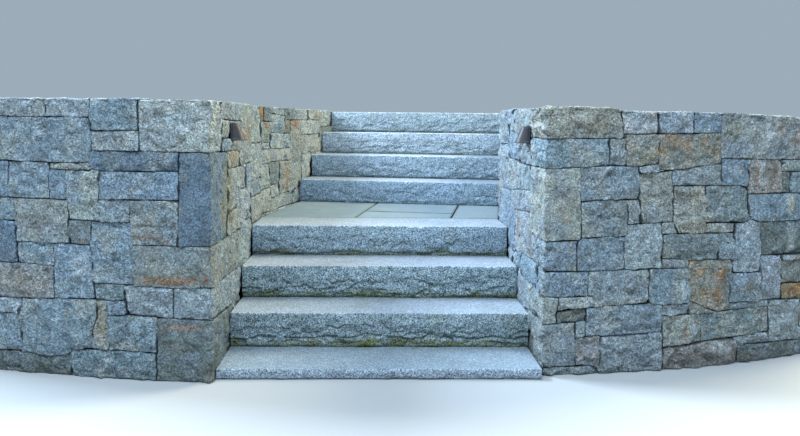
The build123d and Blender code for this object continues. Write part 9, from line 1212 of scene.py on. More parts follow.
    ("bluegrey", [-2810, 349, -2667, 349, -2655, 351, -2499, 352, -2441, 351, -2439, 353, -2444, 419, -2441, 501, -2445, 503, -2519, 498, -2529, 496, -2637, 494, -2647, 492, -2683, 491, -2693, 489, -2837, 489, -2839, 487, -2839, 481, -2835, 427, -2837, 357, -2833, 350]),
    ("blue", [-2028, 355, -1931, 355, -1929, 357, -1926, 369, -1927, 397, -1931, 399, -1971, 401, -1981, 403, -2029, 403, -2032, 399, -2031, 361, -2031, 357]),
    ("bluegrey", [4046, 351, 4113, 350, 4251, 354, 4253, 357, 4255, 381, 4255, 417, 4257, 429, 4256, 481, 4258, 491, 4258, 521, 4257, 541, 4251, 542, 4175, 541, 4165, 543, 4127, 544, 4119, 546, 4085, 545, 4028, 549, 4026, 545, 4026, 525, 4025, 515, 4023, 419, 4024, 365, 4027, 353]),
    ("grey", [4796, 351, 4819, 350, 4823, 352, 4824, 397, 4817, 399, 4762, 397, 4760, 391, 4763, 353]),
    ("buffgrey", [4829, 351, 4833, 350, 4859, 349, 4871, 351, 4915, 353, 4911, 451, 4887, 453, 4877, 451, 4833, 451, 4828, 449, 4827, 411]),
    ("buffgrey", [5284, 349, 5461, 347, 5567, 349, 5701, 349, 5703, 351, 5704, 355, 5703, 497, 5699, 499, 5661, 499, 5649, 501, 5507, 502, 5497, 500, 5463, 501, 5453, 499, 5427, 499, 5419, 497, 5355, 493, 5343, 490, 5297, 491, 5285, 489, 5282, 487, 5282, 483, 5282, 365, 5281, 355, 5281, 351]),
    ("buff", [5709, 349, 5715, 348, 5779, 348, 5787, 349, 5790, 477, 5790, 493, 5787, 497, 5763, 500, 5721, 499, 5713, 500, 5709, 499]),
    ("bluegrey", [675, 363, 697, 362, 791, 363, 793, 365, 796, 385, 796, 413, 794, 423, 793, 453, 775, 459, 763, 469, 757, 471, 691, 471, 685, 470, 675, 459, 674, 455, 671, 391, 672, 369]),
    ("light", [803, 363, 955, 363, 957, 367, 959, 411, 958, 465, 957, 473, 949, 474, 871, 463, 801, 455, 799, 449, 801, 383, 799, 369, 800, 365]),
    ("blue", [641, 397, 667, 397, 670, 419, 670, 457, 678, 473, 672, 481, 667, 483, 651, 486, 611, 487, 605, 483, 588, 465, 588, 423, 613, 398]),
    ("light", [-3298, 397, -3285, 398, -3221, 398, -3205, 401, -3145, 402, -3125, 404, -3123, 407, -3122, 427, -3123, 495, -3127, 496, -3147, 497, -3249, 494, -3291, 496, -3303, 498, -3311, 497, -3312, 489, -3310, 401, -3307, 398]),
    ("bluegrey", [-2852, 397, -2843, 396, -2840, 399, -2839, 453, -2840, 461, -2840, 485, -2841, 489, -2859, 492, -2973, 491, -2974, 419, -2971, 401, -2921, 400, -2913, 398]),
    ("grey", [-2028, 405, -1983, 405, -1979, 406, -1978, 409, -1978, 439, -1984, 473, -1990, 545, -1992, 549, -1995, 551, -2011, 553, -2035, 552, -2041, 551, -2042, 549, -2032, 465, -2031, 409]),
    ("browngrey", [4260, 401, 4321, 401, 4335, 403, 4399, 403, 4409, 405, 4437, 405, 4440, 407, 4441, 410, 4441, 447, 4439, 450, 4436, 451, 4401, 452, 4389, 450, 4337, 449, 4327, 447, 4263, 446, 4260, 443, 4257, 417, 4257, 405]),
    ("buffgrey", [4762, 403, 4819, 401, 4823, 402, 4825, 405, 4824, 547, 4822, 559, 4821, 647, 4817, 651, 4763, 651, 4759, 647, 4759, 629, 4761, 619, 4759, 537, 4760, 523, 4763, 513, 4764, 483, 4762, 429, 4760, 417, 4760, 407]),
    ("bluegrey", [5225, 397, 5271, 397, 5277, 399, 5278, 501, 5275, 539, 5269, 541, 5183, 541, 5173, 543, 5133, 543, 5123, 545, 5099, 543, 5098, 537, 5099, 519, 5097, 481, 5099, 469, 5100, 421, 5099, 403, 5103, 401, 5195, 399, 5205, 397]),
    ("buffgrey", [5792, 399, 5797, 397, 5839, 398, 5851, 400, 5877, 400, 5881, 403, 5882, 549, 5884, 559, 5884, 597, 5886, 609, 5887, 639, 5885, 644, 5867, 647, 5815, 647, 5803, 649, 5796, 647, 5790, 501]),
    ("lightblue", [6472, 399, 6515, 397, 6521, 399, 6522, 401, 6524, 493, 6526, 503, 6528, 553, 6532, 585, 6531, 596, 6515, 598, 6295, 600, 6269, 598, 6209, 598, 6199, 596, 6153, 597, 6145, 595, 6123, 595, 6119, 593, 6121, 493, 6120, 425, 6118, 415, 6119, 408, 6333, 411, 6343, 409, 6375, 409, 6383, 407, 6407, 407]),
    ("blue", [-1607, 407, -1599, 405, -1561, 409, -1558, 427, -1558, 479, -1556, 493, -1556, 507, -1559, 512, -1599, 512, -1607, 511, -1609, 427, -1609, 411]),
    ("darkblue", [4261, 451, 4267, 450, 4327, 450, 4337, 451, 4389, 450, 4399, 452, 4459, 454, 4467, 457, 4469, 459, 4471, 475, 4473, 545, 4475, 557, 4474, 597, 4469, 599, 4459, 597, 4425, 597, 4415, 594, 4377, 593, 4365, 591, 4264, 589, 4262, 583, 4262, 491, 4260, 481, 4260, 459]),
    ("light", [4528, 455, 4617, 455, 4629, 453, 4755, 456, 4757, 461, 4757, 513, 4756, 521, 4755, 617, 4753, 627, 4753, 649, 4749, 651, 4739, 652, 4621, 652, 4609, 651, 4551, 650, 4541, 648, 4495, 648, 4481, 645, 4479, 641, 4479, 609, 4478, 599, 4478, 553, 4476, 545, 4477, 473, 4475, 461, 4479, 457]),
    ("blue", [4835, 453, 4877, 453, 4895, 457, 4894, 501, 4887, 503, 4835, 502, 4829, 501, 4827, 457, 4829, 454]),
    ("buffgrey", [4904, 455, 4979, 454, 4982, 455, 4984, 503, 4982, 513, 4982, 549, 4980, 553, 4910, 553, 4898, 551, 4897, 465, 4899, 457]),
    ("browngrey", [5091, 451, 5095, 451, 5096, 453, 5097, 465, 5094, 493, 5091, 497, 5007, 500, 4995, 503, 4986, 501, 4985, 461, 4987, 455, 5043, 454, 5053, 452]),
    ("buffgrey", [-3295, 501, -3235, 502, -3143, 499, -3125, 501, -3125, 551, -3127, 561, -3127, 605, -3129, 617, -3128, 685, -3130, 695, -3130, 745, -3133, 749, -3169, 749, -3183, 747, -3257, 748, -3267, 746, -3307, 747, -3312, 745, -3312, 507, -3311, 503, -3309, 502]),
    ("bluegrey", [-2854, 491, -2765, 491, -2755, 493, -2737, 494, -2733, 496, -2732, 507, -2736, 543, -2737, 587, -2744, 663, -2744, 699, -2749, 701, -2779, 703, -2835, 702, -2911, 703, -2975, 701, -2976, 695, -2976, 565, -2974, 555, -2973, 497, -2969, 496, -2939, 496, -2929, 494]),
    ("buff", [-2704, 495, -2605, 498, -2597, 500, -2569, 501, -2559, 503, -2531, 504, -2523, 506, -2457, 506, -2442, 509, -2441, 511, -2439, 529, -2438, 549, -2430, 635, -2429, 663, -2428, 673, -2429, 696, -2433, 698, -2441, 696, -2469, 695, -2591, 696, -2611, 696, -2623, 698, -2738, 699, -2740, 693, -2739, 665, -2737, 657, -2736, 597, -2727, 499, -2723, 495]),
    ("buffgrey", [3542, 503, 3553, 503, 3555, 507, 3551, 545, 3548, 619, 3546, 629, 3543, 705, 3537, 707, 3489, 705, 3486, 701, 3485, 595, 3487, 585, 3488, 557, 3490, 549, 3491, 513, 3493, 507, 3496, 505]),
    ("bluegrey", [4845, 505, 4893, 505, 4895, 511, 4893, 551, 4889, 552, 4833, 553, 4828, 551, 4828, 509, 4831, 506]),
    ("buffgrey", [5054, 503, 5091, 501, 5094, 503, 5090, 559, 5091, 585, 5089, 595, 5087, 597, 5071, 599, 5023, 599, 5011, 601, 4985, 600, 4983, 597, 4982, 573, 4982, 513, 4984, 507, 4987, 505, 5007, 503]),
    ("lightblue", [5283, 495, 5287, 494, 5297, 496, 5343, 497, 5351, 499, 5417, 499, 5427, 501, 5453, 501, 5460, 503, 5463, 509, 5461, 599, 5457, 601, 5435, 601, 5425, 599, 5389, 598, 5379, 596, 5343, 596, 5331, 594, 5279, 592, 5277, 589, 5277, 579, 5280, 541, 5280, 515]),
    ("light", [5466, 505, 5471, 503, 5489, 503, 5505, 506, 5583, 507, 5585, 511, 5585, 551, 5581, 554, 5565, 554, 5555, 553, 5489, 553, 5469, 550, 5467, 549, 5466, 545]),
    ("light", [5770, 499, 5785, 499, 5789, 503, 5788, 553, 5790, 563, 5790, 607, 5792, 615, 5792, 647, 5794, 657, 5794, 685, 5796, 693, 5796, 719, 5797, 729, 5796, 745, 5791, 747, 5731, 749, 5596, 747, 5594, 743, 5595, 695, 5593, 685, 5591, 625, 5589, 611, 5591, 509, 5597, 507, 5653, 506, 5661, 505, 5711, 504, 5721, 501]),
    ("buffgrey", [5887, 499, 5952, 499, 5954, 505, 5955, 541, 5951, 544, 5919, 544, 5909, 545, 5887, 543, 5886, 535]),
    ("bluegrey", [5961, 499, 5991, 498, 6045, 499, 6057, 501, 6099, 501, 6113, 504, 6115, 511, 6116, 593, 6111, 595, 6093, 595, 6077, 593, 5961, 592, 5959, 587, 5959, 561, 5957, 549, 5958, 505]),
    ("light", [1281, 541, 1343, 540, 1419, 542, 1476, 541, 1478, 545, 1479, 603, 1476, 647, 1473, 649, 1459, 649, 1365, 647, 1315, 648, 1299, 654, 1289, 655, 1285, 633, 1285, 581, 1284, 561, 1280, 543]),
    ("bluegrey", [1590, 539, 1629, 538, 1689, 540, 1693, 542, 1696, 553, 1697, 619, 1698, 631, 1697, 647, 1677, 648, 1559, 647, 1485, 649, 1479, 647, 1479, 615, 1481, 605, 1482, 545, 1484, 541, 1545, 542]),
    ("grey", [1703, 541, 1777, 540, 1861, 543, 1862, 549, 1865, 599, 1863, 649, 1849, 651, 1705, 647, 1702, 643, 1700, 615, 1700, 543]),
    ("grey", [1871, 541, 1909, 539, 1987, 541, 1989, 547, 1987, 648, 1981, 650, 1869, 651, 1867, 645, 1866, 601, 1868, 547]),
    ("grey", [-3039, 547, -2997, 545, -2981, 546, -2979, 549, -2982, 607, -2981, 699, -2987, 702, -3043, 702, -3057, 700, -3117, 700, -3125, 699, -3126, 695, -3124, 685, -3123, 619, -3121, 607, -3121, 563, -3119, 552, -3115, 550]),
    ("buff", [-2430, 559, -2407, 559, -2395, 562, -2347, 562, -2322, 565, -2318, 581, -2314, 625, -2312, 681, -2310, 691, -2311, 697, -2397, 699, -2423, 697, -2432, 573, -2432, 563]),
    ("buff", [-1932, 555, -1901, 555, -1897, 557, -1897, 559, -1909, 655, -1909, 731, -1907, 747, -1908, 751, -1911, 752, -1945, 749, -1949, 745, -1951, 717, -1949, 641, -1939, 567, -1937, 557]),
    ("buffgrey", [3617, 551, 3657, 549, 3661, 550, 3662, 553, 3661, 633, 3659, 643, 3658, 701, 3645, 705, 3607, 704, 3595, 706, 3551, 705, 3548, 695, 3548, 677, 3550, 667, 3549, 629, 3557, 557, 3559, 555, 3579, 553]),
    ("bluegrey", [4122, 549, 4131, 548, 4134, 551, 4135, 589, 4133, 595, 4097, 597, 4067, 596, 4049, 599, 4042, 597, 4042, 559, 4044, 553, 4077, 553, 4087, 550]),
    ("buffgrey", [4172, 547, 4251, 546, 4257, 547, 4260, 665, 4259, 687, 4257, 690, 4175, 690, 4143, 693, 4138, 691, 4138, 551, 4141, 548]),
    ("bluegrey", [4917, 555, 4975, 554, 4981, 557, 4981, 601, 4979, 646, 4975, 648, 4953, 648, 4943, 650, 4867, 650, 4855, 652, 4828, 651, 4826, 645, 4826, 557, 4831, 555]),
    ("light", [5180, 547, 5267, 546, 5273, 548, 5273, 567, 5269, 607, 5269, 635, 5268, 643, 5269, 695, 5267, 699, 5097, 695, 5091, 693, 5089, 633, 5090, 625, 5091, 597, 5093, 585, 5094, 561, 5097, 553, 5101, 551, 5127, 550, 5135, 548]),
    ("pink", [5467, 555, 5475, 553, 5487, 555, 5553, 555, 5585, 559, 5589, 625, 5588, 683, 5589, 697, 5587, 699, 5563, 700, 5475, 700, 5469, 698, 5467, 631, 5465, 619]),
    ("light", [5919, 545, 5949, 545, 5954, 547, 5957, 563, 5957, 587, 5955, 592, 5915, 594, 5893, 594, 5889, 592, 5887, 551, 5888, 549]),
    ("bluegrey", [6602, 551, 6611, 552, 6613, 555, 6613, 593, 6611, 596, 6543, 597, 6537, 595, 6534, 575, 6534, 553]),
    ("light", [4101, 599, 4123, 597, 4134, 599, 4134, 691, 4131, 693, 4105, 695, 4063, 695, 4051, 696, 4044, 695, 4042, 689, 4041, 655, 4042, 609, 4043, 603]),
    ("light", [4264, 595, 4303, 595, 4315, 597, 4363, 598, 4373, 599, 4411, 598, 4423, 599, 4457, 599, 4473, 602, 4477, 609, 4476, 679, 4478, 691, 4477, 721, 4475, 741, 4471, 743, 4427, 743, 4415, 741, 4349, 742, 4337, 740, 4265, 739, 4262, 733, 4261, 663, 4262, 599]),
    ("light", [5073, 601, 5085, 599, 5088, 601, 5089, 604, 5085, 663, 5085, 743, 5079, 745, 5047, 745, 5035, 743, 4985, 744, 4985, 605]),
    ("light", [5300, 599, 5329, 599, 5339, 600, 5379, 600, 5389, 602, 5425, 601, 5461, 605, 5464, 633, 5463, 699, 5465, 709, 5466, 791, 5465, 797, 5389, 799, 5379, 801, 5337, 801, 5325, 803, 5283, 804, 5277, 802, 5271, 721, 5273, 647, 5275, 637, 5276, 609, 5279, 600]),
    ("bluegrey", [5926, 595, 6079, 595, 6089, 596, 6141, 597, 6153, 599, 6199, 600, 6209, 602, 6317, 604, 6319, 606, 6320, 611, 6320, 739, 6319, 741, 6315, 742, 6289, 743, 6123, 741, 6017, 744, 6007, 746, 5941, 745, 5927, 747, 5897, 746, 5895, 743, 5894, 725, 5893, 717, 5893, 687, 5891, 677, 5891, 649, 5890, 639, 5889, 601, 5890, 599, 5893, 598, 5917, 597]),
    ("buffgrey", [6406, 603, 6457, 602, 6507, 603, 6510, 609, 6513, 690, 6509, 692, 6465, 691, 6453, 694, 6415, 695, 6327, 693, 6325, 687, 6325, 606, 6331, 604]),
    ("bluegrey", [6523, 601, 6603, 599, 6612, 601, 6613, 635, 6611, 691, 6605, 693, 6593, 691, 6521, 691, 6519, 689, 6517, 669, 6514, 607, 6515, 603]),
    ("pink", [1444, 651, 1485, 651, 1489, 653, 1490, 655, 1490, 767, 1488, 821, 1483, 823, 1469, 822, 1413, 823, 1395, 830, 1378, 843, 1359, 862, 1355, 863, 1347, 858, 1305, 818, 1298, 807, 1294, 769, 1295, 739, 1291, 663, 1295, 660, 1315, 653, 1365, 654]),
    ("light", [1494, 653, 1499, 652, 1557, 653, 1625, 652, 1631, 654, 1632, 711, 1630, 723, 1630, 783, 1627, 803, 1563, 804, 1559, 805, 1539, 822, 1501, 823, 1495, 821, 1493, 763]),
    ("bluegrey", [1637, 653, 1645, 652, 1719, 652, 1781, 656, 1783, 663, 1782, 685, 1783, 721, 1780, 745, 1777, 747, 1755, 749, 1701, 749, 1691, 751, 1635, 750, 1633, 745, 1633, 725, 1635, 713]),
    ("buffgrey", [1836, 653, 1909, 654, 1915, 656, 1915, 681, 1913, 691, 1910, 775, 1906, 791, 1801, 794, 1789, 796, 1783, 795, 1782, 793, 1783, 733, 1790, 657, 1795, 655]),
    ("grey", [1923, 655, 1985, 655, 1987, 661, 1987, 696, 1983, 698, 1971, 698, 1921, 695, 1921, 659]),
    ("buff", [4480, 651, 4485, 649, 4495, 651, 4541, 652, 4551, 654, 4607, 653, 4619, 655, 4703, 657, 4704, 705, 4703, 717, 4702, 769, 4700, 779, 4699, 799, 4693, 801, 4675, 799, 4611, 800, 4599, 798, 4553, 799, 4541, 797, 4493, 796, 4481, 793, 4480, 789, 4480, 733, 4482, 719, 4482, 689, 4479, 677]),
    ("buff", [4865, 655, 4883, 655, 4887, 659, 4887, 741, 4885, 747, 4855, 748, 4845, 750, 4795, 750, 4783, 752, 4713, 751, 4707, 749, 4706, 719, 4708, 707, 4708, 661, 4710, 657, 4795, 658, 4859, 656]),
    ("bluegrey", [4954, 653, 4975, 653, 4979, 657, 4982, 793, 4977, 795, 4945, 795, 4937, 796, 4895, 795, 4893, 793, 4892, 789, 4893, 657, 4897, 655, 4945, 655]),
    ("blue", [5873, 649, 5883, 648, 5887, 651, 5891, 719, 5893, 727, 5891, 745, 5855, 748, 5805, 745, 5798, 683, 5799, 653, 5815, 649]),
    ("bluegrey", [-3121, 703, -3057, 704, -3039, 707, -3038, 783, -3039, 803, -3079, 805, -3123, 801, -3125, 765, -3127, 753, -3127, 709, -3126, 705]),
    ("buff", [-3031, 707, -2901, 705, -2855, 707, -2853, 713, -2852, 803, -2861, 807, -2923, 808, -2947, 808, -2957, 806, -3031, 805, -3033, 801, -3034, 791, -3034, 713]),
    ("bluegrey", [-2615, 701, -2607, 700, -2445, 700, -2435, 703, -2434, 721, -2437, 731, -2440, 819, -2443, 843, -2451, 844, -2513, 844, -2523, 846, -2591, 846, -2603, 848, -2645, 847, -2653, 849, -2691, 849, -2703, 851, -2741, 852, -2751, 854, -2801, 854, -2813, 856, -2837, 857, -2842, 855, -2844, 839, -2843, 809, -2845, 797, -2845, 757, -2847, 747, -2848, 711, -2846, 707, -2777, 705, -2767, 703, -2701, 704, -2689, 702]),
    ("light", [-2055, 701, -2017, 700, -2005, 702, -1975, 702, -1959, 705, -1956, 709, -1954, 731, -1955, 749, -1981, 749, -2053, 743, -2056, 717]),
    ("pink", [1946, 703, 1983, 702, 1987, 705, 1985, 735, 1984, 743, 1983, 771, 1981, 788, 1979, 791, 1919, 791, 1913, 789, 1920, 707, 1921, 705, 1925, 704]),
    ("buffgrey", [3651, 707, 3656, 707, 3658, 711, 3658, 801, 3657, 803, 3653, 804, 3609, 804, 3605, 795, 3602, 767, 3601, 713, 3603, 710, 3607, 709]),
    ("buff", [4112, 695, 4163, 696, 4171, 694, 4253, 693, 4258, 695, 4258, 743, 4260, 757, 4260, 885, 4259, 893, 4258, 895, 4193, 897, 4125, 896, 4055, 898, 4039, 897, 4035, 895, 4037, 825, 4039, 815, 4040, 771, 4042, 761, 4042, 703, 4045, 700, 4063, 697]),
    ("buff", [5096, 701, 5267, 702, 5269, 707, 5270, 777, 5276, 845, 5275, 854, 5271, 856, 5227, 856, 5217, 854, 5181, 853, 5173, 851, 5113, 851, 5097, 849, 5095, 845, 5093, 815, 5092, 753, 5090, 743, 5091, 705, 5093, 702]),
    ("buffgrey", [5474, 705, 5569, 704, 5585, 704, 5589, 707, 5590, 749, 5592, 763, 5592, 889, 5590, 895, 5533, 894, 5521, 895, 5473, 895, 5471, 805, 5469, 791, 5471, 709]),
    ("bluegrey", [6390, 697, 6455, 698, 6467, 696, 6531, 696, 6593, 697, 6610, 699, 6612, 705, 6612, 789, 6609, 791, 6511, 789, 6325, 792, 6323, 787, 6325, 700, 6329, 698]),
    ("bluegrey", [1991, 719, 1997, 718, 2081, 719, 2082, 725, 2080, 793, 2069, 795, 2055, 793, 1988, 793, 1987, 791, 1986, 783, 1988, 773, 1988, 745]),
    ("bluegrey", [2087, 719, 2099, 717, 2149, 719, 2150, 727, 2149, 749, 2133, 750, 2123, 748, 2089, 747, 2086, 741]),
    ("rustbuff", [2155, 719, 2322, 719, 2324, 723, 2324, 739, 2323, 803, 2313, 805, 2301, 803, 2243, 803, 2231, 801, 2181, 800, 2157, 797, 2154, 755, 2154, 723]),
    ("light", [-3311, 751, -3305, 749, -3273, 750, -3257, 752, -3133, 755, -3131, 757, -3129, 767, -3129, 867, -3127, 879, -3128, 897, -3161, 898, -3171, 896, -3197, 896, -3207, 894, -3241, 893, -3251, 891, -3311, 891, -3312, 887, -3311, 837]),
    ("blue", [-2052, 749, -2027, 748, -2003, 751, -1992, 835, -1993, 841, -1995, 843, -2021, 844, -2043, 841, -2045, 840, -2052, 777, -2053, 753]),
    ("buff", [-1573, 753, -1531, 753, -1528, 777, -1529, 796, -1537, 798, -1573, 797, -1576, 767, -1576, 757]),
    ("blue", [1760, 751, 1775, 750, 1779, 751, 1780, 753, 1777, 788, 1773, 795, 1749, 796, 1739, 798, 1705, 799, 1695, 801, 1651, 801, 1637, 804, 1633, 801, 1634, 759, 1637, 754, 1691, 753, 1703, 751]),
    ("grey", [2089, 755, 2119, 753, 2145, 754, 2149, 756, 2152, 767, 2153, 843, 2147, 845, 2135, 843, 2093, 844, 2087, 842]),
    ("rustbuff", [4267, 745, 4335, 744, 4347, 746, 4413, 747, 4425, 749, 4469, 749, 4474, 751, 4477, 815, 4475, 825, 4474, 903, 4472, 915, 4471, 979, 4472, 989, 4471, 994, 4411, 998, 4351, 996, 4273, 999, 4266, 999, 4263, 997, 4263, 977, 4265, 963, 4265, 749]),
    ("bluegrey", [4852, 753, 4883, 753, 4887, 757, 4887, 827, 4886, 837, 4886, 889, 4885, 895, 4855, 898, 4781, 897, 4769, 899, 4709, 900, 4703, 898, 4702, 851, 4704, 839, 4705, 783, 4707, 760, 4709, 757]),
    ("buff", [4988, 749, 5033, 749, 5045, 751, 5081, 751, 5085, 751, 5087, 754, 5095, 857, 5096, 995, 5095, 1003, 4993, 999, 4989, 997, 4987, 953, 4990, 885, 4988, 875, 4986, 789, 4983, 775, 4984, 753]),
    ("buffgrey", [5598, 753, 5741, 752, 5743, 753, 5744, 757, 5747, 795, 5745, 798, 5739, 799, 5599, 795, 5597, 793, 5596, 789, 5596, 757]),
    ("grey", [5866, 749, 5923, 749, 5929, 752, 5931, 759, 5931, 829, 5933, 839, 5931, 846, 5895, 849, 5839, 847, 5827, 849, 5759, 850, 5753, 849, 5749, 831, 5748, 791, 5746, 781, 5747, 757, 5749, 752, 5819, 753, 5857, 751]),
    ("buff", [6014, 745, 6047, 744, 6129, 747, 6275, 745, 6319, 747, 6321, 771, 6321, 847, 6318, 863, 6318, 939, 6316, 947, 6313, 993, 6207, 996, 6195, 994, 6147, 992, 6137, 990, 6107, 989, 6021, 990, 6011, 991, 5973, 991, 5963, 993, 5935, 993, 5934, 987, 5937, 975, 5937, 951, 5935, 839, 5933, 827, 5933, 751, 5939, 748, 6005, 747]),
    ("pink", [-1620, 755, -1585, 755, -1581, 757, -1578, 783, -1581, 875, -1586, 883, -1593, 887, -1613, 887, -1619, 883, -1623, 877, -1622, 801, -1623, 761, -1622, 757]),
    ("bluegrey", [-3123, 807, -3089, 805, -3081, 807, -3039, 808, -3027, 811, -2957, 810, -2949, 813, -2946, 843, -2946, 889, -2945, 899, -2942, 951, -2951, 953, -3051, 951, -3061, 950, -3097, 949, -3119, 947, -3121, 943, -3122, 877, -3124, 865, -3124, 813]),
    ("bluegrey", [-2943, 813, -2933, 812, -2850, 813, -2842, 887, -2843, 905, -2855, 906, -2938, 903, -2942, 889, -2943, 843, -2945, 831]),
    ("buffgrey", [-1573, 803, -1567, 802, -1537, 802, -1529, 804, -1527, 823, -1527, 867, -1529, 872, -1553, 873, -1573, 871, -1575, 870]),
    ("buffgrey", [1702, 801, 1707, 801, 1709, 805, 1709, 823, 1707, 845, 1705, 848, 1691, 851, 1643, 849, 1641, 813, 1643, 806, 1653, 803, 1695, 802]),
    ("buff", [1863, 797, 1975, 796, 1983, 799, 1984, 805, 1983, 817, 1983, 851, 1981, 861, 1979, 941, 1927, 943, 1915, 945, 1857, 945, 1845, 946, 1783, 945, 1757, 948, 1711, 948, 1709, 943, 1709, 835, 1711, 803, 1715, 801, 1791, 800, 1801, 799, 1855, 798]),
    ("blue", [1990, 799, 2053, 799, 2080, 803, 2083, 891, 2069, 892, 2059, 890, 2033, 890, 2007, 890, 1995, 892, 1985, 891, 1983, 863, 1985, 851, 1986, 819, 1989, 801]),
    ("grey", [2160, 803, 2231, 803, 2244, 807, 2247, 831, 2247, 857, 2248, 867, 2247, 893, 2189, 896, 2163, 892, 2160, 875, 2161, 843, 2158, 809]),
    ("browngrey", [2250, 805, 2299, 805, 2323, 809, 2324, 817, 2323, 847, 2319, 850, 2275, 851, 2251, 848, 2249, 845, 2247, 819, 2247, 808]),
    ("bluegrey", [4028, 799, 4035, 799, 4036, 807, 4035, 825, 4035, 873, 4033, 893, 4031, 896, 3915, 897, 3908, 895, 3907, 885, 3914, 837, 3916, 809, 3919, 803, 3941, 801]),
    ("buffgrey", [4480, 799, 4483, 798, 4493, 799, 4541, 799, 4551, 801, 4597, 802, 4609, 804, 4679, 805, 4698, 807, 4700, 811, 4700, 837, 4698, 849, 4697, 899, 4683, 901, 4671, 899, 4587, 897, 4577, 895, 4491, 897, 4481, 895, 4478, 893, 4477, 889, 4476, 847, 4476, 825]),
    ("browngrey", [4941, 799, 4963, 797, 4981, 799, 4981, 835, 4979, 842, 4937, 844, 4927, 846, 4895, 846, 4891, 844, 4893, 805, 4895, 801]),
    ("bluegrey", [5436, 803, 5465, 802, 5469, 805, 5469, 897, 5466, 909, 5465, 945, 5461, 947, 5411, 950, 5403, 952, 5347, 956, 5337, 958, 5283, 958, 5281, 953, 5282, 881, 5278, 835, 5279, 809, 5329, 808, 5339, 806, 5381, 806, 5391, 805, 5429, 804]),
    ("buffgrey", [5597, 801, 5631, 799, 5665, 802, 5745, 801, 5747, 805, 5747, 833, 5748, 841, 5746, 897, 5741, 899, 5719, 899, 5711, 898, 5663, 898, 5649, 896, 5598, 895, 5596, 889, 5596, 807]),
    ("yellowbuff", [6345, 795, 6353, 794, 6425, 794, 6453, 794, 6457, 797, 6458, 825, 6456, 837, 6455, 879, 6453, 889, 6453, 937, 6451, 944, 6447, 945, 6403, 944, 6335, 945, 6325, 943, 6323, 941, 6322, 863, 6324, 851, 6324, 799, 6327, 796]),
    ("light", [6463, 795, 6597, 793, 6610, 795, 6612, 801, 6611, 890, 6607, 892, 6537, 893, 6460, 891, 6459, 887, 6460, 879, 6460, 837, 6461, 829]),
    ("bluegrey", [1563, 809, 1637, 809, 1638, 817, 1637, 859, 1635, 869, 1634, 899, 1631, 903, 1597, 905, 1577, 909, 1565, 909, 1561, 907, 1563, 843, 1549, 825, 1552, 819]),
    ("bluegrey", [1418, 825, 1537, 829, 1543, 831, 1555, 843, 1557, 847, 1560, 891, 1559, 908, 1555, 910, 1545, 910, 1467, 908, 1451, 914, 1421, 915, 1413, 912, 1405, 907, 1383, 886, 1367, 874, 1360, 865, 1377, 847, 1391, 836, 1401, 830]),
    ("buffgrey", [-2596, 851, -2589, 850, -2555, 850, -2549, 851, -2548, 853, -2549, 945, -2551, 957, -2552, 1037, -2554, 1049, -2555, 1097, -2573, 1098, -2585, 1097, -2671, 1096, -2777, 1097, -2833, 1095, -2835, 1017, -2837, 1007, -2836, 965, -2838, 955, -2840, 923, -2842, 913, -2844, 877, -2842, 861, -2839, 859, -2811, 859, -2801, 858, -2653, 855, -2641, 853]),
    ("light", [-2514, 849, -2431, 848, -2311, 851, -2309, 855, -2313, 948, -2317, 950, -2365, 949, -2375, 948, -2479, 946, -2489, 945, -2533, 947, -2545, 945, -2547, 939, -2547, 893, -2543, 853, -2539, 851, -2521, 851]),
    ("blue", [1697, 853, 1705, 853, 1706, 857, 1706, 953, 1708, 967, 1708, 997, 1701, 998, 1647, 997, 1645, 993, 1642, 969, 1644, 919, 1641, 907, 1642, 899, 1642, 871, 1644, 857, 1647, 855]),
    ("bluegrey", [2087, 849, 2133, 849, 2153, 851, 2155, 855, 2158, 891, 2153, 893, 2089, 891, 2086, 879]),
    ("buff", [2253, 851, 2319, 855, 2323, 857, 2322, 887, 2320, 899, 2323, 965, 2322, 989, 2321, 993, 2313, 994, 2301, 992, 2267, 991, 2257, 989, 2255, 987, 2254, 913, 2252, 903, 2251, 867, 2249, 857, 2250, 853]),
    ("buffgrey", [3505, 861, 3509, 860, 3547, 859, 3554, 861, 3557, 873, 3558, 891, 3560, 899, 3561, 931, 3562, 941, 3561, 946, 3525, 947, 3511, 946, 3507, 944, 3505, 925, 3505, 889, 3504, 877]),
    ("yellowbuff", [4936, 849, 4975, 849, 4979, 850, 4980, 853, 4985, 955, 4983, 1047, 4981, 1051, 4969, 1049, 4913, 1049, 4896, 1047, 4893, 1044, 4892, 987, 4890, 977, 4889, 955, 4890, 853, 4895, 850]),
    ("yellowbuff", [5097, 853, 5103, 851, 5145, 857, 5271, 861, 5275, 863, 5277, 883, 5278, 1001, 5275, 1051, 5273, 1054, 5135, 1056, 5125, 1054, 5105, 1054, 5101, 1052, 5101, 903, 5098, 881]),
    ("bluegrey", [5907, 849, 5929, 849, 5933, 853, 5932, 975, 5929, 996, 5891, 998, 5805, 999, 5791, 1001, 5759, 1003, 5749, 1003, 5745, 1001, 5748, 969, 5750, 959, 5751, 931, 5753, 923, 5753, 855, 5829, 855, 5841, 853, 5895, 851]),
    ("buffgrey", [2370, 895, 2457, 897, 2545, 896, 2655, 898, 2657, 903, 2658, 959, 2657, 1046, 2653, 1048, 2571, 1048, 2559, 1050, 2497, 1049, 2485, 1048, 2405, 1048, 2387, 1046, 2347, 1045, 2329, 1041, 2327, 1035, 2325, 973, 2328, 901, 2329, 899, 2333, 897]),
    ("rustbuff", [-3312, 897, -3305, 895, -3251, 897, -3241, 899, -3209, 898, -3137, 903, -3129, 905, -3127, 911, -3128, 993, -3133, 995, -3141, 993, -3167, 992, -3177, 990, -3249, 990, -3257, 988, -3311, 987, -3312, 981]),
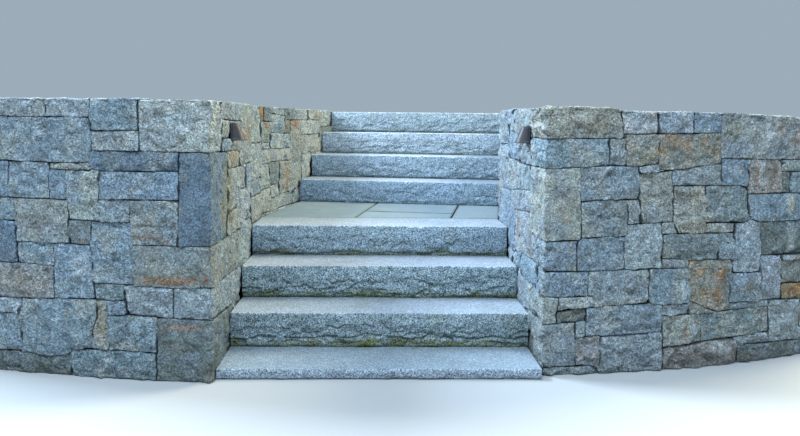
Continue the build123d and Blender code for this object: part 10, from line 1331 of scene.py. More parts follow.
    ("buffgrey", [-2897, 907, -2847, 906, -2843, 907, -2842, 909, -2840, 923, -2842, 957, -2837, 1023, -2838, 1091, -2839, 1095, -2841, 1096, -2929, 1097, -2933, 1096, -2935, 1094, -2936, 997, -2939, 985, -2939, 947, -2941, 937, -2940, 911, -2939, 909, -2935, 908]),
    ("bluegrey", [-1927, 905, -1913, 903, -1903, 905, -1879, 904, -1871, 906, -1868, 909, -1868, 985, -1870, 995, -1870, 1021, -1873, 1039, -1875, 1041, -1925, 1041, -1931, 1039, -1931, 971, -1929, 959, -1928, 939, -1929, 929]),
    ("light", [2003, 895, 2055, 894, 2067, 896, 2177, 895, 2243, 899, 2247, 901, 2250, 913, 2249, 987, 2247, 989, 2241, 989, 2211, 989, 2201, 988, 2071, 988, 2057, 990, 1989, 992, 1986, 989, 1986, 971, 1984, 963, 1984, 899, 1987, 896]),
    ("darkblue", [3570, 903, 3667, 902, 3669, 905, 3671, 921, 3670, 943, 3669, 945, 3663, 947, 3567, 946, 3563, 931, 3563, 909, 3565, 904]),
    ("buffgrey", [4054, 901, 4061, 899, 4125, 901, 4187, 900, 4257, 902, 4259, 907, 4258, 963, 4256, 973, 4257, 1011, 4255, 1021, 4255, 1047, 4253, 1049, 4249, 1049, 4175, 1048, 4159, 1051, 4111, 1052, 4057, 1049, 4054, 1025]),
    ("grey", [4479, 901, 4481, 900, 4539, 901, 4541, 907, 4540, 943, 4535, 945, 4479, 945, 4477, 941, 4476, 919]),
    ("bluegrey", [4549, 901, 4573, 901, 4587, 903, 4669, 902, 4681, 904, 4769, 905, 4783, 903, 4857, 901, 4867, 899, 4885, 900, 4887, 907, 4887, 1045, 4883, 1048, 4849, 1048, 4793, 1046, 4551, 1046, 4548, 1043, 4546, 1027, 4546, 907]),
    ("bluegrey", [5529, 899, 5575, 897, 5587, 900, 5609, 900, 5707, 902, 5717, 904, 5745, 906, 5747, 909, 5747, 919, 5745, 929, 5745, 987, 5737, 1065, 5736, 1083, 5733, 1101, 5727, 1102, 5523, 1103, 5466, 1101, 5464, 1097, 5466, 1085, 5465, 1037, 5466, 1027, 5468, 985, 5470, 975, 5470, 905, 5473, 901, 5477, 900, 5515, 901]),
    ("grey", [6461, 897, 6541, 896, 6603, 897, 6609, 898, 6611, 905, 6611, 995, 6595, 997, 6543, 996, 6533, 998, 6465, 998, 6457, 997, 6456, 991, 6456, 949, 6458, 937, 6459, 901]),
    ("buffgrey", [1518, 911, 1589, 912, 1599, 911, 1631, 913, 1634, 917, 1636, 923, 1638, 973, 1639, 981, 1638, 995, 1633, 997, 1547, 997, 1533, 999, 1503, 1000, 1472, 999, 1470, 991, 1470, 929, 1463, 917, 1463, 915, 1469, 912]),
    ("blue", [1354, 869, 1357, 867, 1363, 870, 1383, 886, 1405, 909, 1415, 915, 1421, 917, 1453, 917, 1459, 920, 1467, 929, 1467, 957, 1461, 959, 1343, 959, 1341, 957, 1339, 943, 1339, 909, 1346, 885]),
    ("darkblue", [-3120, 955, -3117, 953, -3109, 953, -3099, 955, -3065, 955, -3051, 957, -2945, 956, -2943, 957, -2942, 961, -2942, 987, -2941, 995, -2943, 998, -2947, 999, -3049, 1000, -3057, 999, -3095, 998, -3117, 995, -3120, 993, -3121, 989]),
    ("browngrey", [-2546, 951, -2537, 950, -2498, 951, -2461, 956, -2460, 971, -2462, 993, -2460, 1045, -2462, 1049, -2483, 1050, -2493, 1048, -2543, 1047, -2547, 1045, -2548, 959]),
    ("bluegrey", [-2019, 949, -1951, 948, -1933, 951, -1932, 959, -1933, 967, -1934, 1005, -1936, 1013, -1937, 1033, -1940, 1039, -1945, 1041, -1985, 1041, -1991, 1046, -1999, 1056, -2007, 1060, -2021, 1047, -2023, 1043, -2021, 1001, -2022, 955]),
    ("buffgrey", [1923, 947, 1973, 946, 1979, 949, 1989, 1077, 1989, 1089, 1987, 1094, 1953, 1096, 1853, 1094, 1821, 1095, 1803, 1097, 1727, 1096, 1721, 1095, 1716, 1031, 1714, 1023, 1711, 953, 1717, 952, 1763, 953, 1771, 951, 1847, 950, 1859, 948]),
    ("grey", [3615, 951, 3649, 950, 3665, 950, 3669, 951, 3669, 1031, 3667, 1037, 3615, 1037, 3614, 1025]),
    ("blue", [4477, 951, 4540, 951, 4542, 957, 4541, 995, 4535, 996, 4481, 994, 4477, 979, 4476, 955]),
    ("bluegrey", [5445, 953, 5461, 953, 5465, 955, 5464, 995, 5461, 999, 5447, 1001, 5417, 1001, 5407, 1003, 5337, 1005, 5325, 1007, 5285, 1007, 5281, 1003, 5281, 965, 5285, 961, 5301, 959, 5337, 958, 5347, 956, 5439, 954]),
    ("buffgrey", [6321, 949, 6401, 951, 6447, 950, 6451, 951, 6453, 959, 6452, 1023, 6450, 1035, 6450, 1093, 6449, 1099, 6427, 1103, 6387, 1104, 6339, 1103, 6319, 1101, 6315, 1099, 6315, 1079, 6317, 1069, 6321, 1003, 6320, 955]),
    ("grey", [1342, 963, 1347, 961, 1403, 963, 1461, 961, 1466, 963, 1466, 1141, 1465, 1149, 1463, 1151, 1419, 1152, 1409, 1151, 1377, 1151, 1372, 1149, 1372, 1131, 1374, 1121, 1375, 1097, 1375, 1059, 1373, 1054, 1346, 1025, 1343, 1003]),
    ("bluegrey", [-3311, 993, -3305, 992, -3261, 992, -3171, 1000, -3061, 1001, -3049, 1003, -3013, 1005, -2945, 1005, -2941, 1007, -2940, 1045, -2938, 1057, -2937, 1093, -2939, 1155, -2941, 1167, -2942, 1239, -2944, 1247, -2943, 1273, -2945, 1283, -2947, 1479, -2949, 1486, -2963, 1488, -2995, 1496, -3005, 1496, -3019, 1492, -3059, 1470, -3067, 1467, -3079, 1467, -3085, 1468, -3097, 1473, -3139, 1510, -3157, 1519, -3179, 1518, -3207, 1510, -3227, 1511, -3263, 1521, -3277, 1522, -3291, 1518, -3310, 1505, -3311, 1499, -3313, 1263, -3312, 1189, -3313, 1019]),
    ("grey", [1698, 1001, 1709, 1001, 1711, 1004, 1713, 1033, 1712, 1059, 1713, 1069, 1714, 1169, 1704, 1277, 1700, 1477, 1699, 1478, 1697, 1478, 1685, 1469, 1669, 1460, 1661, 1458, 1641, 1457, 1631, 1460, 1595, 1479, 1581, 1484, 1567, 1485, 1531, 1480, 1511, 1480, 1495, 1484, 1471, 1497, 1467, 1497, 1465, 1295, 1466, 1239, 1468, 1227, 1468, 1177, 1470, 1167, 1471, 1005, 1477, 1003, 1535, 1004, 1547, 1002]),
    ("browngrey", [2010, 993, 2163, 991, 2199, 992, 2211, 994, 2257, 995, 2265, 996, 2301, 996, 2321, 999, 2320, 1071, 2323, 1143, 2322, 1203, 2324, 1217, 2325, 1261, 2323, 1473, 2293, 1473, 2279, 1477, 2251, 1493, 2220, 1515, 2207, 1520, 2197, 1520, 2178, 1515, 2143, 1495, 2127, 1489, 2111, 1486, 2071, 1493, 2045, 1494, 2025, 1487, 1997, 1473, 1995, 1155, 1993, 1145, 1993, 1111, 1991, 1101, 1985, 1001, 1986, 997, 1989, 995]),
    ("bluegrey", [4413, 1001, 4423, 999, 4489, 1002, 4537, 1000, 4542, 1003, 4542, 1031, 4544, 1039, 4544, 1083, 4546, 1093, 4546, 1131, 4548, 1143, 4548, 1183, 4550, 1193, 4549, 1261, 4551, 1275, 4552, 1317, 4551, 1467, 4549, 1471, 4533, 1474, 4499, 1484, 4479, 1483, 4441, 1474, 4417, 1474, 4401, 1481, 4367, 1504, 4355, 1509, 4343, 1513, 4329, 1513, 4319, 1509, 4285, 1490, 4263, 1480, 4260, 1477, 4261, 1255, 4258, 1231, 4257, 1145, 4258, 1073, 4260, 1063, 4260, 1025, 4263, 1009, 4263, 1007, 4267, 1005, 4293, 1004, 4301, 1003, 4359, 1003]),
    ("buffgrey", [4991, 1005, 5035, 1004, 5047, 1006, 5083, 1006, 5093, 1008, 5096, 1011, 5094, 1139, 5098, 1359, 5097, 1501, 5097, 1506, 5095, 1508, 5083, 1505, 5057, 1493, 5043, 1490, 5029, 1488, 4997, 1493, 4993, 1491, 4991, 1431, 4993, 1311, 4991, 1261, 4989, 1249, 4990, 1135, 4989, 1099, 4987, 1087, 4989, 1009]),
    ("buff", [5456, 1001, 5461, 1001, 5464, 1003, 5466, 1015, 5462, 1085, 5458, 1101, 5383, 1104, 5285, 1102, 5279, 1100, 5279, 1021, 5283, 1010, 5327, 1009, 5337, 1007, 5369, 1007, 5379, 1005, 5447, 1003]),
    ("light", [5872, 1003, 5889, 1003, 5891, 1007, 5891, 1027, 5889, 1037, 5889, 1073, 5887, 1093, 5885, 1096, 5843, 1099, 5833, 1101, 5783, 1101, 5773, 1103, 5743, 1102, 5739, 1100, 5743, 1021, 5747, 1007, 5849, 1006]),
    ("light", [6018, 995, 6055, 994, 6059, 997, 6059, 1075, 6061, 1087, 6063, 1165, 6065, 1175, 6064, 1195, 6061, 1197, 6043, 1197, 6021, 1195, 5961, 1193, 5893, 1195, 5891, 1189, 5891, 1133, 5892, 1123, 5892, 1085, 5894, 1075, 5894, 1039, 5897, 1002, 5903, 1000, 6011, 996]),
    ("buffgrey", [6068, 995, 6135, 995, 6145, 996, 6175, 996, 6177, 1001, 6177, 1027, 6179, 1037, 6177, 1093, 6171, 1095, 6163, 1093, 6119, 1093, 6109, 1091, 6069, 1090, 6065, 1071, 6065, 1001, 6065, 997]),
    ("lightblue", [6182, 995, 6239, 997, 6259, 1001, 6309, 1003, 6312, 1007, 6314, 1067, 6312, 1099, 6307, 1101, 6267, 1101, 6255, 1099, 6217, 1098, 6209, 1096, 6184, 1095, 6182, 1091, 6181, 1037, 6179, 1025, 6179, 999]),
    ("bluegrey", [6457, 1003, 6469, 1002, 6520, 1003, 6522, 1009, 6521, 1046, 6519, 1047, 6503, 1049, 6456, 1049, 6454, 1047, 6454, 1037]),
    ("darkblue", [6541, 1001, 6585, 999, 6611, 1001, 6612, 1011, 6611, 1091, 6611, 1095, 6609, 1097, 6541, 1098, 6531, 1100, 6527, 1098, 6526, 1007, 6529, 1003]),
    ("bluegrey", [-2548, 1053, -2495, 1052, -2465, 1053, -2460, 1055, -2458, 1097, -2460, 1145, -2461, 1149, -2485, 1151, -2495, 1149, -2543, 1149, -2549, 1147, -2550, 1059]),
    ("bluegrey", [2328, 1051, 2335, 1049, 2347, 1051, 2387, 1050, 2397, 1051, 2483, 1052, 2493, 1054, 2513, 1055, 2561, 1054, 2575, 1052, 2651, 1052, 2657, 1053, 2659, 1069, 2661, 1072, 2666, 1075, 2667, 1081, 2666, 1189, 2664, 1201, 2664, 1265, 2662, 1277, 2662, 1307, 2663, 1385, 2662, 1503, 2661, 1510, 2645, 1510, 2609, 1501, 2585, 1500, 2543, 1512, 2521, 1512, 2508, 1507, 2493, 1498, 2471, 1478, 2449, 1463, 2431, 1457, 2421, 1457, 2411, 1459, 2363, 1477, 2335, 1477, 2329, 1474, 2328, 1469, 2327, 1265, 2328, 1215, 2326, 1205, 2325, 1145]),
    ("lightblue", [3935, 1051, 3971, 1051, 3983, 1053, 4095, 1053, 4107, 1055, 4161, 1057, 4173, 1055, 4235, 1054, 4255, 1055, 4254, 1233, 4256, 1245, 4255, 1381, 4257, 1469, 4255, 1478, 4227, 1479, 4207, 1483, 4183, 1482, 4167, 1477, 4133, 1460, 4113, 1456, 4091, 1464, 4039, 1506, 4023, 1512, 3934, 1423, 3932, 1417, 3931, 1321, 3931, 1233, 3933, 1223, 3933, 1171, 3932, 1161, 3932, 1119, 3929, 1109, 3927, 1075, 3927, 1053]),
    ("bluegrey", [4550, 1051, 4589, 1050, 4781, 1052, 4783, 1057, 4784, 1143, 4777, 1145, 4621, 1142, 4554, 1147, 4550, 1131, 4550, 1093, 4549, 1083, 4548, 1057]),
    ("buff", [4792, 1051, 4821, 1050, 4829, 1052, 4858, 1053, 4860, 1059, 4859, 1095, 4855, 1097, 4841, 1097, 4829, 1095, 4791, 1094, 4789, 1089, 4789, 1055]),
    ("light", [4865, 1053, 4875, 1052, 4903, 1053, 4913, 1055, 4969, 1055, 4981, 1057, 4983, 1059, 4987, 1101, 4986, 1251, 4988, 1263, 4987, 1331, 4989, 1447, 4988, 1491, 4985, 1495, 4973, 1497, 4955, 1493, 4943, 1488, 4911, 1469, 4895, 1464, 4879, 1463, 4869, 1465, 4867, 1463, 4866, 1321, 4864, 1271, 4862, 1259, 4866, 1177, 4864, 1061]),
    ("light", [5100, 1059, 5105, 1058, 5121, 1057, 5164, 1061, 5166, 1077, 5163, 1103, 5147, 1105, 5099, 1103, 5098, 1099, 5098, 1069]),
    ("darkblue", [5172, 1061, 5273, 1061, 5274, 1063, 5274, 1099, 5269, 1102, 5171, 1104, 5168, 1101, 5168, 1095, 5170, 1065]),
    ("bluegrey", [6510, 1053, 6519, 1053, 6522, 1057, 6523, 1177, 6521, 1191, 6520, 1259, 6519, 1269, 6519, 1331, 6517, 1433, 6518, 1519, 6517, 1525, 6513, 1526, 6500, 1523, 6479, 1511, 6453, 1489, 6451, 1481, 6453, 1377, 6452, 1165, 6454, 1153, 6454, 1057, 6459, 1054, 6503, 1054]),
    ("bluegrey", [1344, 1033, 1347, 1033, 1352, 1037, 1369, 1059, 1369, 1095, 1367, 1099, 1329, 1098, 1325, 1097, 1324, 1095, 1324, 1057]),
    ("rustbuff", [2671, 1075, 2781, 1074, 2782, 1079, 2782, 1091, 2780, 1103, 2779, 1143, 2771, 1145, 2673, 1147, 2671, 1141, 2670, 1081]),
    ("pink", [2789, 1073, 2869, 1076, 2941, 1074, 2991, 1077, 2994, 1137, 2992, 1209, 2994, 1277, 2996, 1289, 2997, 1493, 2996, 1517, 2991, 1521, 2973, 1526, 2961, 1524, 2907, 1503, 2877, 1501, 2857, 1504, 2831, 1504, 2805, 1493, 2787, 1481, 2783, 1477, 2784, 1433, 2780, 1261, 2782, 1217, 2784, 1207, 2784, 1191, 2784, 1103, 2785, 1077]),
    ("darkblue", [-2934, 1101, -2929, 1099, -2819, 1100, -2817, 1105, -2817, 1127, -2820, 1147, -2823, 1149, -2839, 1149, -2881, 1148, -2893, 1145, -2931, 1145, -2934, 1141]),
    ("buff", [-2813, 1101, -2775, 1099, -2593, 1100, -2557, 1103, -2555, 1105, -2554, 1109, -2555, 1195, -2557, 1197, -2563, 1198, -2683, 1198, -2711, 1200, -2815, 1199, -2818, 1195, -2816, 1187, -2816, 1141]),
    ("buff", [-2454, 1103, -2423, 1106, -2295, 1108, -2293, 1109, -2291, 1113, -2291, 1139, -2292, 1199, -2294, 1213, -2294, 1309, -2296, 1407, -2323, 1437, -2361, 1473, -2365, 1474, -2381, 1470, -2397, 1473, -2435, 1497, -2449, 1504, -2451, 1503, -2452, 1499, -2453, 1453, -2452, 1373, -2453, 1265, -2454, 1255, -2454, 1197, -2456, 1185, -2457, 1109, -2457, 1105]),
    ("bluegrey", [1327, 1103, 1347, 1103, 1365, 1105, 1369, 1107, 1370, 1119, 1368, 1127, 1368, 1145, 1367, 1150, 1351, 1150, 1329, 1148, 1325, 1146, 1324, 1109]),
    ("buff", [1776, 1103, 1797, 1103, 1801, 1106, 1805, 1143, 1803, 1155, 1803, 1189, 1801, 1194, 1795, 1196, 1719, 1195, 1717, 1192, 1717, 1183, 1719, 1173, 1721, 1105, 1727, 1104]),
    ("light", [1962, 1097, 1987, 1098, 1991, 1111, 1993, 1253, 1991, 1471, 1989, 1472, 1981, 1471, 1969, 1473, 1957, 1478, 1943, 1486, 1905, 1515, 1883, 1522, 1877, 1523, 1859, 1519, 1827, 1509, 1815, 1508, 1797, 1508, 1795, 1507, 1794, 1501, 1797, 1283, 1804, 1189, 1806, 1105, 1809, 1103, 1821, 1100, 1909, 1101, 1953, 1099]),
    ("buff", [4790, 1103, 4795, 1101, 4825, 1101, 4835, 1103, 4855, 1103, 4858, 1105, 4858, 1191, 4861, 1261, 4863, 1273, 4861, 1467, 4858, 1471, 4817, 1501, 4795, 1509, 4793, 1509, 4792, 1505, 4790, 1441, 4791, 1287, 4790, 1275, 4787, 1153]),
    ("grey", [5353, 1105, 5387, 1104, 5391, 1105, 5393, 1107, 5390, 1195, 5389, 1199, 5387, 1200, 5249, 1195, 5223, 1198, 5191, 1198, 5183, 1199, 5157, 1199, 5113, 1203, 5101, 1203, 5098, 1201, 5098, 1115, 5099, 1111, 5101, 1109, 5227, 1108, 5239, 1106]),
    ("bluegrey", [5397, 1105, 5475, 1106, 5479, 1108, 5480, 1159, 5480, 1197, 5478, 1203, 5449, 1203, 5395, 1199, 5393, 1133, 5394, 1109]),
    ("bluegrey", [5782, 1103, 5787, 1105, 5787, 1109, 5785, 1119, 5785, 1159, 5783, 1169, 5782, 1195, 5779, 1199, 5705, 1202, 5695, 1204, 5661, 1205, 5645, 1207, 5491, 1206, 5487, 1205, 5485, 1203, 5484, 1115, 5485, 1109, 5487, 1107, 5705, 1107, 5773, 1105]),
    ("buffgrey", [5839, 1101, 5885, 1102, 5887, 1103, 5885, 1194, 5881, 1196, 5847, 1196, 5835, 1198, 5787, 1198, 5785, 1193, 5784, 1169, 5786, 1159, 5786, 1119, 5789, 1104, 5795, 1102]),
    ("bluegrey", [6068, 1099, 6073, 1097, 6105, 1097, 6115, 1099, 6159, 1099, 6169, 1101, 6205, 1101, 6217, 1102, 6329, 1103, 6339, 1105, 6447, 1105, 6449, 1107, 6449, 1113, 6449, 1151, 6447, 1165, 6447, 1373, 6448, 1473, 6447, 1483, 6431, 1477, 6417, 1475, 6393, 1480, 6363, 1492, 6345, 1495, 6295, 1484, 6287, 1484, 6265, 1490, 6219, 1516, 6211, 1519, 6199, 1519, 6187, 1517, 6177, 1512, 6147, 1490, 6125, 1479, 6113, 1476, 6087, 1477, 6075, 1479, 6068, 1477, 6067, 1447, 6069, 1371, 6070, 1273, 6068, 1175, 6066, 1163]),
    ("browngrey", [6536, 1103, 6543, 1102, 6611, 1103, 6612, 1109, 6613, 1147, 6612, 1189, 6610, 1195, 6569, 1199, 6529, 1199, 6524, 1197, 6526, 1107, 6527, 1105]),
    ("light", [-2932, 1153, -2925, 1151, -2895, 1151, -2883, 1153, -2827, 1152, -2822, 1153, -2820, 1155, -2823, 1255, -2825, 1265, -2827, 1351, -2826, 1437, -2828, 1479, -2832, 1485, -2851, 1501, -2867, 1511, -2877, 1514, -2891, 1511, -2923, 1494, -2937, 1488, -2940, 1485, -2943, 1287, -2940, 1273, -2940, 1249, -2938, 1241, -2937, 1215, -2935, 1207, -2935, 1167]),
    ("blue", [-2525, 1151, -2497, 1151, -2487, 1153, -2465, 1154, -2461, 1155, -2460, 1157, -2458, 1255, -2456, 1267, -2457, 1373, -2455, 1445, -2456, 1503, -2457, 1506, -2461, 1508, -2475, 1507, -2511, 1500, -2529, 1502, -2541, 1506, -2544, 1505, -2545, 1503, -2545, 1445, -2548, 1371, -2546, 1283, -2548, 1271, -2550, 1157, -2549, 1153, -2547, 1152]),
    ("grey", [-1898, 1145, -1873, 1143, -1869, 1147, -1870, 1253, -1868, 1265, -1868, 1301, -1869, 1397, -1872, 1403, -1893, 1425, -1939, 1468, -1941, 1463, -1943, 1361, -1941, 1217, -1943, 1149, -1939, 1145]),
    ("browngrey", [1325, 1153, 1339, 1152, 1351, 1153, 1407, 1154, 1419, 1156, 1463, 1157, 1465, 1159, 1465, 1165, 1463, 1175, 1462, 1223, 1457, 1225, 1435, 1225, 1425, 1223, 1389, 1223, 1381, 1221, 1326, 1221, 1324, 1213, 1324, 1159]),
    ("light", [2715, 1151, 2749, 1150, 2777, 1151, 2779, 1155, 2779, 1193, 2775, 1195, 2749, 1198, 2672, 1197, 2670, 1193, 2671, 1155, 2675, 1153, 2707, 1153]),
    ("bluegrey", [4623, 1149, 4692, 1149, 4694, 1153, 4694, 1179, 4695, 1187, 4693, 1191, 4619, 1193, 4609, 1196, 4577, 1196, 4565, 1198, 4554, 1197, 4551, 1181, 4551, 1157, 4553, 1152, 4565, 1150, 4611, 1151]),
    ("buffgrey", [4703, 1149, 4779, 1147, 4783, 1148, 4784, 1151, 4782, 1277, 4784, 1289, 4786, 1439, 4784, 1505, 4784, 1509, 4781, 1510, 4773, 1511, 4751, 1507, 4723, 1507, 4705, 1511, 4703, 1509, 4700, 1437, 4701, 1191, 4699, 1157, 4699, 1151]),
    ("blue", [-2817, 1205, -2765, 1204, -2756, 1205, -2757, 1249, -2759, 1261, -2757, 1329, -2760, 1465, -2763, 1467, -2783, 1463, -2791, 1463, -2807, 1468, -2819, 1474, -2821, 1469, -2822, 1443, -2823, 1267]),
    ("buffgrey", [-2691, 1203, -2673, 1202, -2671, 1203, -2670, 1207, -2671, 1373, -2669, 1461, -2673, 1465, -2689, 1465, -2721, 1473, -2733, 1475, -2747, 1473, -2751, 1471, -2753, 1465, -2753, 1407, -2756, 1323, -2753, 1261, -2752, 1253, -2752, 1209, -2750, 1205, -2747, 1204]),
    ("bluegrey", [-2665, 1203, -2559, 1202, -2555, 1203, -2553, 1209, -2553, 1273, -2550, 1285, -2549, 1365, -2551, 1447, -2551, 1507, -2555, 1513, -2571, 1520, -2589, 1520, -2599, 1517, -2617, 1504, -2641, 1481, -2665, 1466, -2667, 1463, -2665, 1377, -2666, 1265, -2666, 1209]),
    ("blue", [1717, 1201, 1795, 1200, 1799, 1200, 1800, 1203, 1798, 1235, 1790, 1279, 1790, 1297, 1794, 1505, 1791, 1509, 1781, 1512, 1767, 1513, 1755, 1513, 1739, 1509, 1713, 1491, 1707, 1483, 1705, 1277, 1715, 1205]),
    ("light", [2755, 1201, 2777, 1200, 2780, 1205, 2778, 1215, 2780, 1279, 2777, 1471, 2775, 1474, 2759, 1470, 2743, 1470, 2735, 1473, 2713, 1484, 2687, 1502, 2669, 1509, 2667, 1508, 2666, 1503, 2665, 1385, 2669, 1205, 2671, 1203, 2675, 1202]),
    ("light", [3508, 1187, 3547, 1186, 3552, 1187, 3553, 1189, 3552, 1199, 3553, 1245, 3551, 1255, 3549, 1317, 3549, 1451, 3549, 1455, 3547, 1456, 3497, 1407, 3494, 1401, 3494, 1245, 3496, 1233, 3496, 1193, 3497, 1189]),
    ("grey", [4683, 1197, 4693, 1197, 4695, 1203, 4697, 1433, 4694, 1511, 4693, 1515, 4683, 1520, 4659, 1525, 4639, 1520, 4625, 1511, 4583, 1479, 4569, 1472, 4559, 1471, 4557, 1469, 4557, 1273, 4555, 1261, 4554, 1207, 4555, 1203, 4557, 1202, 4577, 1200, 4661, 1199]),
    ("darkblue", [5237, 1201, 5323, 1199, 5333, 1201, 5369, 1202, 5389, 1206, 5392, 1309, 5392, 1461, 5391, 1501, 5389, 1502, 5382, 1497, 5359, 1480, 5339, 1472, 5317, 1472, 5287, 1478, 5273, 1478, 5259, 1475, 5229, 1464, 5205, 1460, 5187, 1464, 5177, 1469, 5141, 1497, 5128, 1505, 5117, 1510, 5107, 1510, 5104, 1509, 5102, 1361, 5103, 1269, 5101, 1257, 5101, 1211, 5105, 1209, 5151, 1207, 5161, 1205, 5185, 1205, 5195, 1203, 5227, 1203]),
    ("grey", [5395, 1205, 5403, 1204, 5413, 1206, 5473, 1208, 5483, 1210, 5527, 1210, 5537, 1213, 5565, 1213, 5569, 1215, 5572, 1239, 5573, 1273, 5574, 1281, 5575, 1441, 5574, 1497, 5572, 1503, 5557, 1504, 5517, 1499, 5491, 1506, 5455, 1524, 5443, 1527, 5427, 1526, 5417, 1523, 5397, 1509, 5396, 1503, 5395, 1465, 5396, 1251, 5394, 1239, 5394, 1211]),
    ("lightbuff", [5844, 1201, 5929, 1201, 5933, 1202, 5934, 1205, 5936, 1267, 5935, 1369, 5937, 1469, 5935, 1476, 5921, 1489, 5901, 1503, 5881, 1510, 5869, 1509, 5829, 1501, 5805, 1501, 5763, 1512, 5741, 1512, 5719, 1502, 5681, 1476, 5661, 1470, 5651, 1470, 5639, 1473, 5595, 1497, 5581, 1501, 5579, 1499, 5578, 1493, 5579, 1317, 5578, 1281, 5576, 1269, 5575, 1215, 5578, 1213, 5599, 1210, 5651, 1209, 5661, 1207, 5697, 1208, 5705, 1206, 5737, 1206, 5747, 1204, 5781, 1204, 5791, 1202, 5837, 1202]),
    ("blue", [5976, 1199, 6021, 1197, 6029, 1199, 6059, 1199, 6063, 1200, 6064, 1203, 6063, 1357, 6065, 1467, 6064, 1477, 6061, 1480, 6037, 1476, 5997, 1457, 5985, 1454, 5973, 1454, 5961, 1459, 5943, 1469, 5941, 1470, 5940, 1467, 5941, 1371, 5940, 1265, 5941, 1205, 5942, 1201, 5945, 1200]),
    ("rustbuff", [6575, 1201, 6581, 1200, 6607, 1201, 6609, 1201, 6611, 1205, 6613, 1373, 6612, 1445, 6613, 1503, 6609, 1506, 6589, 1503, 6575, 1505, 6561, 1510, 6532, 1523, 6525, 1524, 6523, 1523, 6522, 1517, 6523, 1429, 6521, 1327, 6521, 1271, 6524, 1259, 6523, 1205, 6525, 1202, 6529, 1201]),
    ("grey", [1370, 1227, 1423, 1228, 1431, 1230, 1457, 1230, 1462, 1233, 1462, 1499, 1461, 1503, 1458, 1505, 1445, 1512, 1435, 1514, 1423, 1514, 1407, 1508, 1373, 1484, 1369, 1479, 1367, 1323, 1368, 1231]),
    ("blue", [3001, 1253, 3127, 1251, 3132, 1253, 3133, 1261, 3130, 1373, 3132, 1475, 3123, 1477, 3087, 1468, 3071, 1468, 3049, 1477, 3037, 1486, 3015, 1505, 3003, 1513, 3001, 1513, 3000, 1511, 2999, 1501, 3001, 1333, 3000, 1287, 2998, 1269, 2999, 1257]),
]
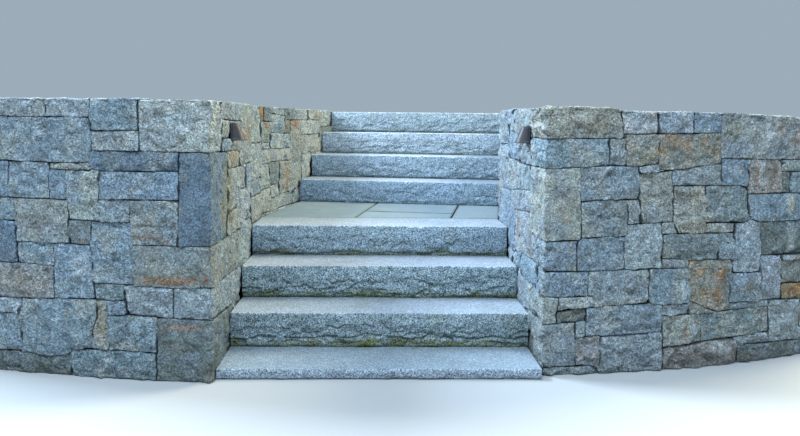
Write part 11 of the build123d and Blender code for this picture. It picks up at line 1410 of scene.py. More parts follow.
REAR_STONES = [
    ("light", [2, 1, 73, 3, 145, 2, 147, 7, 148, 91, 145, 93, 133, 93, 43, 92, 27, 92, 17, 94, 3, 93, 1, 53, 0, 7]),
    ("darkblue", [164, 1, 433, 2, 436, 5, 437, 13, 434, 91, 429, 93, 319, 91, 307, 93, 237, 95, 155, 92, 152, 89, 149, 75, 149, 5, 153, 1]),
    ("browngrey", [443, 3, 487, 4, 563, 1, 743, 2, 745, 4, 746, 9, 747, 91, 743, 94, 627, 94, 599, 92, 441, 92, 439, 91, 438, 87, 438, 43, 440, 33, 440, 7]),
    ("buffgrey", [832, 1, 863, 1, 867, 3, 866, 93, 859, 95, 755, 95, 753, 91, 749, 69, 750, 3, 757, 1]),
    ("buff", [870, 3, 879, 1, 985, 3, 987, 7, 987, 93, 983, 94, 967, 95, 876, 93, 874, 89, 873, 65, 871, 55]),
    ("pink", [994, 3, 1021, 2, 1085, 3, 1225, 3, 1227, 5, 1227, 9, 1226, 55, 1227, 93, 1225, 95, 1221, 96, 1183, 95, 1171, 93, 995, 93, 993, 89, 994, 55, 993, 7]),
    ("buffgrey", [1235, 3, 1535, 3, 1538, 7, 1536, 55, 1537, 97, 1535, 99, 1531, 100, 1378, 101, 1363, 101, 1353, 99, 1283, 98, 1273, 96, 1235, 95, 1233, 91, 1234, 55, 1233, 7]),
    ("blue", [30, 97, 79, 96, 83, 98, 86, 123, 86, 151, 88, 161, 87, 188, 59, 187, 7, 189, 2, 187, 3, 101, 7, 99]),
    ("buffgrey", [89, 97, 95, 96, 131, 95, 266, 99, 268, 103, 271, 173, 273, 183, 273, 227, 274, 239, 273, 247, 267, 248, 235, 248, 191, 243, 105, 240, 97, 238, 94, 213, 93, 189, 92, 181, 90, 123, 88, 111]),
    ("buffgrey", [277, 99, 309, 99, 321, 97, 335, 98, 337, 101, 338, 143, 336, 145, 331, 145, 276, 145, 274, 141, 273, 105, 273, 101]),
    ("buffgrey", [347, 97, 413, 96, 419, 97, 422, 123, 422, 147, 421, 189, 419, 195, 391, 195, 381, 197, 349, 198, 345, 196, 345, 143, 343, 131, 343, 103, 344, 99]),
    ("bluegrey", [425, 97, 479, 95, 613, 97, 615, 101, 615, 151, 617, 167, 617, 193, 613, 195, 601, 196, 547, 195, 523, 193, 503, 195, 429, 195, 427, 193, 426, 187, 426, 123, 424, 111]),
    ("buffgrey", [622, 99, 703, 98, 801, 103, 804, 131, 805, 185, 807, 195, 805, 244, 801, 246, 777, 247, 769, 249, 739, 250, 675, 247, 627, 247, 625, 243, 622, 217, 623, 165, 621, 155, 620, 105]),
    ("bluegrey", [921, 99, 949, 98, 953, 99, 954, 101, 955, 183, 953, 193, 945, 197, 925, 197, 875, 196, 865, 197, 819, 196, 815, 194, 812, 181, 812, 129, 810, 109, 812, 103, 891, 102]),
    ("buffgrey", [961, 97, 1135, 98, 1143, 99, 1145, 137, 1143, 147, 1143, 187, 1141, 194, 1137, 197, 1131, 197, 1117, 195, 1035, 192, 959, 194, 957, 187, 957, 105, 958, 99]),
    ("bluegrey", [1150, 99, 1169, 98, 1183, 100, 1269, 99, 1283, 101, 1537, 104, 1539, 109, 1539, 137, 1539, 287, 1537, 335, 1523, 339, 1497, 339, 1487, 341, 1425, 344, 1319, 355, 1229, 354, 1219, 352, 1161, 350, 1145, 347, 1144, 339, 1143, 197, 1145, 187, 1148, 103]),
    ("browngrey", [277, 151, 331, 151, 338, 153, 340, 201, 342, 211, 342, 253, 344, 263, 344, 295, 342, 299, 287, 298, 283, 298, 280, 295, 278, 237, 276, 225, 275, 181, 274, 173, 274, 155]),
    ("blue", [2, 193, 7, 191, 79, 192, 89, 195, 92, 223, 94, 291, 96, 301, 95, 335, 93, 339, 43, 339, 31, 337, 7, 339, 3, 337, 2, 293]),
    ("bluegrey", [513, 199, 609, 200, 617, 202, 620, 229, 621, 295, 626, 337, 624, 347, 533, 349, 477, 348, 467, 349, 361, 351, 353, 351, 350, 349, 347, 261, 345, 249, 345, 203, 351, 202, 385, 202, 395, 200, 505, 200]),
    ("browngrey", [950, 199, 953, 200, 954, 207, 953, 287, 951, 293, 891, 294, 879, 296, 827, 295, 817, 297, 813, 295, 815, 209, 817, 205, 867, 203, 891, 200]),
    ("bluegrey", [959, 199, 963, 198, 1031, 200, 1115, 197, 1139, 200, 1141, 207, 1139, 295, 1135, 296, 1109, 296, 1099, 294, 1055, 294, 1045, 292, 960, 291, 958, 283]),
    ("light", [96, 243, 129, 243, 137, 245, 197, 250, 269, 252, 273, 253, 273, 295, 275, 307, 277, 359, 276, 443, 275, 447, 229, 448, 219, 446, 141, 448, 107, 448, 101, 446, 100, 419, 102, 361, 100, 351, 100, 299, 98, 289, 97, 257, 95, 247]),
    ("blue", [627, 253, 721, 252, 733, 254, 771, 255, 781, 253, 805, 255, 807, 259, 808, 301, 807, 345, 801, 346, 713, 347, 701, 349, 681, 349, 641, 349, 631, 347, 628, 325, 626, 267, 624, 259]),
    ("buffgrey", [285, 305, 341, 304, 344, 305, 346, 309, 347, 355, 349, 367, 348, 433, 350, 445, 349, 493, 345, 497, 303, 499, 283, 497, 279, 493, 281, 313, 282, 307]),
    ("buffgrey", [886, 299, 947, 298, 953, 300, 951, 387, 945, 389, 907, 391, 869, 391, 859, 392, 815, 390, 813, 383, 813, 304, 827, 300]),
    ("light", [963, 297, 1043, 297, 1053, 299, 1095, 299, 1105, 300, 1138, 301, 1140, 307, 1141, 397, 1123, 398, 1089, 393, 1067, 393, 1059, 391, 1027, 391, 1019, 390, 959, 387, 957, 327, 959, 301]),
    ("bluegrey", [13, 343, 89, 345, 93, 345, 95, 347, 98, 363, 99, 439, 97, 451, 96, 495, 94, 503, 90, 593, 88, 601, 85, 604, 9, 604, 5, 603, 3, 601, 1, 537, 3, 351, 5, 345]),
    ("pink", [475, 353, 543, 352, 563, 353, 567, 355, 569, 403, 571, 413, 571, 443, 573, 453, 571, 493, 565, 496, 525, 498, 358, 495, 356, 491, 355, 443, 352, 431, 351, 355, 363, 354, 435, 356, 467, 355]),
    ("bluegrey", [707, 351, 801, 351, 806, 353, 806, 407, 804, 421, 807, 538, 801, 540, 713, 538, 699, 541, 653, 545, 615, 542, 605, 543, 583, 542, 581, 537, 579, 451, 577, 439, 577, 409, 573, 369, 574, 355, 579, 353]),
    ("grey", [1423, 349, 1427, 348, 1430, 351, 1430, 375, 1428, 387, 1424, 491, 1421, 497, 1375, 502, 1329, 503, 1321, 505, 1219, 506, 1155, 501, 1151, 499, 1149, 487, 1148, 443, 1145, 431, 1145, 387, 1144, 375, 1145, 353, 1151, 352, 1227, 358, 1321, 357, 1331, 356, 1377, 354]),
    ("bluegrey", [1529, 341, 1536, 341, 1538, 345, 1539, 413, 1538, 437, 1533, 438, 1501, 438, 1449, 443, 1433, 443, 1431, 435, 1433, 425, 1432, 387, 1435, 351, 1447, 347, 1471, 344]),
    ("buffgrey", [867, 395, 895, 393, 963, 396, 1017, 394, 1025, 396, 1055, 397, 1065, 398, 1137, 402, 1141, 403, 1142, 407, 1143, 435, 1144, 443, 1143, 487, 1145, 499, 1145, 547, 1147, 557, 1147, 597, 1141, 600, 1103, 600, 1091, 598, 1053, 597, 1043, 595, 1001, 593, 963, 595, 953, 593, 907, 591, 897, 590, 837, 590, 812, 589, 810, 583, 808, 529, 811, 421, 814, 401, 815, 399, 819, 398]),
    ("buffgrey", [104, 449, 173, 448, 217, 450, 229, 453, 275, 453, 276, 459, 277, 501, 275, 511, 273, 545, 231, 546, 221, 548, 163, 548, 155, 550, 99, 549, 97, 543, 100, 497, 99, 453, 101, 450]),
    ("bluegrey", [1498, 443, 1533, 441, 1538, 443, 1536, 485, 1537, 541, 1495, 542, 1451, 546, 1427, 546, 1426, 513, 1428, 505, 1428, 473, 1431, 451, 1439, 448]),
    ("bluegrey", [280, 501, 291, 499, 303, 501, 365, 504, 449, 503, 451, 507, 452, 533, 451, 645, 447, 646, 401, 644, 277, 645, 275, 585, 277, 573, 278, 513]),
    ("buffgrey", [461, 503, 529, 502, 570, 505, 572, 511, 572, 593, 567, 595, 523, 596, 511, 598, 459, 597, 457, 591, 456, 531, 457, 507]),
    ("light", [1403, 503, 1421, 502, 1423, 505, 1422, 547, 1420, 557, 1420, 617, 1417, 633, 1417, 657, 1419, 665, 1420, 691, 1419, 698, 1411, 698, 1399, 696, 1357, 695, 1227, 697, 1215, 699, 1165, 698, 1157, 699, 1153, 697, 1151, 657, 1152, 555, 1150, 541, 1151, 511, 1153, 507, 1171, 506, 1179, 508, 1207, 508, 1217, 510, 1319, 511]),
    ("rustbuff", [228, 551, 267, 550, 274, 551, 275, 573, 273, 593, 271, 597, 245, 598, 237, 600, 195, 599, 185, 601, 151, 600, 143, 601, 109, 601, 97, 603, 93, 601, 95, 571, 97, 559, 101, 556, 155, 554, 167, 552]),
    ("lightblue", [660, 545, 705, 546, 709, 549, 711, 603, 709, 639, 707, 651, 707, 693, 701, 694, 641, 695, 577, 694, 576, 683, 578, 669, 579, 589, 581, 554, 585, 552, 609, 552, 619, 549]),
    ("bluegrey", [768, 541, 803, 540, 808, 543, 805, 641, 785, 642, 717, 640, 715, 635, 713, 601, 716, 547, 719, 545, 757, 544]),
    ("blue", [1493, 547, 1533, 546, 1537, 547, 1538, 549, 1539, 691, 1538, 749, 1537, 754, 1535, 754, 1507, 754, 1449, 750, 1429, 748, 1426, 745, 1423, 715, 1424, 665, 1422, 653, 1424, 555, 1427, 552, 1433, 550]),
    ("bluegrey", [246, 599, 269, 599, 273, 603, 272, 635, 269, 657, 269, 791, 267, 797, 213, 800, 205, 801, 179, 802, 171, 803, 143, 804, 135, 806, 101, 806, 89, 808, 9, 807, 4, 805, 1, 665, 2, 615, 5, 609, 57, 608, 101, 609, 145, 607, 153, 605, 185, 603, 195, 601, 237, 601]),
    ("grey", [521, 599, 567, 600, 573, 602, 574, 667, 572, 693, 563, 697, 457, 696, 455, 691, 455, 669, 457, 603, 463, 601, 513, 601]),
    ("buffgrey", [812, 595, 851, 594, 897, 595, 907, 597, 953, 595, 961, 597, 999, 599, 1011, 601, 1043, 602, 1051, 603, 1091, 602, 1099, 603, 1145, 605, 1148, 609, 1149, 653, 1147, 709, 1145, 719, 1145, 745, 1143, 747, 1135, 749, 1057, 752, 1045, 754, 985, 754, 957, 754, 945, 752, 895, 750, 885, 748, 845, 749, 813, 746, 811, 741, 810, 659, 811, 599]),
    ("rustbuff", [276, 651, 451, 650, 453, 657, 453, 793, 447, 795, 276, 797, 274, 791, 273, 731, 274, 655]),
    ("blue", [718, 647, 791, 645, 803, 646, 806, 647, 806, 743, 804, 747, 789, 747, 779, 745, 717, 747, 712, 745, 710, 719, 713, 652, 715, 648]),
    ("bluegrey", [567, 699, 575, 697, 617, 697, 701, 698, 707, 699, 709, 725, 707, 783, 708, 839, 707, 845, 647, 845, 635, 843, 495, 844, 483, 842, 465, 844, 459, 843, 458, 757, 456, 747, 456, 707, 457, 701]),
    ("bluegrey", [1227, 699, 1399, 700, 1419, 702, 1421, 705, 1423, 725, 1422, 749, 1425, 796, 1417, 798, 1379, 794, 1243, 791, 1149, 799, 1147, 795, 1147, 769, 1150, 755, 1151, 721, 1153, 707, 1155, 705, 1165, 702, 1217, 701]),
    ("buffgrey", [713, 751, 831, 753, 841, 755, 881, 756, 893, 758, 943, 756, 953, 758, 1003, 758, 1006, 761, 1006, 777, 1004, 795, 1003, 849, 1001, 852, 995, 853, 929, 853, 917, 851, 845, 851, 835, 849, 783, 849, 773, 847, 717, 848, 713, 846, 712, 841, 712, 755]),
    ("pink", [1142, 753, 1146, 755, 1145, 791, 1143, 803, 1142, 833, 1139, 843, 1138, 943, 1135, 945, 1109, 946, 1099, 948, 1009, 949, 1007, 947, 1006, 943, 1007, 873, 1008, 859, 1008, 795, 1010, 759, 1015, 758, 1047, 758, 1057, 756, 1097, 756, 1107, 754]),
    ("bluegrey", [1431, 753, 1533, 759, 1536, 761, 1537, 765, 1537, 804, 1533, 806, 1521, 806, 1513, 804, 1441, 800, 1433, 797, 1431, 795, 1429, 773, 1429, 757]),
    ("light", [22, 813, 67, 813, 69, 843, 68, 855, 63, 857, 15, 856, 6, 853, 4, 847, 5, 815]),
    ("buffgrey", [245, 803, 252, 803, 254, 807, 254, 837, 256, 851, 255, 946, 251, 947, 199, 950, 187, 953, 93, 954, 83, 956, 77, 954, 76, 919, 74, 909, 74, 843, 72, 829, 72, 815, 73, 812, 101, 809, 137, 810, 145, 808, 173, 808, 181, 806]),
    ("buffgrey", [345, 799, 351, 797, 373, 797, 453, 799, 454, 803, 454, 829, 453, 889, 449, 891, 429, 892, 421, 893, 359, 892, 341, 893, 331, 895, 287, 897, 279, 898, 262, 897, 260, 891, 259, 805, 263, 803, 281, 803, 289, 801]),
    ("grey", [1234, 797, 1341, 796, 1385, 800, 1431, 802, 1443, 805, 1447, 839, 1447, 865, 1449, 875, 1447, 899, 1429, 900, 1421, 899, 1363, 896, 1353, 894, 1313, 893, 1301, 891, 1253, 891, 1235, 894, 1181, 894, 1173, 896, 1147, 894, 1145, 889, 1145, 845, 1146, 835, 1146, 803, 1163, 799, 1227, 798]),
    ("bluegrey", [1449, 805, 1457, 804, 1489, 808, 1533, 810, 1537, 813, 1538, 1029, 1538, 1043, 1535, 1046, 1517, 1048, 1497, 1048, 1457, 1048, 1451, 1045, 1453, 1025, 1451, 959, 1451, 893, 1447, 829]),
    ("buff", [6, 865, 63, 863, 68, 865, 69, 913, 71, 925, 71, 951, 69, 954, 17, 953, 5, 949, 5, 873]),
    ("buff", [462, 847, 483, 845, 493, 847, 547, 849, 549, 855, 549, 892, 545, 893, 537, 892, 459, 891, 458, 885, 457, 851, 459, 848]),
    ("lightbuff", [556, 851, 565, 849, 633, 850, 645, 852, 709, 850, 719, 852, 771, 853, 791, 855, 795, 857, 797, 899, 795, 965, 797, 1025, 795, 1035, 793, 1109, 791, 1113, 655, 1115, 545, 1114, 539, 1111, 539, 1089, 547, 1013, 553, 919, 555, 911]),
    ("blue", [802, 855, 831, 854, 843, 856, 1001, 859, 1003, 861, 1002, 961, 1004, 971, 1005, 1045, 991, 1048, 803, 1049, 797, 1047, 796, 1035, 798, 1025, 801, 965, 799, 887, 800, 859]),
    ("darkblue", [430, 897, 535, 897, 547, 900, 549, 907, 547, 917, 547, 943, 543, 989, 541, 992, 511, 994, 501, 992, 445, 992, 437, 993, 337, 994, 323, 996, 263, 997, 260, 973, 261, 909, 263, 903, 291, 899, 381, 900, 423, 899]),
    ("light", [1189, 897, 1207, 897, 1210, 899, 1213, 915, 1211, 942, 1185, 945, 1147, 944, 1145, 939, 1145, 903, 1149, 901, 1173, 900]),
    ("blue", [1216, 897, 1299, 897, 1304, 899, 1306, 957, 1308, 969, 1307, 995, 1227, 997, 1218, 995, 1216, 983, 1215, 917, 1213, 903, 1213, 899]),
    ("blue", [1324, 899, 1387, 900, 1395, 901, 1443, 903, 1447, 905, 1449, 969, 1447, 1033, 1443, 1046, 1335, 1048, 1315, 1048, 1311, 1046, 1313, 967, 1311, 955, 1312, 903, 1315, 899]),
    ("grey", [196, 955, 233, 955, 249, 953, 254, 955, 258, 1005, 257, 1099, 258, 1109, 257, 1112, 169, 1115, 11, 1114, 5, 1113, 3, 1111, 2, 1053, 6, 963, 85, 961, 95, 959, 145, 959, 155, 956]),
    ("rustbuff", [1015, 953, 1063, 952, 1094, 953, 1098, 989, 1098, 995, 1093, 997, 1053, 997, 1043, 998, 1011, 997, 1009, 993, 1008, 969, 1006, 959, 1008, 955]),
    ("bluegrey", [1195, 949, 1209, 949, 1211, 953, 1212, 983, 1214, 997, 1214, 1037, 1215, 1045, 1213, 1087, 1215, 1110, 1211, 1112, 1155, 1114, 1109, 1113, 1106, 1091, 1106, 1063, 1101, 1017, 1101, 955, 1111, 951, 1183, 951]),
    ("bluegrey", [269, 1001, 279, 1000, 324, 1001, 326, 1005, 325, 1021, 323, 1043, 317, 1045, 263, 1045, 261, 1039, 262, 1005, 263, 1002]),
    ("blue", [442, 997, 451, 996, 497, 995, 509, 998, 537, 998, 541, 1001, 541, 1011, 538, 1039, 533, 1113, 527, 1114, 375, 1115, 329, 1113, 328, 1107, 327, 1069, 328, 1033, 330, 1023, 330, 1003, 332, 999, 337, 998, 409, 999]),
    ("grey", [1048, 1001, 1079, 999, 1097, 1001, 1101, 1027, 1102, 1091, 1104, 1103, 1103, 1113, 1031, 1114, 1013, 1113, 1010, 1097, 1010, 1005, 1013, 1003]),
    ("blue", [1218, 1001, 1225, 999, 1301, 1000, 1307, 1001, 1308, 1031, 1306, 1043, 1306, 1107, 1305, 1113, 1231, 1113, 1225, 1111, 1223, 1095, 1221, 1045, 1218, 1031]),
    ("buffgrey", [263, 1051, 267, 1050, 317, 1050, 323, 1052, 324, 1085, 323, 1113, 317, 1114, 271, 1113, 265, 1111, 263, 1097]),
    ("lightblue", [1001, 1051, 1005, 1052, 1006, 1057, 1006, 1101, 1008, 1109, 1005, 1113, 809, 1114, 801, 1113, 799, 1111, 797, 1057, 798, 1053, 801, 1051, 961, 1053, 993, 1053]),
    ("buffgrey", [1311, 1053, 1335, 1052, 1453, 1053, 1455, 1055, 1456, 1059, 1455, 1109, 1453, 1113, 1447, 1114, 1373, 1115, 1313, 1113, 1311, 1112, 1310, 1107, 1310, 1059]),
    ("bluegrey", [1522, 1051, 1533, 1050, 1538, 1053, 1538, 1109, 1537, 1114, 1501, 1115, 1460, 1113, 1461, 1054, 1467, 1052]),
]

# ---- single stains, and painted shade in pits and slits where the tone is dark: (tone, strength, s, u, half width, half height) in mm
LEFT_STAINS_AND_PIT_SHADE = [
    ('rust', 0.85, -193, 470, 174, 23.1),
    ('rust', 0.9, -26, 483, 13.8, 18.4),
    ('rust', 0.6, -138, 254, 121.7, 20.9),
    ('rust', 0.5, -296, 665, 80.8, 18.4),
    ('rust', 0.35, -286, 702, 47.4, 11.5),
    ('rust', 0.6, -211, 644, 32.9, 11.5),
    ('rust', 0.8, -194, 1152, 7.4, 7.2),
    ('rust', 0.4, -457, 890, 9.7, 6.9),
    ('buff', 0.45, -533, 247, 30, 103.3),
    ('pale', 0.4, -630, 533, 55.9, 70.1),
    ('pale', 0.3, -850, 1123, 26.7, 74.4),
    ('brown', 0.25, -631, 896, 45.5, 32.4),
    ('buff', 0.35, -696, 986, 46.2, 11.1),
    ('buff', 0.25, -743, 1244, 46.5, 18.4),
    # the two dark entries are painted shade in a pit and in a slit
    ('dark', 0.6, -455, 586, 19.6, 11.1),
    ('dark', 0.85, -824, 139, 48.4, 6.7),
    ('brown', 0.25, -171, 156, 65.9, 37.2),
    ('buff', 0.3, -426, 1101, 67.6, 22.8),
    ('brown', 0.25, -890, 724, 119.6, 42.5),
    ('brown', 0.25, -949, 460, 133.4, 57.3),
    ('rust', 0.55, 915, 1129, 130.7, 51.6),
    ('buff', 0.25, 899, 1220, 97.1, 34.2),
    ('buff', 0.25, 1219, 1192, 112.4, 55.2),
    ('rust', 0.9, 1508, 1253, 66.9, 45.6),
    ('rust', 0.5, 1563, 1172, 94.6, 33),
    ('rust', 0.5, 2072, 1163, 59.2, 43.7),
    ('rust', 0.95, 2274, 1189, 132.5, 30.2),
    ('rust', 0.8, 2024, 801, 43.8, 109),
    ('rust', 0.35, 2812, 1253, 95.3, 24.7),
    ('rust', 0.4, 2976, 1231, 53.5, 50.8),
    ('brown', 0.4, 598, 1072, 112, 18.1),
    ('rust', 0.4, 516, 1015, 53.7, 36.5),
    ('olive', 0.75, 372, 836, 175, 221.8),
    ('brown', 0.5, 449, 798, 39, 175.1),
    ('brown', 0.4, 275, 791, 28.4, 147.5),
]
RIGHT_STAINS = [
    ('brown', 0.45, -242, 1203, 109.9, 42.6),
    ('greenbuff', 0.25, -45, 1196, 38.8, 47),
    ('rust', 0.35, -427, 1120, 41.5, 23.9),
    ('buff', 0.3, -523, 1074, 47.8, 28.9),
    ('brown', 0.6, -629, 1113, 54.5, 43.6),
    ('rust', 0.5, -728, 1123, 44.8, 39),
    ('brown', 0.4, -831, 1104, 69.3, 29.5),
    ('rust', 0.4, -1303, 1220, 41.2, 51),
    ('greenbuff', 0.45, -1018, 1198, 55.3, 64.7),
    ('pale', 0.45, -1210, 1185, 19.8, 76),
    ('rust', 0.4, -1404, 1171, 43.1, 61.9),
    ('pale', 0.5, -1180, 977, 19.6, 71.2),
    ('rust', 0.45, -1149, 956, 16.2, 55.8),
    ('brown', 0.4, -1259, 989, 60.8, 61.4),
    ('palebuff', 0.8, -1379, 820, 32.1, 57.3),
    ('pale', 0.45, -1395, 643, 36, 78.7),
    ('rust', 0.85, -951, 461, 24.2, 60.8),
    ('rust', 0.85, -924, 375, 27.1, 45.6),
    ('rust', 0.35, -859, 373, 35.3, 35.3),
    ('buff', 0.3, -832, 486, 52.4, 45.1),
    ('rust', 0.6, -1410, 362, 72.8, 26.5),
    ('rust', 0.4, -750, 191, 22.8, 55.3),
    ('brown', 0.35, -659, 227, 27.8, 39.9),
    ('brown', 0.35, -749, 865, 62.2, 44.3),
    ('pale', 0.5, -966, 84, 67.4, 35.9),
    ('brown', 0.5, -1145, 26, 78.5, 26.1),
    ('brown', 0.25, -102, 846, 49.1, 133.2),
    ('buff', 0.4, -137, 612, 19.8, 43.2),
    ('buff', 0.45, -135, 289, 64.7, 19.4),
    ('buff', 0.2, -419, 867, 46.8, 48.2),
    ('rust', 0.5, 652, 620, 64.3, 72.4),
    ('rust', 0.4, 869, 915, 64.5, 41),
    ('buff', 0.35, 1100, 1165, 49.9, 55.5),
]


# ---------------------------------------------------------------- materials
def material(name, roughness):
    m = bpy.data.materials.new(name)
    m.use_nodes = True
    nt = m.node_tree
    b = nt.nodes["Principled BSDF"]
    b.inputs["Roughness"].default_value = roughness
    return m, nt, b


def node(nt, kind, **given):
    n = nt.nodes.new(kind)
    for k, v in given.items():
        if k in n.inputs:
            n.inputs[k].default_value = v
        else:
            setattr(n, k, v)
    return n


def attribute(nt, name):
    return node(nt, "ShaderNodeAttribute", attribute_name=name)


def noise_node(nt, vector, scale, detail=2.0, rough=0.5, distortion=0.0):
    n = node(nt, "ShaderNodeTexNoise", Scale=scale, Detail=detail, Roughness=rough, Distortion=distortion)
    nt.links.new(vector, n.inputs["Vector"])
    return n.outputs["Fac"]


def spread(nt, value, lo, hi, a, b):
    n = node(nt, "ShaderNodeMapRange")
    for k, v in zip((1, 2, 3, 4), (lo, hi, a, b)):
        n.inputs[k].default_value = v
    nt.links.new(value, n.inputs[0])
    return n.outputs[0]


def maths(nt, op, a, b):
    n = node(nt, "ShaderNodeMath", operation=op)
    for i, v in enumerate((a, b)):
        if isinstance(v, (int, float)):
            n.inputs[i].default_value = v
        else:
            nt.links.new(v, n.inputs[i])
    return n.outputs[0]


def mix(nt, kind, fac, a, b):
    n = node(nt, "ShaderNodeMix", data_type="RGBA", blend_type=kind)
    if isinstance(fac, (int, float)):
        n.inputs[0].default_value = fac
    else:
        nt.links.new(fac, n.inputs[0])
    for i, v in ((6, a), (7, b)):
        if isinstance(v, tuple):
            n.inputs[i].default_value = (*v[:3], 1)
        else:
            nt.links.new(v, n.inputs[i])
    return n.outputs[2]


def scaled(nt, colour, value):
    """A colour times a number that varies over the surface."""
    n = node(nt, "ShaderNodeVectorMath", operation="SCALE")
    nt.links.new(colour, n.inputs[0])
    nt.links.new(value, n.inputs["Scale"])
    return n.outputs[0]


def bumps(nt, bsdf, layers):
    """layers: (height, strength, distance) from broad to fine."""
    last = None
    for h, strength, dist in layers:
        n = node(nt, "ShaderNodeBump", Strength=strength, Distance=dist)
        nt.links.new(h, n.inputs["Height"])
        if last is not None:
            nt.links.new(last, n.inputs["Normal"])
        last = n.outputs["Normal"]
    nt.links.new(last, bsdf.inputs["Normal"])


def stone_material():
    m, nt, b = material("fieldstone", 0.9)
    g = attribute(nt, "grain").outputs["Vector"]
    tint = attribute(nt, "tint").outputs["Color"]
    broad = noise_node(nt, g, 26, 4, 0.6)
    mid = noise_node(nt, g, 100, 2, 0.6)
    fine = noise_node(nt, g, 270, 2, 0.6)
    pits = node(nt, "ShaderNodeTexVoronoi", Scale=70.0, feature="F1")
    nt.links.new(g, pits.inputs["Vector"])
    cells = node(nt, "ShaderNodeTexVoronoi", Scale=250.0, feature="F1")
    nt.links.new(g, cells.inputs["Vector"])
    bw = node(nt, "ShaderNodeRGBToBW")
    nt.links.new(cells.outputs["Color"], bw.inputs[0])
    v = maths(nt, "MULTIPLY", spread(nt, broad, 0.3, 0.7, 0.94, 1.22), spread(nt, mid, 0.28, 0.72, 0.84, 1.18))
    grains = node(nt, "ShaderNodeTexVoronoi", Scale=128.0, feature="F1")
    nt.links.new(g, grains.inputs["Vector"])
    bw2 = node(nt, "ShaderNodeRGBToBW")
    nt.links.new(grains.outputs["Color"], bw2.inputs[0])
    v = maths(nt, "MULTIPLY", v, spread(nt, fine, 0.3, 0.7, 0.80, 1.20))
    v = maths(nt, "MULTIPLY", v, spread(nt, bw2.outputs[0], 0.1, 0.9, 0.70, 1.30))
    v = maths(nt, "MULTIPLY", v, spread(nt, bw.outputs[0], 0.1, 0.9, 0.50, 1.54))
    # stones rubbed smooth by passing feet show their specks less
    calm = attribute(nt, "wear").outputs["Fac"]
    v = maths(nt, "ADD", maths(nt, "MULTIPLY", maths(nt, "SUBTRACT", v, 1.02), calm), 1.02)
    c = scaled(nt, tint, v)
    # dark mica flecks and a thin warm bloom
    fleck = spread(nt, noise_node(nt, g, 520, 1, 0.5), 0.66, 0.72, 0.0, 0.45)
    c = mix(nt, "MIX", fleck, c, tuple(srgb(60, 66, 72)))
    warm = spread(nt, noise_node(nt, g, 30, 4, 0.6), 0.56, 0.76, 0.0, 0.22)
    c = mix(nt, "MIX", warm, c, tuple(srgb(150, 138, 116)))
    nt.links.new(c, b.inputs["Base Color"])
    nt.links.new(spread(nt, mid, 0.3, 0.7, 0.80, 0.96), b.inputs["Roughness"])
    b.inputs["Specular IOR Level"].default_value = 0.3
    bumps(nt, b, [(noise_node(nt, g, 40, 3, 0.6), 1.0, 0.026), (pits.outputs["Distance"], 1.0, 0.006), (mid, 1.0, 0.009), (fine, 0.9, 0.0020)])
    return m


def granite_material(name, specks, level):
    """Salt-and-pepper granite over the tint that the mesh carries."""
    m, nt, b = material(name, 0.85)
    g = attribute(nt, "grain").outputs["Vector"]
    tint = attribute(nt, "tint").outputs["Color"]
    broad = noise_node(nt, g, 14, 4, 0.6)
    mid = noise_node(nt, g, 70, 3, 0.65)
    cells = node(nt, "ShaderNodeTexVoronoi", Scale=specks, feature="F1")
    nt.links.new(g, cells.inputs["Vector"])
    bw = node(nt, "ShaderNodeRGBToBW")
    nt.links.new(cells.outputs["Color"], bw.inputs[0])
    small = node(nt, "ShaderNodeTexVoronoi", Scale=specks * 2.3, feature="F1")
    nt.links.new(g, small.inputs["Vector"])
    bw2 = node(nt, "ShaderNodeRGBToBW")
    nt.links.new(small.outputs["Color"], bw2.inputs[0])
    rough = attribute(nt, "wear").outputs["Fac"]
    v = maths(nt, "MULTIPLY", spread(nt, broad, 0.3, 0.7, 0.93, 1.07), spread(nt, mid, 0.28, 0.72, 0.88, 1.12))
    v = maths(nt, "MULTIPLY", v, spread(nt, bw.outputs[0], 0.05, 0.95, 1 - level, 1 + level))
    v = maths(nt, "MULTIPLY", v, spread(nt, bw2.outputs[0], 0.05, 0.95, 1 - level * 0.8, 1 + level * 0.8))
    # sawn treads are quieter than the broken fronts
    v = maths(nt, "ADD", maths(nt, "MULTIPLY", maths(nt, "SUBTRACT", v, 1.0), attribute(nt, "edge").outputs["Fac"]), 1.0)
    c = scaled(nt, tint, v)
    dark = spread(nt, noise_node(nt, g, specks * 1.2, 1, 0.5), 0.64, 0.70, 0.0, 0.5)
    c = mix(nt, "MIX", dark, c, tuple(srgb(66, 72, 80)))
    nt.links.new(c, b.inputs["Base Color"])
    nt.links.new(spread(nt, mid, 0.3, 0.7, 0.72, 0.92), b.inputs["Roughness"])
    b.inputs["Specular IOR Level"].default_value = 0.35
    layers = []
    for h, dist in ((noise_node(nt, g, 60, 3, 0.6), 0.007), (noise_node(nt, g, 130, 2, 0.6), 0.0036), (noise_node(nt, g, 260, 2, 0.6), 0.0016)):
        layers.append((maths(nt, "MULTIPLY", h, rough), 0.9, dist))
    bumps(nt, b, layers)
    return m


def core_material():
    m, nt, b = material("packed_joint", 0.97)
    tc = node(nt, "ShaderNodeTexCoord").outputs["Object"]
    n1, n2 = noise_node(nt, tc, 40, 4, 0.65), noise_node(nt, tc, 260, 2, 0.6)
    c = mix(nt, "MIX", spread(nt, n1, 0.35, 0.65, 0, 1), tuple(srgb(52, 50, 46)), tuple(srgb(88, 84, 76)))
    c = scaled(nt, c, spread(nt, n2, 0.3, 0.7, 0.75, 1.25))
    nt.links.new(c, b.inputs["Base Color"])
    bumps(nt, b, [(n1, 0.9, 0.012), (n2, 0.8, 0.003)])
    return m


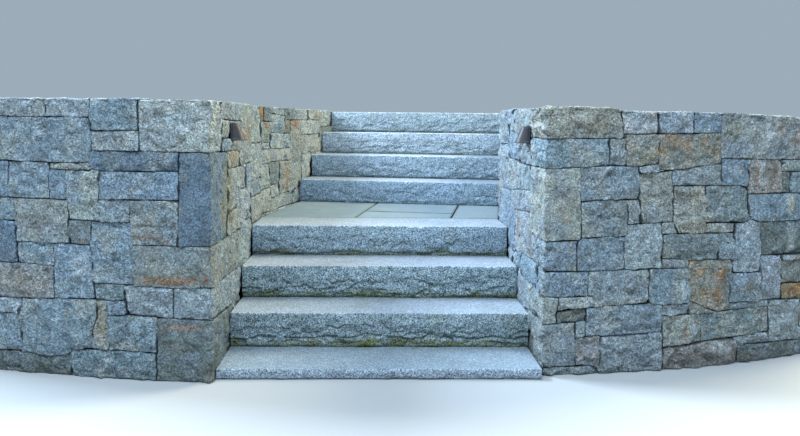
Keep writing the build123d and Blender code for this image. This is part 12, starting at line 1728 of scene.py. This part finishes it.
def bed_material():
    """Broken stone packed under the slabs."""
    m, nt, b = material("packed_stone", 0.95)
    tc = node(nt, "ShaderNodeTexCoord").outputs["Object"]
    cells = node(nt, "ShaderNodeTexVoronoi", Scale=22.0, feature="F1")
    nt.links.new(tc, cells.inputs["Vector"])
    bw = node(nt, "ShaderNodeRGBToBW")
    nt.links.new(cells.outputs["Color"], bw.inputs[0])
    gap = node(nt, "ShaderNodeTexVoronoi", Scale=22.0, feature="DISTANCE_TO_EDGE")
    nt.links.new(tc, gap.inputs["Vector"])
    c = mix(nt, "MIX", spread(nt, bw.outputs[0], 0.1, 0.9, 0, 1), tuple(srgb(104, 106, 104)), tuple(srgb(150, 148, 138)))
    c = scaled(nt, c, spread(nt, noise_node(nt, tc, 160, 3, 0.6), 0.3, 0.7, 0.8, 1.2))
    # painted shade: the gaps between the broken stones are darkened
    c = scaled(nt, c, spread(nt, gap.outputs["Distance"], 0.0, 0.12, 0.35, 1.0))
    nt.links.new(c, b.inputs["Base Color"])
    bumps(nt, b, [(spread(nt, gap.outputs["Distance"], 0.0, 0.2, 0, 1), 1.0, 0.02), (noise_node(nt, tc, 120, 3, 0.6), 0.7, 0.004)])
    return m


def bluestone_material():
    m, nt, b = material("bluestone", 0.8)
    g = attribute(nt, "grain").outputs["Vector"]
    tint = attribute(nt, "tint").outputs["Color"]
    n2, n3 = noise_node(nt, g, 60, 4, 0.65), noise_node(nt, g, 300, 2, 0.6)
    v = maths(nt, "MULTIPLY", spread(nt, n2, 0.3, 0.7, 0.90, 1.10), spread(nt, n3, 0.3, 0.7, 0.86, 1.14))
    nt.links.new(scaled(nt, tint, v), b.inputs["Base Color"])
    nt.links.new(spread(nt, n2, 0.3, 0.7, 0.62, 0.82), b.inputs["Roughness"])
    bumps(nt, b, [(noise_node(nt, g, 9, 3, 0.5), 0.4, 0.006), (n2, 0.5, 0.0016), (n3, 0.5, 0.0006)])
    return m


def bronze_material():
    m, nt, b = material("dark_bronze", 0.5)
    tc = node(nt, "ShaderNodeTexCoord").outputs["Object"]
    n1, n2 = noise_node(nt, tc, 60, 4, 0.6), noise_node(nt, tc, 900, 2, 0.6)
    c = mix(nt, "MIX", spread(nt, n1, 0.35, 0.7, 0, 1), tuple(srgb(36, 36, 40)), tuple(srgb(52, 51, 55)))
    c = scaled(nt, c, spread(nt, n2, 0.3, 0.7, 0.85, 1.15))
    nt.links.new(c, b.inputs["Base Color"])
    b.inputs["Metallic"].default_value = 0.25
    nt.links.new(spread(nt, n1, 0.3, 0.7, 0.40, 0.58), b.inputs["Roughness"])
    bumps(nt, b, [(n2, 0.35, 0.0003)])
    return m


def lens_material():
    m, nt, b = material("frosted_glass", 0.45)
    tc = node(nt, "ShaderNodeTexCoord").outputs["Object"]
    n1, n2 = noise_node(nt, tc, 90, 3, 0.6), noise_node(nt, tc, 1400, 2, 0.5)
    c = mix(nt, "MIX", spread(nt, n1, 0.35, 0.7, 0, 1), tuple(srgb(206, 206, 196)), tuple(srgb(226, 228, 222)))
    nt.links.new(c, b.inputs["Base Color"])
    nt.links.new(spread(nt, n1, 0.3, 0.7, 0.38, 0.55), b.inputs["Roughness"])
    b.inputs["Transmission Weight"].default_value = 0.25
    bumps(nt, b, [(n2, 0.4, 0.0002)])
    return m


FIELD, CORE, BED = stone_material(), core_material(), bed_material()
GRANITE_FACE = granite_material("granite_slab", 205.0, 0.84)
BLUE, BRONZE, LENS = bluestone_material(), bronze_material(), lens_material()


# ---------------------------------------------------------------- walls
def load_stones(face, rows):
    """The pasted outlines in metres, with any corner notch squared up to the corner it turns."""
    for row in rows:
        kind, flat, seam = row[0], row[1], (row[2] if len(row) > 2 else None)
        q = np.array(flat, float).reshape(-1, 2) / 1000
        c = None
        if seam is not None:
            c, t = min(face.hard, key=lambda h: abs(h[0] - seam / 1000))
            i = int(np.argmin(abs(q[:, 0] - seam / 1000) + abs(q[:, 1] - face.top)))
            q[i] = (c, face.top)
            for j in (i - 1, (i + 1) % len(q)):
                q[j, 1] = face.top + abs(q[j, 0] - c) * t
        yield kind, q, c


def inset_plan(face, ranges, depth=0.045):
    """Plan points and top heights along parts of a wall's outline, that far in from its faces."""
    pts, tops = [], []
    for a, b in ranges:
        n = max(2, int(abs(b - a) / 0.08))
        s = a + (b - a) * np.arange(n + 1) / n
        su = np.c_[s, np.full(len(s), 0.5)]
        q = face.deep(su, depth)
        z = np.interp(s, face.S, face.Z) - 0.045
        for p, zt in zip(q[:, :2], z):
            if not pts or np.hypot(*(p - pts[-1])) > 0.006:
                pts.append(p)
                tops.append(zt)
    if np.hypot(*(pts[0] - pts[-1])) < 0.006:
        pts.pop()
        tops.pop()
    pts, tops = np.array(pts), np.array(tops)
    area = 0.5 * np.sum(pts[:, 0] * np.roll(pts[:, 1], -1) - np.roll(pts[:, 0], -1) * pts[:, 1])
    return (pts, tops) if area > 0 else (pts[::-1], tops[::-1])


faces = {side: WallFace(side) for side in (-1, 1)}
faces[-1].stains, faces[1].stains = LEFT_STAINS_AND_PIT_SHADE, RIGHT_STAINS
made = []
for side, rows in ((-1, LEFT_STONES), (1, RIGHT_STONES)):
    face = faces[side]
    word = "left" if side < 0 else "right"
    mk = face.marks
    parts = {"front_wall": Piece(), "cheek_wall_lower": Piece(), "cheek_wall_upper": Piece()}
    for i, (kind, q, seam) in enumerate(load_stones(face, rows)):
        s_mid, u_mid = (q[:, 0].min() + q[:, 0].max()) / 2, q[:, 1].mean()
        if s_mid <= 0:
            part = "front_wall"
        elif s_mid < mk["bend"] or s_mid > mk["bend_out"]:
            part = "cheek_wall_lower"
        else:
            part = "cheek_wall_upper"
        if mk["E1"] < s_mid <= 0.02:
            cell, lumpy, proud, speckle = 0.0082, 1.0, 0.0, 1.0
        elif 0.02 < s_mid < mk["bend"]:
            cell, lumpy, proud, speckle = 0.0100, (0.70, 0.64)[side > 0], 0.003, (0.80, 0.86)[side > 0]
        elif mk["bend"] <= s_mid < mk["K1"]:
            cell, lumpy, proud, speckle = 0.013, 0.66, 0.001, (0.80, 0.86)[side > 0]
        else:
            cell, lumpy, proud, speckle = 0.020, 1.0, 0.0, 1.0
        stone(parts[part], face, q, kind, 1000 * (2 + side) + i, cell, seam=seam, proud=proud, rough=lumpy, speckle=speckle)
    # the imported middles
    E1, E2, J, B, K1, K2, BO, END = mk["E1"], mk["E2"], mk["J"], mk["bend"], mk["K1"], mk["K2"], mk["bend_out"], face.end
    c_ = 0.052                                    # kept that far from the wall's corners, behind their worn arrises
    core(parts["front_wall"], *(lambda r: (r[0], 0.003, r[1]))(inset_plan(face, [(J + 0.02, E2 - c_), (E2 + c_, E1 - c_), (E1 + c_, -c_)])))
    core(parts["cheek_wall_lower"], *(lambda r: (r[0], 0.003, r[1]))(inset_plan(face, [(c_, B), (BO, END - 0.02)])))
    core(parts["cheek_wall_upper"], *(lambda r: (r[0], 0.003, r[1]))(inset_plan(face, [(B - 0.02, K1 - c_), (K1 + c_, K2 - c_), (K2 + c_, BO + 0.02)])))
    # the stone that fills the inner corner of the wall's top
    n_arc, n_cheek = face.raw[3], face.raw[-3]
    j = face.P[0]
    w1, w2 = 0.209, 0.209
    quad = [j + (-n_arc) * 0.004 + (-n_cheek) * 0.004, j - n_arc * w1 - n_cheek * 0.004, j - n_arc * w1 - n_cheek * w2, j - n_cheek * w2 - n_arc * 0.004]
    quad = np.array(quad)
    if np.sum(quad[:, 0] * np.roll(quad[:, 1], -1) - np.roll(quad[:, 0], -1) * quad[:, 1]) < 0:
        quad = quad[::-1]
    cap = PlainFace((0, 0, face.top - 0.002), (1, 0, 0), (0, 1, 0))
    stone(parts["cheek_wall_lower"], cap, quad, "buffgrey", 77 + side, 0.014, back=0.06)
    for part, p in parts.items():
        name = "%s_%s" % (word, part)
        o = p.make(name + "_stones", [FIELD, CORE])
        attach(o, "root")
        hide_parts(name)
        made.append(o)

# the rear wall under the top slab, seen only from the bank behind
rear = Piece()
kx, ky = up(UR, TOP_REAR)
back_face = PlainFace((kx, ky, 0), (-cos(TURN), sin(TURN), 0))
for i, (kind, q, seam) in enumerate(load_stones(back_face, REAR_STONES)):
    stone(rear, back_face, q, kind, 9000 + i, 0.020)
a0, a1 = RUN + 3 * GOING + DEPTH - 0.277, TOP_REAR - 0.045
ring = np.array([up(UL + 0.004, a0), up(UR - 0.004, a0), up(UR - 0.004, a1), up(UL + 0.004, a1)])
core(rear, ring, 0.003, 1.114)
o = rear.make("rear_wall_stones", [FIELD, CORE])
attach(o, "root"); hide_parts("rear_wall")


# ---------------------------------------------------------------- granite slabs
def slab(name, place, x0, x1, z0, z1, depth, seed, moss, seen=GOING, bulge=0.013, relief=1.0, shift=(1, 1, 1), low_part=1.0, crisp=1.0, rows=(), top=(1, 1, 1)):
    """A granite slab: rock-faced front, textured top, as one closed displaced mesh.
    place(x, a) gives the plan point x along the slab and a back from its front."""
    rng = np.random.default_rng(seed)
    off = rng.uniform(0, 60, 3)
    H = z1 - z0
    step_x = 0.0068
    nx = int((x1 - x0) / step_x)
    xs = x0 + (x1 - x0) * np.arange(nx + 1) / nx
    nf = max(6, int(H / 0.0054))
    sec = []                                      # (a, z, front share, top share)
    for i in range(nf):
        v = i / nf
        sec.append((0.0, z0 + H * v, 1.0, 0.0))
    for ang in (0, 30, 60, 90):
        r = 0.003
        t = radians(ang)
        sec.append((r - r * cos(t), z1 - r + r * sin(t), cos(t), sin(t)))
    at = 0.003
    while at < seen - 0.004:
        at += 0.006 if at < 0.02 else 0.013
        sec.append((min(at, seen), z1, 0.0, 1.0))
    for v in (seen + 0.012, depth):
        sec.append((min(v, depth), z1, 0.0, 0.6))
    sec += [(depth, z0 + H * 0.5, 0.0, 0.0), (depth, z0, 0.0, 0.0), (depth * 0.5, z0, 0.0, 0.0)]
    sec = np.array(sec)
    m = len(sec)
    X, I = np.meshgrid(xs, np.arange(m), indexing="ij")
    X, I = X.ravel(), I.ravel()
    A, Z, f, t = sec[I, 0], sec[I, 1], sec[I, 2], sec[I, 3]
    p = np.c_[X, A, Z]
    v = (Z - z0) / H
    big = fbm(p / [0.20, 0.09, 0.11] + off, 2, 3)
    lump = 1 - 2 * np.abs(noise(p / [0.085, 0.05, 0.055] + off + 9, 11))
    lump2 = 1 - 2 * np.abs(noise(p / [0.040, 0.03, 0.026] + off + 19, 12))
    xz = np.c_[X, Z] + np.stack([big, lump2], 1) * 0.008
    lo_, hi_ = np.array([x0, z0]), np.array([x1, z1])
    struck = dishes(xz, rng, lo_, hi_, (0.110, 0.060), (0.036, 0.085), (0.006, 0.0165)) + dishes(xz, rng, lo_, hi_, (0.048, 0.028), (0.013, 0.030), (0.0020, 0.0060))
    small = fbm(p / 0.016 + off, 2, 17)
    ledge, shade = flakes(xz, rng, lo_, hi_, (0.120, 0.085), (0.035, 0.120), (0.0045, 0.0110), (0.025, 0.070), 0.25)
    ledge2, shade2 = flakes(xz, rng, lo_, hi_, (0.060, 0.050), (0.014, 0.040), (0.0020, 0.0050), (0.010, 0.030), 0.5)
    broken = facets(xz, rng, lo_, hi_, 0.050, (0.08, 0.38), 0.0022, 0.004, 1.5) + facets(xz, rng, lo_, hi_, 0.022, (0.08, 0.32), 0.0008, 0.003, 1.2)
    # most of the breaks are low on the face; its upper half is nearly flat
    low = 1 - low_part * 0.75 * ramp(v + 0.12 * big, 0.40, 0.80)
    struck = (struck * 0.5 + ledge + ledge2) * low * relief + broken * (0.4 + 0.6 * low) * relief
    shade = np.maximum(shade, shade2 * 0.7) * low
    # ragged ledges that run along the face: (height, swing, how rare, drop, reach)
    line = np.c_[X, np.zeros(len(X)), np.zeros(len(X))]
    for k_, (vc, swing, rare, drop, reach) in enumerate(rows):
        lift = off + 13.7 * (k_ + 1)
        zl = z0 + H * (vc + swing * fbm(line / 0.11 + lift, 3, 91 + k_)) + 0.0022 * noise(line / 0.012 + lift, 97)
        here = ramp(fbm(line / 0.080 + lift + 7, 2, 93 + k_), rare - 0.10, rare + 0.10)
        t_ = (zl - Z) / reach
        struck = struck - here * drop * np.clip(t_ * reach / 0.004, 0, 1) * np.clip(1 - t_, 0, 1) ** 0.8
        shade = np.maximum(shade, here * np.clip((zl - Z) / 0.003, 0, 1) * np.clip(1.25 - (zl - Z) / 0.010, 0, 1))
    # how far the front stands out: full in the middle, in at the foot, ragged at the arris
    prof = np.sin(pi * np.clip(v * 0.86 + 0.10, 0, 1)) ** 0.8
    out = prof * bulge + (0.35 + 0.65 * np.sin(pi * np.clip(v, 0, 1)) ** 0.5) * ((0.0045 * big + 0.0018 * lump + 0.0018 * lump2 + 0.0014 * small) * relief + struck)
    if H < 0.1:
        out *= 0.45
    foot = (1 - ramp(v, 0.0, 0.09)) * (0.007 + 0.005 * ramp(lump, -0.3, 0.6))
    out = out - foot
    # chips that break the top arris, the same seen from the face and from the top
    q = np.c_[X, np.zeros(len(X)), np.zeros(len(X))]
    chips = ramp(fbm(q / 0.055 + off + 3, 3, 23), 0.05, 0.6) * 0.0075 + ramp(fbm(q / 0.018 + off + 5, 2, 29), 0.0, 0.6) * 0.003
    near = np.clip(1 - np.hypot(A, z1 - Z) / 0.022, 0, 1) ** 1.5
    dy = -out * f + near * chips * 0.9 * t
    dz = -near * chips * 0.55 - near * chips * 0.2 * f
    dz = dz + t * (0.0007 * noise(p / 0.06 + off, 31) + 0.0004 * noise(p / 0.018 + off, 37))
    ends = np.where((X <= x0 + 1e-9) | (X >= x1 - 1e-9), 0.0, 1.0)
    px, py = place(X, A + dy)
    co = np.c_[px, py, Z + dz]
    tri = []
    ids = np.arange((nx + 1) * m).reshape(nx + 1, m)
    nxt = np.roll(ids, -1, 1)
    a, b, c, d = ids[:-1], ids[1:], nxt[1:], nxt[:-1]
    tri = np.concatenate([np.stack([a, b, c], 2).reshape(-1, 3), np.stack([a, c, d], 2).reshape(-1, 3)])
    # colour
    # the per-step scales shift (risers) and top (treads) are partly tint and partly painted light and shade: they set
    # each step as lit or shaded
    riser, tread = srgb(143, 158, 170) * np.array(shift) ** 2.2, srgb(151, 165, 178)
    # painted shade: each tread grows darker from its front edge towards the riser behind, which shades it
    tread = tread * np.array(top) ** 2.2 * (1.06 - 0.20 * ramp(A, 0.015, seen))[:, None]
    col = riser * f[:, None] + tread * (1 - f)[:, None]
    col = col * (1 + 0.08 * big + (0.03 + 0.07 * f) * lump2 + 0.08 * small * f)[:, None]
    # pale bruised arris, with a painted highlight where light catches the top edge
    bright = np.clip(1 - np.hypot(A, z1 - Z) / 0.016, 0, 1)[:, None]
    col = col * (1 + 0.16 * bright)
    # moss and soil at the foot of the face, in streaks, and along the back of the tread
    streak = ramp(fbm(np.c_[X / 0.05, Z * 0 + 3, Z / 0.16] + off, 3, 43), -0.25, 0.55)
    wave = fbm(np.c_[X, np.zeros(len(X)), np.zeros(len(X))] / 0.075 + off + 61, 3, 67)
    edge_m = 0.02 + 0.13 * moss + 0.05 * lump2 + 0.16 * wave
    foot_m = (1 - ramp(v, edge_m - 0.05, edge_m + 0.10)) * f * (0.55 + 0.45 * streak) * min(1.0, moss) * 0.82
    back_m = ramp(A, seen - 0.050, seen - 0.004) * t * (0.35 + 0.65 * streak) * min(1.0, 0.35 + 0.5 * moss)
    wash = ramp(fbm(p / 0.13 + off, 3, 47), 0.05, 0.6) * 0.16 * moss
    mm = np.clip(foot_m * 1.0 + back_m * 0.55 + wash, 0, 0.94)[:, None]
    col = col * (1 - mm) + srgb(100, 106, 50) * mm
    # under the ledges: dark olive, partly moss and partly painted shade beneath each overhang
    under = (np.clip(shade * 1.3, 0, 1) * f * (0.30 + 0.55 * moss))[:, None]
    col = col * (1 - under) + srgb(60, 68, 34) * under
    P = Piece()
    P.add(co, tri, np.clip(col, 0.004, 0.9), np.clip(0.54 + (crisp - 0.54) * f, 0, 2), np.c_[X, A, Z] + off * 0.07, np.clip(0.22 + (0.20 + 0.58 * relief) * f, 0, 1))
    # the two ends
    for end, base in ((0, ids[0]), (1, ids[-1])):
        ring = co[base]
        sec2 = [Vector((A[k], Z[k])) for k in base]
        vc, _, ft, orig, _, _ = delaunay_2d_cdt(sec2, [], [list(range(m))], 1, 1e-7)
        mp = [o_[0] for o_ in orig]
        ft = np.array([(mp[q_[0]], mp[q_[k]], mp[q_[k + 1]]) for q_ in ft for k in range(1, len(q_) - 1)])
        # the end faces are painted 10 % darker, shade in the narrow gap at the wall
        P.add(ring, ft if end else ft[:, ::-1], np.clip(col[base] * 0.9, 0.004, 0.9), 0.5, np.c_[X, A, Z][base] + off * 0.07, 0.5)
    o = P.make(name + "_granite", [GRANITE_FACE])
    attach(o, "root"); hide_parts(name)
    return o


def lower_place(k):
    y = riser_y(k)
    return lambda x, a: (x, y + a)


def upper_place(k):
    a0 = RUN + GOING * (k - 4)
    return lambda x, a: (x * cos(TURN) + (a0 + a) * sin(TURN), PIVOT - x * sin(TURN) + (a0 + a) * cos(TURN))


L2 = LEN / 2
slab("ground_slab", lower_place(0), -L2, L2, 0.0, tread_z(0), DEPTH, 501, 0.5, top=(0.975, 0.985, 0.97))
for k in (1, 2, 3):
    # shift and top per step are partly painted light and shade
    slab("step_%d" % k, lower_place(k), -L2, L2, tread_z(k - 1), tread_z(k), DEPTH, 510 + k, (0, 1.0, 0.85, 0.80)[k], seen=GOING if k < 3 else DEPTH - 0.004,
         relief=(0, 0.9, 0.85, 0.65)[k], shift=(0, (0.90, 0.915, 0.885), (0.92, 0.945, 0.915), (0.925, 0.95, 0.945))[k], crisp=1.15, top=(0, (1.05, 1.03, 1.01), (1.03, 1.0, 0.98), (1.0, 0.98, 0.955))[k],
         rows=((), ((0.34, 0.20, -0.45, 0.0100, 0.060), (0.62, 0.30, 0.12, 0.0050, 0.022), (0.16, 0.16, -0.05, 0.0060, 0.020)),
               ((0.56, 0.34, 0.0, 0.0065, 0.024), (0.34, 0.26, -0.05, 0.0065, 0.024), (0.13, 0.12, -0.25, 0.0070, 0.018)),
               ((0.13, 0.12, -0.55, 0.0080, 0.020), (0.42, 0.34, 0.22, 0.0045, 0.020)))[k])

for k in (4, 5, 6, 7):
    # top darkens the upper treads: painted shade set against the stronger light that reaches them
    slab("step_%d" % k, upper_place(k), UL + GAP, UR - GAP, tread_z(k - 1), tread_z(k), DEPTH, 520 + k, 0.35, seen=GOING if k < 7 else DEPTH - 0.004,
         bulge=0.010, relief=0.45, shift=((0.915, 0.955, 0.975), (0.965, 0.985, 0.985), (1.0, 0.99, 0.97), (0.94, 0.94, 0.91))[k - 4], crisp=0.88, top=(0.89, 0.885, 0.88),
         rows=((0.30, 0.32, 0.02, 0.0050, 0.020), (0.56, 0.34, 0.20, 0.0042, 0.018), (0.12, 0.12, -0.10, 0.0050, 0.014)))

# ---------------------------------------------------------------- bluestone flags
def to_la(x, y):
    return (x * cos(TURN) - (y - PIVOT) * sin(TURN), x * sin(TURN) + (y - PIVOT) * cos(TURN))


def cut(poly, axis, limit, keep_low):
    """An outline's part on one side of a line across l (axis 0) or a (axis 1)."""
    out = []
    for p, q in zip(poly, poly[1:] + poly[:1]):
        pin, qin = (p[axis] <= limit) == keep_low, (q[axis] <= limit) == keep_low
        if pin:
            out.append(p)
        if pin != qin:
            t = (limit - p[axis]) / (q[axis] - p[axis])
            out.append((p[0] + t * (q[0] - p[0]), p[1] + t * (q[1] - p[1])))
    return out


lb = np.array(to_la(*faces[-1].P[np.searchsorted(faces[-1].S, faces[-1].marks["bend"])]))
y_front = REAR3 + 0.008


def on_line(l):
    return (l, (y_front - PIVOT + l * sin(TURN)) / cos(TURN))


whole = [to_la(-HALF + GAP, y_front), (lb[0] + GAP * 1.01, lb[1]), (UL + GAP, RUN - 0.004), (UR - GAP, RUN - 0.004), on_line(UR - GAP)][::-1]
fall = math.atan2(0.0097, RUN)
flag_face = PlainFace((*up(0, 0), tread_z(3)), (cos(TURN), -sin(TURN), 0), (sin(TURN) * cos(fall), cos(TURN) * cos(fall), sin(fall)))
LJ, RJ, CJ, HJ = -0.163, 0.454, 0.309, 0.005
mid = cut(cut(whole, 0, LJ + HJ, False), 0, RJ - HJ, True)
HC = 0.0095
flags = {"landing_flag_left": (cut(whole, 0, LJ - HJ, True), (116, 133, 140)), "landing_flag_middle_front": (cut(mid, 1, CJ - HC, True), (121, 138, 144)),
         "landing_flag_middle_rear": (cut(mid, 1, CJ + HC, False), (112, 129, 137)), "landing_flag_right": (cut(whole, 0, RJ + HJ, False), (123, 137, 142))}
for i, (name, (outline, tone)) in enumerate(flags.items()):
    outline = np.array(outline)
    if np.sum(outline[:, 0] * np.roll(outline[:, 1], -1) - np.roll(outline[:, 0], -1) * outline[:, 1]) < 0:
        outline = outline[::-1]
    rng = np.random.default_rng(300 + i)
    co, tri, border, _ = triangulate(outline, None, 99.0, 0.014, rng)
    bp = co[border]
    d = distance_to(co, bp, np.roll(bp, -1, 0))
    off = rng.uniform(0, 40, 3)
    p3 = np.c_[co, np.zeros(len(co))]
    h = 0.0010 * noise(p3 / 0.11 + off, 3) + 0.0005 * noise(p3 / 0.03 + off, 5) - 0.003 * (1 - np.clip(d / 0.006, 0, 1)) ** 2
    base, nrm = flag_face.base(co)
    pos = base + nrm * h[:, None]
    n1, n2 = fbm(p3 / 0.16 + off, 3, 7), fbm(p3 / 0.035 + off, 2, 8)
    col = srgb(*tone) * (1 + 0.10 * n1 + 0.05 * n2)[:, None]
    warm = ramp(n1, 0.1, 0.7)[:, None] * 0.25
    col = col * (1 - warm) + srgb(150, 152, 140) * warm
    rim = (1 - ramp(d, 0.002, 0.016 + 0.006 * n2))[:, None] * 0.55
    if "middle" in name:
        rim = np.maximum(rim, (1 - ramp(abs(co[:, 1] - CJ), HC + 0.004, HC + 0.014))[:, None])
    col = col * (1 - rim) + srgb(88, 95, 86) * rim
    P = Piece()
    grain = p3 + off * 0.1
    P.add(pos, tri, np.clip(col, 0.004, 0.9), 1.0, grain, 0.3)
    nb = len(border)
    a = np.arange(nb)
    b = (a + 1) % nb
    low = base[border].copy()
    low[:, 2] = tread_z(3) - 0.050
    # the sides are painted 10 % darker, shade in the joints between the flags
    P.add(np.concatenate([pos[border], low]), np.concatenate([np.stack([a, a + nb, b], 1), np.stack([b, a + nb, b + nb], 1)]),
          np.clip(np.concatenate([col[border] * 0.9] * 2), 0.004, 0.9), 0.0, np.concatenate([grain[border]] * 2), 0.3)
    P.add(low, np.array([(0, k + 1, k) for k in range(1, nb - 1)]), srgb(96, 102, 100), 0.0, low, 0.3)
    o = P.make(name + "_stone", [BLUE])
    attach(o, "root"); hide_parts(name)


def dress(name, mat, bevel=None):
    o = nodes[name]
    o.data.materials.clear()
    o.data.materials.append(mat)
    if bevel:
        b = o.modifiers.new("worn_edge", "BEVEL")
        b.width = bevel
        b.segments = 3
        b.limit_method = "ANGLE"
        b.angle_limit = radians(30)
        b.harden_normals = False
    return o


for n in ("lower_flight_bed", "landing_bed", "upper_flight_bed"):
    dress(n, BED)
def hood(name, way):
    """A half-cone sheet hood with a rolled foot and a rounded top edge, bulging to +X (1) or -X (-1)."""
    src = nodes[name]
    pts = np.array([src.matrix_world @ v.co for v in src.data.vertices])
    lo, hi = pts.min(0), pts.max(0)
    x0, yc, zf, zh = (lo[0] if way > 0 else hi[0]), (lo[1] + hi[1]) / 2, lo[2], hi[2]
    r, skin = 0.005, 0.003
    prof = [(zf + 0.0002, 0.0008), (zf, -0.0004), (zf + 0.0006, -0.0014), (zf + 0.0022, -0.0018), (zf + 0.0038, -0.0013), (zf + 0.0048, 0.0)]
    prof += [(zf + 0.0048 + (zh - r - zf - 0.0048) * k / 9, 0.0) for k in range(1, 10)]
    prof += [(zh - r + r * sin(radians(a)), r * (1 - cos(radians(a)))) for a in (22, 45, 68, 90)]
    prof += [(zh, None, s) for s in (0.6, 0.25, 0.0)] + [(zh - skin, None, s) for s in (0.0, 0.5)]
    prof += [(zh - skin - (zh - skin - zf) * k / 6, skin) for k in range(7)]
    nt_ = 44
    th = np.linspace(-pi / 2, pi / 2, nt_ + 1)
    m = len(prof)
    co = np.zeros((nt_ + 1, m, 3))
    for j, row in enumerate(prof):
        z, cut = row[0], row[1]
        share = (z - zf) / (zh - zf)
        half, depth = 0.050 + (0.028 - 0.050) * share, 0.067 + (0.030 - 0.067) * share
        if cut is None:
            half, depth = (half - r) * row[2], (depth - r) * row[2]
        else:
            half, depth = half - cut, depth - cut
        co[:, j] = np.c_[x0 + way * depth * np.cos(th), yc + half * np.sin(th), np.full(nt_ + 1, z)]
    n1 = fbm(co.reshape(-1, 3) / 0.05, 2, 5)
    ids = np.arange((nt_ + 1) * m).reshape(nt_ + 1, m)
    nxt = np.roll(ids, -1, 1)
    a, b, c, d = ids[:-1], ids[1:], nxt[1:], nxt[:-1]
    tri = np.concatenate([np.stack([a, b, c], 2).reshape(-1, 3), np.stack([a, c, d], 2).reshape(-1, 3)])
    P = Piece()
    flat = co.reshape(-1, 3)
    P.add(flat, tri, srgb(70, 68, 74), 0.5, flat, np.clip(0.5 + n1, 0, 1), flip=way < 0)
    for k, col_ in ((0, 0), (1, nt_)):
        ring = co[col_]
        vc, _, ft, orig, _, _ = delaunay_2d_cdt([Vector((q[1] - yc, q[2])) for q in ring], [], [list(range(m))], 1, 1e-7)
        mp = [min(o_) for o_ in orig]
        ft = np.array([(mp[q_[0]], mp[q_[i]], mp[q_[i + 1]]) for q_ in ft for i in range(1, len(q_) - 1)])
        P.add(ring, ft, srgb(60, 58, 62), 0.5, ring, 0.5, flip=(way > 0))
    o = P.make(name.replace("_hood", "_cone"), [BRONZE])
    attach(o, "root"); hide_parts(name)


for w in ("left", "right"):
    dress(w + "_light_plate", BRONZE, 0.0006)
    hood(w + "_light_hood", 1 if w == "left" else -1)
    dress(w + "_light_lens", LENS)

# ---------------------------------------------------------------- floor, light, camera
me = bpy.data.meshes.new("floor")
me.from_pydata([(-14, -12, -0.001), (14, -12, -0.001), (14, 16, -0.001), (-14, 16, -0.001)], [], [(0, 1, 2, 3)])
floor = bpy.data.objects.new("floor", me)
bpy.context.scene.collection.objects.link(floor)
fm, fnt, fb = material("floor", 0.9)
fb.inputs["Base Color"].default_value = (*srgb(190, 192, 191), 1)
fb.inputs["Specular IOR Level"].default_value = 0.1
me.materials.append(fm)

world = bpy.data.worlds.new("studio")
world.use_nodes = True
bg = world.node_tree.nodes["Background"]
bg.inputs["Color"].default_value = (0.335, 0.415, 0.485, 1)
bg.inputs["Strength"].default_value = 1.0
bpy.context.scene.world = world


def area(name, place, target, size, power, colour):
    d = bpy.data.lights.new(name, "AREA")
    d.shape = "RECTANGLE"
    d.size, d.size_y = size
    d.energy = power
    d.color = colour
    o = bpy.data.objects.new(name, d)
    o.location = place
    o.rotation_euler = (Vector(target) - Vector(place)).to_track_quat("-Z", "Y").to_euler()
    bpy.context.scene.collection.objects.link(o)
    return o


area("high_front", (-0.6, -4.0, 6.2), (0.0, 0.6, 0.5), (8.0, 0.9), 600, (0.685, 0.826, 1.0))
area("left_back", (-4.6, 2.2, 4.8), (0.8, 1.0, 0.7), (2.6, 2.6), 1100, (0.66, 0.81, 1.0))
area("right_back", (4.6, 2.6, 4.8), (-0.8, 1.0, 0.7), (2.6, 2.6), 640, (1.0, 0.93, 0.69))

cam = bpy.data.cameras.new("camera")
cam_o = bpy.data.objects.new("camera", cam)
bpy.context.scene.collection.objects.link(cam_o)
psi, pitch, roll = 0.031, radians(3.0), 0.011
f0 = Vector((sin(psi), cos(psi), 0))
r0 = Vector((cos(psi), -sin(psi), 0))
zu = Vector((0, 0, 1))
fwd = f0 * cos(pitch) - zu * sin(pitch)
dwn = -f0 * sin(pitch) - zu * cos(pitch)
right = r0 * cos(roll) - dwn * sin(roll)
down = r0 * sin(roll) + dwn * cos(roll)
rot = Matrix((right, -down, -fwd)).transposed()
cam_o.rotation_mode = "QUATERNION"
cam_o.rotation_quaternion = rot.to_quaternion()
cam_o.location = (-0.0239, -3.4164 + FRONT, SHOW + 1.1529)
cam.sensor_width = 36.0
cam.lens = 740.86 / 800 * 36
cam.shift_x, cam.shift_y = 0.0, (161.56 - 218) / 800
cam.clip_start, cam.clip_end = 0.05, 100
bpy.context.scene.camera = cam_o
bpy.context.scene.view_settings.view_transform = "Standard"
